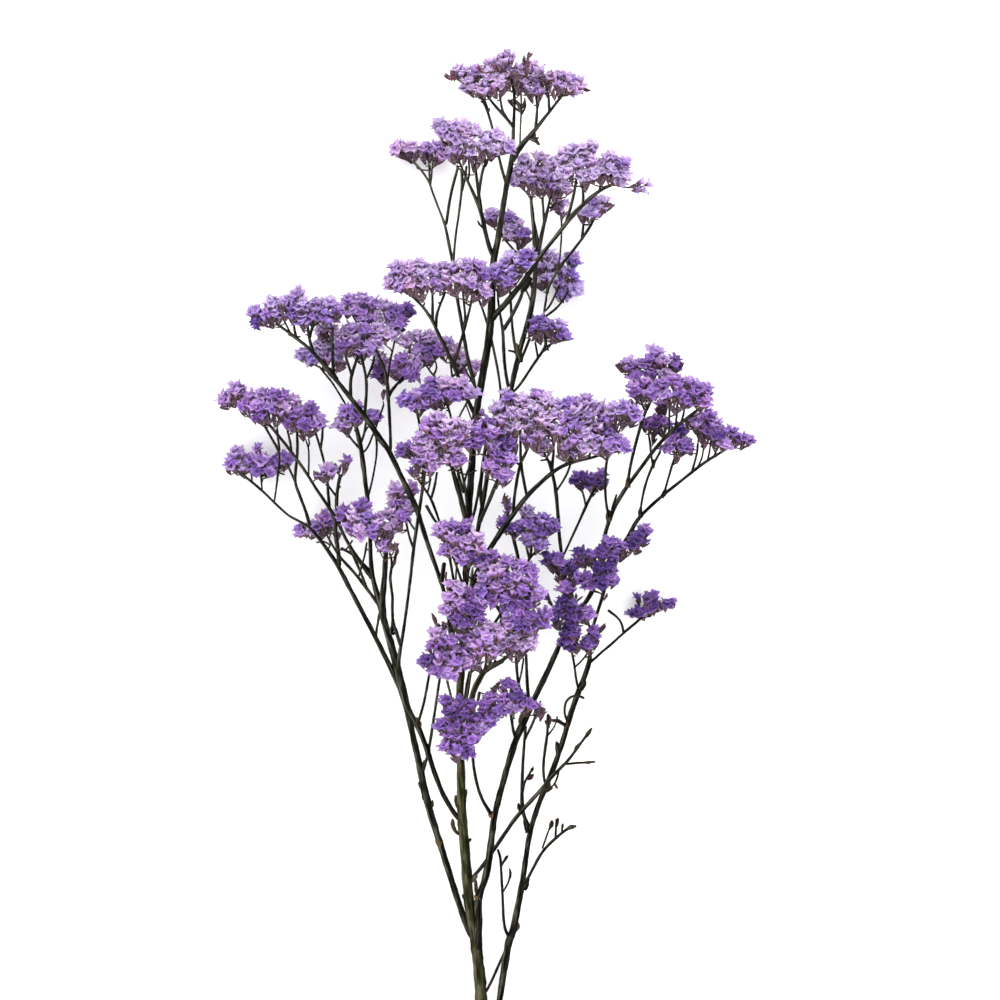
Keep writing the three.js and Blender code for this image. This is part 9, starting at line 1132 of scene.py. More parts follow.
            (-80.6, 100.5, 49.2, -80.0, 101.4, 50.1, -79.4, 102.4, 50.9), (-87.3, 100.1, 46.0, -86.2, 101.6, 45.2, -85.1, 103.4, 44.3),
            (-84.8, 96.4, 45.3, -85.3, 95.9, 47.0, -85.7, 95.6, 48.6), (-73.9, 106.6, 46.0, -75.9, 107.0, 48.1, -77.9, 107.7, 50.1),
            (-87.3, 100.1, 46.0, -86.5, 102.1, 48.0, -85.7, 104.3, 50.0),
        ],
    ),
    "flower_left_f": (
        [
            (-99.3, 73.5, 41.3, 4.7, 4.7, 5.0, -0.05, -99.2, 65.7, 39.1), (-86.5, 80.7, 39.8, 2.5, 3.9, 3.3, -0.05, -88.2, 72.7, 37.6),
            (-85.8, 79.4, 33.7, 2.5, 3.9, 3.3, 0.01, -88.4, 71.3, 33.7),
        ],
        [
            (-106.4, 70.4, 41.9, 2.6, 2.2, -107.6, 67.3, 41.3, 8, 0.00, 0.3), (-101.8, 69.1, 41.6, 5.1, 4.0, -100.7, 64.2, 40.4, 16, 0.00, 0.3),
            (-88.9, 73.1, 39.2, 1.8, 2.3, -89.8, 69.7, 38.7, 6, 0.00, 0.3), (-92.7, 73.4, 40.0, 2.4, 1.7, -92.1, 70.7, 39.3, 6, 0.00, 0.3),
            (-88.6, 76.7, 39.7, 2.3, 1.8, -89.1, 73.7, 39.4, 6, 0.00, 0.3), (-92.7, 76.4, 39.3, 2.5, 1.6, -92.4, 73.6, 38.9, 6, 0.00, 0.3),
        ],
        [
            (-99.1, 64.0, 38.0, -99.2, 64.8, 38.5, -99.2, 65.7, 39.1), (-99.1, 64.0, 38.0, -100.0, 64.2, 39.3, -100.8, 64.7, 40.6),
            (-91.4, 69.8, 36.0, -90.6, 69.9, 37.3, -89.7, 70.1, 38.7), (-91.1, 71.0, 36.0, -91.6, 70.9, 37.7, -92.2, 71.0, 39.3),
            (-91.1, 71.0, 36.0, -89.8, 71.0, 34.8, -88.4, 71.3, 33.7), (-91.1, 71.0, 36.0, -89.7, 71.7, 36.8, -88.2, 72.7, 37.6),
            (-88.2, 72.7, 37.6, -88.7, 73.3, 38.5, -89.1, 74.0, 39.4), (-92.2, 71.0, 39.3, -92.3, 72.4, 39.1, -92.4, 73.9, 39.0),
            (-110.4, 67.5, 38.0, -108.9, 66.9, 39.7, -107.5, 67.6, 41.3),
        ],
    ),
    "flower_left_g": (
        [
            (-109.5, 36.5, 17.6, 4.6, 4.8, 5.0, 0.29, -108.9, 29.8, 12.4), (-96.4, 41.0, 17.7, 4.0, 5.9, 5.2, 0.29, -97.0, 32.8, 15.5),
            (-102.8, 42.3, 17.8, 4.1, 5.4, 5.0, 0.29, -104.0, 34.2, 15.4), (-119.6, 34.2, 15.6, 3.6, 4.3, 4.1, 0.24, -114.8, 30.6, 12.0),
            (-109.7, 36.4, 6.7, 4.6, 4.8, 5.0, 0.35, -109.2, 29.8, 6.8), (-98.2, 40.2, 4.6, 4.0, 5.9, 5.2, 0.35, -98.4, 33.3, 5.4),
            (-102.9, 41.3, 6.0, 4.1, 5.4, 5.0, 0.35, -104.4, 32.9, 6.3), (-119.1, 33.5, 5.3, 3.6, 4.3, 4.1, 0.30, -114.7, 30.4, 6.0),
        ],
        [
            (-115.9, 36.8, 14.6, 1.9, 2.1, -114.7, 34.0, 15.8, 5, 0.24, 0.3), (-112.3, 31.0, 13.3, 2.4, 1.9, -111.4, 28.1, 12.6, 7, 0.24, 0.3),
            (-115.5, 32.4, 14.3, 2.2, 2.6, -114.2, 28.8, 13.7, 8, 0.24, 0.3), (-99.7, 35.3, 17.2, 2.2, 2.8, -101.0, 31.6, 18.3, 9, 0.29, 0.3),
            (-104.2, 31.6, 17.8, 2.4, 3.2, -104.6, 27.6, 19.7, 11, 0.29, 0.3), (-92.4, 30.2, 17.6, 1.1, 2.9, -93.7, 26.4, 16.7, 4, 0.29, 0.3),
        ],
        [
            (-98.9, 24.5, 8.1, -99.9, 28.7, 6.7, -98.4, 33.3, 5.4), (-98.4, 33.3, 5.4, -101.4, 33.0, 5.8, -104.4, 32.9, 6.3),
            (-104.4, 32.9, 6.3, -106.8, 31.2, 6.5, -109.2, 29.8, 6.8), (-109.2, 29.8, 6.8, -109.0, 29.7, 9.6, -108.9, 29.8, 12.4),
            (-109.2, 29.8, 6.8, -112.0, 30.0, 6.4, -114.7, 30.4, 6.0), (-108.9, 29.8, 12.4, -111.8, 30.0, 12.2, -114.8, 30.6, 12.0),
            (-114.8, 30.6, 12.0, -114.6, 29.8, 12.9, -114.3, 29.2, 13.7), (-114.8, 30.6, 12.0, -114.8, 32.3, 13.8, -114.8, 34.3, 15.6),
            (-108.9, 29.8, 12.4, -110.3, 29.2, 12.5, -111.5, 28.4, 12.7), (-108.9, 29.8, 12.4, -106.4, 31.8, 13.9, -104.0, 34.2, 15.4),
            (-104.0, 34.2, 15.4, -102.5, 33.0, 16.8, -100.9, 32.0, 18.2), (-100.9, 32.0, 18.2, -98.9, 32.3, 16.9, -97.0, 32.8, 15.5),
            (-100.9, 32.0, 18.2, -102.7, 29.9, 18.9, -104.5, 28.0, 19.6), (-97.0, 32.8, 15.5, -95.2, 29.6, 16.1, -93.5, 26.8, 16.7),
        ],
    ),
    "flower_left_h": (
        [
            (-88.7, 46.5, 63.3, 4.0, 5.6, 5.1, 0.45, -86.2, 38.8, 60.9), (-62.0, 25.2, 63.2, 3.9, 5.1, 4.7, 0.15, -64.8, 21.1, 61.4),
            (-72.5, 44.1, 68.4, 4.0, 5.1, 4.8, 0.45, -74.6, 36.2, 66.0), (-76.7, 34.7, 68.3, 4.3, 5.2, 5.0, 0.45, -80.1, 30.4, 61.7),
            (-69.0, 34.7, 67.8, 4.1, 5.1, 4.8, 0.45, -69.7, 29.3, 63.5), (-76.1, 51.9, 66.9, 5.6, 4.2, 5.2, 0.45, -77.1, 43.6, 65.3),
            (-59.7, 37.0, 61.6, 5.1, 3.5, 4.5, 0.15, -62.4, 29.0, 60.6), (-83.4, 36.8, 62.8, 3.9, 5.2, 4.8, 0.45, -83.0, 32.0, 60.9),
            (-80.5, 44.2, 67.1, 4.4, 4.7, 4.8, 0.45, -80.9, 36.0, 64.8), (-65.5, 42.5, 67.2, 4.0, 4.5, 4.5, 0.45, -66.5, 34.3, 65.3),
            (-88.6, 45.9, 56.7, 4.0, 5.6, 5.1, 0.51, -85.9, 37.9, 56.9), (-61.9, 25.3, 55.5, 3.9, 5.1, 4.7, 0.21, -64.8, 21.4, 56.2),
            (-70.9, 43.1, 56.1, 4.0, 5.1, 4.8, 0.51, -73.6, 35.1, 56.4), (-77.0, 35.3, 57.3, 4.3, 5.2, 5.0, 0.51, -80.1, 30.0, 57.3),
            (-59.7, 35.3, 57.0, 5.1, 3.5, 4.5, 0.21, -62.8, 27.3, 57.2), (-84.1, 44.0, 55.4, 4.4, 4.7, 4.8, 0.51, -83.7, 35.5, 55.9),
            (-66.8, 41.8, 58.0, 4.0, 4.5, 4.5, 0.51, -67.7, 33.4, 58.0),
        ],
        [
            (-65.6, 32.5, 66.7, 1.9, 3.0, -66.4, 28.4, 66.0, 9, 0.45, 0.3), (-75.7, 32.5, 67.0, 4.0, 9.0, -77.5, 27.9, 65.7, 16, 0.45, 0.3),
            (-55.6, 24.0, 65.1, 3.5, 2.5, -55.3, 20.7, 63.5, 13, 0.15, 0.3), (-62.5, 31.8, 62.2, 2.7, 2.3, -62.3, 28.4, 61.4, 9, 0.15, 0.3),
            (-66.5, 28.2, 64.0, 1.8, 2.3, -67.4, 24.8, 63.3, 6, 0.15, 0.3), (-57.0, 32.7, 64.8, 2.6, 1.9, -55.4, 30.0, 64.9, 7, 0.15, 0.3),
            (-58.0, 29.0, 64.3, 2.2, 2.4, -58.5, 25.7, 63.1, 8, 0.15, 0.3),
        ],
        [
            (-61.6, 15.3, 57.0, -63.2, 18.2, 56.6, -64.8, 21.4, 56.2), (-64.8, 21.4, 56.2, -64.8, 21.1, 58.8, -64.8, 21.1, 61.4),
            (-64.8, 21.1, 61.4, -66.1, 23.0, 62.4, -67.3, 25.2, 63.4), (-67.3, 25.2, 63.4, -66.8, 26.9, 64.7, -66.3, 28.8, 66.0),
            (-66.3, 28.8, 66.0, -68.0, 29.0, 64.7, -69.7, 29.3, 63.5), (-66.3, 28.8, 66.0, -66.4, 31.4, 65.7, -66.5, 34.3, 65.3),
            (-66.3, 28.8, 66.0, -64.3, 28.7, 63.7, -62.3, 28.8, 61.5), (-62.3, 28.8, 61.5, -62.4, 28.9, 61.0, -62.4, 29.0, 60.6),
            (-62.4, 29.0, 60.6, -62.6, 28.1, 58.9, -62.8, 27.3, 57.2), (-62.3, 28.8, 61.5, -60.4, 27.3, 62.3, -58.4, 26.0, 63.2),
            (-58.4, 26.0, 63.2, -57.0, 28.0, 64.0, -55.6, 30.3, 64.9), (-69.7, 29.3, 63.5, -68.7, 31.2, 60.7, -67.7, 33.4, 58.0),
            (-67.7, 33.4, 58.0, -70.7, 34.1, 57.2, -73.6, 35.1, 56.4), (-66.5, 34.3, 65.3, -70.6, 35.0, 65.7, -74.6, 36.2, 66.0),
            (-74.6, 36.2, 66.0, -77.8, 35.9, 65.4, -80.9, 36.0, 64.8), (-80.9, 36.0, 64.8, -83.6, 37.2, 62.9, -86.2, 38.8, 60.9),
            (-86.2, 38.8, 60.9, -86.0, 38.2, 58.9, -85.9, 37.9, 56.9), (-85.9, 37.9, 56.9, -84.8, 36.6, 56.4, -83.7, 35.5, 55.9),
            (-83.7, 35.5, 55.9, -83.3, 33.6, 58.4, -83.0, 32.0, 60.9), (-83.0, 32.0, 60.9, -81.6, 31.1, 61.3, -80.1, 30.4, 61.7),
            (-80.1, 30.4, 61.7, -80.1, 30.1, 59.5, -80.1, 30.0, 57.3), (-74.6, 36.2, 66.0, -75.9, 39.7, 65.7, -77.1, 43.6, 65.3),
            (-80.1, 30.4, 61.7, -78.5, 29.5, 63.8, -77.4, 28.3, 65.8), (-61.6, 15.3, 57.0, -58.0, 17.3, 60.3, -55.4, 21.0, 63.7),
        ],
    ),
    "flower_left_i": (
        [
            (-53.5, 61.1, 61.9, 5.1, 4.7, 5.2, 0.24, -52.8, 52.8, 60.0), (-49.6, 44.3, 62.3, 4.0, 4.9, 4.7, 0.09, -49.9, 40.3, 55.4),
            (-44.6, 62.3, 61.1, 4.7, 4.7, 5.0, 0.24, -45.6, 54.0, 59.5), (-58.3, 46.2, 60.5, 4.4, 4.5, 4.7, 0.09, -54.9, 39.1, 57.3),
            (-53.7, 53.5, 58.8, 5.3, 4.6, 5.2, 0.24, -52.5, 45.3, 56.9), (-54.7, 40.0, 60.5, 4.4, 3.6, 4.2, 0.09, -53.4, 35.3, 58.1),
            (-45.0, 50.8, 61.7, 4.6, 5.1, 5.1, 0.09, -47.1, 43.5, 57.8), (-53.6, 60.1, 52.5, 5.1, 4.7, 5.2, 0.30, -52.8, 51.7, 52.6),
            (-44.4, 61.2, 54.4, 4.7, 4.7, 5.0, 0.30, -45.6, 52.7, 54.0), (-58.2, 45.6, 50.6, 4.4, 4.5, 4.7, 0.15, -54.3, 39.0, 51.6),
            (-52.9, 53.7, 53.1, 5.3, 4.6, 5.2, 0.30, -51.9, 45.3, 53.0), (-54.2, 40.5, 52.4, 4.4, 3.6, 4.2, 0.15, -52.9, 36.5, 52.3),
            (-46.2, 49.5, 52.0, 4.6, 5.1, 5.1, 0.15, -47.8, 42.2, 52.3),
        ],
        [
            (-46.6, 62.0, 61.0, 18.3, 12.5, -45.9, 57.3, 63.2, 16, 0.24, 0.3), (-52.5, 37.1, 61.5, 8.9, 8.1, -50.1, 32.5, 62.0, 16, 0.09, 0.3),
        ],
        [
            (-50.0, 41.3, 52.7, -48.9, 41.7, 52.5, -47.8, 42.2, 52.3), (-50.0, 41.3, 52.7, -49.9, 40.7, 54.0, -49.9, 40.3, 55.4),
            (-47.6, 40.6, 60.0, -47.4, 42.0, 58.9, -47.1, 43.5, 57.8), (-50.0, 41.3, 52.7, -50.9, 43.2, 52.8, -51.9, 45.3, 53.0),
            (-51.9, 45.3, 53.0, -52.2, 45.2, 54.9, -52.5, 45.3, 56.9), (-50.0, 34.8, 52.1, -51.5, 35.5, 52.2, -52.9, 36.5, 52.3),
            (-52.9, 36.5, 52.3, -53.6, 37.7, 51.9, -54.3, 39.0, 51.6), (-46.3, 35.1, 63.3, -48.3, 33.9, 62.6, -50.4, 33.0, 61.9),
            (-54.3, 39.0, 51.6, -54.6, 38.9, 54.4, -54.9, 39.1, 57.3), (-54.9, 39.1, 57.3, -54.1, 37.1, 57.7, -53.4, 35.3, 58.1),
            (-51.9, 45.3, 53.0, -52.3, 48.3, 52.8, -52.8, 51.7, 52.6), (-44.0, 57.4, 71.3, -45.0, 57.4, 67.1, -46.0, 57.8, 63.0),
            (-46.0, 57.8, 63.0, -45.8, 55.8, 61.3, -45.6, 54.0, 59.5), (-45.6, 54.0, 59.5, -45.6, 53.2, 56.8, -45.6, 52.7, 54.0),
            (-52.8, 51.7, 52.6, -52.8, 52.0, 56.3, -52.8, 52.8, 60.0),
        ],
    ),
    "flower_centre": (
        [
            (-21.4, 82.2, 107.1, 4.6, 4.9, 5.0, 0.36, -20.2, 76.5, 103.3), (8.1, 90.6, 107.4, 3.6, 4.1, 4.1, 0.46, 5.5, 82.9, 104.7),
            (-31.8, 82.5, 112.1, 4.3, 3.9, 4.3, 0.26, -32.5, 74.7, 108.6), (15.5, 71.0, 105.7, 5.0, 5.1, 5.3, 0.36, 13.0, 65.2, 100.0),
            (-48.1, 86.8, 104.0, 5.2, 4.5, 5.1, 0.56, -43.0, 80.3, 102.1), (-25.8, 107.3, 112.4, 4.5, 4.5, 4.7, 0.24, -25.1, 99.0, 111.1),
            (-13.7, 103.7, 113.1, 4.5, 3.8, 4.3, 0.24, -14.0, 95.5, 111.1), (-6.4, 91.6, 108.3, 4.1, 4.8, 4.7, 0.46, -5.4, 83.5, 106.1),
            (-7.3, 100.2, 110.8, 3.9, 4.5, 4.4, 0.24, -8.6, 92.0, 108.9), (-29.6, 89.7, 109.8, 4.7, 4.0, 4.6, 0.26, -27.4, 81.7, 107.9),
            (-29.6, 76.1, 109.9, 4.3, 4.3, 4.5, 0.26, -31.6, 69.0, 105.7), (-36.5, 94.3, 106.6, 4.7, 4.2, 4.7, 0.24, -36.2, 85.9, 105.3),
            (-14.0, 95.7, 113.1, 4.5, 4.1, 4.5, 0.24, -14.4, 87.6, 110.5), (-38.9, 79.6, 106.7, 4.3, 4.0, 4.4, 0.26, -37.4, 71.8, 103.8),
            (19.7, 80.8, 106.5, 4.8, 4.9, 5.1, 0.36, 18.1, 72.7, 104.5), (4.2, 104.0, 103.6, 4.5, 3.4, 4.2, 0.46, 3.4, 95.6, 102.8),
            (-21.6, 92.1, 112.6, 4.1, 4.5, 4.5, 0.24, -21.1, 83.9, 110.2), (-20.6, 101.4, 115.2, 4.1, 4.9, 4.7, 0.24, -20.5, 93.2, 113.2),
            (8.2, 76.1, 106.0, 4.9, 5.2, 5.3, 0.36, 4.1, 69.5, 102.5), (-12.8, 80.8, 108.0, 5.2, 4.2, 4.9, 0.36, -14.2, 73.4, 104.0),
            (-15.4, 87.9, 109.0, 4.3, 4.2, 4.5, 0.36, -16.4, 79.7, 106.9), (-38.7, 86.6, 108.1, 4.8, 3.5, 4.4, 0.56, -37.8, 78.4, 105.9),
            (12.4, 83.2, 106.0, 4.6, 4.8, 4.9, 0.36, 8.8, 75.8, 103.8), (8.0, 98.0, 110.7, 4.3, 4.4, 4.6, 0.46, 6.5, 89.8, 108.7),
            (-32.3, 101.8, 111.2, 4.4, 4.1, 4.4, 0.24, -30.6, 93.6, 109.8), (-27.3, 97.1, 114.1, 4.3, 4.2, 4.4, 0.24, -26.1, 89.0, 112.0),
            (0.4, 91.6, 109.0, 4.1, 4.7, 4.6, 0.46, -0.3, 84.3, 104.7), (-0.6, 99.5, 108.3, 4.0, 4.5, 4.5, 0.46, -0.7, 91.1, 106.6),
            (-43.0, 74.1, 102.6, 2.6, 2.9, 2.9, 0.56, -38.9, 67.8, 100.8), (-21.1, 82.0, 97.2, 4.6, 4.9, 5.0, 0.42, -20.2, 77.5, 99.1),
            (8.6, 90.7, 97.4, 3.6, 4.1, 4.1, 0.52, 5.7, 82.7, 97.4), (-32.0, 82.0, 97.9, 4.3, 3.9, 4.3, 0.32, -33.0, 73.5, 98.3),
            (-25.2, 105.5, 100.7, 4.5, 4.5, 4.7, 0.30, -24.4, 97.0, 100.8), (-13.5, 102.5, 99.6, 4.5, 3.8, 4.3, 0.30, -13.9, 94.0, 99.3),
            (-5.6, 91.5, 98.0, 4.1, 4.8, 4.7, 0.52, -4.6, 83.1, 97.9), (-30.1, 76.6, 98.8, 4.3, 4.3, 4.5, 0.32, -32.3, 70.3, 98.9),
            (-15.9, 95.7, 100.0, 4.5, 4.1, 4.5, 0.30, -16.0, 87.2, 99.6), (-39.1, 80.2, 98.9, 4.3, 4.0, 4.4, 0.32, -37.4, 72.3, 98.9),
            (19.3, 79.6, 95.6, 4.8, 4.9, 5.1, 0.42, 17.5, 71.3, 95.7), (3.3, 102.0, 98.3, 4.5, 3.4, 4.2, 0.52, 2.6, 93.5, 98.2),
            (-20.8, 92.7, 100.6, 4.1, 4.5, 4.5, 0.30, -20.5, 84.2, 100.7), (9.3, 75.6, 96.4, 4.9, 5.2, 5.3, 0.42, 3.9, 69.1, 96.9),
            (-14.1, 80.9, 97.6, 5.2, 4.2, 4.9, 0.42, -15.1, 74.7, 97.8), (-14.6, 86.8, 97.0, 4.3, 4.2, 4.5, 0.42, -16.0, 78.5, 98.2),
            (-39.3, 86.0, 95.4, 4.8, 3.5, 4.4, 0.62, -38.1, 77.7, 96.3), (13.2, 81.6, 96.3, 4.6, 4.8, 4.9, 0.42, 8.9, 74.3, 96.6),
            (8.1, 96.9, 97.8, 4.3, 4.4, 4.6, 0.52, 6.4, 88.5, 97.7), (-29.8, 100.8, 99.6, 4.4, 4.1, 4.4, 0.30, -28.3, 92.5, 99.8),
            (-0.6, 98.1, 96.8, 4.0, 4.5, 4.5, 0.52, -0.7, 89.6, 96.9),
        ],
        [
            (-42.6, 85.9, 106.1, 3.6, 8.6, -41.2, 81.0, 105.0, 16, 0.56, 0.3), (-23.7, 91.6, 113.0, 2.1, 16.5, -23.2, 86.4, 112.3, 16, 0.24, 0.3),
            (-26.6, 84.9, 110.5, 2.0, 3.1, -25.7, 80.8, 109.8, 10, 0.26, 0.3), (-39.6, 74.7, 110.0, 2.7, 2.0, -38.7, 71.9, 109.0, 8, 0.26, 0.3),
            (-41.4, 70.9, 109.0, 1.6, 2.7, -41.0, 67.5, 107.1, 7, 0.26, 0.3), (-30.6, 71.1, 110.1, 2.2, 1.6, -31.0, 68.4, 109.2, 5, 0.26, 0.3),
            (-38.8, 70.8, 109.1, 1.3, 2.4, -37.6, 67.5, 108.2, 5, 0.26, 0.3), (0.2, 86.2, 108.0, 1.3, 1.7, 0.0, 83.3, 107.5, 4, 0.46, 0.3),
            (16.8, 66.4, 105.8, 4.3, 7.1, 15.2, 61.7, 104.4, 16, 0.36, 0.3), (9.0, 69.8, 105.5, 1.5, 1.6, 9.3, 67.1, 104.9, 4, 0.36, 0.3),
        ],
        [
            (-16.2, 74.8, 98.1, -15.7, 74.7, 98.0, -15.1, 74.7, 97.8), (-34.7, 71.0, 99.0, -33.5, 70.6, 98.9, -32.3, 70.3, 98.9),
            (-34.7, 71.0, 99.0, -36.0, 71.6, 99.0, -37.4, 72.3, 98.9), (-34.7, 71.0, 99.0, -33.9, 72.2, 98.6, -33.0, 73.5, 98.3),
            (-16.2, 74.8, 98.1, -16.1, 76.6, 98.1, -16.0, 78.5, 98.2), (-16.2, 74.8, 98.1, -18.2, 76.0, 98.6, -20.2, 77.5, 99.1),
            (11.3, 62.0, 96.1, 12.2, 63.5, 98.0, 13.0, 65.2, 100.0), (-34.7, 71.0, 99.0, -36.1, 71.2, 101.4, -37.4, 71.8, 103.8),
            (-34.2, 76.1, 92.0, -36.1, 76.8, 94.2, -38.1, 77.7, 96.3), (-20.2, 77.5, 99.1, -20.2, 76.9, 101.2, -20.2, 76.5, 103.3),
            (-32.8, 65.8, 99.5, -35.8, 66.7, 100.2, -38.9, 67.8, 100.8), (-37.4, 71.8, 103.8, -38.1, 71.8, 106.5, -38.8, 72.1, 109.1),
            (-16.2, 74.8, 98.1, -15.2, 74.0, 101.0, -14.2, 73.4, 104.0), (-20.2, 76.5, 103.3, -18.3, 78.0, 105.1, -16.4, 79.7, 106.9),
            (13.0, 65.2, 100.0, 11.1, 66.1, 102.4, 9.3, 67.3, 104.9), (9.3, 67.3, 104.9, 6.5, 67.9, 103.7, 4.1, 69.5, 102.5),
            (4.1, 69.5, 102.5, 4.0, 69.2, 99.7, 3.9, 69.1, 96.9), (-38.8, 72.1, 109.1, -38.3, 69.9, 108.7, -37.7, 67.8, 108.3),
            (-37.7, 67.8, 108.3, -39.4, 67.8, 107.8, -41.0, 67.9, 107.3), (-32.8, 65.8, 99.5, -31.4, 67.0, 102.6, -31.6, 69.0, 105.7),
            (-31.6, 69.0, 105.7, -31.3, 68.8, 107.5, -31.0, 68.7, 109.3), (-31.0, 68.7, 109.3, -31.8, 71.6, 109.0, -32.5, 74.7, 108.6),
            (-20.2, 77.5, 99.1, -20.4, 80.7, 99.9, -20.5, 84.2, 100.7), (-20.5, 84.2, 100.7, -18.2, 85.6, 100.1, -16.0, 87.2, 99.6),
            (-37.4, 71.8, 103.8, -37.6, 74.9, 104.9, -37.8, 78.4, 105.9), (-37.8, 78.4, 105.9, -39.6, 79.9, 105.5, -41.3, 81.5, 105.1),
            (-41.3, 81.5, 105.1, -42.2, 80.8, 103.6, -43.0, 80.3, 102.1), (-41.3, 81.5, 105.1, -38.8, 83.6, 105.2, -36.2, 85.9, 105.3),
            (-16.0, 87.2, 99.6, -14.9, 90.4, 99.5, -13.9, 94.0, 99.3), (-16.4, 79.7, 106.9, -18.8, 81.6, 108.5, -21.1, 83.9, 110.2),
            (-21.1, 83.9, 110.2, -22.2, 85.3, 111.3, -23.2, 86.9, 112.3), (-23.2, 86.9, 112.3, -24.6, 87.9, 112.2, -26.1, 89.0, 112.0),
            (-21.1, 83.9, 110.2, -23.4, 82.4, 110.1, -25.8, 81.2, 109.9), (-25.8, 81.2, 109.9, -26.6, 81.4, 108.9, -27.4, 81.7, 107.9),
            (-26.1, 89.0, 112.0, -28.3, 91.1, 110.9, -30.6, 93.6, 109.8), (-23.2, 86.9, 112.3, -21.8, 89.9, 112.8, -20.5, 93.2, 113.2),
            (-20.5, 93.2, 113.2, -17.2, 94.1, 112.1, -14.0, 95.5, 111.1), (3.9, 69.1, 96.9, 6.4, 71.5, 96.8, 8.9, 74.3, 96.6),
            (8.9, 74.3, 96.6, 8.9, 74.9, 100.2, 8.8, 75.8, 103.8), (-21.1, 83.9, 110.2, -17.8, 85.6, 110.4, -14.4, 87.6, 110.5),
            (-14.4, 87.6, 110.5, -11.5, 89.6, 109.7, -8.6, 92.0, 108.9), (-20.5, 93.2, 113.2, -22.8, 95.9, 112.1, -25.1, 99.0, 111.1),
            (8.8, 75.8, 103.8, 7.2, 79.2, 104.3, 5.5, 82.9, 104.7), (5.5, 82.9, 104.7, 2.6, 83.5, 104.7, -0.3, 84.3, 104.7),
            (-0.3, 84.3, 104.7, -0.1, 83.9, 106.1, 0.0, 83.6, 107.5), (0.0, 83.6, 107.5, -2.7, 83.4, 106.8, -5.4, 83.5, 106.1),
            (-0.3, 84.3, 104.7, -0.5, 87.6, 105.6, -0.7, 91.1, 106.6), (-0.7, 91.1, 106.6, 1.3, 93.2, 104.7, 3.4, 95.6, 102.8),
            (3.4, 95.6, 102.8, 3.0, 94.4, 100.5, 2.6, 93.5, 98.2), (2.6, 93.5, 98.2, 0.9, 91.4, 97.5, -0.7, 89.6, 96.9),
            (5.5, 82.9, 104.7, 5.6, 82.6, 101.1, 5.7, 82.7, 97.4), (5.7, 82.7, 97.4, 6.1, 85.5, 97.6, 6.4, 88.5, 97.7),
            (5.5, 82.9, 104.7, 6.0, 86.2, 106.7, 6.5, 89.8, 108.7), (-5.4, 83.5, 106.1, -5.0, 83.1, 102.0, -4.6, 83.1, 97.9),
            (13.0, 65.2, 100.0, 15.2, 68.0, 97.8, 17.5, 71.3, 95.7), (17.5, 71.3, 95.7, 17.8, 71.8, 100.1, 18.1, 72.7, 104.5),
            (-30.6, 93.6, 109.8, -29.4, 92.8, 104.8, -28.3, 92.5, 99.8), (-28.3, 92.5, 99.8, -26.4, 94.6, 100.3, -24.4, 97.0, 100.8),
            (13.0, 65.2, 100.0, 14.8, 64.0, 102.3, 15.4, 62.2, 104.5),
        ],
    ),
    "flower_right_a": (
        [
            (40.3, 106.8, 105.1, 4.3, 5.0, 4.9, 0.08, 40.2, 98.6, 103.0), (22.9, 102.1, 102.9, 4.5, 4.9, 4.9, 0.04, 23.6, 93.8, 101.0),
            (35.5, 113.3, 104.8, 4.6, 4.5, 4.8, 0.08, 36.0, 105.0, 103.1), (20.0, 119.9, 101.4, 5.0, 4.5, 5.0, 0.04, 20.4, 111.5, 100.3),
            (41.4, 91.3, 97.4, 5.1, 4.2, 4.9, 0.08, 40.5, 83.6, 93.8), (49.5, 116.0, 100.6, 3.8, 4.3, 4.3, 0.08, 48.4, 107.6, 99.5),
            (13.1, 114.4, 101.4, 4.5, 4.7, 4.9, 0.04, 14.3, 106.1, 100.2), (27.8, 117.8, 102.6, 4.7, 4.7, 5.0, 0.04, 27.8, 109.4, 101.3),
            (37.2, 122.0, 100.2, 4.7, 4.4, 4.8, 0.08, 37.4, 113.6, 99.3), (14.1, 91.6, 100.0, 3.4, 4.3, 4.0, 0.36, 16.6, 83.8, 97.6),
            (27.9, 109.4, 104.5, 4.4, 4.3, 4.6, 0.04, 27.9, 101.1, 102.7), (13.1, 106.3, 100.7, 5.1, 4.3, 4.9, 0.04, 14.6, 98.0, 99.2),
            (20.4, 90.7, 99.9, 3.6, 5.2, 4.6, 0.36, 21.4, 82.8, 97.1), (48.1, 100.9, 102.1, 3.4, 5.7, 4.8, 0.08, 46.6, 92.8, 100.1),
            (47.5, 109.1, 102.5, 4.5, 4.2, 4.6, 0.08, 46.4, 100.8, 100.9), (32.4, 103.4, 100.7, 4.4, 4.8, 4.8, 0.08, 33.6, 95.1, 99.0),
            (16.1, 98.7, 99.1, 4.6, 4.2, 4.6, 0.36, 17.7, 90.5, 97.4), (20.3, 110.7, 105.8, 4.2, 4.8, 4.7, 0.04, 20.8, 102.5, 103.9),
            (32.0, 94.0, 96.0, 4.8, 5.1, 5.2, 0.08, 30.1, 86.0, 93.9), (43.2, 118.2, 105.1, 4.0, 5.4, 4.9, 0.08, 42.8, 109.8, 103.5),
            (38.8, 97.7, 102.1, 4.3, 3.8, 4.3, 0.08, 38.9, 89.6, 99.7), (16.5, 124.7, 98.2, 2.9, 2.6, 2.9, 0.04, 17.2, 116.3, 97.5),
            (40.2, 85.7, 97.1, 2.9, 2.6, 2.9, 0.08, 40.0, 82.8, 95.3), (41.3, 106.6, 89.2, 4.3, 5.0, 4.9, 0.14, 41.0, 98.1, 89.4),
            (35.5, 112.0, 89.4, 4.6, 4.5, 4.8, 0.14, 36.1, 103.6, 89.5), (20.9, 117.8, 90.3, 5.0, 4.5, 5.0, 0.10, 21.3, 109.4, 90.3),
            (14.0, 113.2, 90.6, 4.5, 4.7, 4.9, 0.10, 15.2, 104.8, 90.5), (25.5, 116.1, 90.8, 4.7, 4.7, 5.0, 0.10, 25.7, 107.6, 90.8),
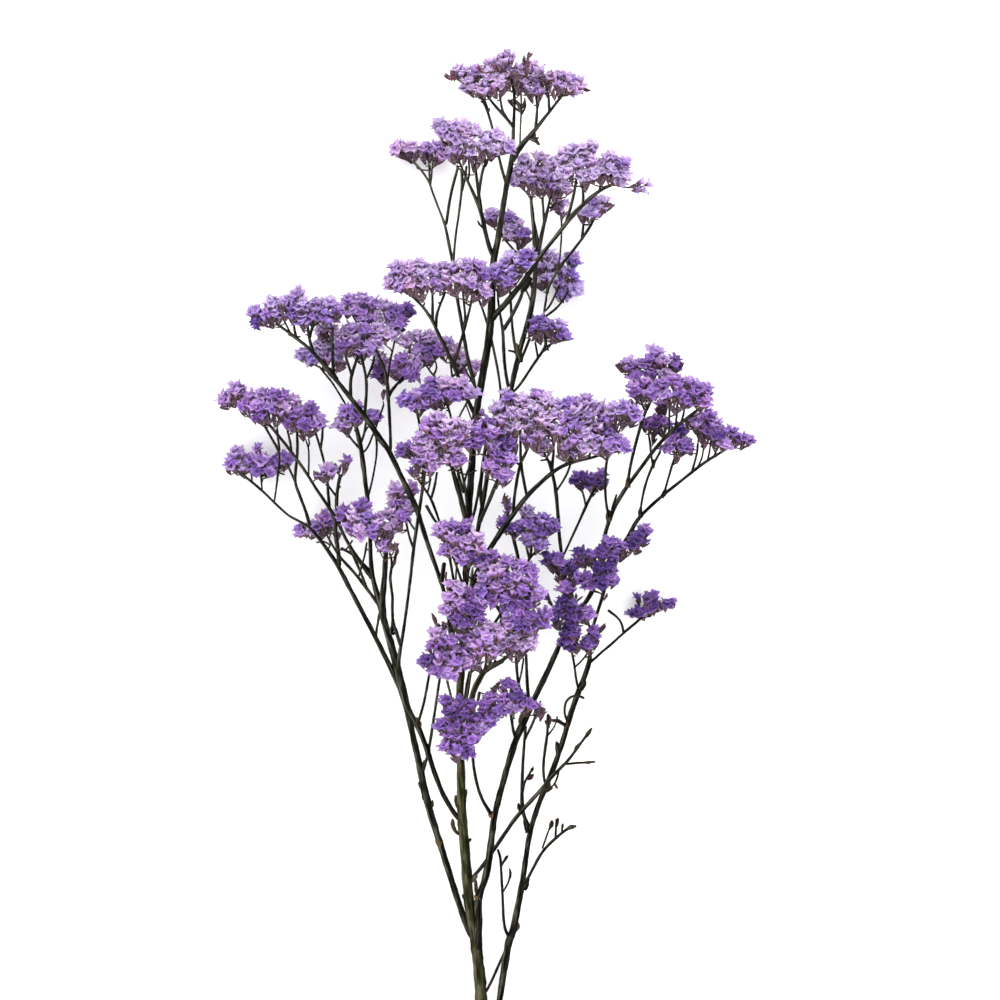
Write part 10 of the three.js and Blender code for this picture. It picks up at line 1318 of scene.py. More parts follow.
            (37.8, 119.3, 90.3, 4.7, 4.4, 4.8, 0.14, 38.0, 110.8, 90.3), (13.9, 91.4, 88.8, 3.4, 4.3, 4.0, 0.42, 16.8, 83.4, 89.2),
            (26.2, 109.0, 89.3, 4.4, 4.3, 4.6, 0.10, 26.3, 100.5, 89.5), (14.0, 106.4, 90.6, 5.1, 4.3, 4.9, 0.10, 15.5, 98.0, 90.6),
            (18.0, 90.7, 88.2, 3.6, 5.2, 4.6, 0.42, 20.0, 82.5, 88.8), (45.9, 101.6, 90.7, 3.4, 5.7, 4.8, 0.14, 44.7, 93.2, 90.6),
            (46.6, 108.5, 88.3, 4.5, 4.2, 4.6, 0.14, 45.5, 100.1, 88.6), (34.3, 103.7, 91.9, 4.4, 4.8, 4.8, 0.14, 35.2, 95.2, 91.7),
            (16.1, 97.4, 89.9, 4.6, 4.2, 4.6, 0.42, 17.8, 89.1, 89.9), (41.9, 116.1, 89.3, 4.0, 5.4, 4.9, 0.14, 41.7, 107.6, 89.4),
            (38.5, 98.9, 89.4, 4.3, 3.8, 4.3, 0.14, 38.8, 90.5, 89.7),
        ],
        [
            (20.3, 114.7, 102.4, 10.7, 24.2, 21.3, 109.7, 101.3, 16, 0.04, 0.3), (45.0, 87.5, 104.1, 2.9, 1.8, 44.3, 84.7, 103.3, 8, 0.08, 0.3),
            (44.4, 96.7, 103.4, 2.0, 2.4, 45.0, 93.6, 101.8, 8, 0.08, 0.3), (42.8, 101.4, 102.0, 2.6, 2.2, 41.6, 98.4, 100.8, 9, 0.08, 0.3),
            (36.0, 87.7, 104.1, 3.2, 2.4, 36.5, 84.2, 103.0, 12, 0.08, 0.3), (48.6, 93.4, 105.0, 1.6, 3.1, 48.5, 89.7, 102.9, 7, 0.08, 0.3),
            (37.1, 101.8, 104.8, 2.5, 1.5, 36.9, 99.3, 103.4, 6, 0.08, 0.3), (44.8, 84.6, 103.2, 1.4, 1.6, 44.1, 82.1, 102.2, 3, 0.08, 0.3),
            (23.4, 94.6, 99.5, 1.9, 3.8, 24.5, 90.2, 97.4, 11, 0.36, 0.3), (23.7, 86.4, 100.1, 1.7, 3.6, 23.8, 81.7, 98.9, 9, 0.36, 0.3),
        ],
        [
            (26.8, 100.6, 87.5, 26.6, 100.5, 88.5, 26.3, 100.5, 89.5), (34.5, 95.3, 87.1, 34.8, 95.1, 89.4, 35.2, 95.2, 91.7),
            (35.9, 99.0, 88.0, 36.0, 101.2, 88.8, 36.1, 103.6, 89.5), (47.5, 93.2, 85.7, 46.1, 93.1, 88.2, 44.7, 93.2, 90.6),
            (35.5, 98.1, 87.8, 38.3, 97.9, 88.6, 41.0, 98.1, 89.4), (24.2, 78.7, 90.1, 22.1, 80.5, 89.4, 20.0, 82.5, 88.8),
            (20.0, 82.5, 88.8, 18.4, 82.8, 89.0, 16.8, 83.4, 89.2), (26.8, 102.5, 88.0, 26.3, 104.9, 89.4, 25.7, 107.6, 90.8),
            (25.7, 107.6, 90.8, 23.5, 108.4, 90.5, 21.3, 109.4, 90.3), (41.0, 98.1, 89.4, 43.3, 98.9, 89.0, 45.5, 100.1, 88.6),
            (40.8, 87.1, 84.0, 39.8, 88.6, 86.8, 38.8, 90.5, 89.7), (16.8, 83.4, 89.2, 17.3, 86.1, 89.6, 17.8, 89.1, 89.9),
            (36.1, 103.6, 89.5, 38.9, 105.4, 89.5, 41.7, 107.6, 89.4), (41.7, 107.6, 89.4, 39.8, 109.1, 89.9, 38.0, 110.8, 90.3),
            (27.4, 78.7, 90.9, 28.7, 82.1, 92.4, 30.1, 86.0, 93.9), (24.2, 78.7, 90.1, 22.8, 80.5, 93.6, 21.4, 82.8, 97.1),
            (21.4, 82.8, 97.1, 22.6, 82.4, 98.1, 23.8, 82.2, 99.0), (21.4, 82.8, 97.1, 19.0, 83.2, 97.4, 16.6, 83.8, 97.6),
            (16.6, 83.8, 97.6, 17.1, 87.0, 97.5, 17.7, 90.5, 97.4), (17.7, 90.5, 97.4, 21.0, 90.4, 97.5, 24.4, 90.6, 97.6),
            (24.4, 90.6, 97.6, 24.0, 92.1, 99.3, 23.6, 93.8, 101.0), (35.2, 95.2, 91.7, 34.4, 95.0, 95.3, 33.6, 95.1, 99.0),
            (33.6, 95.1, 99.0, 35.3, 97.2, 101.3, 36.9, 99.6, 103.6), (36.9, 99.6, 103.6, 38.6, 99.0, 103.3, 40.2, 98.6, 103.0),
            (40.2, 98.6, 103.0, 41.0, 98.6, 102.0, 41.7, 98.7, 100.9), (41.7, 98.7, 100.9, 44.1, 99.6, 100.9, 46.4, 100.8, 100.9),
            (36.9, 99.6, 103.6, 36.5, 102.1, 103.3, 36.0, 105.0, 103.1), (46.4, 100.8, 100.9, 47.4, 104.0, 100.2, 48.4, 107.6, 99.5),
            (48.4, 107.6, 99.5, 45.6, 108.5, 101.5, 42.8, 109.8, 103.5), (42.8, 109.8, 103.5, 40.1, 111.5, 101.4, 37.4, 113.6, 99.3),
            (17.7, 90.5, 97.4, 16.1, 94.1, 98.3, 14.6, 98.0, 99.2), (14.6, 98.0, 99.2, 14.5, 101.9, 99.7, 14.3, 106.1, 100.2),
            (14.3, 106.1, 100.2, 17.3, 108.6, 100.2, 20.4, 111.5, 100.3), (20.4, 111.5, 100.3, 20.8, 110.8, 100.8, 21.2, 110.2, 101.4),
            (20.4, 111.5, 100.3, 18.8, 113.7, 98.9, 17.2, 116.3, 97.5), (21.2, 110.2, 101.4, 24.5, 109.7, 101.4, 27.8, 109.4, 101.3),
            (41.7, 98.7, 100.9, 43.3, 96.1, 101.4, 44.9, 93.9, 102.0), (44.9, 93.9, 102.0, 45.8, 93.3, 101.0, 46.6, 92.8, 100.1),
            (46.6, 92.8, 100.1, 47.6, 91.3, 101.6, 48.5, 90.1, 103.1), (23.6, 93.8, 101.0, 25.8, 97.2, 101.8, 27.9, 101.1, 102.7),
            (27.9, 101.1, 102.7, 24.3, 101.6, 103.3, 20.8, 102.5, 103.9), (14.6, 98.0, 99.2, 15.0, 97.8, 94.9, 15.5, 98.0, 90.6),
            (15.5, 98.0, 90.6, 15.4, 101.2, 90.6, 15.2, 104.8, 90.5), (48.5, 90.1, 103.1, 46.5, 87.4, 103.2, 44.4, 85.0, 103.4),
            (44.4, 85.0, 103.4, 44.3, 83.6, 102.9, 44.1, 82.3, 102.3), (44.4, 85.0, 103.4, 41.7, 87.1, 101.6, 38.9, 89.6, 99.7),
            (44.1, 82.3, 102.3, 42.1, 82.4, 98.8, 40.0, 82.8, 95.3), (40.0, 82.8, 95.3, 40.2, 83.2, 94.6, 40.5, 83.6, 93.8),
            (44.4, 85.0, 103.4, 40.4, 85.1, 103.3, 36.5, 84.6, 103.1),
        ],
    ),
    "flower_right_b": (
        [
            (61.6, 94.6, 103.2, 4.1, 4.3, 4.4, 0.26, 61.5, 86.7, 100.2), (74.5, 102.0, 101.2, 4.1, 4.2, 4.4, 0.26, 79.0, 95.4, 98.5),
            (69.1, 96.9, 104.0, 4.1, 4.7, 4.6, 0.26, 67.7, 89.0, 101.4), (99.4, 109.9, 101.5, 4.3, 6.6, 5.7, 0.48, 96.9, 102.1, 99.1),
            (63.1, 111.3, 102.1, 4.3, 4.3, 4.5, 0.26, 67.4, 104.1, 100.5), (93.4, 113.7, 101.3, 4.7, 5.4, 5.3, 0.48, 92.5, 105.5, 99.1),
            (62.4, 102.4, 104.5, 4.8, 4.2, 4.7, 0.26, 62.3, 94.2, 102.1), (92.2, 89.1, 99.9, 4.2, 5.1, 4.8, 0.28, 89.4, 85.4, 97.1),
            (75.7, 113.5, 99.1, 4.9, 4.0, 4.7, 0.26, 78.6, 105.7, 97.7), (85.9, 112.8, 102.5, 4.7, 5.9, 5.5, 0.48, 86.8, 104.7, 99.9),
            (55.4, 107.9, 102.3, 4.3, 4.9, 4.8, 0.26, 56.2, 99.6, 100.6), (83.0, 88.0, 100.1, 4.9, 4.0, 4.6, 0.28, 82.6, 80.4, 96.4),
            (61.4, 85.4, 96.7, 3.8, 4.0, 4.1, 0.26, 61.4, 78.6, 92.7), (67.6, 118.3, 100.0, 4.7, 4.8, 5.0, 0.26, 70.9, 110.6, 98.8),
            (57.8, 116.8, 100.3, 4.9, 4.5, 4.9, 0.26, 61.9, 109.5, 99.2), (56.1, 89.2, 100.4, 3.6, 4.9, 4.4, 0.26, 57.7, 81.5, 97.2),
            (82.2, 99.7, 97.5, 3.9, 4.2, 4.2, 0.28, 86.1, 93.8, 94.6), (87.4, 94.2, 101.0, 4.3, 3.9, 4.3, 0.28, 86.1, 86.2, 98.3),
            (67.2, 88.5, 101.9, 3.7, 5.2, 4.7, 0.26, 65.6, 81.0, 98.4), (73.9, 88.6, 98.9, 4.0, 4.3, 4.4, 0.26, 77.9, 82.6, 94.5),
            (77.8, 94.3, 98.7, 4.5, 3.9, 4.4, 0.28, 78.9, 86.2, 96.5), (54.2, 99.1, 102.0, 4.5, 4.8, 4.9, 0.26, 55.5, 91.0, 99.8),
            (80.4, 107.5, 100.2, 4.9, 4.0, 4.6, 0.48, 83.2, 99.8, 97.8), (69.9, 107.8, 103.8, 4.3, 4.8, 4.8, 0.26, 73.9, 100.7, 101.4),
            (62.0, 95.3, 88.1, 4.1, 4.3, 4.4, 0.32, 61.8, 86.8, 88.5), (72.3, 101.5, 87.2, 4.1, 4.2, 4.4, 0.32, 77.5, 95.0, 88.7),
            (68.1, 97.2, 88.0, 4.1, 4.7, 4.6, 0.32, 66.6, 88.9, 88.3), (98.6, 109.2, 92.2, 4.3, 6.6, 5.7, 0.54, 94.9, 101.5, 92.2),
            (63.1, 109.3, 88.3, 4.3, 4.3, 4.5, 0.32, 67.8, 102.2, 88.9), (92.8, 112.3, 90.1, 4.7, 5.4, 5.3, 0.54, 91.9, 103.9, 90.7),
            (91.1, 89.0, 88.9, 4.2, 5.1, 4.8, 0.34, 89.2, 85.6, 89.1), (77.2, 112.2, 94.8, 4.9, 4.0, 4.7, 0.32, 80.2, 104.3, 94.1),
            (56.9, 106.5, 89.0, 4.3, 4.9, 4.8, 0.32, 57.6, 98.0, 89.1), (83.5, 88.1, 87.7, 4.9, 4.0, 4.6, 0.34, 82.9, 80.9, 88.6),
            (61.8, 87.6, 91.4, 3.8, 4.0, 4.1, 0.32, 61.6, 80.1, 90.7), (67.0, 115.2, 88.6, 4.7, 4.8, 5.0, 0.32, 70.8, 107.6, 89.2),
            (57.4, 114.0, 90.5, 4.9, 4.5, 4.9, 0.32, 61.9, 106.7, 90.8), (58.3, 90.8, 91.3, 3.6, 4.9, 4.4, 0.32, 59.4, 82.4, 90.7),
            (83.2, 97.9, 90.4, 3.9, 4.2, 4.2, 0.34, 87.5, 93.5, 91.6), (87.4, 93.2, 89.1, 4.3, 3.9, 4.3, 0.34, 85.8, 84.9, 89.3),
            (66.6, 90.2, 90.7, 3.7, 5.2, 4.7, 0.32, 64.8, 81.9, 90.3), (74.3, 88.6, 90.9, 4.0, 4.3, 4.4, 0.32, 79.7, 82.1, 90.1),
            (78.3, 93.4, 90.1, 4.5, 3.9, 4.4, 0.34, 79.5, 85.0, 90.0), (81.3, 107.1, 92.2, 4.9, 4.0, 4.6, 0.54, 84.4, 99.2, 92.1),
            (69.5, 106.4, 88.7, 4.3, 4.8, 4.8, 0.32, 74.2, 99.3, 89.5),
        ],
        [
            (52.0, 94.5, 102.5, 2.2, 1.5, 51.4, 92.0, 101.2, 5, 0.26, 0.3), (51.7, 84.8, 102.4, 2.4, 2.1, 51.1, 81.9, 100.8, 8, 0.26, 0.3),
            (51.0, 88.5, 102.5, 1.7, 2.0, 50.5, 85.7, 100.9, 5, 0.26, 0.3), (51.2, 91.8, 102.2, 1.9, 1.5, 50.8, 89.4, 100.9, 4, 0.26, 0.3),
            (65.9, 83.0, 101.1, 3.1, 1.5, 65.2, 80.5, 100.2, 7, 0.26, 0.3), (54.3, 81.9, 103.1, 3.3, 3.0, 55.8, 78.2, 101.7, 15, 0.26, 0.3),
            (94.0, 106.3, 100.4, 1.9, 2.6, 93.3, 102.6, 99.7, 7, 0.48, 0.3), (87.5, 105.9, 101.2, 1.9, 2.0, 87.8, 102.8, 100.5, 6, 0.48, 0.3),
            (88.0, 101.5, 101.2, 2.6, 2.2, 88.4, 98.3, 100.0, 9, 0.48, 0.3), (90.6, 106.2, 101.6, 1.7, 2.7, 90.4, 102.4, 100.8, 7, 0.48, 0.3),
            (84.8, 104.2, 100.3, 1.8, 2.3, 85.7, 100.9, 99.6, 6, 0.48, 0.3), (97.6, 103.0, 102.3, 3.3, 1.7, 96.5, 100.4, 101.6, 8, 0.48, 0.3),
            (92.4, 101.9, 101.9, 2.6, 2.5, 91.7, 98.5, 100.7, 10, 0.48, 0.3), (80.9, 84.6, 100.8, 8.3, 2.6, 81.2, 81.1, 99.4, 16, 0.28, 0.3),
        ],
        [
            (61.5, 87.2, 87.0, 61.6, 87.0, 87.8, 61.8, 86.8, 88.5), (61.4, 78.7, 89.6, 61.5, 79.4, 90.1, 61.6, 80.1, 90.7),
            (82.0, 80.0, 89.8, 82.4, 80.4, 89.2, 82.9, 80.9, 88.6), (82.0, 80.0, 89.8, 80.9, 81.0, 90.0, 79.7, 82.1, 90.1),
            (61.4, 78.7, 89.6, 61.4, 78.6, 91.1, 61.4, 78.6, 92.7), (79.7, 82.1, 90.1, 79.6, 83.5, 90.1, 79.5, 85.0, 90.0),
            (61.4, 78.7, 89.6, 60.4, 80.5, 90.1, 59.4, 82.4, 90.7), (62.1, 89.0, 88.0, 64.4, 88.8, 88.2, 66.6, 88.9, 88.3),
            (61.4, 78.7, 89.6, 63.1, 80.2, 90.0, 64.8, 81.9, 90.3), (89.6, 98.0, 92.1, 87.0, 98.4, 92.1, 84.4, 99.2, 92.1),
            (79.7, 82.1, 90.1, 78.8, 82.2, 92.3, 77.9, 82.6, 94.5), (77.9, 82.6, 94.5, 78.4, 84.3, 95.5, 78.9, 86.2, 96.5),
            (82.9, 80.9, 88.6, 84.3, 82.8, 89.0, 85.8, 84.9, 89.3), (85.8, 84.9, 89.3, 87.5, 85.2, 89.2, 89.2, 85.6, 89.1),
            (89.6, 98.0, 92.1, 90.8, 100.8, 91.4, 91.9, 103.9, 90.7), (91.9, 103.9, 90.7, 93.4, 102.6, 91.4, 94.9, 101.5, 92.2),
            (82.0, 80.0, 89.8, 82.3, 80.0, 93.1, 82.6, 80.4, 96.4), (82.6, 80.4, 96.4, 81.9, 80.8, 98.0, 81.2, 81.4, 99.6),
            (84.4, 99.2, 92.1, 83.8, 99.4, 95.0, 83.2, 99.8, 97.8), (83.2, 99.8, 97.8, 84.4, 100.5, 98.7, 85.6, 101.2, 99.7),
            (85.6, 101.2, 99.7, 86.7, 102.1, 100.1, 87.8, 103.1, 100.6), (87.8, 103.1, 100.6, 87.3, 103.9, 100.3, 86.8, 104.7, 99.9),
            (87.8, 103.1, 100.6, 89.1, 102.9, 100.7, 90.5, 102.8, 100.9), (90.5, 102.8, 100.9, 91.9, 102.8, 100.3, 93.3, 103.0, 99.8),
            (93.3, 103.0, 99.8, 92.9, 104.2, 99.4, 92.5, 105.5, 99.1), (93.3, 103.0, 99.8, 95.1, 102.5, 99.4, 96.9, 102.1, 99.1),
            (85.6, 101.2, 99.7, 87.0, 99.8, 99.9, 88.4, 98.7, 100.1), (89.6, 98.0, 92.1, 88.6, 95.6, 91.8, 87.5, 93.5, 91.6),
            (87.5, 93.5, 91.6, 86.8, 93.5, 93.1, 86.1, 93.8, 94.6), (88.4, 98.7, 100.1, 90.1, 98.7, 100.5, 91.8, 98.9, 100.8),
            (83.2, 99.8, 97.8, 81.7, 101.9, 96.0, 80.2, 104.3, 94.1), (80.2, 104.3, 94.1, 79.4, 104.9, 95.9, 78.6, 105.7, 97.7),
            (61.4, 78.6, 92.7, 59.5, 79.9, 94.9, 57.7, 81.5, 97.2), (81.2, 81.4, 99.6, 83.6, 83.6, 98.9, 86.1, 86.2, 98.3),
            (86.1, 86.2, 98.3, 87.7, 85.7, 97.7, 89.4, 85.4, 97.1), (57.7, 81.5, 97.2, 59.6, 83.9, 98.7, 61.5, 86.7, 100.2),
            (61.5, 86.7, 100.2, 64.6, 87.7, 100.8, 67.7, 89.0, 101.4), (57.7, 81.5, 97.2, 56.7, 79.9, 99.5, 55.6, 78.6, 101.8),
            (61.4, 78.6, 92.7, 63.5, 79.6, 95.5, 65.6, 81.0, 98.4), (65.6, 81.0, 98.4, 65.4, 80.8, 99.3, 65.3, 80.7, 100.3),
            (61.5, 86.7, 100.2, 58.5, 88.7, 100.0, 55.5, 91.0, 99.8), (55.5, 91.0, 99.8, 53.5, 91.5, 100.6, 51.4, 92.3, 101.4),
            (51.4, 92.3, 101.4, 51.1, 90.9, 101.2, 50.8, 89.6, 101.0), (50.8, 89.6, 101.0, 50.7, 87.7, 101.0, 50.6, 86.0, 101.0),
            (67.7, 89.0, 101.4, 65.0, 91.4, 101.7, 62.3, 94.2, 102.1), (50.6, 86.0, 101.0, 50.9, 84.0, 101.0, 51.1, 82.2, 101.0),
            (72.4, 87.7, 88.0, 74.9, 91.1, 88.3, 77.5, 95.0, 88.7), (77.5, 95.0, 88.7, 75.8, 97.0, 89.1, 74.2, 99.3, 89.5),
            (74.2, 99.3, 89.5, 71.0, 100.6, 89.2, 67.8, 102.2, 88.9), (67.8, 102.2, 88.9, 69.3, 104.8, 89.0, 70.8, 107.6, 89.2),
            (67.8, 102.2, 88.9, 64.8, 104.3, 89.8, 61.9, 106.7, 90.8), (62.3, 94.2, 102.1, 59.3, 96.7, 101.3, 56.2, 99.6, 100.6),
            (86.1, 93.8, 94.6, 82.6, 94.4, 96.6, 79.0, 95.4, 98.5), (79.0, 95.4, 98.5, 76.5, 97.8, 100.0, 73.9, 100.7, 101.4),
            (73.9, 100.7, 101.4, 70.6, 102.2, 100.9, 67.4, 104.1, 100.5), (67.4, 104.1, 100.5, 69.1, 107.1, 99.7, 70.9, 110.6, 98.8),
            (67.4, 104.1, 100.5, 64.6, 106.6, 99.8, 61.9, 109.5, 99.2), (62.1, 89.0, 88.0, 59.8, 93.3, 88.5, 57.6, 98.0, 89.1),
            (96.9, 102.1, 99.1, 96.7, 101.3, 100.4, 96.6, 100.6, 101.7),
        ],
    ),
    "flower_centre_low": (
        [
            (41.0, 42.0, 57.2, 5.4, 4.2, 5.0, 0.44, 39.7, 33.7, 55.6), (40.9, 33.5, 55.4, 5.1, 4.4, 5.0, 0.44, 39.1, 25.4, 53.4),
            (23.3, 36.2, 53.0, 5.6, 4.7, 5.4, 0.54, 22.9, 28.0, 50.7), (32.2, 38.9, 58.3, 5.2, 4.7, 5.2, 0.44, 29.7, 31.2, 55.6),
            (30.6, 47.2, 55.2, 4.9, 5.5, 5.5, 0.44, 29.1, 38.9, 53.7), (15.8, 40.6, 54.0, 3.6, 3.9, 4.0, 0.54, 17.6, 32.5, 52.2),
            (48.3, 37.8, 56.5, 4.2, 5.5, 5.1, 0.44, 44.8, 30.3, 54.5), (17.9, 50.1, 53.2, 2.3, 5.8, 4.3, 0.54, 18.7, 41.7, 52.2),
            (40.0, 25.8, 53.7, 4.7, 4.6, 4.9, 0.44, 37.3, 18.9, 51.3), (32.0, 30.0, 55.3, 4.9, 4.9, 5.2, 0.44, 33.0, 22.3, 52.0),
            (40.2, 40.7, 48.5, 5.4, 4.2, 5.0, 0.50, 39.0, 32.3, 48.4), (39.3, 33.6, 47.2, 5.1, 4.4, 5.0, 0.50, 37.7, 25.2, 47.6),
            (23.0, 36.4, 46.7, 5.6, 4.7, 5.4, 0.60, 22.7, 28.6, 47.0), (32.3, 38.1, 47.2, 5.2, 4.7, 5.2, 0.50, 29.3, 30.2, 47.2),
            (31.0, 45.0, 49.7, 4.9, 5.5, 5.5, 0.50, 29.2, 36.8, 49.2), (18.7, 48.1, 47.8, 2.3, 5.8, 4.3, 0.60, 19.5, 39.6, 47.7),
            (41.2, 27.1, 49.6, 4.7, 4.6, 4.9, 0.50, 38.1, 19.8, 49.1), (34.2, 30.7, 49.7, 4.9, 4.9, 5.2, 0.50, 34.1, 24.0, 49.3),
        ],
        [
            (15.7, 35.8, 52.7, 16.2, 8.9, 17.8, 31.1, 52.2, 16, 0.54, 0.3), (16.5, 56.3, 54.6, 1.6, 1.6, 15.2, 53.9, 55.3, 4, 0.54, 0.3),
        ],
        [
            (34.0, 23.4, 50.0, 34.1, 23.7, 49.6, 34.1, 24.0, 49.3), (22.6, 28.3, 50.0, 22.8, 28.2, 50.3, 22.9, 28.0, 50.7),
            (22.4, 26.9, 47.3, 22.6, 27.7, 47.1, 22.7, 28.6, 47.0), (33.9, 22.3, 50.0, 33.5, 22.2, 51.0, 33.0, 22.3, 52.0),
            (35.9, 20.1, 50.0, 37.0, 19.9, 49.5, 38.1, 19.8, 49.1), (35.2, 19.3, 50.0, 36.3, 19.0, 50.6, 37.3, 18.9, 51.3),
            (38.9, 24.3, 50.0, 38.3, 24.7, 48.8, 37.7, 25.2, 47.6), (39.3, 25.3, 50.0, 39.2, 25.3, 51.7, 39.1, 25.4, 53.4),
            (30.6, 28.3, 50.0, 30.0, 29.1, 48.6, 29.3, 30.2, 47.2), (40.9, 29.3, 50.0, 39.9, 30.7, 49.2, 39.0, 32.3, 48.4),
            (21.7, 32.4, 50.0, 19.7, 32.3, 51.1, 17.6, 32.5, 52.2), (17.6, 32.5, 52.2, 17.6, 32.0, 52.2, 17.6, 31.6, 52.2),
            (40.9, 29.3, 50.0, 42.8, 29.6, 52.3, 44.8, 30.3, 54.5), (30.6, 28.3, 50.0, 30.2, 29.6, 52.8, 29.7, 31.2, 55.6),
            (21.5, 33.4, 50.0, 20.5, 36.3, 48.8, 19.5, 39.6, 47.7), (19.5, 39.6, 47.7, 19.1, 40.5, 49.9, 18.7, 41.7, 52.2),
            (40.9, 29.3, 50.0, 40.3, 31.3, 52.8, 39.7, 33.7, 55.6), (29.3, 30.2, 47.2, 29.2, 33.3, 48.2, 29.2, 36.8, 49.2),
            (29.2, 36.8, 49.2, 29.1, 37.7, 51.4, 29.1, 38.9, 53.7), (18.7, 41.7, 52.2, 17.9, 47.8, 53.7, 15.4, 54.1, 55.3),
        ],
    ),
    "flower_right_dark": (
        [
            (72.2, 67.5, 30.4, 4.6, 5.1, 5.1, 1.00, 73.5, 59.7, 27.5), (64.0, 68.8, 28.7, 4.7, 4.0, 4.6, 1.00, 68.2, 61.8, 26.3),
            (79.7, 68.6, 28.3, 4.4, 6.6, 5.8, 1.00, 78.0, 60.8, 25.5), (72.2, 66.8, 19.9, 4.6, 5.1, 5.1, 1.00, 73.8, 59.3, 20.8),
            (64.8, 67.9, 21.1, 4.7, 4.0, 4.6, 1.00, 67.7, 61.5, 21.3), (78.4, 67.7, 21.2, 4.4, 6.6, 5.8, 1.00, 77.1, 59.9, 21.6),
        ],
        [
            (66.8, 63.3, 30.1, 7.6, 2.2, 67.1, 59.9, 29.5, 16, 1.00, 0.3), (80.5, 64.3, 29.0, 6.7, 8.1, 78.3, 59.6, 28.9, 16, 1.00, 0.3),
        ],
        [
            (67.0, 61.5, 27.2, 67.6, 61.6, 26.8, 68.2, 61.8, 26.3), (67.9, 59.6, 28.0, 67.5, 59.9, 28.8, 67.1, 60.2, 29.6),
            (74.5, 59.7, 29.2, 74.0, 59.6, 28.3, 73.5, 59.7, 27.5), (75.9, 58.3, 22.0, 76.5, 59.1, 21.8, 77.1, 59.9, 21.6),
            (75.9, 58.3, 22.0, 74.8, 58.7, 21.4, 73.8, 59.3, 20.8), (75.0, 60.6, 29.0, 76.8, 60.2, 29.0, 78.5, 60.1, 28.9),
            (75.5, 61.5, 28.7, 76.8, 61.0, 27.1, 78.0, 60.8, 25.5), (67.0, 61.5, 27.2, 67.4, 61.4, 24.3, 67.7, 61.5, 21.3),
        ],
    ),
    "flower_right_c": (
        [
            (119.5, 145.6, 67.1, 4.6, 4.7, 4.9, 0.52, 118.3, 137.5, 64.6), (95.9, 142.6, 64.2, 4.3, 4.5, 4.6, 0.57, 97.6, 134.9, 60.9),
            (120.8, 137.1, 65.7, 5.3, 4.3, 5.0, 0.52, 118.4, 129.6, 62.3), (101.7, 136.2, 64.9, 5.5, 3.7, 4.8, 0.57, 100.8, 129.8, 60.8),
            (103.6, 143.3, 64.9, 4.2, 4.3, 4.5, 0.57, 102.4, 135.3, 62.3), (110.1, 145.2, 64.0, 4.1, 4.3, 4.4, 0.52, 111.1, 137.0, 62.0),
            (126.9, 143.2, 64.5, 4.0, 5.8, 5.1, 0.52, 123.9, 135.5, 62.6), (112.4, 138.0, 64.3, 5.2, 4.4, 5.0, 0.52, 113.1, 130.2, 61.0),
            (114.8, 151.1, 63.9, 4.9, 3.3, 4.3, 0.52, 114.7, 142.8, 62.4), (118.5, 144.7, 55.3, 4.6, 4.7, 4.9, 0.58, 117.3, 136.3, 55.5),
            (96.8, 141.6, 55.5, 4.3, 4.5, 4.6, 0.63, 99.1, 134.2, 56.4), (121.4, 137.5, 54.2, 5.3, 4.3, 5.0, 0.58, 118.3, 129.8, 55.0),
            (102.5, 142.2, 54.5, 4.2, 4.3, 4.5, 0.63, 101.4, 134.1, 55.4), (112.1, 144.3, 55.9, 4.1, 4.3, 4.4, 0.58, 112.7, 135.9, 55.9),
            (126.8, 142.7, 55.2, 4.0, 5.8, 5.1, 0.58, 123.6, 134.8, 55.4), (112.2, 138.3, 55.7, 5.2, 4.4, 5.0, 0.58, 113.0, 131.0, 55.9),
            (117.4, 149.4, 56.7, 4.9, 3.3, 4.3, 0.58, 116.7, 140.9, 56.6),
        ],
        [
            (92.4, 140.5, 65.6, 4.1, 5.0, 93.9, 135.6, 64.7, 16, 0.57, 0.3), (131.2, 141.0, 66.0, 1.7, 1.8, 130.0, 138.3, 65.7, 5, 0.52, 0.3),
            (113.6, 140.5, 66.6, 1.9, 12.6, 113.7, 135.4, 65.6, 16, 0.52, 0.3),
        ],
        [
            (114.1, 129.8, 56.1, 113.6, 130.4, 56.0, 113.0, 131.0, 55.9), (99.8, 132.4, 56.7, 99.5, 133.2, 56.6, 99.1, 134.2, 56.4),
            (99.8, 132.4, 56.7, 100.6, 133.2, 56.0, 101.4, 134.1, 55.4), (114.1, 129.8, 56.1, 116.2, 129.7, 55.6, 118.3, 129.8, 55.0),
            (102.2, 126.4, 64.0, 101.5, 128.0, 62.4, 100.8, 129.8, 60.8), (114.1, 129.8, 56.1, 113.6, 129.9, 58.6, 113.1, 130.2, 61.0),
            (99.8, 132.4, 56.7, 98.7, 133.5, 58.8, 97.6, 134.9, 60.9), (113.0, 131.0, 55.9, 112.9, 133.3, 55.9, 112.7, 135.9, 55.9),
            (112.7, 135.9, 55.9, 115.0, 135.9, 55.7, 117.3, 136.3, 55.5), (117.3, 136.3, 55.5, 117.0, 138.5, 56.0, 116.7, 140.9, 56.6),
            (97.6, 134.9, 60.9, 100.0, 135.0, 61.6, 102.4, 135.3, 62.3), (113.1, 130.2, 61.0, 115.8, 129.8, 61.7, 118.4, 129.6, 62.3),
            (112.7, 135.9, 55.9, 111.9, 136.3, 59.0, 111.1, 137.0, 62.0), (111.1, 137.0, 62.0, 112.4, 136.3, 63.9, 113.7, 136.0, 65.7),
            (113.7, 136.0, 65.7, 116.0, 136.6, 65.2, 118.3, 137.5, 64.6), (116.7, 140.9, 56.6, 115.7, 141.7, 59.5, 114.7, 142.8, 62.4),
            (117.3, 136.3, 55.5, 120.4, 135.4, 55.5, 123.6, 134.8, 55.4), (123.6, 134.8, 55.4, 123.8, 135.0, 59.0, 123.9, 135.5, 62.6),
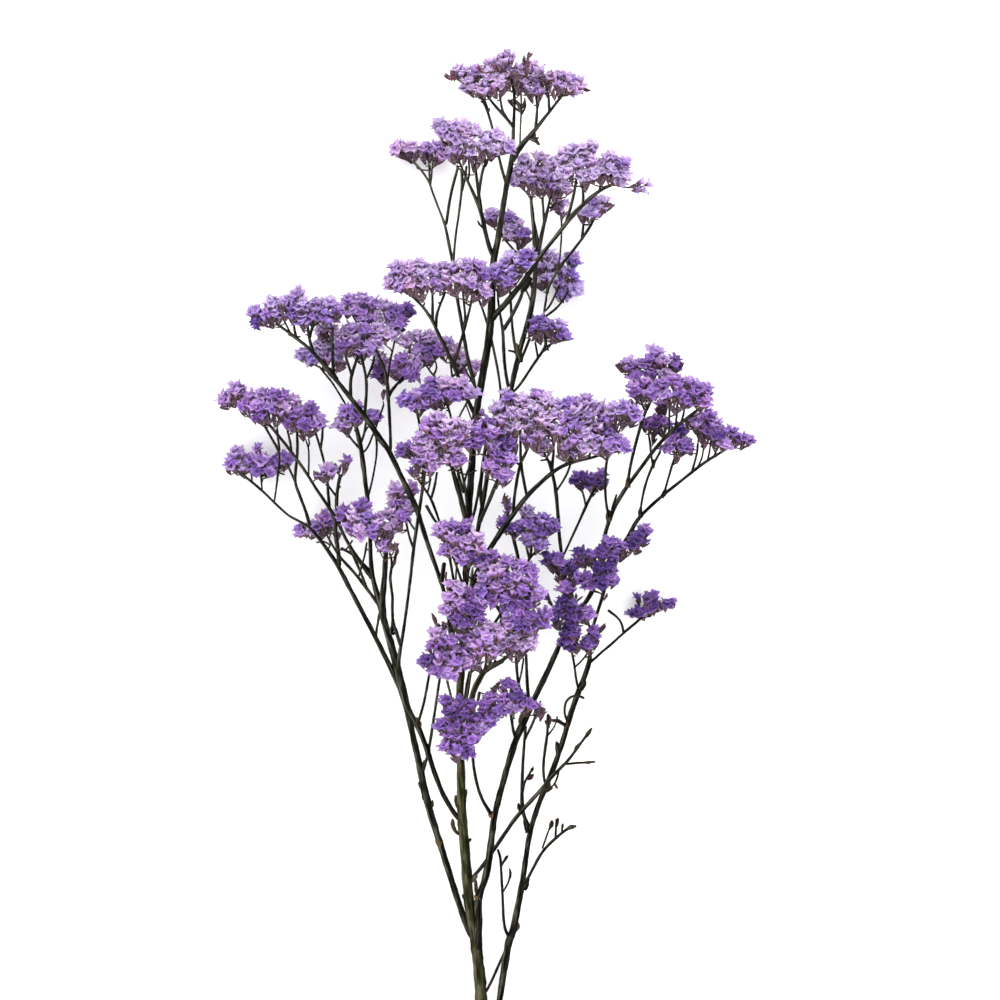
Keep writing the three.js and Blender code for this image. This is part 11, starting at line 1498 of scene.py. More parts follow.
            (97.6, 134.9, 60.9, 95.9, 136.0, 62.8, 93.7, 136.1, 64.8), (123.9, 135.5, 62.6, 127.0, 136.8, 64.1, 130.1, 138.5, 65.7),
        ],
    ),
    "flower_right_d": (
        [
            (145.3, 126.5, 82.3, 4.7, 4.5, 4.8, 0.52, 144.0, 118.3, 80.6), (120.2, 122.5, 85.8, 4.8, 4.2, 4.7, 0.42, 121.9, 114.5, 83.1),
            (100.6, 125.2, 82.9, 3.7, 6.1, 5.1, 0.52, 102.8, 117.4, 80.2), (133.7, 118.6, 85.1, 5.1, 3.6, 4.6, 0.42, 130.0, 112.5, 80.5),
            (126.6, 131.6, 86.3, 5.1, 4.4, 5.0, 0.42, 126.5, 123.4, 84.4), (107.0, 130.3, 81.0, 5.4, 4.1, 5.0, 0.52, 107.2, 122.0, 79.2),
            (144.8, 118.7, 83.9, 5.0, 4.2, 4.8, 0.52, 143.1, 110.9, 81.0), (135.1, 130.8, 83.7, 5.0, 4.1, 4.8, 0.42, 133.5, 122.6, 82.2),
            (117.2, 129.1, 84.4, 5.3, 3.8, 4.8, 0.42, 115.0, 121.3, 82.1), (128.0, 124.0, 86.8, 4.5, 4.4, 4.7, 0.42, 127.6, 116.0, 84.0),
            (137.8, 124.1, 84.1, 4.5, 4.2, 4.6, 0.52, 138.2, 115.9, 81.7), (110.6, 123.8, 84.9, 5.0, 4.1, 4.7, 0.52, 109.6, 116.2, 81.3),
            (145.8, 125.4, 72.9, 4.7, 4.5, 4.8, 0.58, 144.3, 117.0, 73.3), (101.4, 124.6, 74.2, 3.7, 6.1, 5.1, 0.58, 103.8, 116.5, 74.2),
            (135.2, 118.8, 75.2, 5.1, 3.6, 4.6, 0.48, 130.2, 111.9, 75.6), (125.8, 130.1, 74.3, 5.1, 4.4, 5.0, 0.48, 125.9, 121.6, 74.6),
            (108.3, 129.0, 73.7, 5.4, 4.1, 5.0, 0.58, 108.1, 120.5, 73.8), (144.7, 118.9, 73.0, 5.0, 4.2, 4.8, 0.58, 142.6, 110.6, 73.6),
            (134.2, 129.4, 76.9, 5.0, 4.1, 4.8, 0.48, 132.6, 121.1, 76.7), (115.2, 128.0, 75.6, 5.3, 3.8, 4.8, 0.48, 111.1, 120.6, 74.8),
            (111.1, 123.5, 72.1, 5.0, 4.1, 4.7, 0.58, 109.2, 116.2, 73.2),
        ],
        [
            (114.2, 120.5, 84.7, 1.7, 1.2, 113.3, 117.9, 84.0, 3, 0.52, 0.3), (100.0, 118.1, 84.3, 3.7, 1.7, 101.2, 115.5, 83.5, 10, 0.52, 0.3),
            (106.1, 120.6, 82.7, 2.1, 3.7, 106.6, 115.9, 81.3, 12, 0.52, 0.3), (126.1, 118.7, 85.2, 2.6, 2.3, 125.5, 115.6, 83.8, 9, 0.42, 0.3),
            (122.4, 116.9, 85.3, 2.6, 2.7, 123.1, 113.1, 84.4, 10, 0.42, 0.3), (126.6, 112.3, 86.4, 3.9, 2.9, 126.5, 108.6, 84.5, 16, 0.42, 0.3),
            (142.8, 114.2, 83.3, 1.8, 2.0, 142.1, 111.1, 82.4, 5, 0.52, 0.3), (139.3, 116.5, 83.5, 1.8, 2.1, 139.9, 113.5, 82.1, 6, 0.52, 0.3),
        ],
        [
            (107.6, 115.1, 74.1, 108.4, 115.6, 73.7, 109.2, 116.2, 73.2), (142.5, 113.9, 72.0, 143.4, 115.4, 72.6, 144.3, 117.0, 73.3),
            (139.3, 108.6, 74.4, 141.0, 109.5, 74.0, 142.6, 110.6, 73.6), (107.6, 115.1, 74.1, 105.7, 115.7, 74.1, 103.8, 116.5, 74.2),
            (126.3, 109.9, 75.8, 128.2, 110.8, 75.7, 130.2, 111.9, 75.6), (107.6, 115.1, 74.1, 107.9, 117.6, 74.0, 108.1, 120.5, 73.8),
            (108.1, 120.5, 73.8, 109.6, 120.4, 74.3, 111.1, 120.6, 74.8), (130.2, 111.9, 75.6, 130.1, 112.1, 78.0, 130.0, 112.5, 80.5),
            (130.0, 112.5, 80.5, 128.8, 114.1, 82.3, 127.6, 116.0, 84.0), (127.6, 116.0, 84.0, 126.6, 115.9, 84.0, 125.6, 115.9, 83.9),
            (125.6, 115.9, 83.9, 124.3, 114.6, 84.2, 123.1, 113.5, 84.5), (123.1, 113.5, 84.5, 122.5, 114.0, 83.8, 121.9, 114.5, 83.1),
            (108.1, 120.5, 73.8, 107.6, 121.1, 76.5, 107.2, 122.0, 79.2), (128.5, 117.1, 70.0, 127.2, 119.2, 72.3, 125.9, 121.6, 74.6),
            (103.8, 116.5, 74.2, 103.3, 116.8, 77.2, 102.8, 117.4, 80.2), (102.8, 117.4, 80.2, 104.7, 116.8, 80.8, 106.6, 116.3, 81.5),
            (106.6, 116.3, 81.5, 108.1, 116.2, 81.4, 109.6, 116.2, 81.3), (102.8, 117.4, 80.2, 101.9, 116.5, 81.9, 101.1, 115.8, 83.6),
            (133.0, 117.8, 70.0, 132.8, 119.2, 73.3, 132.6, 121.1, 76.7), (132.6, 121.1, 76.7, 133.1, 121.7, 79.4, 133.5, 122.6, 82.2),
            (139.3, 108.6, 74.4, 141.2, 109.6, 77.7, 143.1, 110.9, 81.0), (143.1, 110.9, 81.0, 142.6, 111.1, 81.8, 142.2, 111.4, 82.5),
            (142.2, 111.4, 82.5, 141.0, 112.5, 82.4, 139.9, 113.8, 82.2), (139.9, 113.8, 82.2, 139.0, 114.8, 82.0, 138.2, 115.9, 81.7),
            (139.9, 113.8, 82.2, 141.9, 115.9, 81.4, 144.0, 118.3, 80.6), (133.5, 122.6, 82.2, 130.0, 122.8, 83.3, 126.5, 123.4, 84.4),
            (123.1, 113.5, 84.5, 124.8, 111.1, 84.6, 126.5, 109.0, 84.7), (111.1, 120.6, 74.8, 113.0, 120.7, 78.4, 115.0, 121.3, 82.1),
            (115.0, 121.3, 82.1, 114.2, 119.6, 83.1, 113.4, 118.2, 84.1),
        ],
    ),
    "flower_right_e": (
        [
            (172.9, 94.6, 47.8, 5.6, 3.7, 4.9, 0.61, 167.0, 88.9, 45.9), (155.2, 96.9, 53.9, 4.5, 4.4, 4.7, 0.61, 152.1, 89.8, 50.5),
            (155.4, 104.6, 50.7, 4.4, 4.4, 4.6, 0.56, 153.0, 96.7, 48.8), (160.7, 91.9, 52.1, 5.0, 3.9, 4.7, 0.61, 157.9, 85.7, 47.1),
            (149.5, 109.9, 49.9, 5.1, 4.4, 5.0, 0.56, 148.6, 101.6, 48.4), (164.3, 99.3, 50.6, 5.1, 4.6, 5.1, 0.61, 162.3, 91.2, 48.8),
            (141.2, 107.0, 50.3, 5.1, 4.9, 5.2, 0.56, 142.2, 98.9, 48.0), (147.9, 100.7, 49.4, 4.4, 5.0, 4.9, 0.56, 146.9, 92.6, 47.1),
            (179.2, 92.9, 46.7, 2.5, 2.6, 2.7, 0.61, 172.3, 88.1, 45.4), (155.4, 96.2, 40.3, 4.5, 4.4, 4.7, 0.68, 151.3, 88.8, 41.1),
            (153.9, 104.3, 42.1, 4.4, 4.4, 4.6, 0.62, 151.5, 96.1, 42.2), (150.0, 108.7, 41.8, 5.1, 4.4, 5.0, 0.62, 148.8, 100.3, 41.9),
            (142.3, 106.3, 43.3, 5.1, 4.9, 5.2, 0.62, 143.0, 97.8, 43.1), (147.6, 101.0, 42.3, 4.4, 5.0, 4.9, 0.62, 146.6, 92.6, 42.3),
        ],
        [
            (142.0, 100.1, 50.7, 2.6, 3.5, 142.2, 95.5, 49.8, 13, 0.56, 0.3), (136.8, 103.7, 51.0, 3.0, 2.5, 135.2, 100.6, 52.1, 11, 0.56, 0.3),
            (148.5, 94.9, 51.0, 2.4, 2.1, 149.2, 91.9, 50.0, 7, 0.61, 0.3), (167.6, 90.2, 51.2, 2.5, 2.0, 166.5, 87.6, 49.8, 7, 0.61, 0.3),
            (147.0, 90.5, 52.3, 2.6, 2.8, 146.8, 86.9, 50.7, 11, 0.61, 0.3), (155.7, 90.1, 51.4, 1.7, 2.2, 155.5, 87.0, 50.1, 5, 0.61, 0.3),
            (144.4, 94.1, 52.3, 2.0, 2.9, 145.1, 90.3, 51.1, 8, 0.61, 0.3), (171.8, 89.3, 51.6, 2.3, 2.3, 170.0, 86.5, 50.5, 8, 0.61, 0.3),
            (152.6, 90.1, 52.1, 1.6, 3.8, 153.5, 85.6, 50.2, 9, 0.61, 0.3), (166.1, 93.3, 51.0, 1.4, 2.2, 165.9, 90.2, 49.9, 5, 0.61, 0.3),
        ],
        [
            (150.9, 88.2, 42.5, 151.1, 88.5, 41.8, 151.3, 88.8, 41.1), (151.3, 93.6, 44.0, 151.4, 94.8, 43.1, 151.5, 96.1, 42.2),
            (165.4, 90.0, 44.0, 166.2, 89.4, 44.9, 167.0, 88.9, 45.9), (146.8, 89.7, 44.0, 146.7, 91.1, 43.2, 146.6, 92.6, 42.3),
            (146.8, 89.7, 44.0, 146.8, 91.1, 45.5, 146.9, 92.6, 47.1), (158.5, 86.0, 42.4, 158.2, 85.7, 44.7, 157.9, 85.7, 47.1),
            (146.9, 92.6, 47.1, 148.0, 92.3, 48.6, 149.1, 92.2, 50.1), (164.6, 89.5, 43.8, 163.4, 90.2, 46.3, 162.3, 91.2, 48.8),
            (162.3, 91.2, 48.8, 164.1, 90.8, 49.4, 165.9, 90.5, 50.0), (151.3, 93.6, 44.0, 152.2, 95.0, 46.4, 153.0, 96.7, 48.8),
            (151.5, 96.1, 42.2, 150.2, 98.1, 42.0, 148.8, 100.3, 41.9), (149.1, 92.2, 50.1, 150.6, 90.9, 50.3, 152.1, 89.8, 50.5),
            (149.1, 92.2, 50.1, 147.1, 91.3, 50.6, 145.0, 90.6, 51.2), (143.1, 91.7, 42.0, 143.4, 94.6, 42.5, 143.0, 97.8, 43.1),
            (143.0, 97.8, 43.1, 142.6, 98.3, 45.5, 142.2, 98.9, 48.0), (142.2, 98.9, 48.0, 142.2, 97.3, 48.9, 142.2, 95.9, 49.9),
            (152.1, 89.8, 50.5, 153.8, 88.4, 50.4, 155.6, 87.3, 50.2), (155.6, 87.3, 50.2, 154.5, 86.6, 50.3, 153.4, 86.0, 50.4),
            (145.0, 90.6, 51.2, 145.9, 88.8, 51.0, 146.8, 87.2, 50.8), (167.0, 88.9, 45.9, 169.6, 88.4, 45.6, 172.3, 88.1, 45.4),
            (165.9, 90.5, 50.0, 166.3, 89.1, 50.0, 166.6, 87.8, 50.0), (153.0, 96.7, 48.8, 150.8, 99.0, 48.6, 148.6, 101.6, 48.4),
            (172.3, 88.1, 45.4, 170.8, 87.9, 48.0, 170.2, 86.8, 50.7), (142.2, 98.9, 48.0, 139.0, 100.7, 50.0, 135.3, 100.9, 52.0),
        ],
    ),
    "flower_right_f": (
        [
            (130.9, 100.5, 46.3, 5.1, 4.7, 5.1, 0.68, 130.6, 92.2, 44.8), (122.9, 88.5, 47.8, 4.6, 4.4, 4.7, 0.68, 124.9, 84.4, 44.8),
            (134.8, 90.7, 48.3, 5.4, 4.7, 5.3, 0.68, 132.4, 83.8, 43.9), (126.4, 94.5, 48.4, 4.8, 4.4, 4.8, 0.68, 127.1, 86.4, 46.0),
            (130.0, 98.7, 39.1, 5.1, 4.7, 5.1, 0.74, 129.9, 90.2, 38.9), (133.9, 90.4, 38.0, 5.4, 4.7, 5.3, 0.74, 130.8, 82.5, 38.3),
            (127.0, 93.6, 37.1, 4.8, 4.4, 4.8, 0.74, 127.7, 85.1, 37.5),
        ],
        [
            (129.4, 82.0, 46.2, 2.0, 2.9, 129.4, 78.1, 44.6, 9, 0.68, 0.3), (129.3, 88.5, 46.0, 2.1, 2.2, 129.2, 85.2, 45.2, 7, 0.68, 0.3),
            (137.7, 85.9, 47.0, 2.7, 1.4, 138.5, 83.4, 46.2, 6, 0.68, 0.3), (132.7, 85.2, 45.8, 2.5, 2.0, 131.5, 82.4, 45.1, 7, 0.68, 0.3),
        ],
        [
            (128.1, 82.5, 40.5, 129.4, 82.4, 39.4, 130.8, 82.5, 38.3), (128.4, 83.4, 40.8, 128.0, 84.2, 39.1, 127.7, 85.1, 37.5),
            (129.0, 85.3, 41.4, 129.1, 85.3, 43.3, 129.2, 85.5, 45.2), (129.2, 85.5, 45.2, 128.1, 85.9, 45.6, 127.1, 86.4, 46.0),
            (129.6, 87.1, 42.0, 129.7, 88.5, 40.5, 129.9, 90.2, 38.9), (128.7, 84.3, 41.1, 130.5, 84.0, 42.5, 132.4, 83.8, 43.9),
            (132.4, 83.8, 43.9, 132.0, 83.2, 44.6, 131.6, 82.7, 45.2), (128.7, 84.3, 41.1, 126.8, 84.3, 43.0, 124.9, 84.4, 44.8),
            (129.6, 87.1, 42.0, 130.1, 89.5, 43.4, 130.6, 92.2, 44.8), (127.5, 80.6, 39.9, 128.4, 79.4, 42.3, 129.4, 78.5, 44.7),
            (142.5, 85.2, 40.5, 140.1, 85.0, 43.4, 138.5, 83.6, 46.3),
        ],
    ),
    "flower_right_g": (
        [
            (118.6, 117.0, 51.6, 3.0, 4.0, 3.7, 0.88, 118.5, 108.5, 51.0), (115.8, 105.4, 52.7, 9.7, 4.6, 7.5, 0.93, 116.4, 98.5, 51.6),
            (115.0, 104.4, 47.4, 9.7, 4.6, 7.5, 0.99, 115.6, 99.0, 47.5),
        ],
        [
            (113.5, 93.2, 53.3, 1.5, 2.3, 113.0, 89.9, 52.4, 5, 0.93, 0.3), (107.6, 100.7, 52.6, 1.8, 2.7, 108.8, 97.0, 51.7, 7, 0.93, 0.3),
            (115.3, 99.9, 52.8, 2.0, 1.9, 114.2, 97.1, 52.1, 6, 0.93, 0.3), (111.2, 100.3, 53.7, 2.1, 1.8, 111.1, 97.5, 52.6, 5, 0.93, 0.3),
            (113.6, 96.9, 53.6, 2.2, 1.8, 113.0, 94.1, 52.6, 6, 0.93, 0.3), (119.8, 100.3, 53.6, 2.5, 1.7, 120.2, 97.7, 54.6, 6, 0.88, 0.3),
            (116.2, 112.3, 53.5, 2.2, 2.5, 117.5, 109.0, 54.7, 8, 0.88, 0.3), (118.9, 97.7, 53.5, 2.2, 1.8, 119.1, 95.0, 54.5, 6, 0.88, 0.3),
            (120.7, 112.3, 54.5, 2.0, 3.3, 121.4, 108.2, 56.3, 10, 0.88, 0.3),
        ],
        [
            (110.7, 97.8, 47.6, 109.7, 97.5, 49.7, 108.7, 97.4, 51.8), (108.7, 97.4, 51.8, 109.9, 97.5, 52.3, 111.1, 97.8, 52.8),
            (111.1, 97.8, 52.8, 112.7, 97.5, 52.5, 114.3, 97.4, 52.2), (114.3, 97.4, 52.2, 115.4, 97.9, 51.9, 116.4, 98.5, 51.6),
            (110.7, 97.8, 47.6, 113.2, 98.3, 47.5, 115.6, 99.0, 47.5), (111.9, 89.6, 47.6, 112.4, 89.8, 50.0, 113.0, 90.2, 52.5),
            (113.0, 90.2, 52.5, 113.0, 92.2, 52.6, 113.1, 94.4, 52.7), (116.4, 98.5, 51.6, 118.3, 98.1, 53.1, 120.2, 97.9, 54.5),
            (120.2, 97.9, 54.5, 119.6, 96.5, 54.5, 119.1, 95.2, 54.4), (116.4, 98.5, 51.6, 117.5, 103.2, 51.3, 118.5, 108.5, 51.0),
            (118.5, 108.5, 51.0, 117.9, 108.8, 52.8, 117.3, 109.4, 54.6), (117.3, 109.4, 54.6, 119.3, 108.9, 55.4, 121.3, 108.6, 56.1),
        ],
    ),
    "flower_dark_a": (
        [
            (50.9, 16.0, 54.5, 3.9, 5.3, 4.9, 1.00, 51.8, 7.8, 52.6), (56.5, -2.4, 53.7, 5.4, 5.0, 5.4, 1.00, 57.2, -10.4, 50.9),
            (64.8, 4.0, 54.7, 3.2, 4.9, 4.2, 1.00, 60.6, -2.7, 51.6), (55.0, 9.2, 53.2, 3.8, 4.6, 4.4, 1.00, 54.7, 1.3, 50.6),
            (61.3, 11.3, 53.7, 3.7, 4.4, 4.2, 1.00, 59.1, 3.4, 51.5), (44.2, 17.2, 54.3, 3.6, 4.8, 4.4, 1.00, 46.4, 9.1, 52.7),
            (43.3, -9.0, 50.6, 2.9, 3.3, 3.3, 1.00, 48.7, -15.4, 49.2), (50.5, 15.1, 46.0, 3.9, 5.3, 4.9, 1.00, 52.3, 6.8, 46.5),
            (55.6, -1.9, 47.1, 5.4, 5.0, 5.4, 1.00, 56.7, -9.6, 46.9), (60.9, 9.7, 46.6, 3.7, 4.4, 4.2, 1.00, 58.2, 1.6, 46.8),
            (44.7, 16.1, 47.2, 3.6, 4.8, 4.4, 1.00, 47.0, 7.9, 47.1),
        ],
        [
            (47.6, 9.4, 53.9, 2.2, 2.5, 48.6, 5.9, 53.4, 8, 1.00, 0.3), (50.8, 7.9, 53.9, 1.8, 2.9, 51.6, 3.9, 53.2, 8, 1.00, 0.3),
            (61.9, -1.7, 55.6, 1.1, 3.3, 61.2, -6.1, 54.8, 5, 1.00, 0.3), (60.1, 2.7, 55.0, 2.3, 2.0, 58.8, 0.0, 54.1, 7, 1.00, 0.3),
            (52.4, 2.6, 54.9, 2.1, 2.7, 53.2, -0.8, 53.3, 8, 1.00, 0.3), (59.6, 6.2, 53.8, 2.7, 1.8, 58.8, 3.4, 53.2, 7, 1.00, 0.3),
            (62.2, -9.6, 55.0, 3.5, 2.7, 61.3, -13.3, 54.0, 13, 1.00, 0.3),
        ],
        [
            (58.3, -11.0, 46.7, 57.5, -10.4, 46.8, 56.7, -9.6, 46.9), (54.4, 0.7, 47.0, 54.6, 1.0, 48.8, 54.7, 1.3, 50.6),
            (54.4, 0.7, 47.0, 56.3, 1.1, 46.9, 58.2, 1.6, 46.8), (58.3, -11.0, 46.7, 57.8, -10.8, 48.8, 57.2, -10.4, 50.9),
            (54.7, 1.3, 50.6, 53.9, 0.3, 52.0, 53.1, -0.5, 53.5), (54.7, 1.3, 50.6, 56.9, 2.2, 51.1, 59.1, 3.4, 51.5),
            (59.1, 3.4, 51.5, 59.0, 3.5, 52.4, 58.9, 3.7, 53.2), (53.1, -0.5, 53.5, 52.3, 1.8, 53.4, 51.5, 4.3, 53.2),
            (51.5, 4.3, 53.2, 51.6, 6.0, 52.9, 51.8, 7.8, 52.6), (54.4, 0.7, 47.0, 53.4, 3.6, 46.7, 52.3, 6.8, 46.5),
            (58.9, 3.7, 53.2, 58.9, 1.9, 53.7, 58.9, 0.3, 54.2), (52.3, 6.8, 46.5, 49.7, 7.2, 46.8, 47.0, 7.9, 47.1),
            (51.8, 7.8, 52.6, 49.1, 8.3, 52.6, 46.4, 9.1, 52.7), (58.9, 0.3, 54.2, 59.7, -1.3, 52.9, 60.6, -2.7, 51.6),
            (57.2, -10.4, 50.9, 59.3, -11.8, 52.5, 61.4, -12.9, 54.1), (46.4, 9.1, 52.7, 47.4, 7.6, 53.1, 48.5, 6.2, 53.4),
            (58.3, -15.0, 46.0, 53.5, -15.4, 47.6, 48.7, -15.4, 49.2), (60.6, -2.7, 51.6, 60.9, -4.3, 53.3, 61.3, -5.6, 54.9),
        ],
    ),
    "flower_dark_b": (
        [
            (87.3, 17.8, 56.7, 4.2, 4.7, 4.6, 0.92, 86.0, 9.6, 54.7), (85.6, 27.1, 56.3, 4.8, 4.4, 4.9, 0.92, 85.0, 18.7, 55.0),
            (86.5, 4.2, 57.1, 3.8, 5.5, 4.9, 0.77, 84.1, -2.0, 52.6), (65.5, 21.3, 57.8, 4.6, 2.9, 3.9, 0.87, 67.6, 13.3, 56.1),
            (72.9, 19.0, 56.7, 4.2, 4.6, 4.6, 0.87, 73.7, 10.7, 54.8), (71.2, 1.9, 57.1, 4.6, 5.5, 5.3, 0.77, 74.2, -3.8, 52.2),
            (84.3, 10.6, 57.5, 4.7, 4.4, 4.8, 0.77, 83.4, 2.8, 54.1), (92.7, 24.1, 53.7, 4.2, 4.5, 4.6, 0.92, 90.8, 15.9, 52.8),
            (79.7, 1.5, 58.0, 4.8, 4.8, 5.1, 0.77, 80.2, -4.3, 51.8), (80.1, 20.6, 57.5, 4.0, 5.3, 4.9, 0.92, 80.4, 12.3, 55.5),
            (77.0, 10.5, 57.8, 3.9, 5.2, 4.8, 0.77, 76.8, 2.8, 54.3), (64.6, 16.2, 55.4, 4.8, 3.6, 4.4, 0.87, 67.3, 11.8, 53.8),
            (85.1, 25.5, 47.6, 4.8, 4.4, 4.9, 0.98, 84.5, 17.0, 47.8), (85.3, 3.7, 47.1, 3.8, 5.5, 4.9, 0.83, 82.7, -0.5, 48.1),
            (67.0, 20.1, 48.8, 4.6, 2.9, 3.9, 0.93, 68.7, 13.4, 48.7), (72.4, 1.8, 47.4, 4.6, 5.5, 5.3, 0.83, 76.1, -1.7, 48.3),
            (91.8, 23.0, 48.7, 4.2, 4.5, 4.6, 0.98, 89.9, 14.7, 48.6), (80.7, 1.4, 47.3, 4.8, 4.8, 5.1, 0.83, 80.7, -4.5, 47.6),
            (81.5, 20.0, 48.4, 4.0, 5.3, 4.9, 0.98, 81.6, 11.5, 48.4), (78.8, 9.0, 47.7, 3.9, 5.2, 4.8, 0.83, 77.8, 2.4, 48.0),
            (66.8, 15.8, 47.2, 4.8, 3.6, 4.4, 0.93, 69.4, 7.7, 47.5),
        ],
        [
            (67.0, 12.5, 57.3, 2.7, 1.6, 67.8, 9.9, 56.9, 6, 0.87, 0.3), (71.3, 14.0, 56.5, 2.8, 1.8, 71.8, 11.0, 56.1, 7, 0.87, 0.3),
            (96.2, 19.4, 57.3, 2.3, 1.9, 95.1, 16.6, 56.7, 6, 0.92, 0.3), (92.7, 17.4, 57.8, 1.8, 2.8, 91.4, 13.7, 56.9, 7, 0.92, 0.3),
            (82.4, -8.7, 57.0, 1.0, 2.1, 81.5, -11.2, 55.0, 3, 0.77, 0.3),
        ],
        [
            (76.6, 2.1, 48.4, 77.2, 2.2, 48.2, 77.8, 2.4, 48.0), (80.5, -7.1, 48.1, 80.6, -5.9, 47.8, 80.7, -4.5, 47.6),
            (81.8, 2.1, 48.4, 82.3, 0.7, 48.2, 82.7, -0.5, 48.1), (80.5, -7.1, 48.1, 80.4, -5.8, 50.0, 80.2, -4.3, 51.8),
            (82.4, 9.1, 44.0, 82.0, 10.2, 46.2, 81.6, 11.5, 48.4), (80.2, -4.3, 51.8, 82.1, -3.3, 52.2, 84.1, -2.0, 52.6),
            (76.6, 2.1, 48.4, 76.3, 0.1, 48.3, 76.1, -1.7, 48.3), (76.6, 2.1, 48.4, 76.7, 2.3, 51.4, 76.8, 2.8, 54.3),
            (81.8, 2.1, 48.4, 82.6, 2.3, 51.3, 83.4, 2.8, 54.1), (76.1, -1.7, 48.3, 75.1, -2.9, 50.2, 74.2, -3.8, 52.2),
            (81.6, 11.5, 48.4, 83.0, 14.1, 48.1, 84.5, 17.0, 47.8), (84.5, 17.0, 47.8, 87.2, 15.7, 48.2, 89.9, 14.7, 48.6),
            (89.9, 14.7, 48.6, 90.4, 15.2, 50.7, 90.8, 15.9, 52.8), (90.8, 15.9, 52.8, 91.1, 14.9, 54.9, 91.5, 14.1, 57.0),
            (90.8, 15.9, 52.8, 87.9, 17.2, 53.9, 85.0, 18.7, 55.0), (81.6, 11.5, 48.4, 81.0, 11.7, 52.0, 80.4, 12.3, 55.5),
            (83.4, 2.8, 54.1, 84.7, 6.0, 54.4, 86.0, 9.6, 54.7), (72.7, 17.7, 46.0, 70.7, 15.4, 47.3, 68.7, 13.4, 48.7),
            (68.7, 13.4, 48.7, 68.0, 12.4, 51.2, 67.3, 11.8, 53.8), (67.3, 11.8, 53.8, 67.5, 12.5, 54.9, 67.6, 13.3, 56.1),
            (91.5, 14.1, 57.0, 93.4, 15.4, 56.9, 95.2, 16.9, 56.8), (80.4, 12.3, 55.5, 77.1, 11.3, 55.2, 73.7, 10.7, 54.8),
            (73.7, 10.7, 54.8, 72.7, 11.0, 55.5, 71.8, 11.3, 56.2), (67.6, 13.3, 56.1, 67.9, 11.6, 56.5, 67.7, 10.1, 56.9),
            (80.5, -7.1, 48.1, 81.1, -9.2, 51.6, 81.6, -10.9, 55.2), (76.6, 2.1, 48.4, 71.8, 3.1, 47.9, 69.4, 7.7, 47.5),
        ],
    ),
    "flower_dark_c": (
        [
            (107.6, 34.6, 50.5, 4.7, 4.1, 4.6, 0.65, 106.0, 26.5, 48.5), (104.5, 30.0, 50.5, 5.4, 4.2, 5.1, 0.65, 103.3, 22.1, 47.6),
            (100.0, 25.5, 47.8, 4.6, 4.0, 4.6, 0.65, 100.9, 20.0, 45.3), (106.2, 33.5, 43.5, 4.7, 4.1, 4.6, 0.71, 104.2, 25.2, 43.4),
            (103.5, 29.7, 42.7, 5.4, 4.2, 5.1, 0.71, 102.7, 22.6, 43.0),
        ],
        [
            (102.7, 20.5, 48.6, 3.7, 2.0, 101.9, 18.2, 46.6, 10, 0.65, 0.3), (107.3, 25.9, 50.1, 2.9, 1.6, 106.4, 23.3, 49.6, 7, 0.65, 0.3),
        ],
        [
            (101.6, 21.6, 43.3, 102.1, 22.0, 43.1, 102.7, 22.6, 43.0), (101.6, 21.6, 43.3, 101.2, 20.8, 44.3, 100.9, 20.0, 45.3),
            (102.7, 22.6, 43.0, 103.4, 23.8, 43.2, 104.2, 25.2, 43.4), (101.6, 21.6, 43.3, 102.5, 21.7, 45.5, 103.3, 22.1, 47.6),
            (103.3, 22.1, 47.6, 104.6, 24.2, 48.1, 106.0, 26.5, 48.5), (100.9, 20.0, 45.3, 101.4, 19.2, 46.1, 101.9, 18.4, 46.8),
            (106.0, 26.5, 48.5, 106.2, 25.0, 49.1, 106.5, 23.6, 49.6),
        ],
    ),
    "flower_dark_d": (
        [
            (50.4, -20.3, 55.9, 4.2, 6.0, 5.4, 0.97, 55.0, -27.1, 53.6), (69.8, -19.4, 51.9, 4.6, 4.8, 5.0, 0.67, 70.5, -26.8, 49.2),
            (55.5, -36.7, 56.8, 3.6, 4.8, 4.4, 0.97, 58.5, -43.1, 52.1), (60.4, -30.5, 56.9, 5.9, 4.5, 5.4, 0.97, 60.5, -38.7, 54.6),
            (60.4, -14.6, 58.1, 4.2, 4.9, 4.7, 0.97, 63.0, -22.2, 55.2), (54.2, -12.0, 53.6, 4.2, 5.1, 4.9, 0.97, 57.6, -19.6, 52.0),
            (60.4, -23.2, 57.4, 5.2, 4.3, 5.0, 0.97, 64.0, -29.8, 53.5), (60.6, -40.4, 53.5, 3.6, 4.8, 4.4, 0.97, 60.8, -46.3, 50.9),
            (70.4, -20.0, 44.6, 4.6, 4.8, 5.0, 0.73, 70.9, -26.4, 45.1), (55.8, -35.7, 49.4, 3.6, 4.8, 4.4, 1.00, 59.1, -43.3, 48.8),
            (59.5, -30.4, 47.9, 5.9, 4.5, 5.4, 1.00, 59.9, -38.9, 48.0), (62.2, -16.0, 45.8, 4.2, 4.9, 4.7, 1.00, 65.2, -24.0, 45.7),
            (53.4, -14.9, 48.7, 4.2, 5.1, 4.9, 1.00, 57.4, -22.4, 48.0), (60.0, -24.3, 47.1, 5.2, 4.3, 5.0, 1.00, 64.4, -29.7, 46.5),
            (59.0, -38.8, 47.7, 3.6, 4.8, 4.4, 1.00, 60.8, -44.7, 48.3),
        ],
        [
            (51.7, -27.3, 58.0, 4.0, 3.5, 52.5, -31.5, 55.9, 16, 0.97, 0.3), (63.7, -43.7, 56.7, 1.1, 3.1, 62.5, -47.4, 54.9, 5, 0.97, 0.3),
            (55.2, -19.8, 56.0, 1.6, 4.3, 56.4, -24.3, 53.7, 10, 0.97, 0.3), (64.4, -35.9, 56.7, 1.7, 3.9, 63.1, -40.4, 54.7, 10, 0.97, 0.3),
            (66.6, -23.6, 51.2, 1.5, 1.8, 67.7, -26.2, 50.5, 4, 0.67, 0.3),
        ],
        [
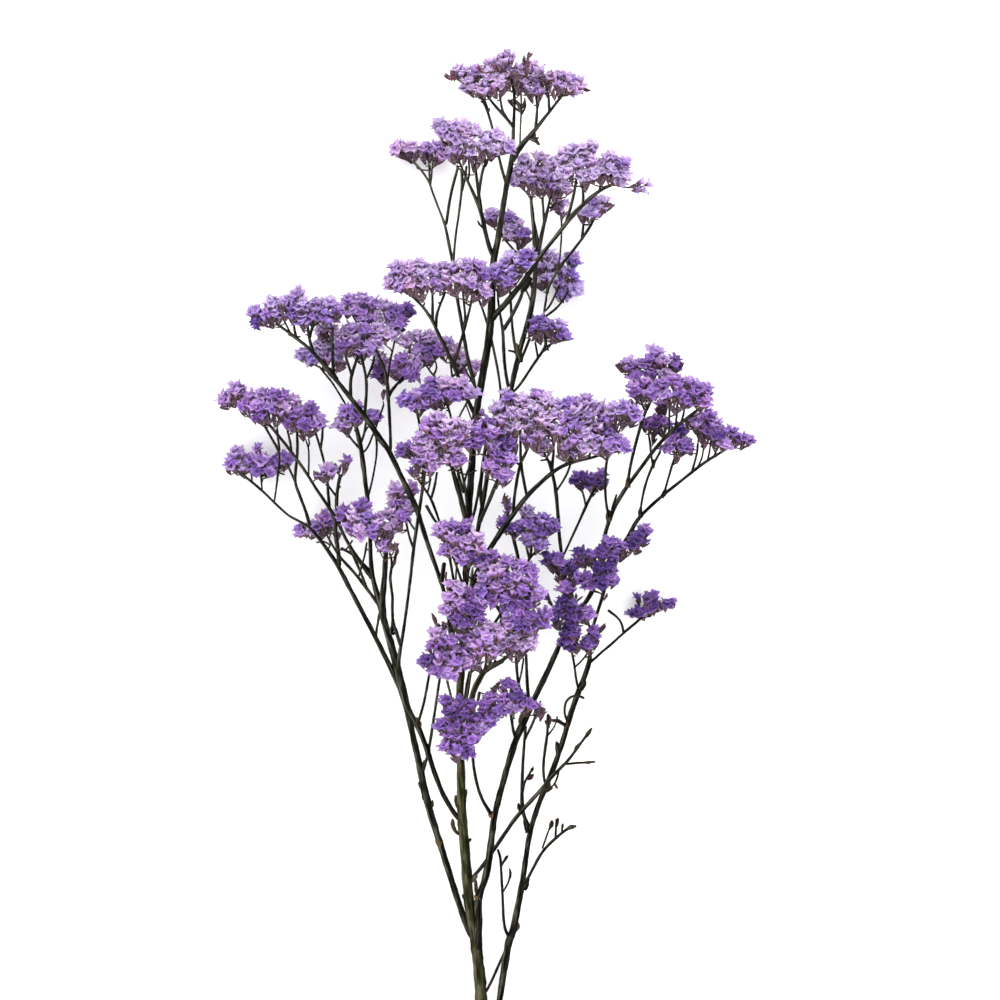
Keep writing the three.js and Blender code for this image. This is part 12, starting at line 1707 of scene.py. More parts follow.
            (71.4, -26.7, 45.6, 71.1, -26.6, 45.3, 70.9, -26.4, 45.1), (60.9, -44.9, 48.4, 60.0, -44.2, 48.6, 59.1, -43.3, 48.8),
            (60.9, -44.9, 48.4, 60.8, -45.7, 49.6, 60.8, -46.3, 50.9), (71.4, -26.7, 45.6, 71.0, -26.9, 47.4, 70.5, -26.8, 49.2),
            (59.1, -43.3, 48.8, 58.8, -43.3, 50.4, 58.5, -43.1, 52.1), (59.1, -43.3, 48.8, 59.5, -41.2, 48.4, 59.9, -38.9, 48.0),
            (58.5, -43.1, 52.1, 59.5, -41.0, 53.4, 60.5, -38.7, 54.6), (60.5, -38.7, 54.6, 61.8, -39.4, 54.8, 63.2, -39.9, 54.9),
            (71.4, -26.7, 45.6, 68.5, -25.2, 45.7, 65.2, -24.0, 45.7), (70.5, -26.8, 49.2, 69.1, -26.3, 49.9, 67.6, -26.0, 50.6),
            (67.6, -26.0, 50.6, 64.7, -25.0, 52.9, 63.0, -22.2, 55.2), (63.0, -22.2, 55.2, 60.3, -21.1, 53.6, 57.6, -19.6, 52.0),
            (57.6, -19.6, 52.0, 57.5, -21.1, 50.0, 57.4, -22.4, 48.0), (57.6, -19.6, 52.0, 56.9, -21.9, 53.0, 56.3, -23.8, 53.9),
            (56.3, -23.8, 53.9, 55.6, -25.5, 53.8, 55.0, -27.1, 53.6), (55.0, -27.1, 53.6, 53.7, -29.2, 54.9, 52.4, -31.1, 56.1),
            (60.8, -46.3, 50.9, 61.7, -46.8, 53.0, 62.6, -47.0, 55.1), (65.2, -24.0, 45.7, 64.8, -27.0, 46.1, 64.4, -29.7, 46.5),
            (64.4, -29.7, 46.5, 64.2, -29.9, 50.0, 64.0, -29.8, 53.5),
        ],
    ),
    "flower_dark_e": (
        [
            (76.0, -32.3, 45.8, 3.6, 5.3, 4.7, 1.00, 75.3, -40.6, 44.3), (70.8, -39.5, 45.7, 5.1, 5.8, 5.7, 1.00, 71.8, -47.4, 42.5),
            (71.1, -39.7, 38.7, 5.1, 5.8, 5.7, 1.00, 71.8, -47.5, 39.0),
        ],
        [
            (79.8, -29.8, 47.0, 1.2, 3.3, 77.8, -33.8, 46.4, 6, 1.00, 0.3), (76.1, -40.3, 45.9, 2.0, 4.2, 74.7, -45.1, 44.5, 12, 1.00, 0.3),
            (65.7, -42.2, 45.8, 1.4, 3.9, 64.0, -46.9, 44.6, 8, 1.00, 0.3),
        ],
        [
            (72.9, -49.2, 39.3, 72.3, -48.4, 39.1, 71.8, -47.5, 39.0), (72.9, -49.2, 39.3, 72.4, -48.4, 40.9, 71.8, -47.4, 42.5),
            (60.7, -44.9, 39.3, 62.6, -45.4, 42.0, 64.2, -46.4, 44.7), (71.3, -34.0, 41.1, 74.6, -33.9, 43.8, 78.0, -33.4, 46.4),
            (71.8, -47.4, 42.5, 73.5, -44.2, 43.4, 75.3, -40.6, 44.3), (71.8, -47.4, 42.5, 73.4, -46.1, 43.6, 74.9, -44.6, 44.6),
        ],
    ),
    "flower_low_right": (
        [
            (101.4, -20.2, 10.6, 4.0, 2.1, 3.2, 0.91, 107.6, -24.6, 7.3), (107.8, -19.1, 15.0, 4.3, 2.6, 3.6, 0.91, 111.4, -21.7, 9.9),
            (113.2, -16.5, 13.9, 4.3, 3.6, 4.1, 0.91, 113.4, -21.8, 8.4), (118.5, -15.2, 11.7, 4.0, 3.0, 3.7, 0.91, 115.3, -20.2, 8.7),
            (124.4, -13.9, 13.3, 4.0, 3.3, 3.8, 0.91, 120.2, -18.8, 10.8), (128.4, -12.5, 13.5, 2.9, 2.9, 3.1, 0.91, 122.0, -17.3, 10.7),
            (103.6, -8.9, 12.1, 1.7, 1.7, 1.8, 0.91, 106.1, -16.9, 10.8), (109.8, -9.8, 15.6, 2.0, 4.0, 3.1, 0.91, 110.8, -17.9, 13.1),
            (115.0, -10.0, 9.9, 3.0, 3.4, 3.4, 0.91, 114.5, -18.4, 8.9), (109.5, -18.9, 3.6, 4.3, 2.6, 3.6, 0.97, 112.5, -22.1, 6.2),
            (113.0, -16.7, 3.1, 4.3, 3.6, 4.1, 0.97, 113.4, -22.3, 6.5), (124.3, -14.4, 3.8, 4.0, 3.3, 3.8, 0.97, 119.1, -18.7, 5.3),
            (104.5, -10.4, 6.6, 1.7, 1.7, 1.8, 0.97, 107.1, -18.5, 6.7),
        ],
        [
        ],
        [
            (113.4, -22.7, 6.9, 113.0, -22.4, 6.5, 112.5, -22.1, 6.2), (113.4, -22.7, 6.9, 113.4, -22.3, 7.6, 113.4, -21.8, 8.4),
            (110.7, -20.0, 13.0, 110.8, -19.0, 13.1, 110.8, -17.9, 13.1), (109.5, -25.3, 6.3, 108.5, -25.0, 6.8, 107.6, -24.6, 7.3),
            (113.4, -22.7, 6.9, 114.4, -21.5, 7.8, 115.3, -20.2, 8.7), (115.3, -20.2, 8.7, 114.9, -19.4, 8.8, 114.5, -18.4, 8.9),
            (113.4, -21.8, 8.4, 112.4, -21.8, 9.1, 111.4, -21.7, 9.9), (110.0, -20.7, 13.3, 108.1, -19.0, 12.0, 106.1, -16.9, 10.8),
            (106.1, -16.9, 10.8, 106.6, -17.8, 8.8, 107.1, -18.5, 6.7), (115.3, -20.2, 8.7, 117.2, -19.6, 7.0, 119.1, -18.7, 5.3),
            (115.3, -20.2, 8.7, 117.8, -19.6, 9.8, 120.2, -18.8, 10.8), (120.2, -18.8, 10.8, 121.1, -18.1, 10.8, 122.0, -17.3, 10.7),
        ],
    ),
    "flower_front_a": (
        [
            (-17.1, 30.8, 113.0, 5.1, 3.9, 4.7, 0.28, -16.5, 22.7, 110.7), (-3.0, 18.0, 110.3, 4.1, 4.7, 4.6, 0.23, -6.7, 10.9, 107.4),
            (-24.6, 35.8, 110.9, 4.5, 4.8, 4.8, 0.28, -22.0, 28.1, 108.5), (-8.2, 27.3, 113.5, 4.5, 4.7, 4.8, 0.23, -9.5, 19.3, 110.8),
            (-1.6, 30.9, 113.7, 4.3, 4.4, 4.6, 0.23, -3.8, 23.0, 111.6), (-16.5, 38.1, 111.2, 4.7, 3.9, 4.5, 0.28, -16.2, 29.8, 109.7),
            (-8.6, 36.3, 108.8, 4.8, 5.0, 5.2, 0.28, -9.6, 27.9, 107.6), (-14.8, 23.3, 110.2, 3.8, 4.3, 4.2, 0.28, -14.5, 16.4, 105.2),
            (1.3, 23.4, 112.4, 4.6, 4.1, 4.6, 0.23, -2.1, 16.1, 110.0), (-21.9, 23.5, 109.8, 4.2, 4.2, 4.4, 0.28, -18.5, 16.7, 106.1),
            (-9.7, 18.5, 110.9, 4.1, 4.3, 4.4, 0.23, -11.7, 15.4, 106.8), (-6.1, 41.4, 78.0, 3.9, 3.2, 3.7, 0.23, -7.1, 33.4, 80.8),
            (-17.3, 30.3, 99.9, 5.1, 3.9, 4.7, 0.34, -16.6, 21.9, 100.2), (-4.1, 18.7, 101.7, 4.1, 4.7, 4.6, 0.29, -8.1, 11.2, 101.6),
            (-25.1, 34.5, 102.8, 4.5, 4.8, 4.8, 0.34, -22.1, 26.6, 102.4), (-8.5, 26.5, 99.5, 4.5, 4.7, 4.8, 0.29, -10.1, 18.1, 100.1),
            (-2.4, 29.5, 100.3, 4.3, 4.4, 4.6, 0.29, -4.9, 21.4, 100.5), (-16.2, 36.5, 100.0, 4.7, 3.9, 4.5, 0.34, -15.9, 28.0, 100.2),
            (-15.5, 24.0, 101.8, 3.8, 4.3, 4.2, 0.34, -15.2, 18.5, 101.8), (0.1, 23.2, 99.0, 4.6, 4.1, 4.6, 0.29, -3.6, 15.6, 99.7),
            (-22.1, 24.2, 103.6, 4.2, 4.2, 4.4, 0.34, -19.0, 16.3, 102.8), (-8.8, 19.1, 100.6, 4.1, 4.3, 4.4, 0.29, -11.6, 15.2, 101.1),
        ],
        [
            (-0.6, 25.9, 113.0, 6.0, 24.4, -2.5, 21.2, 111.6, 16, 0.23, 0.3),
        ],
        [
            (-14.2, 12.1, 101.5, -13.3, 13.9, 101.3, -11.6, 15.2, 101.1), (-11.6, 15.2, 101.1, -10.8, 16.6, 100.6, -10.1, 18.1, 100.1),
            (-14.2, 12.1, 101.5, -14.4, 14.1, 103.3, -14.5, 16.4, 105.2), (-14.5, 16.4, 105.2, -13.1, 15.8, 106.0, -11.7, 15.4, 106.8),
            (-14.5, 16.4, 105.2, -14.9, 17.4, 103.5, -15.2, 18.5, 101.8), (-15.2, 18.5, 101.8, -15.9, 20.1, 101.0, -16.6, 21.9, 100.2),
            (-6.6, 5.7, 100.9, -7.4, 8.3, 101.2, -8.1, 11.2, 101.6), (-11.7, 15.4, 106.8, -10.6, 17.2, 108.8, -9.5, 19.3, 110.8),
            (-8.1, 11.2, 101.6, -7.4, 10.9, 104.5, -6.7, 10.9, 107.4), (-10.1, 18.1, 100.1, -7.5, 19.6, 100.3, -4.9, 21.4, 100.5),
            (-16.6, 21.9, 100.2, -16.3, 24.8, 100.2, -15.9, 28.0, 100.2), (-8.1, 11.2, 101.6, -5.9, 13.2, 100.6, -3.6, 15.6, 99.7),
            (-19.6, 22.8, 96.0, -20.9, 24.5, 99.2, -22.1, 26.6, 102.4), (-22.1, 26.6, 102.4, -22.0, 27.2, 105.5, -22.0, 28.1, 108.5),
            (-22.0, 28.1, 108.5, -19.1, 28.8, 109.1, -16.2, 29.8, 109.7), (-15.2, 18.5, 101.8, -17.0, 17.8, 103.9, -18.5, 16.7, 106.1),
            (-18.5, 16.7, 106.1, -18.7, 16.4, 104.4, -19.0, 16.3, 102.8), (-9.5, 19.3, 110.8, -6.7, 21.0, 111.2, -3.8, 23.0, 111.6),
            (-3.8, 23.0, 111.6, -3.1, 22.3, 111.6, -2.3, 21.7, 111.7), (-6.7, 10.9, 107.4, -4.4, 13.3, 108.7, -2.1, 16.1, 110.0),
            (-9.5, 19.3, 110.8, -13.0, 20.8, 110.8, -16.5, 22.7, 110.7), (-16.2, 29.8, 109.7, -12.9, 28.7, 108.7, -9.6, 27.9, 107.6),
            (-13.5, 18.5, 94.0, -10.3, 25.4, 87.4, -7.1, 33.4, 80.8),
        ],
    ),
    "flower_front_b": (
        [
            (25.7, -25.5, 104.2, 3.6, 4.4, 4.2, 0.47, 28.3, -33.0, 101.0), (17.3, 5.2, 108.8, 4.0, 4.7, 4.6, 0.42, 16.7, -2.9, 106.5),
            (26.4, -17.5, 103.5, 4.4, 4.3, 4.6, 0.47, 25.7, -22.0, 97.5), (11.2, 0.1, 108.9, 4.6, 4.5, 4.8, 0.42, 11.8, -7.9, 105.9),
            (37.8, -4.8, 104.5, 4.2, 4.9, 4.8, 0.52, 34.6, -12.2, 102.0), (17.5, 15.4, 107.4, 4.3, 5.2, 5.0, 0.42, 17.0, 7.0, 105.9),
            (3.6, 13.8, 106.0, 4.5, 4.0, 4.5, 0.42, 5.1, 5.5, 104.7), (42.5, -17.5, 102.5, 4.9, 3.7, 4.5, 0.42, 40.4, -25.5, 100.9),
            (33.0, 10.3, 106.6, 4.8, 4.3, 4.8, 0.52, 31.9, 2.1, 104.9), (19.4, -24.5, 101.8, 3.8, 4.7, 4.5, 0.47, 20.1, -32.6, 99.2),
            (29.0, -2.0, 107.2, 4.3, 4.5, 4.6, 0.52, 28.1, -9.9, 104.1), (34.0, 3.5, 108.9, 4.5, 4.3, 4.6, 0.52, 32.4, -4.4, 106.3),
            (41.4, -23.7, 103.7, 5.1, 3.6, 4.6, 0.42, 37.7, -28.2, 99.9), (9.0, 18.6, 106.3, 4.8, 4.3, 4.8, 0.42, 9.7, 10.2, 105.1),
            (2.5, -1.6, 106.1, 4.5, 4.5, 4.8, 0.42, 5.4, -9.3, 103.8), (25.4, 13.9, 106.5, 4.7, 4.1, 4.6, 0.52, 25.4, 5.5, 104.9),
            (32.3, -25.6, 104.4, 4.2, 4.0, 4.3, 0.47, 32.6, -33.2, 100.7), (20.9, -2.0, 103.1, 4.5, 4.3, 4.6, 0.52, 18.8, -10.0, 101.2),
            (18.0, -16.3, 102.0, 4.5, 4.5, 4.7, 0.47, 14.6, -19.9, 97.8), (11.3, 9.8, 111.0, 4.3, 4.6, 4.7, 0.42, 11.7, 1.6, 108.7),
            (24.1, -10.0, 101.1, 4.4, 4.3, 4.6, 0.52, 24.8, -16.3, 98.1), (8.6, -8.0, 106.4, 4.3, 4.5, 4.7, 0.42, 11.4, -14.4, 101.4),
            (32.3, -10.2, 103.4, 4.5, 4.4, 4.7, 0.52, 29.4, -17.3, 99.8), (34.0, -19.1, 104.0, 4.4, 3.9, 4.4, 0.47, 33.8, -27.3, 101.6),
            (3.8, 5.7, 108.0, 5.0, 4.1, 4.8, 0.42, 5.6, -2.3, 105.9), (24.9, 6.2, 108.3, 4.5, 4.5, 4.8, 0.52, 25.0, -2.0, 105.9),
            (15.9, -8.2, 104.5, 4.2, 4.8, 4.7, 0.42, 15.0, -15.1, 101.0), (25.5, -25.2, 93.1, 3.6, 4.4, 4.2, 0.53, 28.7, -33.0, 94.0),
            (17.2, 4.7, 97.0, 4.0, 4.7, 4.6, 0.48, 16.4, -3.8, 97.0), (26.1, -18.5, 91.6, 4.4, 4.3, 4.6, 0.53, 25.1, -20.5, 96.6),
            (10.4, 0.4, 95.8, 4.6, 4.5, 4.8, 0.48, 11.5, -8.1, 96.1), (36.2, -4.0, 96.5, 4.2, 4.9, 4.8, 0.58, 33.0, -11.9, 96.0),
            (4.6, 11.9, 98.0, 4.5, 4.0, 4.5, 0.48, 6.1, 3.5, 97.8), (42.2, -18.6, 94.2, 4.9, 3.7, 4.5, 0.48, 39.8, -26.8, 94.5),
            (33.2, 8.6, 93.5, 4.8, 4.3, 4.8, 0.58, 31.9, 0.2, 93.7), (18.3, -24.4, 93.4, 3.8, 4.7, 4.5, 0.53, 19.5, -32.8, 93.5),
            (28.9, -1.7, 92.0, 4.3, 4.5, 4.6, 0.58, 27.8, -10.1, 92.9), (33.1, 2.9, 94.5, 4.5, 4.3, 4.6, 0.58, 31.4, -5.4, 94.6),
            (41.5, -23.9, 96.4, 5.1, 3.6, 4.6, 0.48, 36.9, -29.1, 95.8), (26.3, 11.6, 95.4, 4.7, 4.1, 4.6, 0.58, 26.2, 3.1, 95.3),
            (23.2, -1.8, 96.0, 4.5, 4.3, 4.6, 0.58, 20.4, -9.8, 96.3), (19.0, -17.5, 92.3, 4.5, 4.5, 4.7, 0.53, 14.5, -21.0, 96.3),
            (24.2, -12.2, 95.6, 4.4, 4.3, 4.6, 0.58, 25.1, -16.6, 95.1), (7.5, -6.4, 98.0, 4.3, 4.5, 4.7, 0.48, 10.3, -13.7, 97.5),
            (29.9, -12.4, 96.3, 4.5, 4.4, 4.7, 0.58, 27.1, -17.2, 95.4), (34.0, -20.0, 95.0, 4.4, 3.9, 4.4, 0.53, 33.7, -28.5, 95.1),
            (3.9, 5.1, 96.4, 5.0, 4.1, 4.8, 0.48, 5.9, -3.1, 96.5), (24.5, 5.1, 93.7, 4.5, 4.5, 4.8, 0.58, 24.7, -3.4, 93.9),
            (15.0, -6.6, 99.6, 4.2, 4.8, 4.7, 0.48, 14.5, -13.2, 98.4),
        ],
        [
            (36.7, -11.5, 107.4, 2.0, 1.3, 35.4, -13.9, 106.7, 4, 0.52, 0.3), (34.7, -22.9, 104.3, 2.7, 12.8, 34.3, -28.0, 103.4, 16, 0.47, 0.3),
            (37.8, -27.6, 101.6, 1.5, 2.0, 36.9, -30.6, 101.0, 5, 0.42, 0.3),
        ],
        [
            (13.9, -13.6, 96.9, 14.2, -13.4, 97.6, 14.5, -13.2, 98.4), (25.4, -14.9, 94.9, 25.3, -15.8, 95.0, 25.1, -16.6, 95.1),
            (21.6, -35.5, 93.8, 20.5, -34.2, 93.7, 19.5, -32.8, 93.5), (25.1, -16.6, 95.1, 26.1, -17.0, 95.2, 27.1, -17.2, 95.4),
            (13.9, -13.6, 96.9, 12.1, -13.8, 97.2, 10.3, -13.7, 97.5), (25.4, -14.9, 94.9, 25.1, -15.7, 96.5, 24.8, -16.3, 98.1),
            (33.1, -32.9, 95.3, 33.4, -30.8, 95.2, 33.7, -28.5, 95.1), (33.1, -32.9, 95.3, 30.9, -33.1, 94.7, 28.7, -33.0, 94.0),
            (33.7, -28.5, 95.1, 35.3, -28.9, 95.4, 36.9, -29.1, 95.8), (36.9, -29.1, 95.8, 38.4, -28.0, 95.1, 39.8, -26.8, 94.5),
            (13.9, -13.6, 96.9, 14.4, -14.4, 98.9, 15.0, -15.1, 101.0), (15.0, -15.1, 101.0, 13.2, -14.8, 101.2, 11.4, -14.4, 101.4),
            (36.9, -29.1, 95.8, 37.3, -28.8, 97.8, 37.7, -28.2, 99.9), (37.7, -28.2, 99.9, 39.0, -27.0, 100.4, 40.4, -25.5, 100.9),
            (37.7, -28.2, 99.9, 35.7, -27.9, 100.8, 33.8, -27.3, 101.6), (33.8, -27.3, 101.6, 34.1, -27.4, 102.5, 34.4, -27.5, 103.5),
            (33.1, -32.9, 95.3, 32.9, -33.2, 98.0, 32.6, -33.2, 100.7), (32.6, -33.2, 100.7, 30.5, -33.2, 100.9, 28.3, -33.0, 101.0),
            (25.4, -14.9, 94.9, 26.6, -12.7, 93.9, 27.8, -10.1, 92.9), (7.6, -8.8, 92.0, 9.5, -8.6, 94.1, 11.5, -8.1, 96.1),
            (27.1, -17.2, 95.4, 28.2, -17.4, 97.6, 29.4, -17.3, 99.8), (21.6, -35.5, 93.8, 20.8, -34.2, 96.5, 20.1, -32.6, 99.2),
            (37.7, -28.2, 99.9, 37.3, -29.3, 100.5, 37.0, -30.3, 101.0), (27.1, -17.2, 95.4, 26.1, -19.0, 96.0, 25.1, -20.5, 96.6),
            (25.1, -20.5, 96.6, 25.4, -21.3, 97.0, 25.7, -22.0, 97.5), (14.5, -13.2, 98.4, 16.6, -11.8, 99.8, 18.8, -10.0, 101.2),
            (18.8, -10.0, 101.2, 19.6, -10.0, 98.8, 20.4, -9.8, 96.3), (27.8, -10.1, 92.9, 29.6, -7.9, 93.7, 31.4, -5.4, 94.6),
            (31.4, -5.4, 94.6, 31.7, -2.7, 94.2, 31.9, 0.2, 93.7), (7.6, -8.8, 92.0, 6.7, -6.2, 94.3, 5.9, -3.1, 96.5),
            (31.9, 0.2, 93.7, 29.0, 1.5, 94.5, 26.2, 3.1, 95.3), (11.5, -8.1, 96.1, 13.9, -6.1, 96.5, 16.4, -3.8, 97.0),
            (5.9, -3.1, 96.5, 6.0, 0.0, 97.2, 6.1, 3.5, 97.8), (25.4, -14.9, 94.9, 29.2, -13.6, 95.5, 33.0, -11.9, 96.0),
            (33.0, -11.9, 96.0, 33.8, -12.2, 99.0, 34.6, -12.2, 102.0), (31.4, -5.4, 94.6, 28.1, -4.6, 94.3, 24.7, -3.4, 93.9),
            (34.6, -12.2, 102.0, 31.3, -11.2, 103.0, 28.1, -9.9, 104.1), (28.1, -9.9, 104.1, 30.3, -7.3, 105.2, 32.4, -4.4, 106.3),
            (32.4, -4.4, 106.3, 32.1, -1.4, 105.6, 31.9, 2.1, 104.9), (6.1, 3.5, 97.8, 5.6, 4.3, 101.3, 5.1, 5.5, 104.7),
            (5.1, 5.5, 104.7, 7.4, 7.7, 104.9, 9.7, 10.2, 105.1), (31.9, 2.1, 104.9, 28.7, 3.6, 104.9, 25.4, 5.5, 104.9),
            (32.4, -4.4, 106.3, 28.7, -3.4, 106.1, 25.0, -2.0, 105.9), (11.4, -14.4, 101.4, 11.6, -11.3, 103.7, 11.8, -7.9, 105.9),
            (11.8, -7.9, 105.9, 14.2, -5.6, 106.2, 16.7, -2.9, 106.5), (16.7, -2.9, 106.5, 14.2, -0.8, 107.6, 11.7, 1.6, 108.7),
            (11.8, -7.9, 105.9, 8.6, -8.7, 104.9, 5.4, -9.3, 103.8), (5.4, -9.3, 103.8, 5.5, -6.0, 104.9, 5.6, -2.3, 105.9),
            (11.7, 1.6, 108.7, 14.3, 4.1, 107.3, 17.0, 7.0, 105.9), (15.0, -15.1, 101.0, 14.8, -17.7, 99.4, 14.6, -19.9, 97.8),
            (14.6, -19.9, 97.8, 14.6, -20.5, 97.0, 14.5, -21.0, 96.3), (34.6, -12.2, 102.0, 35.1, -13.1, 104.4, 35.5, -13.7, 106.8),
        ],
    ),
    "flower_front_c": (
        [
            (0.8, -10.9, 109.7, 4.1, 4.8, 4.7, 0.69, -3.6, -17.7, 107.3), (-20.8, -15.0, 108.2, 4.8, 4.0, 4.6, 0.69, -18.7, -21.1, 104.0),
            (-4.9, -5.8, 106.4, 4.7, 4.5, 4.8, 0.69, -8.1, -13.5, 104.7), (-0.4, -18.9, 110.4, 4.0, 5.0, 4.7, 0.69, -3.3, -26.5, 107.9),
            (-18.2, -7.3, 109.7, 3.9, 4.1, 4.2, 0.59, -17.8, -15.2, 106.6), (-12.4, -11.2, 111.4, 4.1, 4.6, 4.6, 0.69, -14.0, -18.5, 107.2),
            (-14.5, -20.4, 109.7, 4.1, 4.9, 4.8, 0.69, -14.0, -28.3, 106.6), (-12.2, -1.9, 110.9, 3.5, 5.1, 4.5, 0.59, -13.2, -10.0, 108.4),
            (-6.6, -14.8, 112.8, 4.1, 4.5, 4.5, 0.69, -10.1, -21.3, 108.5), (-18.1, 0.8, 108.6, 4.1, 4.1, 4.4, 0.59, -17.8, -7.5, 106.8),
            (-8.0, -23.3, 110.7, 4.8, 4.2, 4.7, 0.69, -9.7, -30.8, 107.0), (-0.2, -12.3, 99.6, 4.1, 4.8, 4.7, 0.75, -5.3, -19.1, 99.7),
            (-18.9, -15.7, 101.1, 4.8, 4.0, 4.6, 0.75, -17.1, -19.6, 100.2), (-6.3, -6.1, 101.2, 4.7, 4.5, 4.8, 0.75, -9.5, -14.0, 100.9),
            (-11.5, -12.6, 97.8, 4.1, 4.6, 4.6, 0.75, -14.2, -18.7, 99.0), (-11.4, -20.3, 98.8, 4.1, 4.9, 4.8, 0.75, -12.0, -28.7, 99.0),
            (-11.8, -2.9, 98.6, 3.5, 5.1, 4.5, 0.65, -13.2, -11.2, 99.0), (-8.3, -15.6, 98.0, 4.1, 4.5, 4.5, 0.75, -12.9, -21.4, 99.1),
            (-15.6, -0.6, 100.1, 4.1, 4.1, 4.4, 0.65, -15.9, -9.1, 100.1), (-8.2, -22.8, 100.3, 4.8, 4.2, 4.7, 0.75, -10.2, -30.5, 100.0),
        ],
        [
            (-21.1, 5.9, 110.1, 1.0, 2.4, -20.9, 2.3, 109.5, 4, 0.59, 0.3),
        ],
        [
            (-13.0, -31.4, 99.5, -12.5, -30.2, 99.3, -12.0, -28.7, 99.0), (-13.0, -31.4, 99.5, -11.6, -31.0, 99.7, -10.2, -30.5, 100.0),
            (-16.8, -17.3, 100.1, -16.9, -18.5, 100.2, -17.1, -19.6, 100.2), (-16.8, -17.3, 100.1, -15.5, -18.1, 99.5, -14.2, -18.7, 99.0),
            (-19.1, -9.7, 96.0, -17.5, -9.5, 98.1, -15.9, -9.1, 100.1), (-14.2, -18.7, 99.0, -13.5, -20.1, 99.1, -12.9, -21.4, 99.1),
            (-15.9, -9.1, 100.1, -14.6, -10.2, 99.6, -13.2, -11.2, 99.0), (-17.1, -19.6, 100.2, -17.9, -20.5, 102.1, -18.7, -21.1, 104.0),
            (-16.8, -17.3, 100.1, -17.3, -16.4, 103.3, -17.8, -15.2, 106.6), (-18.7, -21.1, 104.0, -16.4, -19.9, 105.6, -14.0, -18.5, 107.2),
            (-13.2, -11.2, 99.0, -11.3, -12.8, 99.9, -9.5, -14.0, 100.9), (-9.5, -14.0, 100.9, -8.8, -13.9, 102.8, -8.1, -13.5, 104.7),
            (-14.0, -18.5, 107.2, -12.0, -20.0, 107.9, -10.1, -21.3, 108.5), (-13.0, -31.4, 99.5, -13.5, -30.0, 103.1, -14.0, -28.3, 106.6),
            (-14.0, -28.3, 106.6, -11.8, -29.7, 106.8, -9.7, -30.8, 107.0), (-15.9, -9.1, 100.1, -16.9, -8.4, 103.4, -17.8, -7.5, 106.8),
            (-17.8, -7.5, 106.8, -15.5, -8.9, 107.6, -13.2, -10.0, 108.4), (-10.1, -21.3, 108.5, -6.8, -19.7, 107.9, -3.6, -17.7, 107.3),
            (-9.7, -30.8, 107.0, -6.5, -28.9, 107.5, -3.3, -26.5, 107.9), (-12.9, -21.4, 99.1, -9.1, -20.4, 99.4, -5.3, -19.1, 99.7),
            (-17.8, -7.5, 106.8, -19.4, -2.7, 108.2, -20.9, 2.7, 109.5),
        ],
    ),
    "flower_front_d": (
        [
            (-14.9, -48.7, 104.4, 4.7, 4.3, 4.7, 0.45, -16.1, -56.2, 100.5), (12.3, -30.7, 103.3, 3.9, 5.3, 4.8, 0.33, 10.6, -38.9, 101.9),
            (-6.5, -49.4, 98.6, 4.5, 4.7, 4.8, 0.45, -1.0, -54.7, 94.9), (-19.5, -34.8, 106.1, 5.2, 4.1, 4.9, 0.45, -19.3, -43.0, 103.9),
            (-33.6, -47.8, 102.2, 4.5, 4.5, 4.7, 0.45, -29.6, -55.0, 100.0), (-1.8, -28.3, 104.1, 4.6, 4.0, 4.5, 0.33, -1.4, -36.6, 102.5),
            (-18.3, -41.7, 102.1, 4.6, 4.0, 4.5, 0.45, -18.3, -49.9, 99.9), (0.7, -42.1, 102.0, 4.3, 4.2, 4.5, 0.33, 0.8, -50.3, 99.7),
            (-19.3, -54.8, 103.9, 4.9, 4.5, 4.9, 0.45, -18.4, -56.2, 95.9), (5.9, -26.0, 104.5, 4.5, 4.0, 4.5, 0.33, 5.3, -34.4, 103.0),
            (-10.4, -40.7, 97.6, 4.4, 4.9, 4.8, 0.45, -12.4, -48.9, 96.7), (8.6, -40.8, 100.8, 4.2, 5.0, 4.8, 0.33, 6.8, -48.9, 99.0),
            (-28.6, -38.3, 102.0, 4.9, 4.5, 5.0, 0.45, -26.5, -46.4, 100.3), (-26.8, -30.2, 104.2, 4.9, 4.6, 5.0, 0.45, -25.5, -38.4, 102.6),
            (-24.5, -45.9, 105.4, 4.7, 4.5, 4.8, 0.45, -22.7, -53.5, 102.1), (4.9, -33.9, 106.7, 4.2, 4.2, 4.4, 0.33, 4.2, -42.1, 104.4),
            (-2.6, -35.7, 105.9, 4.2, 4.0, 4.3, 0.33, -2.0, -43.8, 103.6), (-27.2, -53.3, 103.7, 4.7, 4.3, 4.7, 0.45, -22.7, -58.4, 98.7),
            (-9.8, -32.0, 101.4, 4.7, 5.0, 5.1, 0.45, -11.1, -40.3, 100.1), (-0.2, -50.1, 96.5, 2.9, 3.2, 3.2, 0.33, 0.4, -56.3, 95.0),
            (8.8, -46.2, 98.1, 2.3, 2.3, 2.4, 0.33, 6.1, -54.1, 96.5), (-30.8, -48.8, 94.3, 4.5, 4.5, 4.7, 0.51, -26.6, -56.1, 94.1),
            (-20.4, -41.2, 93.0, 4.6, 4.0, 4.5, 0.51, -19.8, -49.6, 93.2), (-0.3, -41.3, 94.9, 4.3, 4.2, 4.5, 0.39, 0.1, -49.8, 94.5),
            (-19.7, -54.7, 92.7, 4.9, 4.5, 4.9, 0.51, -17.0, -57.2, 94.6), (6.2, -27.8, 93.8, 4.5, 4.0, 4.5, 0.39, 5.5, -36.3, 93.7),
            (9.3, -40.2, 94.8, 4.2, 5.0, 4.8, 0.39, 7.3, -48.5, 94.5), (-26.8, -38.3, 93.5, 4.9, 4.5, 5.0, 0.51, -24.9, -46.6, 93.6),
            (-24.8, -31.5, 94.0, 4.9, 4.6, 5.0, 0.51, -23.7, -39.9, 93.9), (-24.6, -47.2, 93.4, 4.7, 4.5, 4.8, 0.51, -22.0, -55.2, 93.6),
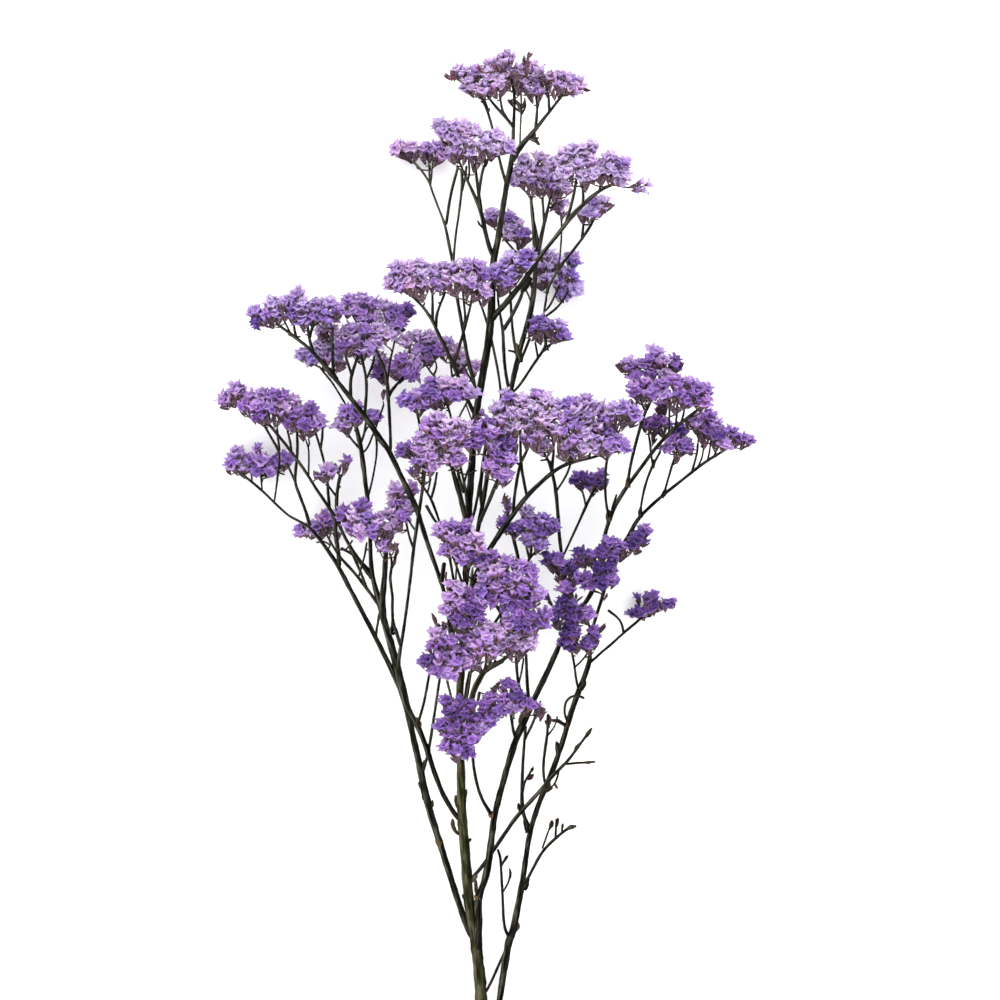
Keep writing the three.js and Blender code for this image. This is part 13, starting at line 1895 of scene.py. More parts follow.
            (4.9, -34.4, 92.2, 4.2, 4.2, 4.4, 0.39, 4.1, -42.9, 92.4), (-2.2, -35.9, 93.2, 4.2, 4.0, 4.3, 0.39, -1.6, -44.4, 93.3),
            (-25.6, -53.3, 91.5, 4.7, 4.3, 4.7, 0.51, -21.6, -59.1, 92.7), (-10.9, -33.0, 95.3, 4.7, 5.0, 5.1, 0.51, -12.2, -41.4, 95.1),
        ],
        [
            (-23.3, -26.6, 104.0, 13.7, 3.9, -22.4, -30.9, 101.4, 16, 0.45, 0.3), (6.4, -46.7, 105.0, 1.0, 2.0, 5.7, -49.8, 104.3, 3, 0.33, 0.3),
            (-16.3, -53.8, 103.6, 28.6, 4.8, -17.1, -58.4, 101.4, 16, 0.45, 0.3),
        ],
        [
            (1.1, -56.0, 93.5, 0.7, -56.2, 94.3, 0.4, -56.3, 95.0), (-18.2, -56.0, 93.8, -18.3, -56.1, 94.9, -18.4, -56.2, 95.9),
            (-18.2, -56.0, 93.8, -17.6, -56.6, 94.2, -17.0, -57.2, 94.6), (1.1, -56.0, 93.5, 0.1, -55.4, 94.2, -1.0, -54.7, 94.9),
            (-18.2, -56.0, 93.8, -20.1, -55.7, 93.7, -22.0, -55.2, 93.6), (-20.9, -60.0, 88.0, -21.3, -59.7, 90.4, -21.6, -59.1, 92.7),
            (-2.9, -41.8, 90.0, -2.2, -43.2, 91.6, -1.6, -44.4, 93.3), (1.1, -56.0, 93.5, 3.6, -55.2, 95.0, 6.1, -54.1, 96.5),
            (-1.0, -54.7, 94.9, -0.4, -52.3, 94.7, 0.1, -49.8, 94.5), (-18.4, -56.2, 95.9, -17.3, -56.3, 98.2, -16.1, -56.2, 100.5),
            (-16.1, -56.2, 100.5, -16.6, -57.1, 101.1, -17.0, -57.9, 101.6), (-22.0, -55.2, 93.6, -24.3, -55.8, 93.8, -26.6, -56.1, 94.1),
            (-18.2, -56.0, 93.8, -19.0, -53.0, 93.5, -19.8, -49.6, 93.2), (0.1, -49.8, 94.5, 0.5, -50.2, 97.1, 0.8, -50.3, 99.7),
            (6.1, -54.1, 96.5, 6.5, -51.7, 97.8, 6.8, -48.9, 99.0), (6.8, -48.9, 99.0, 7.0, -48.8, 96.8, 7.3, -48.5, 94.5),
            (6.8, -48.9, 99.0, 6.3, -49.3, 101.7, 5.8, -49.5, 104.3), (-1.6, -44.4, 93.3, 1.3, -43.8, 92.9, 4.1, -42.9, 92.4),
            (-19.8, -49.6, 93.2, -22.3, -48.3, 93.4, -24.9, -46.6, 93.6), (-21.6, -59.1, 92.7, -22.2, -58.9, 95.7, -22.7, -58.4, 98.7),
            (-22.7, -58.4, 98.7, -22.7, -56.1, 100.4, -22.7, -53.5, 102.1), (-22.7, -53.5, 102.1, -20.5, -51.9, 101.0, -18.3, -49.9, 99.9),
            (-26.6, -56.1, 94.1, -28.1, -55.7, 97.1, -29.6, -55.0, 100.0), (-18.3, -49.9, 99.9, -15.3, -49.6, 98.3, -12.4, -48.9, 96.7),
            (-24.9, -46.6, 93.6, -24.3, -43.4, 93.8, -23.7, -39.9, 93.9), (4.1, -42.9, 92.4, 4.8, -39.8, 93.1, 5.5, -36.3, 93.7),
            (-24.9, -46.6, 93.6, -25.7, -46.7, 97.0, -26.5, -46.4, 100.3), (5.8, -49.5, 104.3, 5.0, -46.0, 104.4, 4.2, -42.1, 104.4),
            (4.2, -42.1, 104.4, 1.1, -43.1, 104.0, -2.0, -43.8, 103.6), (-2.0, -43.8, 103.6, -1.7, -40.4, 103.1, -1.4, -36.6, 102.5),
            (-1.4, -36.6, 102.5, 1.9, -35.7, 102.8, 5.3, -34.4, 103.0), (4.2, -42.1, 104.4, 7.4, -40.7, 103.2, 10.6, -38.9, 101.9),
            (-12.4, -48.9, 96.7, -12.3, -45.4, 95.9, -12.2, -41.4, 95.1), (-12.2, -41.4, 95.1, -11.7, -41.0, 97.6, -11.1, -40.3, 100.1),
            (-18.3, -49.9, 99.9, -18.8, -46.6, 101.9, -19.3, -43.0, 103.9), (-19.3, -43.0, 103.9, -22.4, -40.9, 103.3, -25.5, -38.4, 102.6),
            (-25.5, -38.4, 102.6, -24.0, -34.7, 102.2, -22.5, -30.5, 101.7),
        ],
    ),
    "flower_front_e": (
        [
            (22.3, -32.2, 95.4, 6.0, 3.6, 5.0, -0.05, 22.8, -40.5, 93.5), (16.8, -37.9, 94.7, 4.6, 5.2, 5.1, -0.05, 18.8, -45.9, 92.5),
            (26.1, -39.0, 96.5, 5.1, 4.2, 4.9, -0.05, 25.7, -46.9, 93.6), (32.5, -36.0, 95.5, 4.2, 7.1, 5.9, -0.05, 30.7, -44.1, 93.3),
            (24.6, -33.8, 84.6, 6.0, 3.6, 5.0, 0.01, 24.6, -42.3, 84.9), (19.1, -38.6, 84.5, 4.6, 5.2, 5.1, 0.01, 20.9, -46.9, 85.0),
            (26.6, -39.5, 84.8, 5.1, 4.2, 4.9, 0.01, 26.0, -47.9, 85.3),
        ],
        [
            (14.0, -43.1, 93.5, 2.6, 1.6, 13.4, -45.5, 92.2, 6, 0.00, 0.3), (20.9, -42.7, 95.5, 2.6, 2.1, 21.5, -45.6, 94.0, 8, 0.00, 0.3),
            (20.5, -46.7, 95.7, 1.6, 2.1, 21.4, -49.7, 94.8, 5, 0.00, 0.3), (26.8, -44.7, 96.2, 2.9, 3.4, 26.3, -49.1, 95.0, 15, 0.00, 0.3),
        ],
        [
            (24.8, -51.2, 86.1, 25.4, -49.7, 85.7, 26.0, -47.9, 85.3), (23.8, -44.9, 82.0, 24.2, -43.7, 83.5, 24.6, -42.3, 84.9),
            (23.8, -45.7, 81.3, 22.4, -46.4, 83.2, 20.9, -46.9, 85.0), (24.8, -51.2, 86.1, 25.3, -49.3, 89.8, 25.7, -46.9, 93.6),
            (25.7, -46.9, 93.6, 26.0, -47.9, 94.3, 26.3, -48.7, 95.1), (25.7, -46.9, 93.6, 23.6, -46.2, 93.9, 21.4, -45.3, 94.2),
            (21.4, -45.3, 94.2, 20.1, -45.7, 93.4, 18.8, -45.9, 92.5), (21.4, -45.3, 94.2, 22.1, -43.0, 93.8, 22.8, -40.5, 93.5),
            (25.7, -46.9, 93.6, 28.2, -45.6, 93.4, 30.7, -44.1, 93.3), (26.3, -48.7, 95.1, 23.8, -49.2, 95.0, 21.3, -49.4, 94.9),
            (18.8, -45.9, 92.5, 16.2, -45.7, 92.4, 13.5, -45.3, 92.4),
        ],
    ),
    "flower_front_low": (
        [
            (15.9, -72.5, 88.7, 4.2, 4.4, 4.6, 0.64, 17.7, -80.5, 86.5), (-15.0, -105.9, 87.8, 4.4, 4.2, 4.6, 0.54, -13.0, -113.1, 83.9),
            (21.5, -78.6, 89.2, 4.8, 4.4, 4.8, 0.64, 22.5, -84.3, 82.9), (-1.7, -84.9, 89.4, 4.4, 4.2, 4.5, 0.64, -1.4, -93.1, 87.3),
            (-6.8, -91.1, 91.5, 4.3, 4.3, 4.5, 0.49, -5.0, -98.8, 88.3), (-23.7, -89.4, 88.6, 4.9, 4.0, 4.7, 0.64, -21.5, -97.4, 87.0),
            (7.4, -87.0, 88.3, 4.3, 5.0, 4.9, 0.69, 4.0, -94.0, 84.8), (-20.5, -74.3, 88.3, 4.8, 3.9, 4.6, 0.64, -17.9, -82.3, 87.3),
            (-9.9, -82.8, 91.5, 4.3, 4.2, 4.5, 0.64, -8.1, -90.8, 89.4), (31.4, -76.7, 87.1, 5.7, 4.6, 5.4, 0.64, 28.7, -84.5, 84.9),
            (1.8, -92.2, 89.7, 4.6, 4.0, 4.5, 0.49, 0.7, -99.0, 84.8), (24.0, -70.6, 90.2, 4.2, 4.9, 4.8, 0.64, 23.8, -78.7, 87.8),
            (13.3, -80.8, 89.7, 4.8, 4.7, 5.0, 0.69, 15.4, -85.3, 87.5), (-4.0, -98.5, 91.0, 4.6, 4.2, 4.6, 0.49, -1.8, -100.7, 84.8),
            (-18.3, -82.0, 92.7, 4.5, 4.4, 4.6, 0.64, -15.5, -89.8, 90.7), (-12.4, -75.0, 90.3, 4.4, 4.4, 4.6, 0.64, -10.7, -83.2, 88.9),
            (-21.6, -102.8, 86.3, 4.2, 4.5, 4.6, 0.54, -16.3, -108.5, 82.9), (-4.7, -76.8, 89.9, 4.2, 4.4, 4.5, 0.64, -4.0, -85.1, 88.3),
            (-7.3, -106.9, 85.5, 4.7, 4.5, 4.8, 0.54, -6.8, -109.5, 80.1), (-18.6, -95.6, 87.4, 4.0, 4.2, 4.3, 0.64, -15.7, -103.3, 85.4),
            (7.3, -73.0, 89.5, 4.9, 4.2, 4.8, 0.69, 10.6, -80.6, 87.5), (-14.5, -89.2, 92.2, 4.4, 4.2, 4.5, 0.64, -11.4, -96.7, 89.6),
            (18.7, -64.1, 87.4, 5.7, 4.2, 5.2, 0.64, 19.5, -72.5, 86.0), (3.5, -78.6, 88.0, 4.7, 4.3, 4.7, 0.69, 8.0, -85.5, 86.1),
            (-12.0, -98.6, 87.6, 4.1, 4.6, 4.5, 0.54, -10.2, -106.4, 84.8), (39.0, -76.4, 84.2, 2.9, 3.5, 3.4, 0.64, 34.9, -83.8, 83.2),
            (-24.7, -73.2, 83.4, 2.3, 2.3, 2.4, 0.64, -20.2, -80.3, 82.8), (-14.8, -106.2, 78.2, 4.4, 4.2, 4.6, 0.60, -12.6, -111.9, 78.7),
            (22.2, -78.1, 80.1, 4.8, 4.4, 4.8, 0.70, 22.5, -85.2, 80.1), (-1.9, -86.8, 79.2, 4.4, 4.2, 4.5, 0.70, -1.5, -95.3, 79.6),
            (-6.0, -92.1, 77.4, 4.3, 4.3, 4.5, 0.55, -3.8, -100.2, 78.5), (-22.5, -89.2, 80.1, 4.9, 4.0, 4.7, 0.70, -20.4, -97.5, 80.0),
            (-19.1, -76.6, 81.9, 4.8, 3.9, 4.6, 0.70, -16.4, -84.6, 81.7), (-12.5, -83.7, 78.8, 4.3, 4.2, 4.5, 0.70, -10.0, -91.8, 79.1),
            (30.1, -76.5, 78.9, 5.7, 4.6, 5.4, 0.70, 28.0, -83.1, 79.3), (0.9, -93.0, 79.5, 4.6, 4.0, 4.5, 0.55, -0.0, -100.3, 80.2),
            (24.1, -71.4, 80.0, 4.2, 4.9, 4.8, 0.70, 23.8, -79.8, 80.0), (-4.6, -98.2, 79.2, 4.6, 4.2, 4.6, 0.55, -1.1, -101.3, 80.2),
            (-17.2, -83.1, 78.1, 4.5, 4.4, 4.6, 0.70, -14.1, -91.0, 78.5), (-21.2, -103.6, 77.3, 4.2, 4.5, 4.6, 0.60, -15.2, -109.6, 78.4),
            (-17.8, -97.5, 79.2, 4.0, 4.2, 4.3, 0.70, -14.5, -105.4, 79.3), (-15.0, -89.1, 78.3, 4.4, 4.2, 4.5, 0.70, -11.4, -96.8, 78.8),
            (6.5, -79.4, 79.8, 4.7, 4.3, 4.7, 0.75, 11.2, -86.5, 79.9), (-12.2, -100.1, 77.8, 4.1, 4.6, 4.5, 0.60, -9.9, -107.7, 78.5),
        ],
        [
            (-14.2, -111.5, 86.9, 11.6, 4.6, -13.0, -116.1, 84.7, 16, 0.54, 0.3), (10.0, -67.7, 88.0, 1.9, 1.9, 11.0, -70.5, 87.4, 5, 0.69, 0.3),
            (39.3, -81.5, 90.3, 3.1, 5.9, 36.7, -85.9, 89.5, 16, 0.64, 0.3), (12.0, -65.0, 88.8, 1.0, 2.1, 12.8, -68.0, 88.1, 3, 0.64, 0.3),
            (37.7, -79.7, 82.0, 1.3, 2.6, 38.9, -83.6, 81.4, 4, 0.60, 0.9), (40.7, -84.3, 80.0, 1.5, 3.2, 39.3, -88.8, 79.3, 5, 0.60, 0.9),
        ],
        [
            (-0.3, -101.7, 80.4, -0.7, -101.5, 80.3, -1.1, -101.3, 80.2), (-0.3, -101.7, 80.4, -0.2, -101.0, 80.3, -0.0, -100.3, 80.2),
            (-11.9, -113.5, 78.4, -12.3, -112.7, 78.6, -12.6, -111.9, 78.7), (-6.7, -108.2, 79.5, -6.8, -108.9, 79.8, -6.8, -109.5, 80.1),
            (22.9, -86.3, 80.1, 22.7, -85.8, 80.1, 22.5, -85.2, 80.1), (-10.6, -110.8, 79.2, -10.3, -109.3, 78.9, -9.9, -107.7, 78.5),
            (22.5, -85.2, 80.1, 22.5, -84.8, 81.5, 22.5, -84.3, 82.9), (-0.3, -101.7, 80.4, -2.0, -101.1, 79.5, -3.8, -100.2, 78.5),
            (-12.6, -111.9, 78.7, -13.9, -110.8, 78.5, -15.2, -109.6, 78.4), (-0.3, -101.7, 80.4, -1.1, -101.3, 82.6, -1.8, -100.7, 84.8),
            (-1.8, -100.7, 84.8, -0.6, -100.0, 84.8, 0.7, -99.0, 84.8), (-15.2, -109.6, 78.4, -14.9, -107.6, 78.8, -14.5, -105.4, 79.3),
            (-11.9, -113.5, 78.4, -12.5, -113.4, 81.1, -13.0, -113.1, 83.9), (-13.0, -113.1, 83.9, -13.1, -114.4, 84.4, -13.2, -115.7, 84.9),
            (-15.2, -109.6, 78.4, -15.8, -109.2, 80.6, -16.3, -108.5, 82.9), (-1.8, -100.7, 84.8, -3.4, -99.9, 86.6, -5.0, -98.8, 88.3),
            (-0.0, -100.3, 80.2, -0.8, -97.9, 79.9, -1.5, -95.3, 79.6), (-6.7, -108.2, 79.5, -8.5, -107.5, 82.2, -10.2, -106.4, 84.8),
            (-16.3, -108.5, 82.9, -16.0, -106.1, 84.2, -15.7, -103.3, 85.4), (22.5, -84.3, 82.9, 22.5, -82.0, 81.5, 23.8, -79.8, 80.0),
            (0.7, -99.0, 84.8, 2.0, -96.5, 84.8, 4.0, -94.0, 84.8), (4.0, -94.0, 84.8, 1.3, -93.7, 86.0, -1.4, -93.1, 87.3),
            (-5.0, -98.8, 88.3, -8.2, -97.9, 89.0, -11.4, -96.7, 89.6), (-11.4, -96.7, 89.6, -9.7, -93.9, 89.5, -8.1, -90.8, 89.4),
            (23.8, -79.8, 80.0, 26.1, -81.4, 79.7, 28.0, -83.1, 79.3), (28.0, -83.1, 79.3, 28.3, -83.9, 82.1, 28.7, -84.5, 84.9),
            (28.7, -84.5, 84.9, 31.8, -84.3, 84.0, 34.9, -83.8, 83.2), (34.9, -83.8, 83.2, 36.9, -83.6, 82.3, 38.8, -83.2, 81.5),
            (22.5, -84.3, 82.9, 20.1, -82.6, 84.7, 17.7, -80.5, 86.5), (17.7, -80.5, 86.5, 20.7, -79.8, 87.2, 23.8, -78.7, 87.8),
            (-8.1, -90.8, 89.4, -6.0, -88.2, 88.9, -4.0, -85.1, 88.3), (-4.0, -85.1, 88.3, -7.3, -84.3, 88.6, -10.7, -83.2, 88.9),
            (17.7, -80.5, 86.5, 14.1, -80.7, 87.0, 10.6, -80.6, 87.5), (-10.7, -83.2, 88.9, -14.3, -82.9, 88.1, -17.9, -82.3, 87.3),
            (-17.9, -82.3, 87.3, -19.0, -81.5, 85.0, -20.2, -80.3, 82.8), (-17.9, -82.3, 87.3, -17.2, -83.6, 84.5, -16.4, -84.6, 81.7),
            (-8.1, -90.8, 89.4, -11.8, -90.5, 90.1, -15.5, -89.8, 90.7), (17.7, -80.5, 86.5, 16.6, -83.1, 87.0, 15.4, -85.3, 87.5),
            (15.4, -85.3, 87.5, 11.7, -85.6, 86.8, 8.0, -85.5, 86.1), (8.0, -85.5, 86.1, 9.6, -86.2, 83.0, 11.2, -86.5, 79.9),
            (23.8, -78.7, 87.8, 21.6, -75.8, 86.9, 19.5, -72.5, 86.0), (34.9, -83.8, 83.2, 36.0, -84.8, 86.4, 37.0, -85.5, 89.6),
            (38.8, -83.2, 81.5, 39.1, -85.9, 80.4, 39.4, -88.4, 79.4), (-3.8, -100.2, 78.5, -7.6, -98.7, 78.7, -11.4, -96.8, 78.8),
            (-11.4, -96.8, 78.8, -10.7, -94.4, 79.0, -10.0, -91.8, 79.1), (-10.0, -91.8, 79.1, -12.1, -91.5, 78.8, -14.1, -91.0, 78.5),
            (-15.7, -103.3, 85.4, -18.6, -100.6, 86.2, -21.5, -97.4, 87.0), (-21.5, -97.4, 87.0, -20.9, -97.6, 83.5, -20.4, -97.5, 80.0),
            (19.5, -72.5, 86.0, 15.0, -72.1, 86.7, 10.9, -70.2, 87.4), (19.5, -72.5, 86.0, 16.1, -70.3, 87.1, 12.7, -67.7, 88.2),
        ],
    ),
}

# ---- nodes, knobs, buds and dried bracts: stem -> (olive, rust, pale, plum), tube of (x, y, z, radius) ----
DETAILS = {
    "branch_right": [
        ((0.5, 0.42, 0, 0), [(-1.2, -208.4, 20.7, 2.41), (-1.0, -207.4, 20.9, 2.67), (-0.5, -206.4, 21.2, 2.08)]),
        ((0, 0.7, 0.1, 0.1), [(8.1, -154.3, 28.9, 2.21), (8.4, -152.6, 29.2, 2.54), (8.8, -150.9, 29.4, 2.15)]),
        ((0.7, 0.1, 0, 0), [(29.1, -90.9, 46.4, 1.16), (27.6, -90.1, 46.4, 2.27), (30.2, -84.9, 46.6, 2.79), (33.5, -81.6, 46.9, 1.95)]),
        ((0.35, 0.3, 0.05, 0.1), [(84.9, 40.6, 40.9, 1.95), (84.9, 44.5, 41.2, 2.15), (84.6, 47.8, 41.4, 1.30)]),
        ((0.35, 0.3, 0.05, 0.1), [(96.8, 62.8, 49.4, 2.02), (97.1, 66.1, 49.6, 1.82), (97.4, 69.3, 49.9, 1.17)]),
        ((0.3, 0, 0, 0), [(-0.1, -205.5, 21.5, 0.78), (-1.9, -205.0, 21.5, 0.98), (-2.3, -201.0, 21.7, 1.30), (-2.6, -196.4, 22.0, 0.98)]),
    ],
    "main_stem": [
        ((0.5, 0.4, 0, 0), [(1.1, -277.9, 8.0, 1.35), (-0.7, -278.0, 8.0, 1.69), (-0.7, -275.3, 8.2, 1.82), (-1.4, -272.3, 8.5, 1.10)]),
        ((0.5, 0.1, 0, 0), [(-10.5, -164.7, 25.1, 0.59), (-12.9, -165.9, 25.1, 0.45), (-14.4, -165.1, 25.1, 0.98), (-16.7, -162.1, 25.3, 1.30), (-17.5, -158.5, 25.6, 1.49), (-17.6, -155.5, 25.8, 0.65)]),
        ((0.45, 0, 0, 0), [(-9.8, -171.2, 23.6, 0.98), (-6.9, -169.8, 23.9, 1.30), (-5.6, -168.5, 24.1, 0.65)]),
        ((0.45, 0, 0, 0), [(-7.0, -210.1, 15.8, 0.78), (-8.6, -210.2, 15.8, 0.98), (-10.6, -208.2, 16.1, 0.98), (-11.2, -206.2, 16.3, 0.52)]),
        ((0.45, 0, 0, 0), [(-11.7, -148.3, 28.8, 1.30), (-13.1, -148.3, 28.8, 1.62), (-15.1, -143.7, 29.0, 1.49), (-15.6, -139.7, 29.3, 0.78)]),
        ((0.75, 0, 0, 0), [(-11.9, -143.0, 30.0, 0.78), (-10.4, -143.0, 30.0, 0.98), (-8.8, -139.0, 30.2, 0.98), (-8.5, -135.7, 30.5, 0.52)]),
        ((0, 0.2, 0.6, 0.1), [(24.5, -231.3, 4.4, 0.85), (25.5, -228.6, 4.6, 1.49), (24.9, -224.6, 4.9, 0.65)]),
        ((0.75, 0, 0, 0), [(0.3, -70.2, 66.0, 0.49), (4.8, -71.2, 66.0, 0.45), (7.7, -70.2, 66.0, 0.78), (10.7, -66.9, 66.2, 1.69), (13.6, -64.0, 66.5, 0.59)]),
        ((0.45, 0, 0, 0), [(-4.8, -41.8, 58.1, 0.55), (-8.0, -38.6, 58.1, 0.45), (-10.2, -34.8, 58.1, 1.17), (-13.4, -31.2, 58.3, 1.95), (-17.0, -28.6, 58.6, 0.65)]),
        ((0, 0.1, 0.1, 0.5), [(-19.3, -27.0, 78.2, 0.45), (-23.8, -28.3, 78.2, 0.45), (-26.8, -27.6, 78.2, 0.59), (-28.4, -22.8, 78.5, 1.49), (-30.3, -18.6, 78.7, 0.52)]),
        ((0, 0, 0, 0), [(1.3, 231.8, 69.1, 0.52), (-0.0, 233.7, 69.3, 0.85), (-1.0, 235.6, 69.6, 0.39)]),
        ((0.3, 0, 0.25, 0), [(32.7, 289.6, 63.4, 1.10), (36.0, 288.6, 63.7, 1.62), (38.6, 289.9, 63.9, 0.39)]),
        ((0.3, 0, 0.15, 0.2), [(34.7, 288.7, 62.4, 0.98), (37.3, 287.4, 62.7, 1.17), (39.5, 285.1, 62.9, 0.39)]),
        ((0, 0.2, 0.1, 0.4), [(34.0, 290.0, 62.8, 0.98), (36.3, 291.0, 63.1, 0.98), (36.3, 292.9, 63.3, 0.39)]),
        ((0.3, 0, 0.3, 0.1), [(27.2, 306.7, 58.6, 1.04), (26.2, 310.5, 58.8, 1.49), (24.0, 313.8, 59.1, 1.10), (21.0, 315.0, 59.3, 0.52)]),
        ((0.3, 0, 0.3, 0.1), [(27.6, 309.3, 58.0, 0.85), (29.2, 312.5, 58.3, 1.04), (29.8, 315.8, 58.5, 0.45)]),
        ((0, 0.1, 0.2, 0.3), [(22.3, 311.8, 59.5, 0.65), (20.1, 313.7, 59.8, 1.17), (18.4, 314.6, 60.0, 0.45)]),
        ((0, 0.15, 0.1, 0.25), [(54.2, 317.4, 66.0, 0.42), (61.5, 318.9, 66.0, 0.45), (66.4, 321.5, 66.0, 0.85), (69.7, 320.5, 66.2, 1.23), (72.2, 320.1, 66.5, 0.33)]),
        ((0.4, 0, 0, 0), [(-12.9, -75.8, 44.1, 0.59), (-10.9, -76.8, 44.1, 0.45), (-9.5, -75.8, 44.1, 0.98), (-8.0, -66.0, 44.4, 1.04), (-6.4, -57.5, 44.6, 0.85)]),
        ((0.75, 0, 0, 0), [(-13.8, -77.8, 43.7, 1.43), (-13.6, -67.3, 44.0, 1.43), (-12.6, -56.9, 44.2, 0.98)]),
        ((0.7, 0, 0.1, 0), [(3.5, -57.2, 67.4, 1.10), (8.7, -53.9, 67.6, 0.98), (15.8, -50.0, 67.9, 0.72)]),
    ],
    "cross_branch": [
        ((0.5, 0.1, 0.5, 0), [(-5.6, -197.4, 18.0, 1.62), (-3.9, -195.4, 18.2, 1.76), (-2.0, -193.4, 18.5, 1.37)]),
        ((0, 0.1, 0, 0.12), [(68.9, -101.6, 40.6, 0.85), (71.5, -97.9, 40.8, 1.43), (73.8, -94.7, 41.1, 0.59)]),
        ((0, 0.1, 0, 0.12), [(62.4, -110.9, 38.4, 0.78), (63.7, -107.6, 38.6, 1.37), (65.7, -104.9, 38.9, 0.65)]),
        ((0.15, 0.15, 0, 0.05), [(68.3, -117.6, 36.2, 0.65), (71.0, -117.6, 36.4, 1.10), (74.2, -117.2, 36.7, 0.65), (76.2, -117.1, 36.9, 0.45)]),
        ((0, 0.2, 0.1, 0.3), [(49.4, -131.6, 32.2, 0.59), (50.7, -133.9, 32.5, 1.04), (51.3, -134.9, 32.7, 0.45)]),
    ],
    "branch_left_low": [
        ((0.4, 0.3, 0, 0), [(-26.0, -173.6, 18.5, 2.08), (-26.7, -171.6, 18.8, 2.41), (-27.5, -169.6, 19.0, 2.02)]),
        ((0.45, 0, 0, 0), [(-38.9, -124.5, 21.6, 1.95), (-37.2, -121.2, 21.9, 1.62), (-36.2, -117.2, 22.1, 0.78)]),
        ((0.45, 0, 0, 0), [(-36.9, -136.4, 20.8, 1.95), (-39.2, -133.8, 21.1, 1.10), (-40.2, -131.8, 21.3, 0.59)]),
        ((0.45, 0, 0, 0), [(-34.3, -143.7, 20.4, 1.95), (-36.9, -142.4, 20.7, 0.98), (-37.6, -140.4, 20.9, 0.59)]),
        ((0.45, 0, 0, 0), [(-33.6, -149.0, 20.1, 1.62), (-31.3, -146.4, 20.4, 1.17), (-31.0, -143.7, 20.6, 0.59)]),
        ((0.25, 0, 0, 0), [(-68.2, -34.6, 26.7, 0.98), (-67.1, -27.3, 27.0, 0.78), (-65.8, -20.1, 27.2, 0.98)]),
    ],
    "branch_left_second": [
        ((0.8, 0.1, 0.1, 0), [(-39.6, -94.6, 36.7, 1.82), (-40.4, -91.3, 37.0, 2.15), (-41.2, -88.7, 37.2, 1.62)]),
        ((0, 0, 0, 0), [(-33.4, -113.1, 34.8, 1.76), (-34.0, -108.5, 35.0, 1.82), (-35.7, -104.5, 35.3, 0.85)]),
        ((0, 0.3, 0, 0.9), [(-57.3, 16.9, 49.8, 0.36), (-54.8, 17.8, 49.8, 0.52), (-53.6, 21.0, 50.1, 1.37), (-53.6, 24.0, 50.3, 0.45)]),
        ((0, 0.3, 0, 0.9), [(-56.9, 10.6, 49.5, 0.52), (-55.3, 13.9, 49.7, 1.10), (-54.6, 16.5, 50.0, 0.45)]),
        ((0, 0, 0, 0), [(-54.6, -31.8, 47.0, 0.42), (-57.0, -32.6, 47.0, 1.30), (-56.7, -25.4, 47.2, 0.98), (-56.5, -18.8, 47.5, 0.85)]),
        ((0, 0, 0, 0), [(-56.0, -30.0, 47.1, 0.72), (-54.7, -28.6, 47.4, 0.72), (-52.7, -34.5, 47.6, 0.72), (-51.4, -40.4, 47.9, 0.98)]),
    ],
    "second_stem": [
        ((0.1, 0.15, 0.1, 0.2), [(56.7, -96.5, 26.6, 1.49), (57.4, -94.5, 26.9, 1.82), (58.0, -91.8, 27.1, 1.49)]),
        ((0.4, 0.1, 0.05, 0), [(40.9, -138.9, 22.7, 1.82), (43.6, -135.6, 23.0, 2.15), (46.2, -133.0, 23.2, 1.62)]),
        ((0, 0, 0, 0), [(27.7, -151.4, 23.0, 1.30), (26.1, -148.1, 23.2, 1.43), (25.8, -145.5, 23.5, 0.78)]),
        ((0, 0, 0, 0), [(32.4, -164.9, 19.7, 2.27), (31.1, -160.3, 19.9, 1.95), (29.4, -156.9, 20.2, 0.98)]),
        ((0.25, 0.05, 0.05, 0), [(42.3, -137.6, 22.9, 1.43), (45.5, -136.6, 23.2, 1.23), (48.2, -134.9, 23.4, 0.65)]),
        ((0, 0, 0, 0), [(28.6, -202.0, 15.2, 0.94), (30.1, -202.3, 15.2, 1.62), (31.6, -199.0, 15.4, 1.43), (32.5, -195.7, 15.7, 0.85)]),
        ((0, 0, 0, 0), [(106.0, 43.1, 28.5, 1.62), (106.0, 46.4, 28.8, 1.49), (106.3, 49.7, 29.0, 0.98)]),
        ((0, 0, 0, 0), [(119.7, 56.3, 32.4, 1.49), (121.3, 58.9, 32.6, 1.49), (122.3, 62.2, 32.9, 0.85)]),
        ((0.35, 0.3, 0.05, 0.1), [(113.6, 75.3, 36.8, 1.10), (114.2, 78.6, 37.0, 1.30), (113.9, 81.2, 37.3, 0.85)]),
        ((0, 0.1, 0, 0.15), [(31.6, -129.0, 31.9, 0.59), (33.6, -127.4, 32.2, 1.62), (35.6, -125.7, 32.4, 0.59)]),
        ((0, 0, 0, 0), [(16.2, -183.9, 21.3, 0.59), (17.5, -181.6, 21.5, 1.10), (18.8, -179.9, 21.8, 0.52)]),
        ((0, 0, 0, 0), [(20.5, -195.2, 20.6, 0.59), (20.4, -191.2, 20.9, 0.98), (19.8, -188.5, 21.1, 0.45)]),
        ((0, 0, 0, 0), [(34.2, -123.6, 35.0, 0.59), (35.1, -121.9, 35.2, 0.91), (35.3, -120.3, 35.5, 0.39)]),
        ((0, 0.1, 0, 0.1), [(46.1, -162.2, 27.9, 0.65), (47.5, -158.9, 28.1, 1.62), (47.8, -156.3, 28.4, 0.78)]),
        ((0, 0.1, 0, 0.1), [(51.1, -160.3, 28.0, 0.65), (51.4, -156.9, 28.2, 1.17), (51.7, -154.6, 28.5, 0.65)]),
        ((0, 0.2, 0.2, 0.2), [(54.4, -162.3, 27.1, 0.59), (54.7, -160.3, 27.4, 0.98), (54.9, -158.3, 27.6, 0.52)]),
        ((0.7, 0, 0.1, 0), [(57.4, -162.0, 26.9, 0.85), (60.6, -160.6, 27.2, 1.62), (63.6, -160.0, 27.4, 0.78)]),
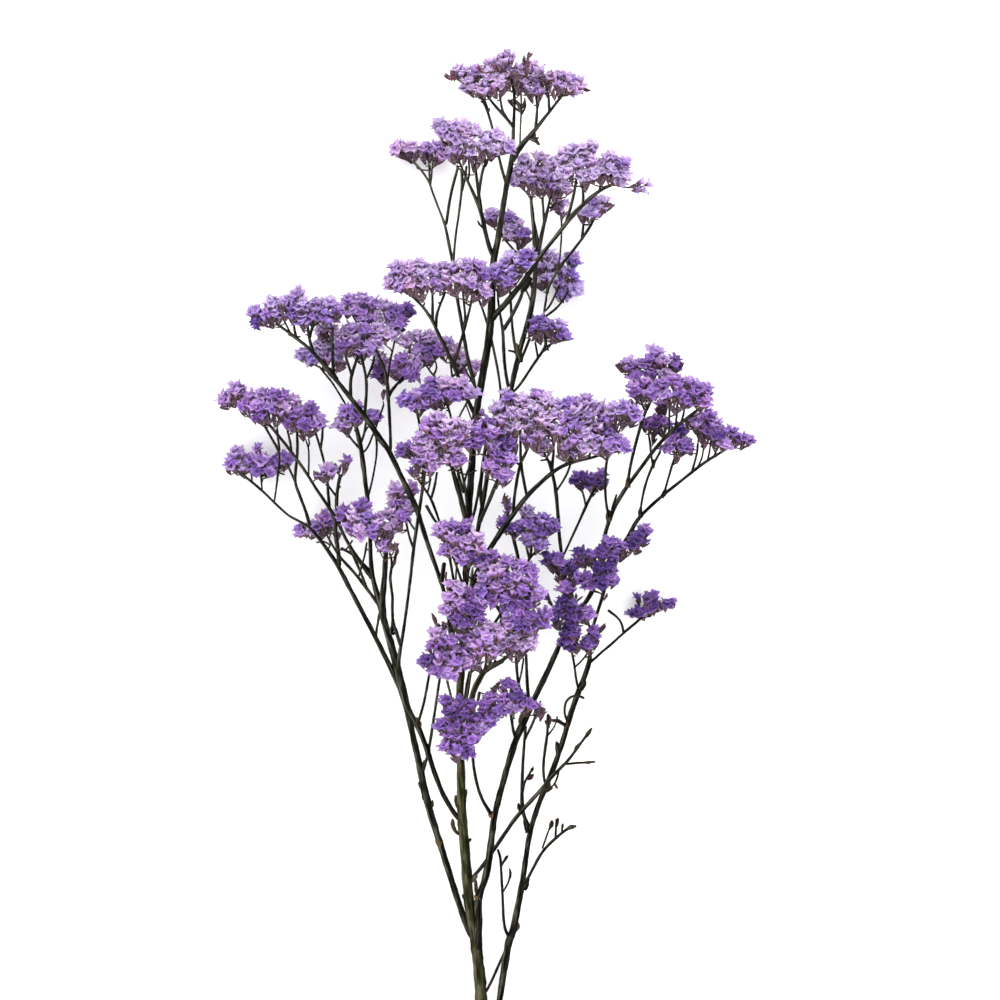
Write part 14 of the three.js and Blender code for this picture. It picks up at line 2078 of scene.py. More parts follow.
        ((0, 0.15, 0.1, 0.25), [(51.7, -115.5, 27.6, 1.10), (51.4, -109.6, 27.8, 1.56), (50.8, -104.3, 28.1, 0.65)]),
        ((0, 0.1, 0, 0.35), [(46.0, -94.5, 38.6, 0.65), (44.4, -91.8, 38.8, 1.10), (43.1, -89.9, 39.1, 0.52)]),
        ((0, 0.1, 0, 0.35), [(44.7, -92.7, 39.3, 0.42), (46.0, -92.5, 39.3, 0.65), (46.3, -89.2, 39.6, 1.10), (46.0, -86.5, 39.8, 0.52)]),
        ((0, 0.25, 0.35, 0.3), [(56.0, -93.8, 28.0, 0.85), (52.1, -90.8, 28.3, 1.49), (48.8, -90.5, 28.5, 1.17), (46.1, -89.8, 28.8, 0.52)]),
        ((0.75, 0, 0, 0), [(65.8, -70.0, 26.8, 0.70), (66.6, -70.8, 26.8, 1.17), (68.5, -66.8, 27.1, 1.62), (69.5, -62.5, 27.3, 0.65)]),
    ],
    "branch_mid_right": [
        ((0.1, 0.75, 0, 0), [(36.9, 207.6, 61.2, 0.56), (35.0, 207.6, 61.2, 1.62), (35.7, 211.5, 61.4, 2.08), (36.0, 214.8, 61.7, 1.62)]),
        ((0.65, 0, 0.15, 0), [(25.0, 145.7, 61.3, 0.82), (26.9, 145.3, 61.3, 1.76), (25.3, 151.1, 61.5, 2.27), (24.0, 156.3, 61.8, 0.91)]),
        ((0.1, 0, 0.05, 0), [(27.5, 189.1, 67.2, 0.98), (30.7, 194.3, 67.4, 2.60), (33.3, 198.8, 67.7, 1.62)]),
    ],
    "branch_left_long": [
        ((0.1, 0, 0.04, 0), [(-93.9, 134.1, 72.0, 0.55), (-91.6, 132.0, 72.0, 1.30), (-96.7, 137.8, 72.3, 2.15), (-102.2, 144.2, 72.5, 0.98)]),
    ],
    "branch_upper_right": [
        ((0, 0.1, 0.3, 0.5), [(22.2, 50.8, 76.3, 0.47), (19.7, 50.0, 76.3, 0.45), (18.1, 51.1, 76.3, 0.59), (17.4, 54.3, 76.6, 1.76), (15.8, 57.2, 76.8, 0.59)]),
        ((0.3, 0, 1, 0), [(-5.6, -4.2, 59.2, 1.04), (-5.0, 3.6, 59.4, 1.17), (-4.2, 10.8, 59.7, 0.72)]),
    ],
    "branch_centre": [
        ((0, 0, 0, 0), [(-11.6, 74.2, 81.4, 0.36), (-13.5, 73.7, 81.4, 0.98), (-12.2, 67.2, 81.6, 1.04), (-9.9, 59.5, 81.9, 0.98)]),
    ],
}

RNG = np.random.default_rng(4559)
MM = 0.001


# ------------------------------------------------------------------ small maths

def unit(v):
    v = np.asarray(v, float)
    n = np.linalg.norm(v, axis=-1, keepdims=True)
    return v / np.maximum(n, 1e-12)


def catmull(points, step):
    """Points along a centripetal Catmull-Rom curve through (x, y, z, r) rows, about step apart."""
    p = np.asarray(points, float)
    if len(p) == 2:
        n = max(2, int(np.linalg.norm(p[1, :3] - p[0, :3]) / step) + 1)
        t = np.linspace(0, 1, n)[:, None]
        return p[0] * (1 - t) + p[1] * t
    first = 2 * p[0] - p[1]
    last = 2 * p[-1] - p[-2]
    q = np.vstack([first, p, last])
    out = []
    for i in range(1, len(q) - 2):
        p0, p1, p2, p3 = q[i - 1], q[i], q[i + 1], q[i + 2]
        d = np.linalg.norm(p2[:3] - p1[:3])
        n = max(1, int(round(d / step)))
        k0 = max(1e-6, np.linalg.norm(p1[:3] - p0[:3])) ** 0.5
        k1 = max(1e-6, np.linalg.norm(p2[:3] - p1[:3])) ** 0.5
        k2 = max(1e-6, np.linalg.norm(p3[:3] - p2[:3])) ** 0.5
        m1 = (p2 - p0) / (k0 + k1) * k1
        m2 = (p3 - p1) / (k1 + k2) * k1
        for j in range(n):
            t = j / n
            h00 = 2 * t**3 - 3 * t**2 + 1
            h10 = t**3 - 2 * t**2 + t
            h01 = -2 * t**3 + 3 * t**2
            h11 = t**3 - t**2
            out.append(h00 * p1 + h10 * m1 + h01 * p2 + h11 * m2)
    out.append(p[-1])
    return np.array(out)


def frames(axis):
    """Tangents and two cross directions along a polyline, turned as little as possible."""
    seg = unit(np.diff(axis, axis=0))
    t = np.vstack([seg[:1], unit(seg[:-1] + seg[1:]), seg[-1:]])
    e = np.zeros_like(t)
    ref = np.array([0, 0, 1.0]) if abs(t[0, 2]) < 0.9 else np.array([1.0, 0, 0])
    for i in range(len(t)):
        n = ref - t[i] * np.dot(ref, t[i])
        if np.linalg.norm(n) < 1e-6:
            n = np.cross(t[i], [0.3, 0.7, 0.2])
        e[i] = n / np.linalg.norm(n)
        ref = e[i]
    return t, np.cross(t, e), e


# ------------------------------------------------------------------ mesh collector

class Soup:
    """Collects vertices, triangles, a bake UV per corner and colour controls per point."""

    def __init__(self):
        self.v, self.f, self.uv, self.luv, self.att, self.mat = [], [], [], [], [], []
        self.n = 0

    def add(self, v, f, uv, luv, att, mat):
        """v (n,3) mm; f (m,3); uv and luv (m,3,2); att (n,4); mat index"""
        self.v.append(v)
        self.f.append(f + self.n)
        self.uv.append(uv)
        self.luv.append(luv)
        self.att.append(att)
        self.mat.append(np.full(len(f), mat, np.int32))
        self.n += len(v)

    def build(self, name, materials):
        v = np.vstack(self.v) * MM
        f = np.vstack(self.f).astype(np.int32)
        me = bpy.data.meshes.new(name)
        me.vertices.add(len(v))
        me.vertices.foreach_set("co", v.astype(np.float32).ravel())
        me.loops.add(f.size)
        me.loops.foreach_set("vertex_index", f.ravel())
        me.polygons.add(len(f))
        me.polygons.foreach_set("loop_start", np.arange(0, f.size, 3, dtype=np.int32))
        me.polygons.foreach_set("loop_total", np.full(len(f), 3, np.int32))
        me.polygons.foreach_set("material_index", np.concatenate(self.mat))
        me.polygons.foreach_set("use_smooth", np.ones(len(f), bool))
        bake = me.uv_layers.new(name="OFBake")
        bake.data.foreach_set("uv", np.vstack([u.reshape(-1, 2) for u in self.uv]).astype(np.float32).ravel())
        loc = me.uv_layers.new(name="Along")
        loc.data.foreach_set("uv", np.vstack([u.reshape(-1, 2) for u in self.luv]).astype(np.float32).ravel())
        a = me.attributes.new("tint", "FLOAT_COLOR", "POINT")
        a.data.foreach_set("color", np.vstack(self.att).astype(np.float32).ravel())
        me.update()
        me.validate()
        for m in materials:
            me.materials.append(m)
        ob = bpy.data.objects.new(name, me)
        bpy.context.scene.collection.objects.link(ob)
        return ob


class Sheet:
    """Hands out rectangles of the bake map: columns of strips."""

    def __init__(self, lengths, widths):
        # strips are laid in columns of the same width; find the fewest columns that hold them
        order = np.argsort(-np.asarray(lengths))
        self.rect = [None] * len(lengths)
        longest = max(lengths)
        total = sum(lengths)
        cols = max(1, int(math.ceil(total / longest)))
        while True:
            scale = 0.97 / longest
            fill = [0.0] * cols
            ok = True
            place = {}
            for i in order:
                need = lengths[i] * scale + 0.008
                c = min(range(cols), key=lambda k: fill[k])
                if fill[c] + need > 1.0:
                    ok = False
                    break
                place[i] = (c, fill[c], lengths[i] * scale)
                fill[c] += need
            if ok:
                break
            cols += 1
        w = 1.0 / cols
        for i, (c, y, h) in place.items():
            self.rect[i] = (c * w + 0.08 * w, y + 0.004, 0.84 * w, h)


# ------------------------------------------------------------------ stems

def tube_mesh(pts, sides, ribs, seed):
    """A tapered, ribbed tube. Returns vertices, triangles and the corner parameters (around 0..1, along in mm)."""
    axis, rad = pts[:, :3], pts[:, 3]
    t, ex, ey = frames(axis)
    rng = np.random.default_rng(seed)
    s = np.concatenate([[0], np.cumsum(np.linalg.norm(np.diff(axis, axis=0), axis=1))])
    th = np.arange(sides) / sides * 2 * math.pi
    twist = rng.uniform(0, 6.28) + s[:, None] * 0.004
    rib = 1 + ribs * np.cos(th[None, :] * max(2, sides // 2) + twist * 0)
    knobble = 1 + 0.05 * np.sin(s[:, None] * 0.37 + th[None, :] * 2 + twist) + 0.03 * rng.standard_normal((len(s), sides))
    r = rad[:, None] * rib * knobble
    c, sn = np.cos(th + twist), np.sin(th + twist)
    v = axis[:, None, :] + r[:, :, None] * (c[:, :, None] * ex[:, None, :] + sn[:, :, None] * ey[:, None, :])
    n = len(s)
    v = v.reshape(-1, 3)
    end_a = axis[0] - t[0] * rad[0] * 0.05
    end_b = axis[-1] + t[-1] * rad[-1] * 0.6
    v = np.vstack([v, end_a, end_b])
    f, luv = [], []
    for k in range(sides):
        k2 = (k + 1) % sides
        a = np.arange(n - 1) * sides
        u0, u1 = k / sides, (k + 1) / sides
        q1 = np.stack([a + k, a + k2, a + sides + k2], 1)
        q2 = np.stack([a + k, a + sides + k2, a + sides + k], 1)
        f += [q1, q2]
        s0, s1 = s[:-1], s[1:]
        z = np.zeros(n - 1)
        luv += [
            np.stack([np.stack([z + u0, s0], 1), np.stack([z + u1, s0], 1), np.stack([z + u1, s1], 1)], 1),
            np.stack([np.stack([z + u0, s0], 1), np.stack([z + u1, s1], 1), np.stack([z + u0, s1], 1)], 1),
        ]
    ia, ib = n * sides, n * sides + 1
    cap, cuv = [], []
    for k in range(sides):
        k2 = (k + 1) % sides
        u0, u1 = k / sides, (k + 1) / sides
        cap.append([ia, k2, k])
        cuv.append([[(u0 + u1) / 2, 0], [u1, 0.01], [u0, 0.01]])
        b = (n - 1) * sides
        cap.append([ib, b + k, b + k2])
        cuv.append([[(u0 + u1) / 2, s[-1]], [u0, s[-1] - 0.01], [u1, s[-1] - 0.01]])
    f = np.vstack(f + [np.array(cap)])
    luv = np.vstack(luv + [np.array(cuv)])
    return v, f, luv, s


def stem_piece(node, tubes, parts, shade):
    """The stem's tubes, then its small dried parts, in one mesh."""
    soup = Soup()
    smooth = []
    for pts in tubes:
        pts = np.array(pts, float)
        if len(pts) > 3:   # settle the traced points a little
            inner = pts[1:-1] * 0.6 + 0.2 * (pts[:-2] + pts[2:])
            pts = np.vstack([pts[:1], inner, pts[-1:]])
        big = pts[:, 3].max()
        smooth.append(catmull(pts, 2.6 if big > 1.4 else 2.2))
    for colour, pts in parts:
        smooth.append(catmull(np.array(pts, float), 1.1))
    sheet = Sheet([float(np.sum(np.linalg.norm(np.diff(p[:, :3], axis=0), axis=1))) + 1 for p in smooth], None)
    for i, pts in enumerate(smooth):
        small = i >= len(tubes)
        pts[:, 3] = np.maximum(pts[:, 3], 0.22)
        big = pts[:, 3].max()
        sides = 14 if big > 2.6 else 10 if big > 1.5 else 8 if big > 0.9 else 6
        v, f, luv, s = tube_mesh(pts, sides, 0.05 if big > 1.2 else 0.02, 100 + i)
        if small:   # dried parts are wrinkled
            grain = np.random.default_rng(500 + i).standard_normal(v.shape)
            v = v + 0.07 * np.clip(big, 0.8, 2.0) * grain
        # nothing reaches below the floor that the spray lies on
        v[:, 2] = np.maximum(v[:, 2], 0.02)
        x, y, w, h = sheet.rect[i]
        uv = luv.copy()
        uv[:, :, 0] = x + w * luv[:, :, 0]
        uv[:, :, 1] = y + h * luv[:, :, 1] / (s[-1] + 1e-6)
        att = np.zeros((len(v), 4))
        if small:
            olive, rust, pale, plum = parts[i - len(tubes)][0]
            att[:, 0], att[:, 1], att[:, 2], att[:, 3] = olive, rust, pale, 1 - plum
        else:
            att[:, 0], att[:, 2] = shade(v, i)
            att[:, 3] = 1
        soup.add(v, f, uv, luv, att, 0)
    return soup


# ------------------------------------------------------------------ florets

SEG = 15
TIP, MOU, BELL, RIM, INN, THR, CEN = 0, 1, 6, 11, 26, 41, 46
NV = 47


def floret_topology():
    """Rings: tip 1, calyx 5, bell 5, rim 15, inner 15, throat 5, centre 1. One closed body."""
    f = []
    for k in range(5):
        k2 = (k + 1) % 5
        f.append((TIP, MOU + k2, MOU + k))
        for lo, hi in ((MOU, BELL),):
            f.append((lo + k, lo + k2, hi + k2))
            f.append((lo + k, hi + k2, hi + k))
        for low, ring, out in ((BELL, RIM, True), (THR, INN, False)):
            m = [ring + (3 * k + j) % SEG for j in range(-1, 3)]
            fan = [(low + k, m[1], m[0]), (low + k, m[2], m[1]), (low + k, low + k2, m[2]), (low + k2, m[3], m[2])]
            fan[3] = (low + k2, ring + (3 * k + 2) % SEG, m[2])
            if not out:
                fan = [(x, z, y) for x, y, z in fan]
            f += fan
        f.append((THR + k, THR + k2, CEN))
    f = [t for t in f if len(set(t)) == 3]
    for k in range(SEG):
        k2 = (k + 1) % SEG
        f.append((RIM + k, RIM + k2, INN + k2))
        f.append((RIM + k, INN + k2, INN + k))
    f = np.array(f, int)
    th = np.zeros(NV)
    along = np.zeros(NV)
    for base, n, al in ((MOU, 5, 0.4), (BELL, 5, 0.78), (RIM, SEG, 1.0), (INN, SEG, 1.35), (THR, 5, 1.8)):
        th[base:base + n] = np.arange(n) / n
        along[base:base + n] = al
    along[CEN] = 2.0
    # around wraps within a triangle, and a pole takes the middle of its two neighbours
    c = th[f]
    for i in range(len(f)):
        row = c[i]
        poles = [j for j in range(3) if f[i, j] in (TIP, CEN)]
        rest = [j for j in range(3) if j not in poles]
        if max(row[rest]) - min(row[rest]) > 0.5:
            for j in rest:
                if row[j] < 0.5:
                    row[j] += 1
        for j in poles:
            row[j] = sum(row[k] for k in rest) / len(rest)
    uv = np.stack([c / 1.07, along[f] / 2], 2)
    return f, th, along, uv


FT, FTH, FAL, FUV = floret_topology()


def floret_shapes(n, rng, openness):
    """(n, NV, 3) local florets in mm, along +z, rim near z = 6.8. openness (n,) 0 bud .. 1 wide open."""
    th = FTH * 2 * math.pi
    P = np.zeros((n, NV, 3))
    o = openness[:, None]
    phase = rng.uniform(0, 2 * math.pi, (n, 1))

    def ring(base, count, r, z, wob=0.0):
        sl = slice(base, base + count)
        P[:, sl, 0] = r * np.cos(th[sl] + wob)
        P[:, sl, 1] = r * np.sin(th[sl] + wob)
        P[:, sl, 2] = z

    g = rng.standard_normal
    P[:, TIP, 2] = 0.6
    ring(MOU, 5, 0.95 * (1 + 0.12 * g((n, 5))), 2.7 + 0.2 * g((n, 5)))
    # five crinkled lobes on a deep papery funnel, with a notch between neighbours
    k = np.arange(SEG)
    notch = k % 3 == 0
    size = np.roll(np.repeat(1 + 0.20 * g((n, 5)), 3, axis=1), 1, axis=1)
    lift = np.roll(np.repeat(0.62 * g((n, 5)), 3, axis=1), 1, axis=1)
    rim_r = np.where(notch, 0.66, 1.0)[None] * size * (1.3 + 2.3 * o) * (1 + 0.10 * g((n, SEG)))
    rim_z = 6.8 - 0.4 * o + np.where(notch, -0.70, 0.15)[None] + lift + 0.28 * g((n, SEG))
    wob = 0.14 * g((n, SEG))
    ring(BELL, 5, 1.25 + 0.75 * o * (1 + 0.10 * g((n, 5))), 5.0 + 0.25 * g((n, 5)), 0.3 * g((n, 5)) * 0.3)
    ring(RIM, SEG, rim_r, rim_z, wob)
    ring(INN, SEG, rim_r * (0.50 + 0.07 * g((n, SEG))) + 0.15, np.minimum(rim_z, 6.9) - 0.75 + 0.22 * g((n, SEG)), wob)
    ring(THR, 5, 0.7, 5.0)
    P[:, CEN, 2] = 4.8
    c, s = np.cos(phase), np.sin(phase)
    x = P[:, :, 0] * c - P[:, :, 1] * s
    y = P[:, :, 0] * s + P[:, :, 1] * c
    P[:, :, 0], P[:, :, 1] = x, y
    return P


def turn(d, rng):
    """Rotation matrices that take +z to each row of d, with no set roll."""
    z = unit(d)
    ref = np.where(np.abs(z[:, 2:3]) < 0.9, np.array([[0, 0, 1.0]]), np.array([[1.0, 0, 0]]))
    x = unit(np.cross(ref, z))
    y = np.cross(z, x)
    return np.stack([x, y, z], 2)


BV = 14
SPACE_FRONT, SPACE_BACK = 2.85, 4.5
# how much magenta each head has
WARM = {"flower_top": 0.73, "flower_upper_left": 0.61, "flower_far_left_top": 0.80, "flower_rear_top": 0.59,
        "flower_upper_mid": 0.61, "flower_upper_right": 0.61, "flower_right_small": 0.58, "flower_row_a": 0.80,
        "flower_row_b": 0.74, "flower_row_c": 0.34, "flower_row_d": 0.36, "flower_behind_left": 0.71,
        "flower_mid_right": 0.45, "flower_mid_left": 0.69, "flower_left_crown": 0.57, "flower_left_b": 0.69,
        "flower_left_c": 0.69, "flower_left_d": 0.51, "flower_far_left": 0.76, "flower_low_left": 0.64,
        "flower_left_e": 0.62, "flower_left_f": 0.61, "flower_left_g": 0.80, "flower_left_h": 0.80,
        "flower_left_i": 0.80, "flower_centre": 0.80, "flower_right_a": 0.66, "flower_right_b": 0.62,
        "flower_centre_low": 0.52, "flower_right_dark": 0.80, "flower_right_c": 0.69, "flower_right_d": 0.80,
        "flower_right_e": 0.74, "flower_right_f": 0.62, "flower_right_g": 0.80, "flower_dark_a": 0.80,
        "flower_dark_b": 0.72, "flower_dark_c": 0.80, "flower_dark_d": 0.80, "flower_dark_e": 0.80,
        "flower_low_right": 0.80, "flower_front_a": 0.80, "flower_front_b": 0.80, "flower_front_c": 0.80,
        "flower_front_d": 0.80, "flower_front_e": 0.80, "flower_front_low": 0.80}


def bracts(at, dirs, length, rng):
    """Narrow brown calyx tubes that stand on a twig end, closed at the tip. Returns points, faces, corner uv."""
    n = len(at)
    rings = [(0.05, 0.0), (0.42, 0.20), (0.80, 0.60), (0.66, 0.88), (0.05, 1.0)]
    th = np.arange(4) / 4 * 2 * math.pi
    local = np.zeros((n, BV, 3))
    for k, (r, z) in enumerate(rings):
        if k in (0, 4):
            i = 0 if k == 0 else BV - 1
            local[:, i, 2] = z * length
            continue
        sl = slice(1 + 4 * (k - 1), 5 + 4 * (k - 1))
        rr = 1.05 * r * (1 + 0.13 * rng.standard_normal((n, 4)))
        local[:, sl, 0] = rr * np.cos(th + 0.3 * k)
        local[:, sl, 1] = rr * np.sin(th + 0.3 * k)
        local[:, sl, 2] = (z * length)[:, None] + 0.15 * rng.standard_normal((n, 4))
    f, uv = [], []
    al = [0.0] + [0.06] * 4 + [0.13] * 4 + [0.20] * 4 + [0.235]
    for k in range(4):
        k2 = (k + 1) % 4
        u0, u1 = k / 4, (k + 1) / 4
        tri = [(0, 1 + k2, 1 + k), (BV - 1, 9 + k, 9 + k2)]
        um = [((u0 + u1) / 2, u1, u0), ((u0 + u1) / 2, u0, u1)]
        for lo in (1, 5):
            tri += [(lo + k, lo + k2, lo + 4 + k2), (lo + k, lo + 4 + k2, lo + 4 + k)]
            um += [(u0, u1, u1), (u0, u1, u0)]
        for c, u in zip(tri, um):
            f.append(c)
            uv.append([(u[j], al[c[j]]) for j in range(3)])
    R = turn(dirs, rng)
    world = np.einsum("nij,nkj->nki", R, local) + at[:, None, :]
    return world, np.array(f), np.array(uv)


def head_piece(node, groups, tufts, twigs, rng):
    """All florets of one head, and the fine twigs that join them to the head's stem."""
    soup = Soup()
    pos, dirs, tone, opens, pink, scl = [], [], [], [], [], []
    scale_at, scale_dir, scale_tone, scale_len, scale_plum = [], [], [], [], []
    warm = WARM[node]
    G = np.array(groups, float)
    C, A = G[:, :3] + np.array([0, 0.35, 0]), np.maximum(G[:, 3:6] - 1.0, 1.2)
    mid_z = np.median(C[:, 2])
    for i, (x, y, z, a, b, c, t0, fx, fy, fz) in enumerate(groups):
        centre, focus = C[i], np.array([fx, fy, fz])
        fan = unit(centre - focus)
        group_tone = t0 + 0.19 * rng.standard_normal()
        group_pink = warm + 0.09 * rng.standard_normal()
        back = z < mid_z - 2.5
        space = SPACE_BACK if back else SPACE_FRONT
        cand = unit(rng.standard_normal((170, 3)))
        for d in cand:
            if d @ fan < -0.30:
                continue
            if back and d[2] > 0.25:
                continue
            p = centre + d * A[i]
            if p[2] < 1.2:
                continue
            # not deep inside a neighbouring group
            q = (p - C) / A
            inside = np.sum(q * q, axis=1) < 0.72
            inside[i] = False
            if inside.any():
                continue
            if pos and np.min(np.sum((np.array(pos) - p) ** 2, axis=1)) < space * space:
                continue
            # painted light and shade: florets near the top of the head and on the +y side of their group, towards the
            # light, are painted lighter, those lower down darker
            high = np.clip((p[1] - C[:, 1].mean()) / 9.0, -1, 1)
            pos.append(p + 0.25 * rng.standard_normal(3))
            dirs.append(unit(unit(p - focus) + (0.15 + 0.55 * max(0.0, 0.35 - d @ fan)) * fan + 0.25 * rng.standard_normal(3)))
            tone.append(group_tone - 0.07 * high - 0.06 * d[1] + 0.09 * rng.standard_normal())
            pink.append(group_pink + 0.07 * rng.standard_normal())
            bud = rng.uniform() < 0.05
            opens.append(0.05 if bud else np.clip(0.85 + 0.16 * rng.standard_normal(), 0.35, 1.1))
            scl.append(np.clip(1.06 + 0.10 * rng.standard_normal(), 0.8, 1.3))
        # brown calyx tubes fan out from the twig end to the florets
        for _ in range(4 if back else 7):
            d = unit(rng.standard_normal(3))
            d -= fan * (d @ fan)
            p = focus + 0.62 * (centre - focus) + d * A[i] * 0.66
            out = unit(p - focus)
            scale_at.append(focus + out * rng.uniform(0.2, 1.2))
            scale_dir.append(out)
            scale_tone.append(group_tone + 0.15 * rng.standard_normal())
            scale_plum.append(0.3)
            scale_len.append(np.linalg.norm(p - focus) * rng.uniform(0.85, 1.1))
    # loose calyx tufts that the florets leave open
    for x, y, z, a, b, rx, ry, rz, count, t0, plum in tufts:
        at, foot = np.array([x, y, z]), np.array([rx, ry, rz])
        d = unit(at - foot)
        side = unit(np.cross(d, [0.0, 0.0, 1.0]))
        for _ in range(count):
            u, w, h = rng.uniform(-1, 1, 3)
            p = at + side * u * min(2.6, max(0.3, a - 0.6)) + d * w * min(2.0, max(0.0, b - 2.2)) + np.array([0, 0, 1.3]) * h
            out = unit(unit(p - foot) + 0.06 * rng.standard_normal(3))
            far = np.linalg.norm(p - foot)
            top = far + 0.45 * np.clip(1.9 * b, 3.2, 6.4) * rng.uniform(0.8, 1.2) + (1.5 * rng.uniform(0.4, 1.2) if plum < 0.5 else 0.0)
            start = np.clip(top - 6.6, 0.0, 1.3)
            long = min(top - start, 8.0)
            scale_at.append(foot + out * start)
            scale_dir.append(out)
            scale_tone.append(t0 + 0.10 + 0.2 * rng.standard_normal())
            scale_plum.append(plum)
            scale_len.append(max(2.2, long))
    pos, dirs, tone, opens, pink, scl = map(np.array, (pos, dirs, tone, opens, pink, scl))
    n = len(pos)
    local = floret_shapes(n, rng, opens) * scl[:, None, None]
    R = turn(dirs, rng)
    # the mouth sits on the outside of its group, and the calyx points back to the twig
    world = np.einsum("nij,nkj->nki", R, local - np.array([0, 0, 6.3]) * scl[:, None, None]) + pos[:, None, :]
    world[:, :, 2] = np.maximum(world[:, :, 2], 0.05 + 0.02 * FAL[None, :])
    scale_at, scale_dir, scale_tone = np.array(scale_at), np.array(scale_dir), np.array(scale_tone)
    ns = len(scale_at)
    # square cells for the florets, then rows of half cells for the scales, then a band for the twigs
    per_row = 4
    while True:
        cell = 1.0 / per_row
        high = math.ceil(n / per_row) * cell + math.ceil(ns / (2 * per_row)) * cell / 2 + 0.06
        if high <= 1.0:
            break
        per_row += 1
    idx = np.arange(n)
    ox, oy = (idx % per_row) * cell, (idx // per_row) * cell
    uv = np.zeros((n, len(FT), 3, 2))
    uv[..., 0] = ox[:, None, None] + cell * (0.06 + 0.88 * FUV[None, :, :, 0])
    uv[..., 1] = oy[:, None, None] + cell * (0.06 + 0.88 * FUV[None, :, :, 1])
    att = np.zeros((n, NV, 4))
    att[..., 0] = np.clip(tone, 0, 1)[:, None]
    att[..., 1] = np.clip(pink, 0, 1)[:, None]
    att[..., 2] = rng.uniform(0, 1, n)[:, None]
    att[..., 3] = 1
    f = (FT[None] + (idx * NV)[:, None, None]).reshape(-1, 3)
    soup.add(world.reshape(-1, 3), f, uv.reshape(-1, 3, 2), np.broadcast_to(FUV[None], (n,) + FUV.shape).reshape(-1, 3, 2),
             att.reshape(-1, 4), 0)
    y0 = math.ceil(n / per_row) * cell
    sv, sf, suv = bracts(scale_at, scale_dir, np.array(scale_len), rng)
    sv[:, :, 2] = np.maximum(sv[:, :, 2], 0.05)
    si = np.arange(ns)
    half = cell / 2
    uv = np.zeros((ns, len(sf), 3, 2))
    uv[..., 0] = ((si % (2 * per_row)) * half)[:, None, None] + half * (0.08 + 0.84 * suv[None, :, :, 0])
    uv[..., 1] = y0 + ((si // (2 * per_row)) * half)[:, None, None] + half * (0.08 + 0.84 * suv[None, :, :, 1] / 0.235)
    att = np.zeros((ns, BV, 4))
    att[..., 0] = np.clip(scale_tone, 0, 1)[:, None]
    att[..., 1] = np.array(scale_plum)[:, None]
    att[..., 2] = rng.uniform(0, 1, ns)[:, None]
    att[..., 3] = 1
    soup.add(sv.reshape(-1, 3), (sf[None] + (si * BV)[:, None, None]).reshape(-1, 3), uv.reshape(-1, 3, 2),
             np.broadcast_to(suv[None], (ns,) + suv.shape).reshape(-1, 3, 2), att.reshape(-1, 4), 0)
    # the twigs take the band at the top of the map
    y0 += math.ceil(ns / (2 * per_row)) * half
    room = max(0.02, 1.0 - y0)
    for i, (x0, y0, z0, xm, ym, zm, x1, y1, z1) in enumerate(twigs):
        pts = catmull([(x0, y0, z0, 0.55), (xm, ym, zm, 0.5), (x1, y1, z1, 0.45)], 3.0)
        v, f, luv, s = tube_mesh(pts, 4, 0.0, 7 + i)
        v[:, 2] = np.maximum(v[:, 2], 0.05)
        w = 1.0 / len(twigs)
        uv = luv.copy()
        uv[:, :, 0] = (i + 0.1 + 0.8 * luv[:, :, 0]) * w
        uv[:, :, 1] = y0 + room * (0.05 + 0.9 * luv[:, :, 1] / (s[-1] + 1e-6))
        att = np.zeros((len(v), 4))
        att[:, 0] = 0.1
        att[:, 3] = 1
        soup.add(v, f, uv, luv, att, 1)
    return soup, n


# ------------------------------------------------------------------ materials

def srgb(r, g, b):
    def lin(c):
        c /= 255
        return c / 12.92 if c <= 0.04045 else ((c + 0.055) / 1.055) ** 2.4
    return (lin(r), lin(g), lin(b), 1)


class Nodes:
    def __init__(self, name):
        self.mat = bpy.data.materials.new(name)
        self.mat.use_nodes = True
        self.t = self.mat.node_tree
        self.bsdf = self.t.nodes["Principled BSDF"]

    def new(self, kind, **props):
        n = self.t.nodes.new(kind)
        for k, v in props.items():
            setattr(n, k, v)
        return n

    def link(self, a, b):
        self.t.links.new(a, b)

    def ramp(self, fac, stops):
        n = self.new("ShaderNodeValToRGB")
        cr = n.color_ramp
        while len(cr.elements) > 1:
            cr.elements.remove(cr.elements[-1])
        cr.elements[0].position = stops[0][0]
        cr.elements[0].color = stops[0][1]
        for p, c in stops[1:]:
            e = cr.elements.new(p)
            e.color = c
        self.link(fac, n.inputs["Fac"])
        return n.outputs["Color"]

    def mix(self, fac, a, b, mode="MIX"):
        n = self.new("ShaderNodeMix", data_type="RGBA", blend_type=mode)
        for sock, val in ((n.inputs[0], fac), (n.inputs[6], a), (n.inputs[7], b)):
            if hasattr(val, "links"):
                self.link(val, sock)
            else:
                sock.default_value = val
        return n.outputs[2]

    def math(self, op, a, b=0.0, c=0.0, clamp=False):
        n = self.new("ShaderNodeMath", operation=op, use_clamp=clamp)
        for sock, val in zip(n.inputs, (a, b, c)):
            if hasattr(val, "links"):
                self.link(val, sock)
            else:
                sock.default_value = val
        return n.outputs[0]

    def noise(self, vec, scale, detail=3.0, rough=0.6):
        n = self.new("ShaderNodeTexNoise")
        self.link(vec, n.inputs["Vector"])
        n.inputs["Scale"].default_value = scale
        n.inputs["Detail"].default_value = detail
        n.inputs["Roughness"].default_value = rough
        return n.outputs["Fac"]

    def scaled(self, vec, s):
        n = self.new("ShaderNodeMapping")
        self.link(vec, n.inputs["Vector"])
        n.inputs["Scale"].default_value = s
        return n.outputs["Vector"]

    def bump(self, height, strength, distance):
        n = self.new("ShaderNodeBump")
        n.inputs["Strength"].default_value = strength
        n.inputs["Distance"].default_value = distance
        self.link(height, n.inputs["Height"])
        self.link(n.outputs["Normal"], self.bsdf.inputs["Normal"])


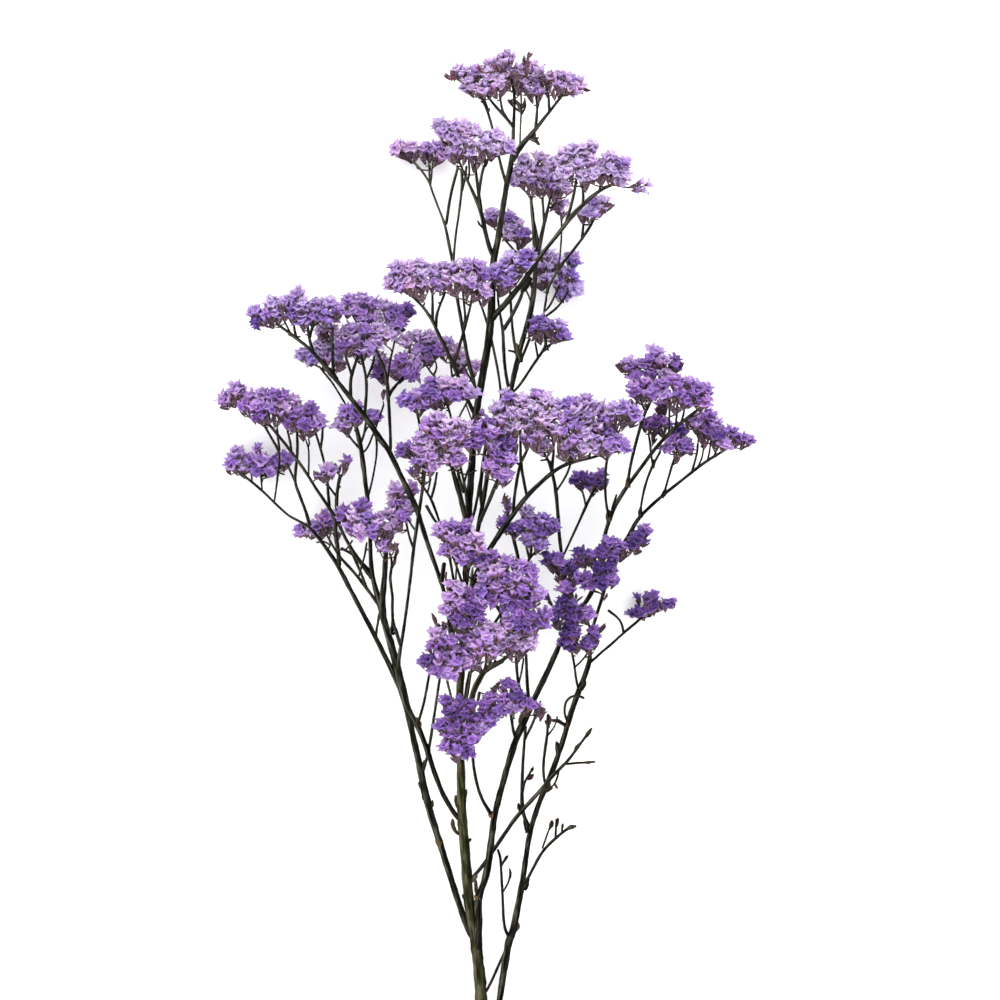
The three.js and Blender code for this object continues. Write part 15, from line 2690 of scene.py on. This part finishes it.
def petal_material():
    m = Nodes("papery_petals")
    along = m.new("ShaderNodeUVMap", uv_map="Along")
    sep = m.new("ShaderNodeSeparateXYZ")
    m.link(along.outputs["UV"], sep.inputs[0])
    v = sep.outputs["Y"]
    att = m.new("ShaderNodeAttribute", attribute_name="tint")
    ac = m.new("ShaderNodeSeparateColor")
    m.link(att.outputs["Color"], ac.inputs[0])
    obj = m.new("ShaderNodeTexCoord").outputs["Object"]
    # fine veins that run from the throat to the rim, and a mottle over the petals
    veins = m.noise(m.scaled(along.outputs["UV"], (26, 3, 1)), 1.0, 3.0, 0.6)
    mottle = m.noise(obj, 900.0, 3.0, 0.65)
    shift = m.math("MULTIPLY_ADD", m.math("SUBTRACT", mottle, 0.5), 0.16, v)
    # along each floret the colour runs from the brown calyx to the violet petals, palest at the rim and darker into the
    # throat: partly the petals' own colour, partly painted shade in the throat
    light = m.ramp(shift, [
        (0.00, srgb(98, 92, 70)), (0.08, srgb(120, 104, 88)), (0.16, srgb(138, 112, 112)), (0.22, srgb(150, 122, 138)),
        (0.29, srgb(142, 113, 170)), (0.38, srgb(174, 147, 206)), (0.47, srgb(200, 184, 220)), (0.53, srgb(200, 184, 220)),
        (0.62, srgb(193, 172, 217)), (0.80, srgb(182, 155, 209)), (1.00, srgb(160, 130, 190)),
    ])
    middle = m.ramp(shift, [
        (0.00, srgb(84, 78, 58)), (0.08, srgb(96, 78, 66)), (0.16, srgb(108, 80, 82)), (0.22, srgb(112, 80, 100)),
        (0.29, srgb(106, 75, 145)), (0.38, srgb(136, 100, 184)), (0.47, srgb(157, 122, 204)), (0.53, srgb(157, 122, 204)),
        (0.62, srgb(148, 111, 196)), (0.80, srgb(136, 98, 184)), (1.00, srgb(112, 78, 156)),
    ])
    dark = m.ramp(shift, [
        (0.00, srgb(54, 48, 36)), (0.08, srgb(56, 42, 38)), (0.16, srgb(60, 40, 48)), (0.22, srgb(62, 40, 62)),
        (0.29, srgb(50, 30, 84)), (0.38, srgb(65, 40, 112)), (0.47, srgb(80, 52, 134)), (0.53, srgb(80, 52, 134)),
        (0.62, srgb(72, 45, 126)), (0.80, srgb(63, 38, 112)), (1.00, srgb(46, 28, 82)),
    ])
    # the floret's tone picks the light, middle or dark ramp: partly the head's own colour, partly painted shade
    col = m.mix(m.math("MULTIPLY", ac.outputs["Red"], 2.0, clamp=True), light, middle)
    col = m.mix(m.math("MULTIPLY_ADD", ac.outputs["Red"], 2.0, -1.0, clamp=True), col, dark)
    # each floret leans to violet or to dusty pink
    lean = m.ramp(ac.outputs["Green"], [(0.0, (0.86, 0.82, 1.03, 1)), (0.4, (1, 1, 1, 1)), (1.0, (1.10, 0.91, 0.90, 1))])
    col = m.mix(1.0, col, lean, "MULTIPLY")
    # the calyx is streaked brown and straw, or plum on the buds
    blotch = m.noise(obj, 1300.0, 2.0, 0.6)
    straw = m.ramp(blotch, [(0.38, srgb(40, 27, 34)), (0.50, srgb(84, 60, 72)), (0.62, srgb(146, 120, 130))])
    plum = m.ramp(blotch, [(0.38, srgb(70, 34, 46)), (0.50, srgb(118, 64, 84)), (0.62, srgb(158, 110, 128))])
    calyx = m.mix(m.math("GREATER_THAN", ac.outputs["Green"], 0.75), straw, plum)
    # the calyx is darker on darker florets, so it takes on their painted shade as well as their colour
    calyx = m.mix(1.0, calyx, m.mix(ac.outputs["Red"], (1, 1, 1, 1), (0.42, 0.36, 0.42, 1)), "MULTIPLY")
    petal = m.math("MULTIPLY_ADD", shift, 9.0, -2.0, clamp=True)
    col = m.mix(petal, calyx, col)
    own = m.mix(ac.outputs["Blue"], (0.80, 0.78, 0.84, 1), (1.02, 1.02, 1.01, 1))
    col = m.mix(1.0, col, own, "MULTIPLY")
    vein = m.mix(m.math("MULTIPLY_ADD", veins, 0.5, 0.0), (1, 1, 1, 1), (0.62, 0.56, 0.72, 1))
    col = m.mix(0.35, col, vein, "MULTIPLY")
    # whole parts of a head are lighter or darker, and more or less pink
    wide = m.noise(obj, 105.0, 2.0, 0.5)
    col = m.mix(1.0, col, m.ramp(wide, [(0.36, (0.80, 0.79, 0.87, 1)), (0.50, (1, 1, 1, 1)), (0.64, (1.12, 1.12, 1.06, 1))]), "MULTIPLY")
    m.link(col, m.bsdf.inputs["Base Color"])
    m.bsdf.inputs["Roughness"].default_value = 0.72
    m.bsdf.inputs["Specular IOR Level"].default_value = 0.15
    m.bsdf.inputs["Subsurface Weight"].default_value = 0.45
    m.bsdf.inputs["Subsurface Radius"].default_value = (1.0, 0.9, 1.0)
    m.bsdf.inputs["Subsurface Scale"].default_value = 0.0012
    m.bsdf.inputs["Sheen Weight"].default_value = 0.12
    m.bsdf.inputs["Sheen Roughness"].default_value = 0.5
    m.bump(veins, 0.2, 0.0004)
    return m.mat


def bark_material(name, dark, mid, light):
    m = Nodes(name)
    att = m.new("ShaderNodeAttribute", attribute_name="tint")
    ac = m.new("ShaderNodeSeparateColor")
    m.link(att.outputs["Color"], ac.inputs[0])
    obj = m.new("ShaderNodeTexCoord").outputs["Object"]
    along = m.new("ShaderNodeUVMap", uv_map="Along").outputs["UV"]
    grain = m.noise(m.scaled(along, (8, 0.06, 1)), 1.0, 3.0, 0.55)
    patch = m.noise(obj, 70.0, 3.0, 0.6)
    speck = m.noise(obj, 700.0, 2.0, 0.6)
    # painted light: the bark is painted lighter on the side whose normal points to -x and darker on the +x side,
    # standing in for the lamp's light and shade
    painted_light_side = m.new("ShaderNodeSeparateXYZ")
    m.link(m.new("ShaderNodeTexCoord").outputs["Normal"], painted_light_side.inputs[0])
    grain_with_painted_side_light = m.math("ADD", m.math("MULTIPLY_ADD", patch, 0.14, 0.155), m.math("MULTIPLY", grain, 0.65))
    grain_with_painted_side_light = m.math("MULTIPLY_ADD", painted_light_side.outputs["X"], -0.10, grain_with_painted_side_light)
    # the bark ramps below carry this painted side light as well as the grain
    base = m.ramp(grain_with_painted_side_light, [(0.48, dark), (0.58, mid), (0.69, light)])
    olive = m.ramp(grain_with_painted_side_light, [(0.46, srgb(28, 28, 15)), (0.56, srgb(60, 60, 36)), (0.68, srgb(94, 92, 62))])
    col = m.mix(ac.outputs["Red"], base, olive)
    # paler grey bark where the tint's blue channel is set, which rises towards the top of the spray
    pale_grey_bark = m.ramp(grain_with_painted_side_light, [(0.46, srgb(30, 28, 24)), (0.57, srgb(112, 110, 98)), (0.68, srgb(176, 172, 156))])
    col = m.mix(ac.outputs["Blue"], col, pale_grey_bark)
    dirt = m.ramp(speck, [(0.40, (0.66, 0.62, 0.58, 1)), (0.62, (1, 1, 1, 1))])
    col = m.mix(0.4, col, dirt, "MULTIPLY")
    col = m.mix(ac.outputs["Green"], col, m.mix(speck, srgb(84, 58, 34), srgb(136, 104, 62)))
    plum = m.math("SUBTRACT", 1.0, att.outputs["Alpha"])
    col = m.mix(plum, col, m.mix(speck, srgb(50, 30, 34), srgb(108, 72, 80)))
    m.link(col, m.bsdf.inputs["Base Color"])
    rough = m.math("MULTIPLY_ADD", grain, 0.3, 0.5)
    m.link(rough, m.bsdf.inputs["Roughness"])
    m.link(m.math("MULTIPLY_ADD", grain, 0.5, -0.2, clamp=True), m.bsdf.inputs["Specular IOR Level"])
    m.bump(grain, 0.5, 0.0004)
    return m.mat


PETAL = petal_material()
BARK = bark_material("dark_bark", srgb(5, 5, 4), srgb(14, 14, 10), srgb(76, 73, 62))
TWIG = bark_material("calyx_twig", srgb(48, 36, 30), srgb(74, 58, 48), srgb(104, 86, 66))

# ------------------------------------------------------------------ the spray

# the thick stem is olive low down, and the bark turns paler grey towards the top of the spray
OLIVE_Y = [-240, -205, -175, -140, -105, -75, -45, -10, 20]
OLIVE_V = [0.42, 0.44, 0.52, 0.63, 0.72, 0.66, 0.50, 0.20, 0.05]
PALE_Y = [-90, -70, -45, 20, 140, 230, 300]
PALE_V = [0.0, 0.04, 0.03, 0.02, 0.02, 0.09, 0.16]
PALE = {"branch_mid_right": 0.05, "branch_top_right": 0.04, "branch_top_left": 0.06, "branch_centre": 0.08,
        "branch_mid_left": 0.03, "cross_branch": 0.03, "branch_left_low": 0.02}
total = 0
for node, tubes in STEMS.items():
    main = node == "main_stem"
    grey = PALE.get(node, 0.0)

    def shade(v, i, main=main, grey=grey):
        """How olive and how pale grey the bark is at each point."""
        y = v[:, 1]
        pale = np.interp(y, PALE_Y, PALE_V) + grey
        if main and i == 0:
            return np.interp(y, OLIVE_Y, OLIVE_V), pale
        if main:
            return 0.75 * np.interp(y, [-110, -95, -60, -48], [0, 1, 1, 0]), pale
        return np.full(len(v), 0.04), pale

    soup = stem_piece(node, tubes, DETAILS.get(node, []), shade)
    ob = soup.build("twigs_" + node, [BARK])
    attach(ob, "root")
    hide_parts(node)
    total += len(ob.data.polygons)
stem_tris = total
florets = 0
for k, (node, (groups, tufts, twigs)) in enumerate(HEADS.items()):
    soup, n = head_piece(node, groups, tufts, twigs, np.random.default_rng(1000 + k))
    ob = soup.build("florets_" + node[7:], [PETAL, TWIG])
    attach(ob, "root")
    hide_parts(node)
    florets += n
    total += len(ob.data.polygons)
print("florets", florets, "stem triangles", stem_tris, "triangles", total)

# ------------------------------------------------------------------ floor, light, camera

me = bpy.data.meshes.new("floor")
me.from_pydata([(-6, -6, -0.0004), (6, -6, -0.0004), (6, 6, -0.0004), (-6, 6, -0.0004)], [], [(0, 1, 2, 3)])
floor = bpy.data.objects.new("floor", me)
bpy.context.scene.collection.objects.link(floor)
fm = Nodes("pale_floor")
fo = fm.new("ShaderNodeTexCoord").outputs["Object"]
fm.link(fm.mix(fm.noise(fo, 3.0), (0.965, 0.965, 0.965, 1), (0.98, 0.98, 0.98, 1)), fm.bsdf.inputs["Base Color"])
fm.bsdf.inputs["Roughness"].default_value = 0.95
fm.bsdf.inputs["Specular IOR Level"].default_value = 0.0
me.materials.append(fm.mat)

world = bpy.data.worlds.new("studio")
world.use_nodes = True
world.node_tree.nodes["Background"].inputs["Color"].default_value = (1, 1, 1, 1)
world.node_tree.nodes["Background"].inputs["Strength"].default_value = 1.78
bpy.context.scene.world = world


def area(name, at, to, size, watts):
    light = bpy.data.lights.new(name, "AREA")
    light.shape = "SQUARE"
    light.size = size
    light.energy = watts
    ob = bpy.data.objects.new(name, light)
    bpy.context.scene.collection.objects.link(ob)
    at, to = np.array(at, float), np.array(to, float)
    d = unit(to - at)
    x = unit(np.cross([0, 1, 0], -d)) if abs(d[1]) < 0.99 else np.array([1.0, 0, 0])
    y = np.cross(-d, x)
    ob.matrix_world = Matrix(((x[0], y[0], -d[0], at[0]), (x[1], y[1], -d[1], at[1]), (x[2], y[2], -d[2], at[2]), (0, 0, 0, 1)))
    return ob


area("key", (-0.3, 1.5, 2.0), (0, 0.05, 0.05), 2.0, 23)
area("fill", (0.9, -0.6, 2.2), (0, 0, 0.05), 1.6, 10)

cam = bpy.data.cameras.new("camera")
cam.sensor_width = 36
cam.lens = 36 * 2540 / 650
cam.clip_end = 50
cam_ob = bpy.data.objects.new("camera", cam)
bpy.context.scene.collection.objects.link(cam_ob)
cam_ob.location = (0.01357, 0.05464, 2.6)
cam_ob.rotation_euler = (0, 0, 0)
bpy.context.scene.camera = cam_ob
bpy.context.scene.view_settings.view_transform = "Standard"
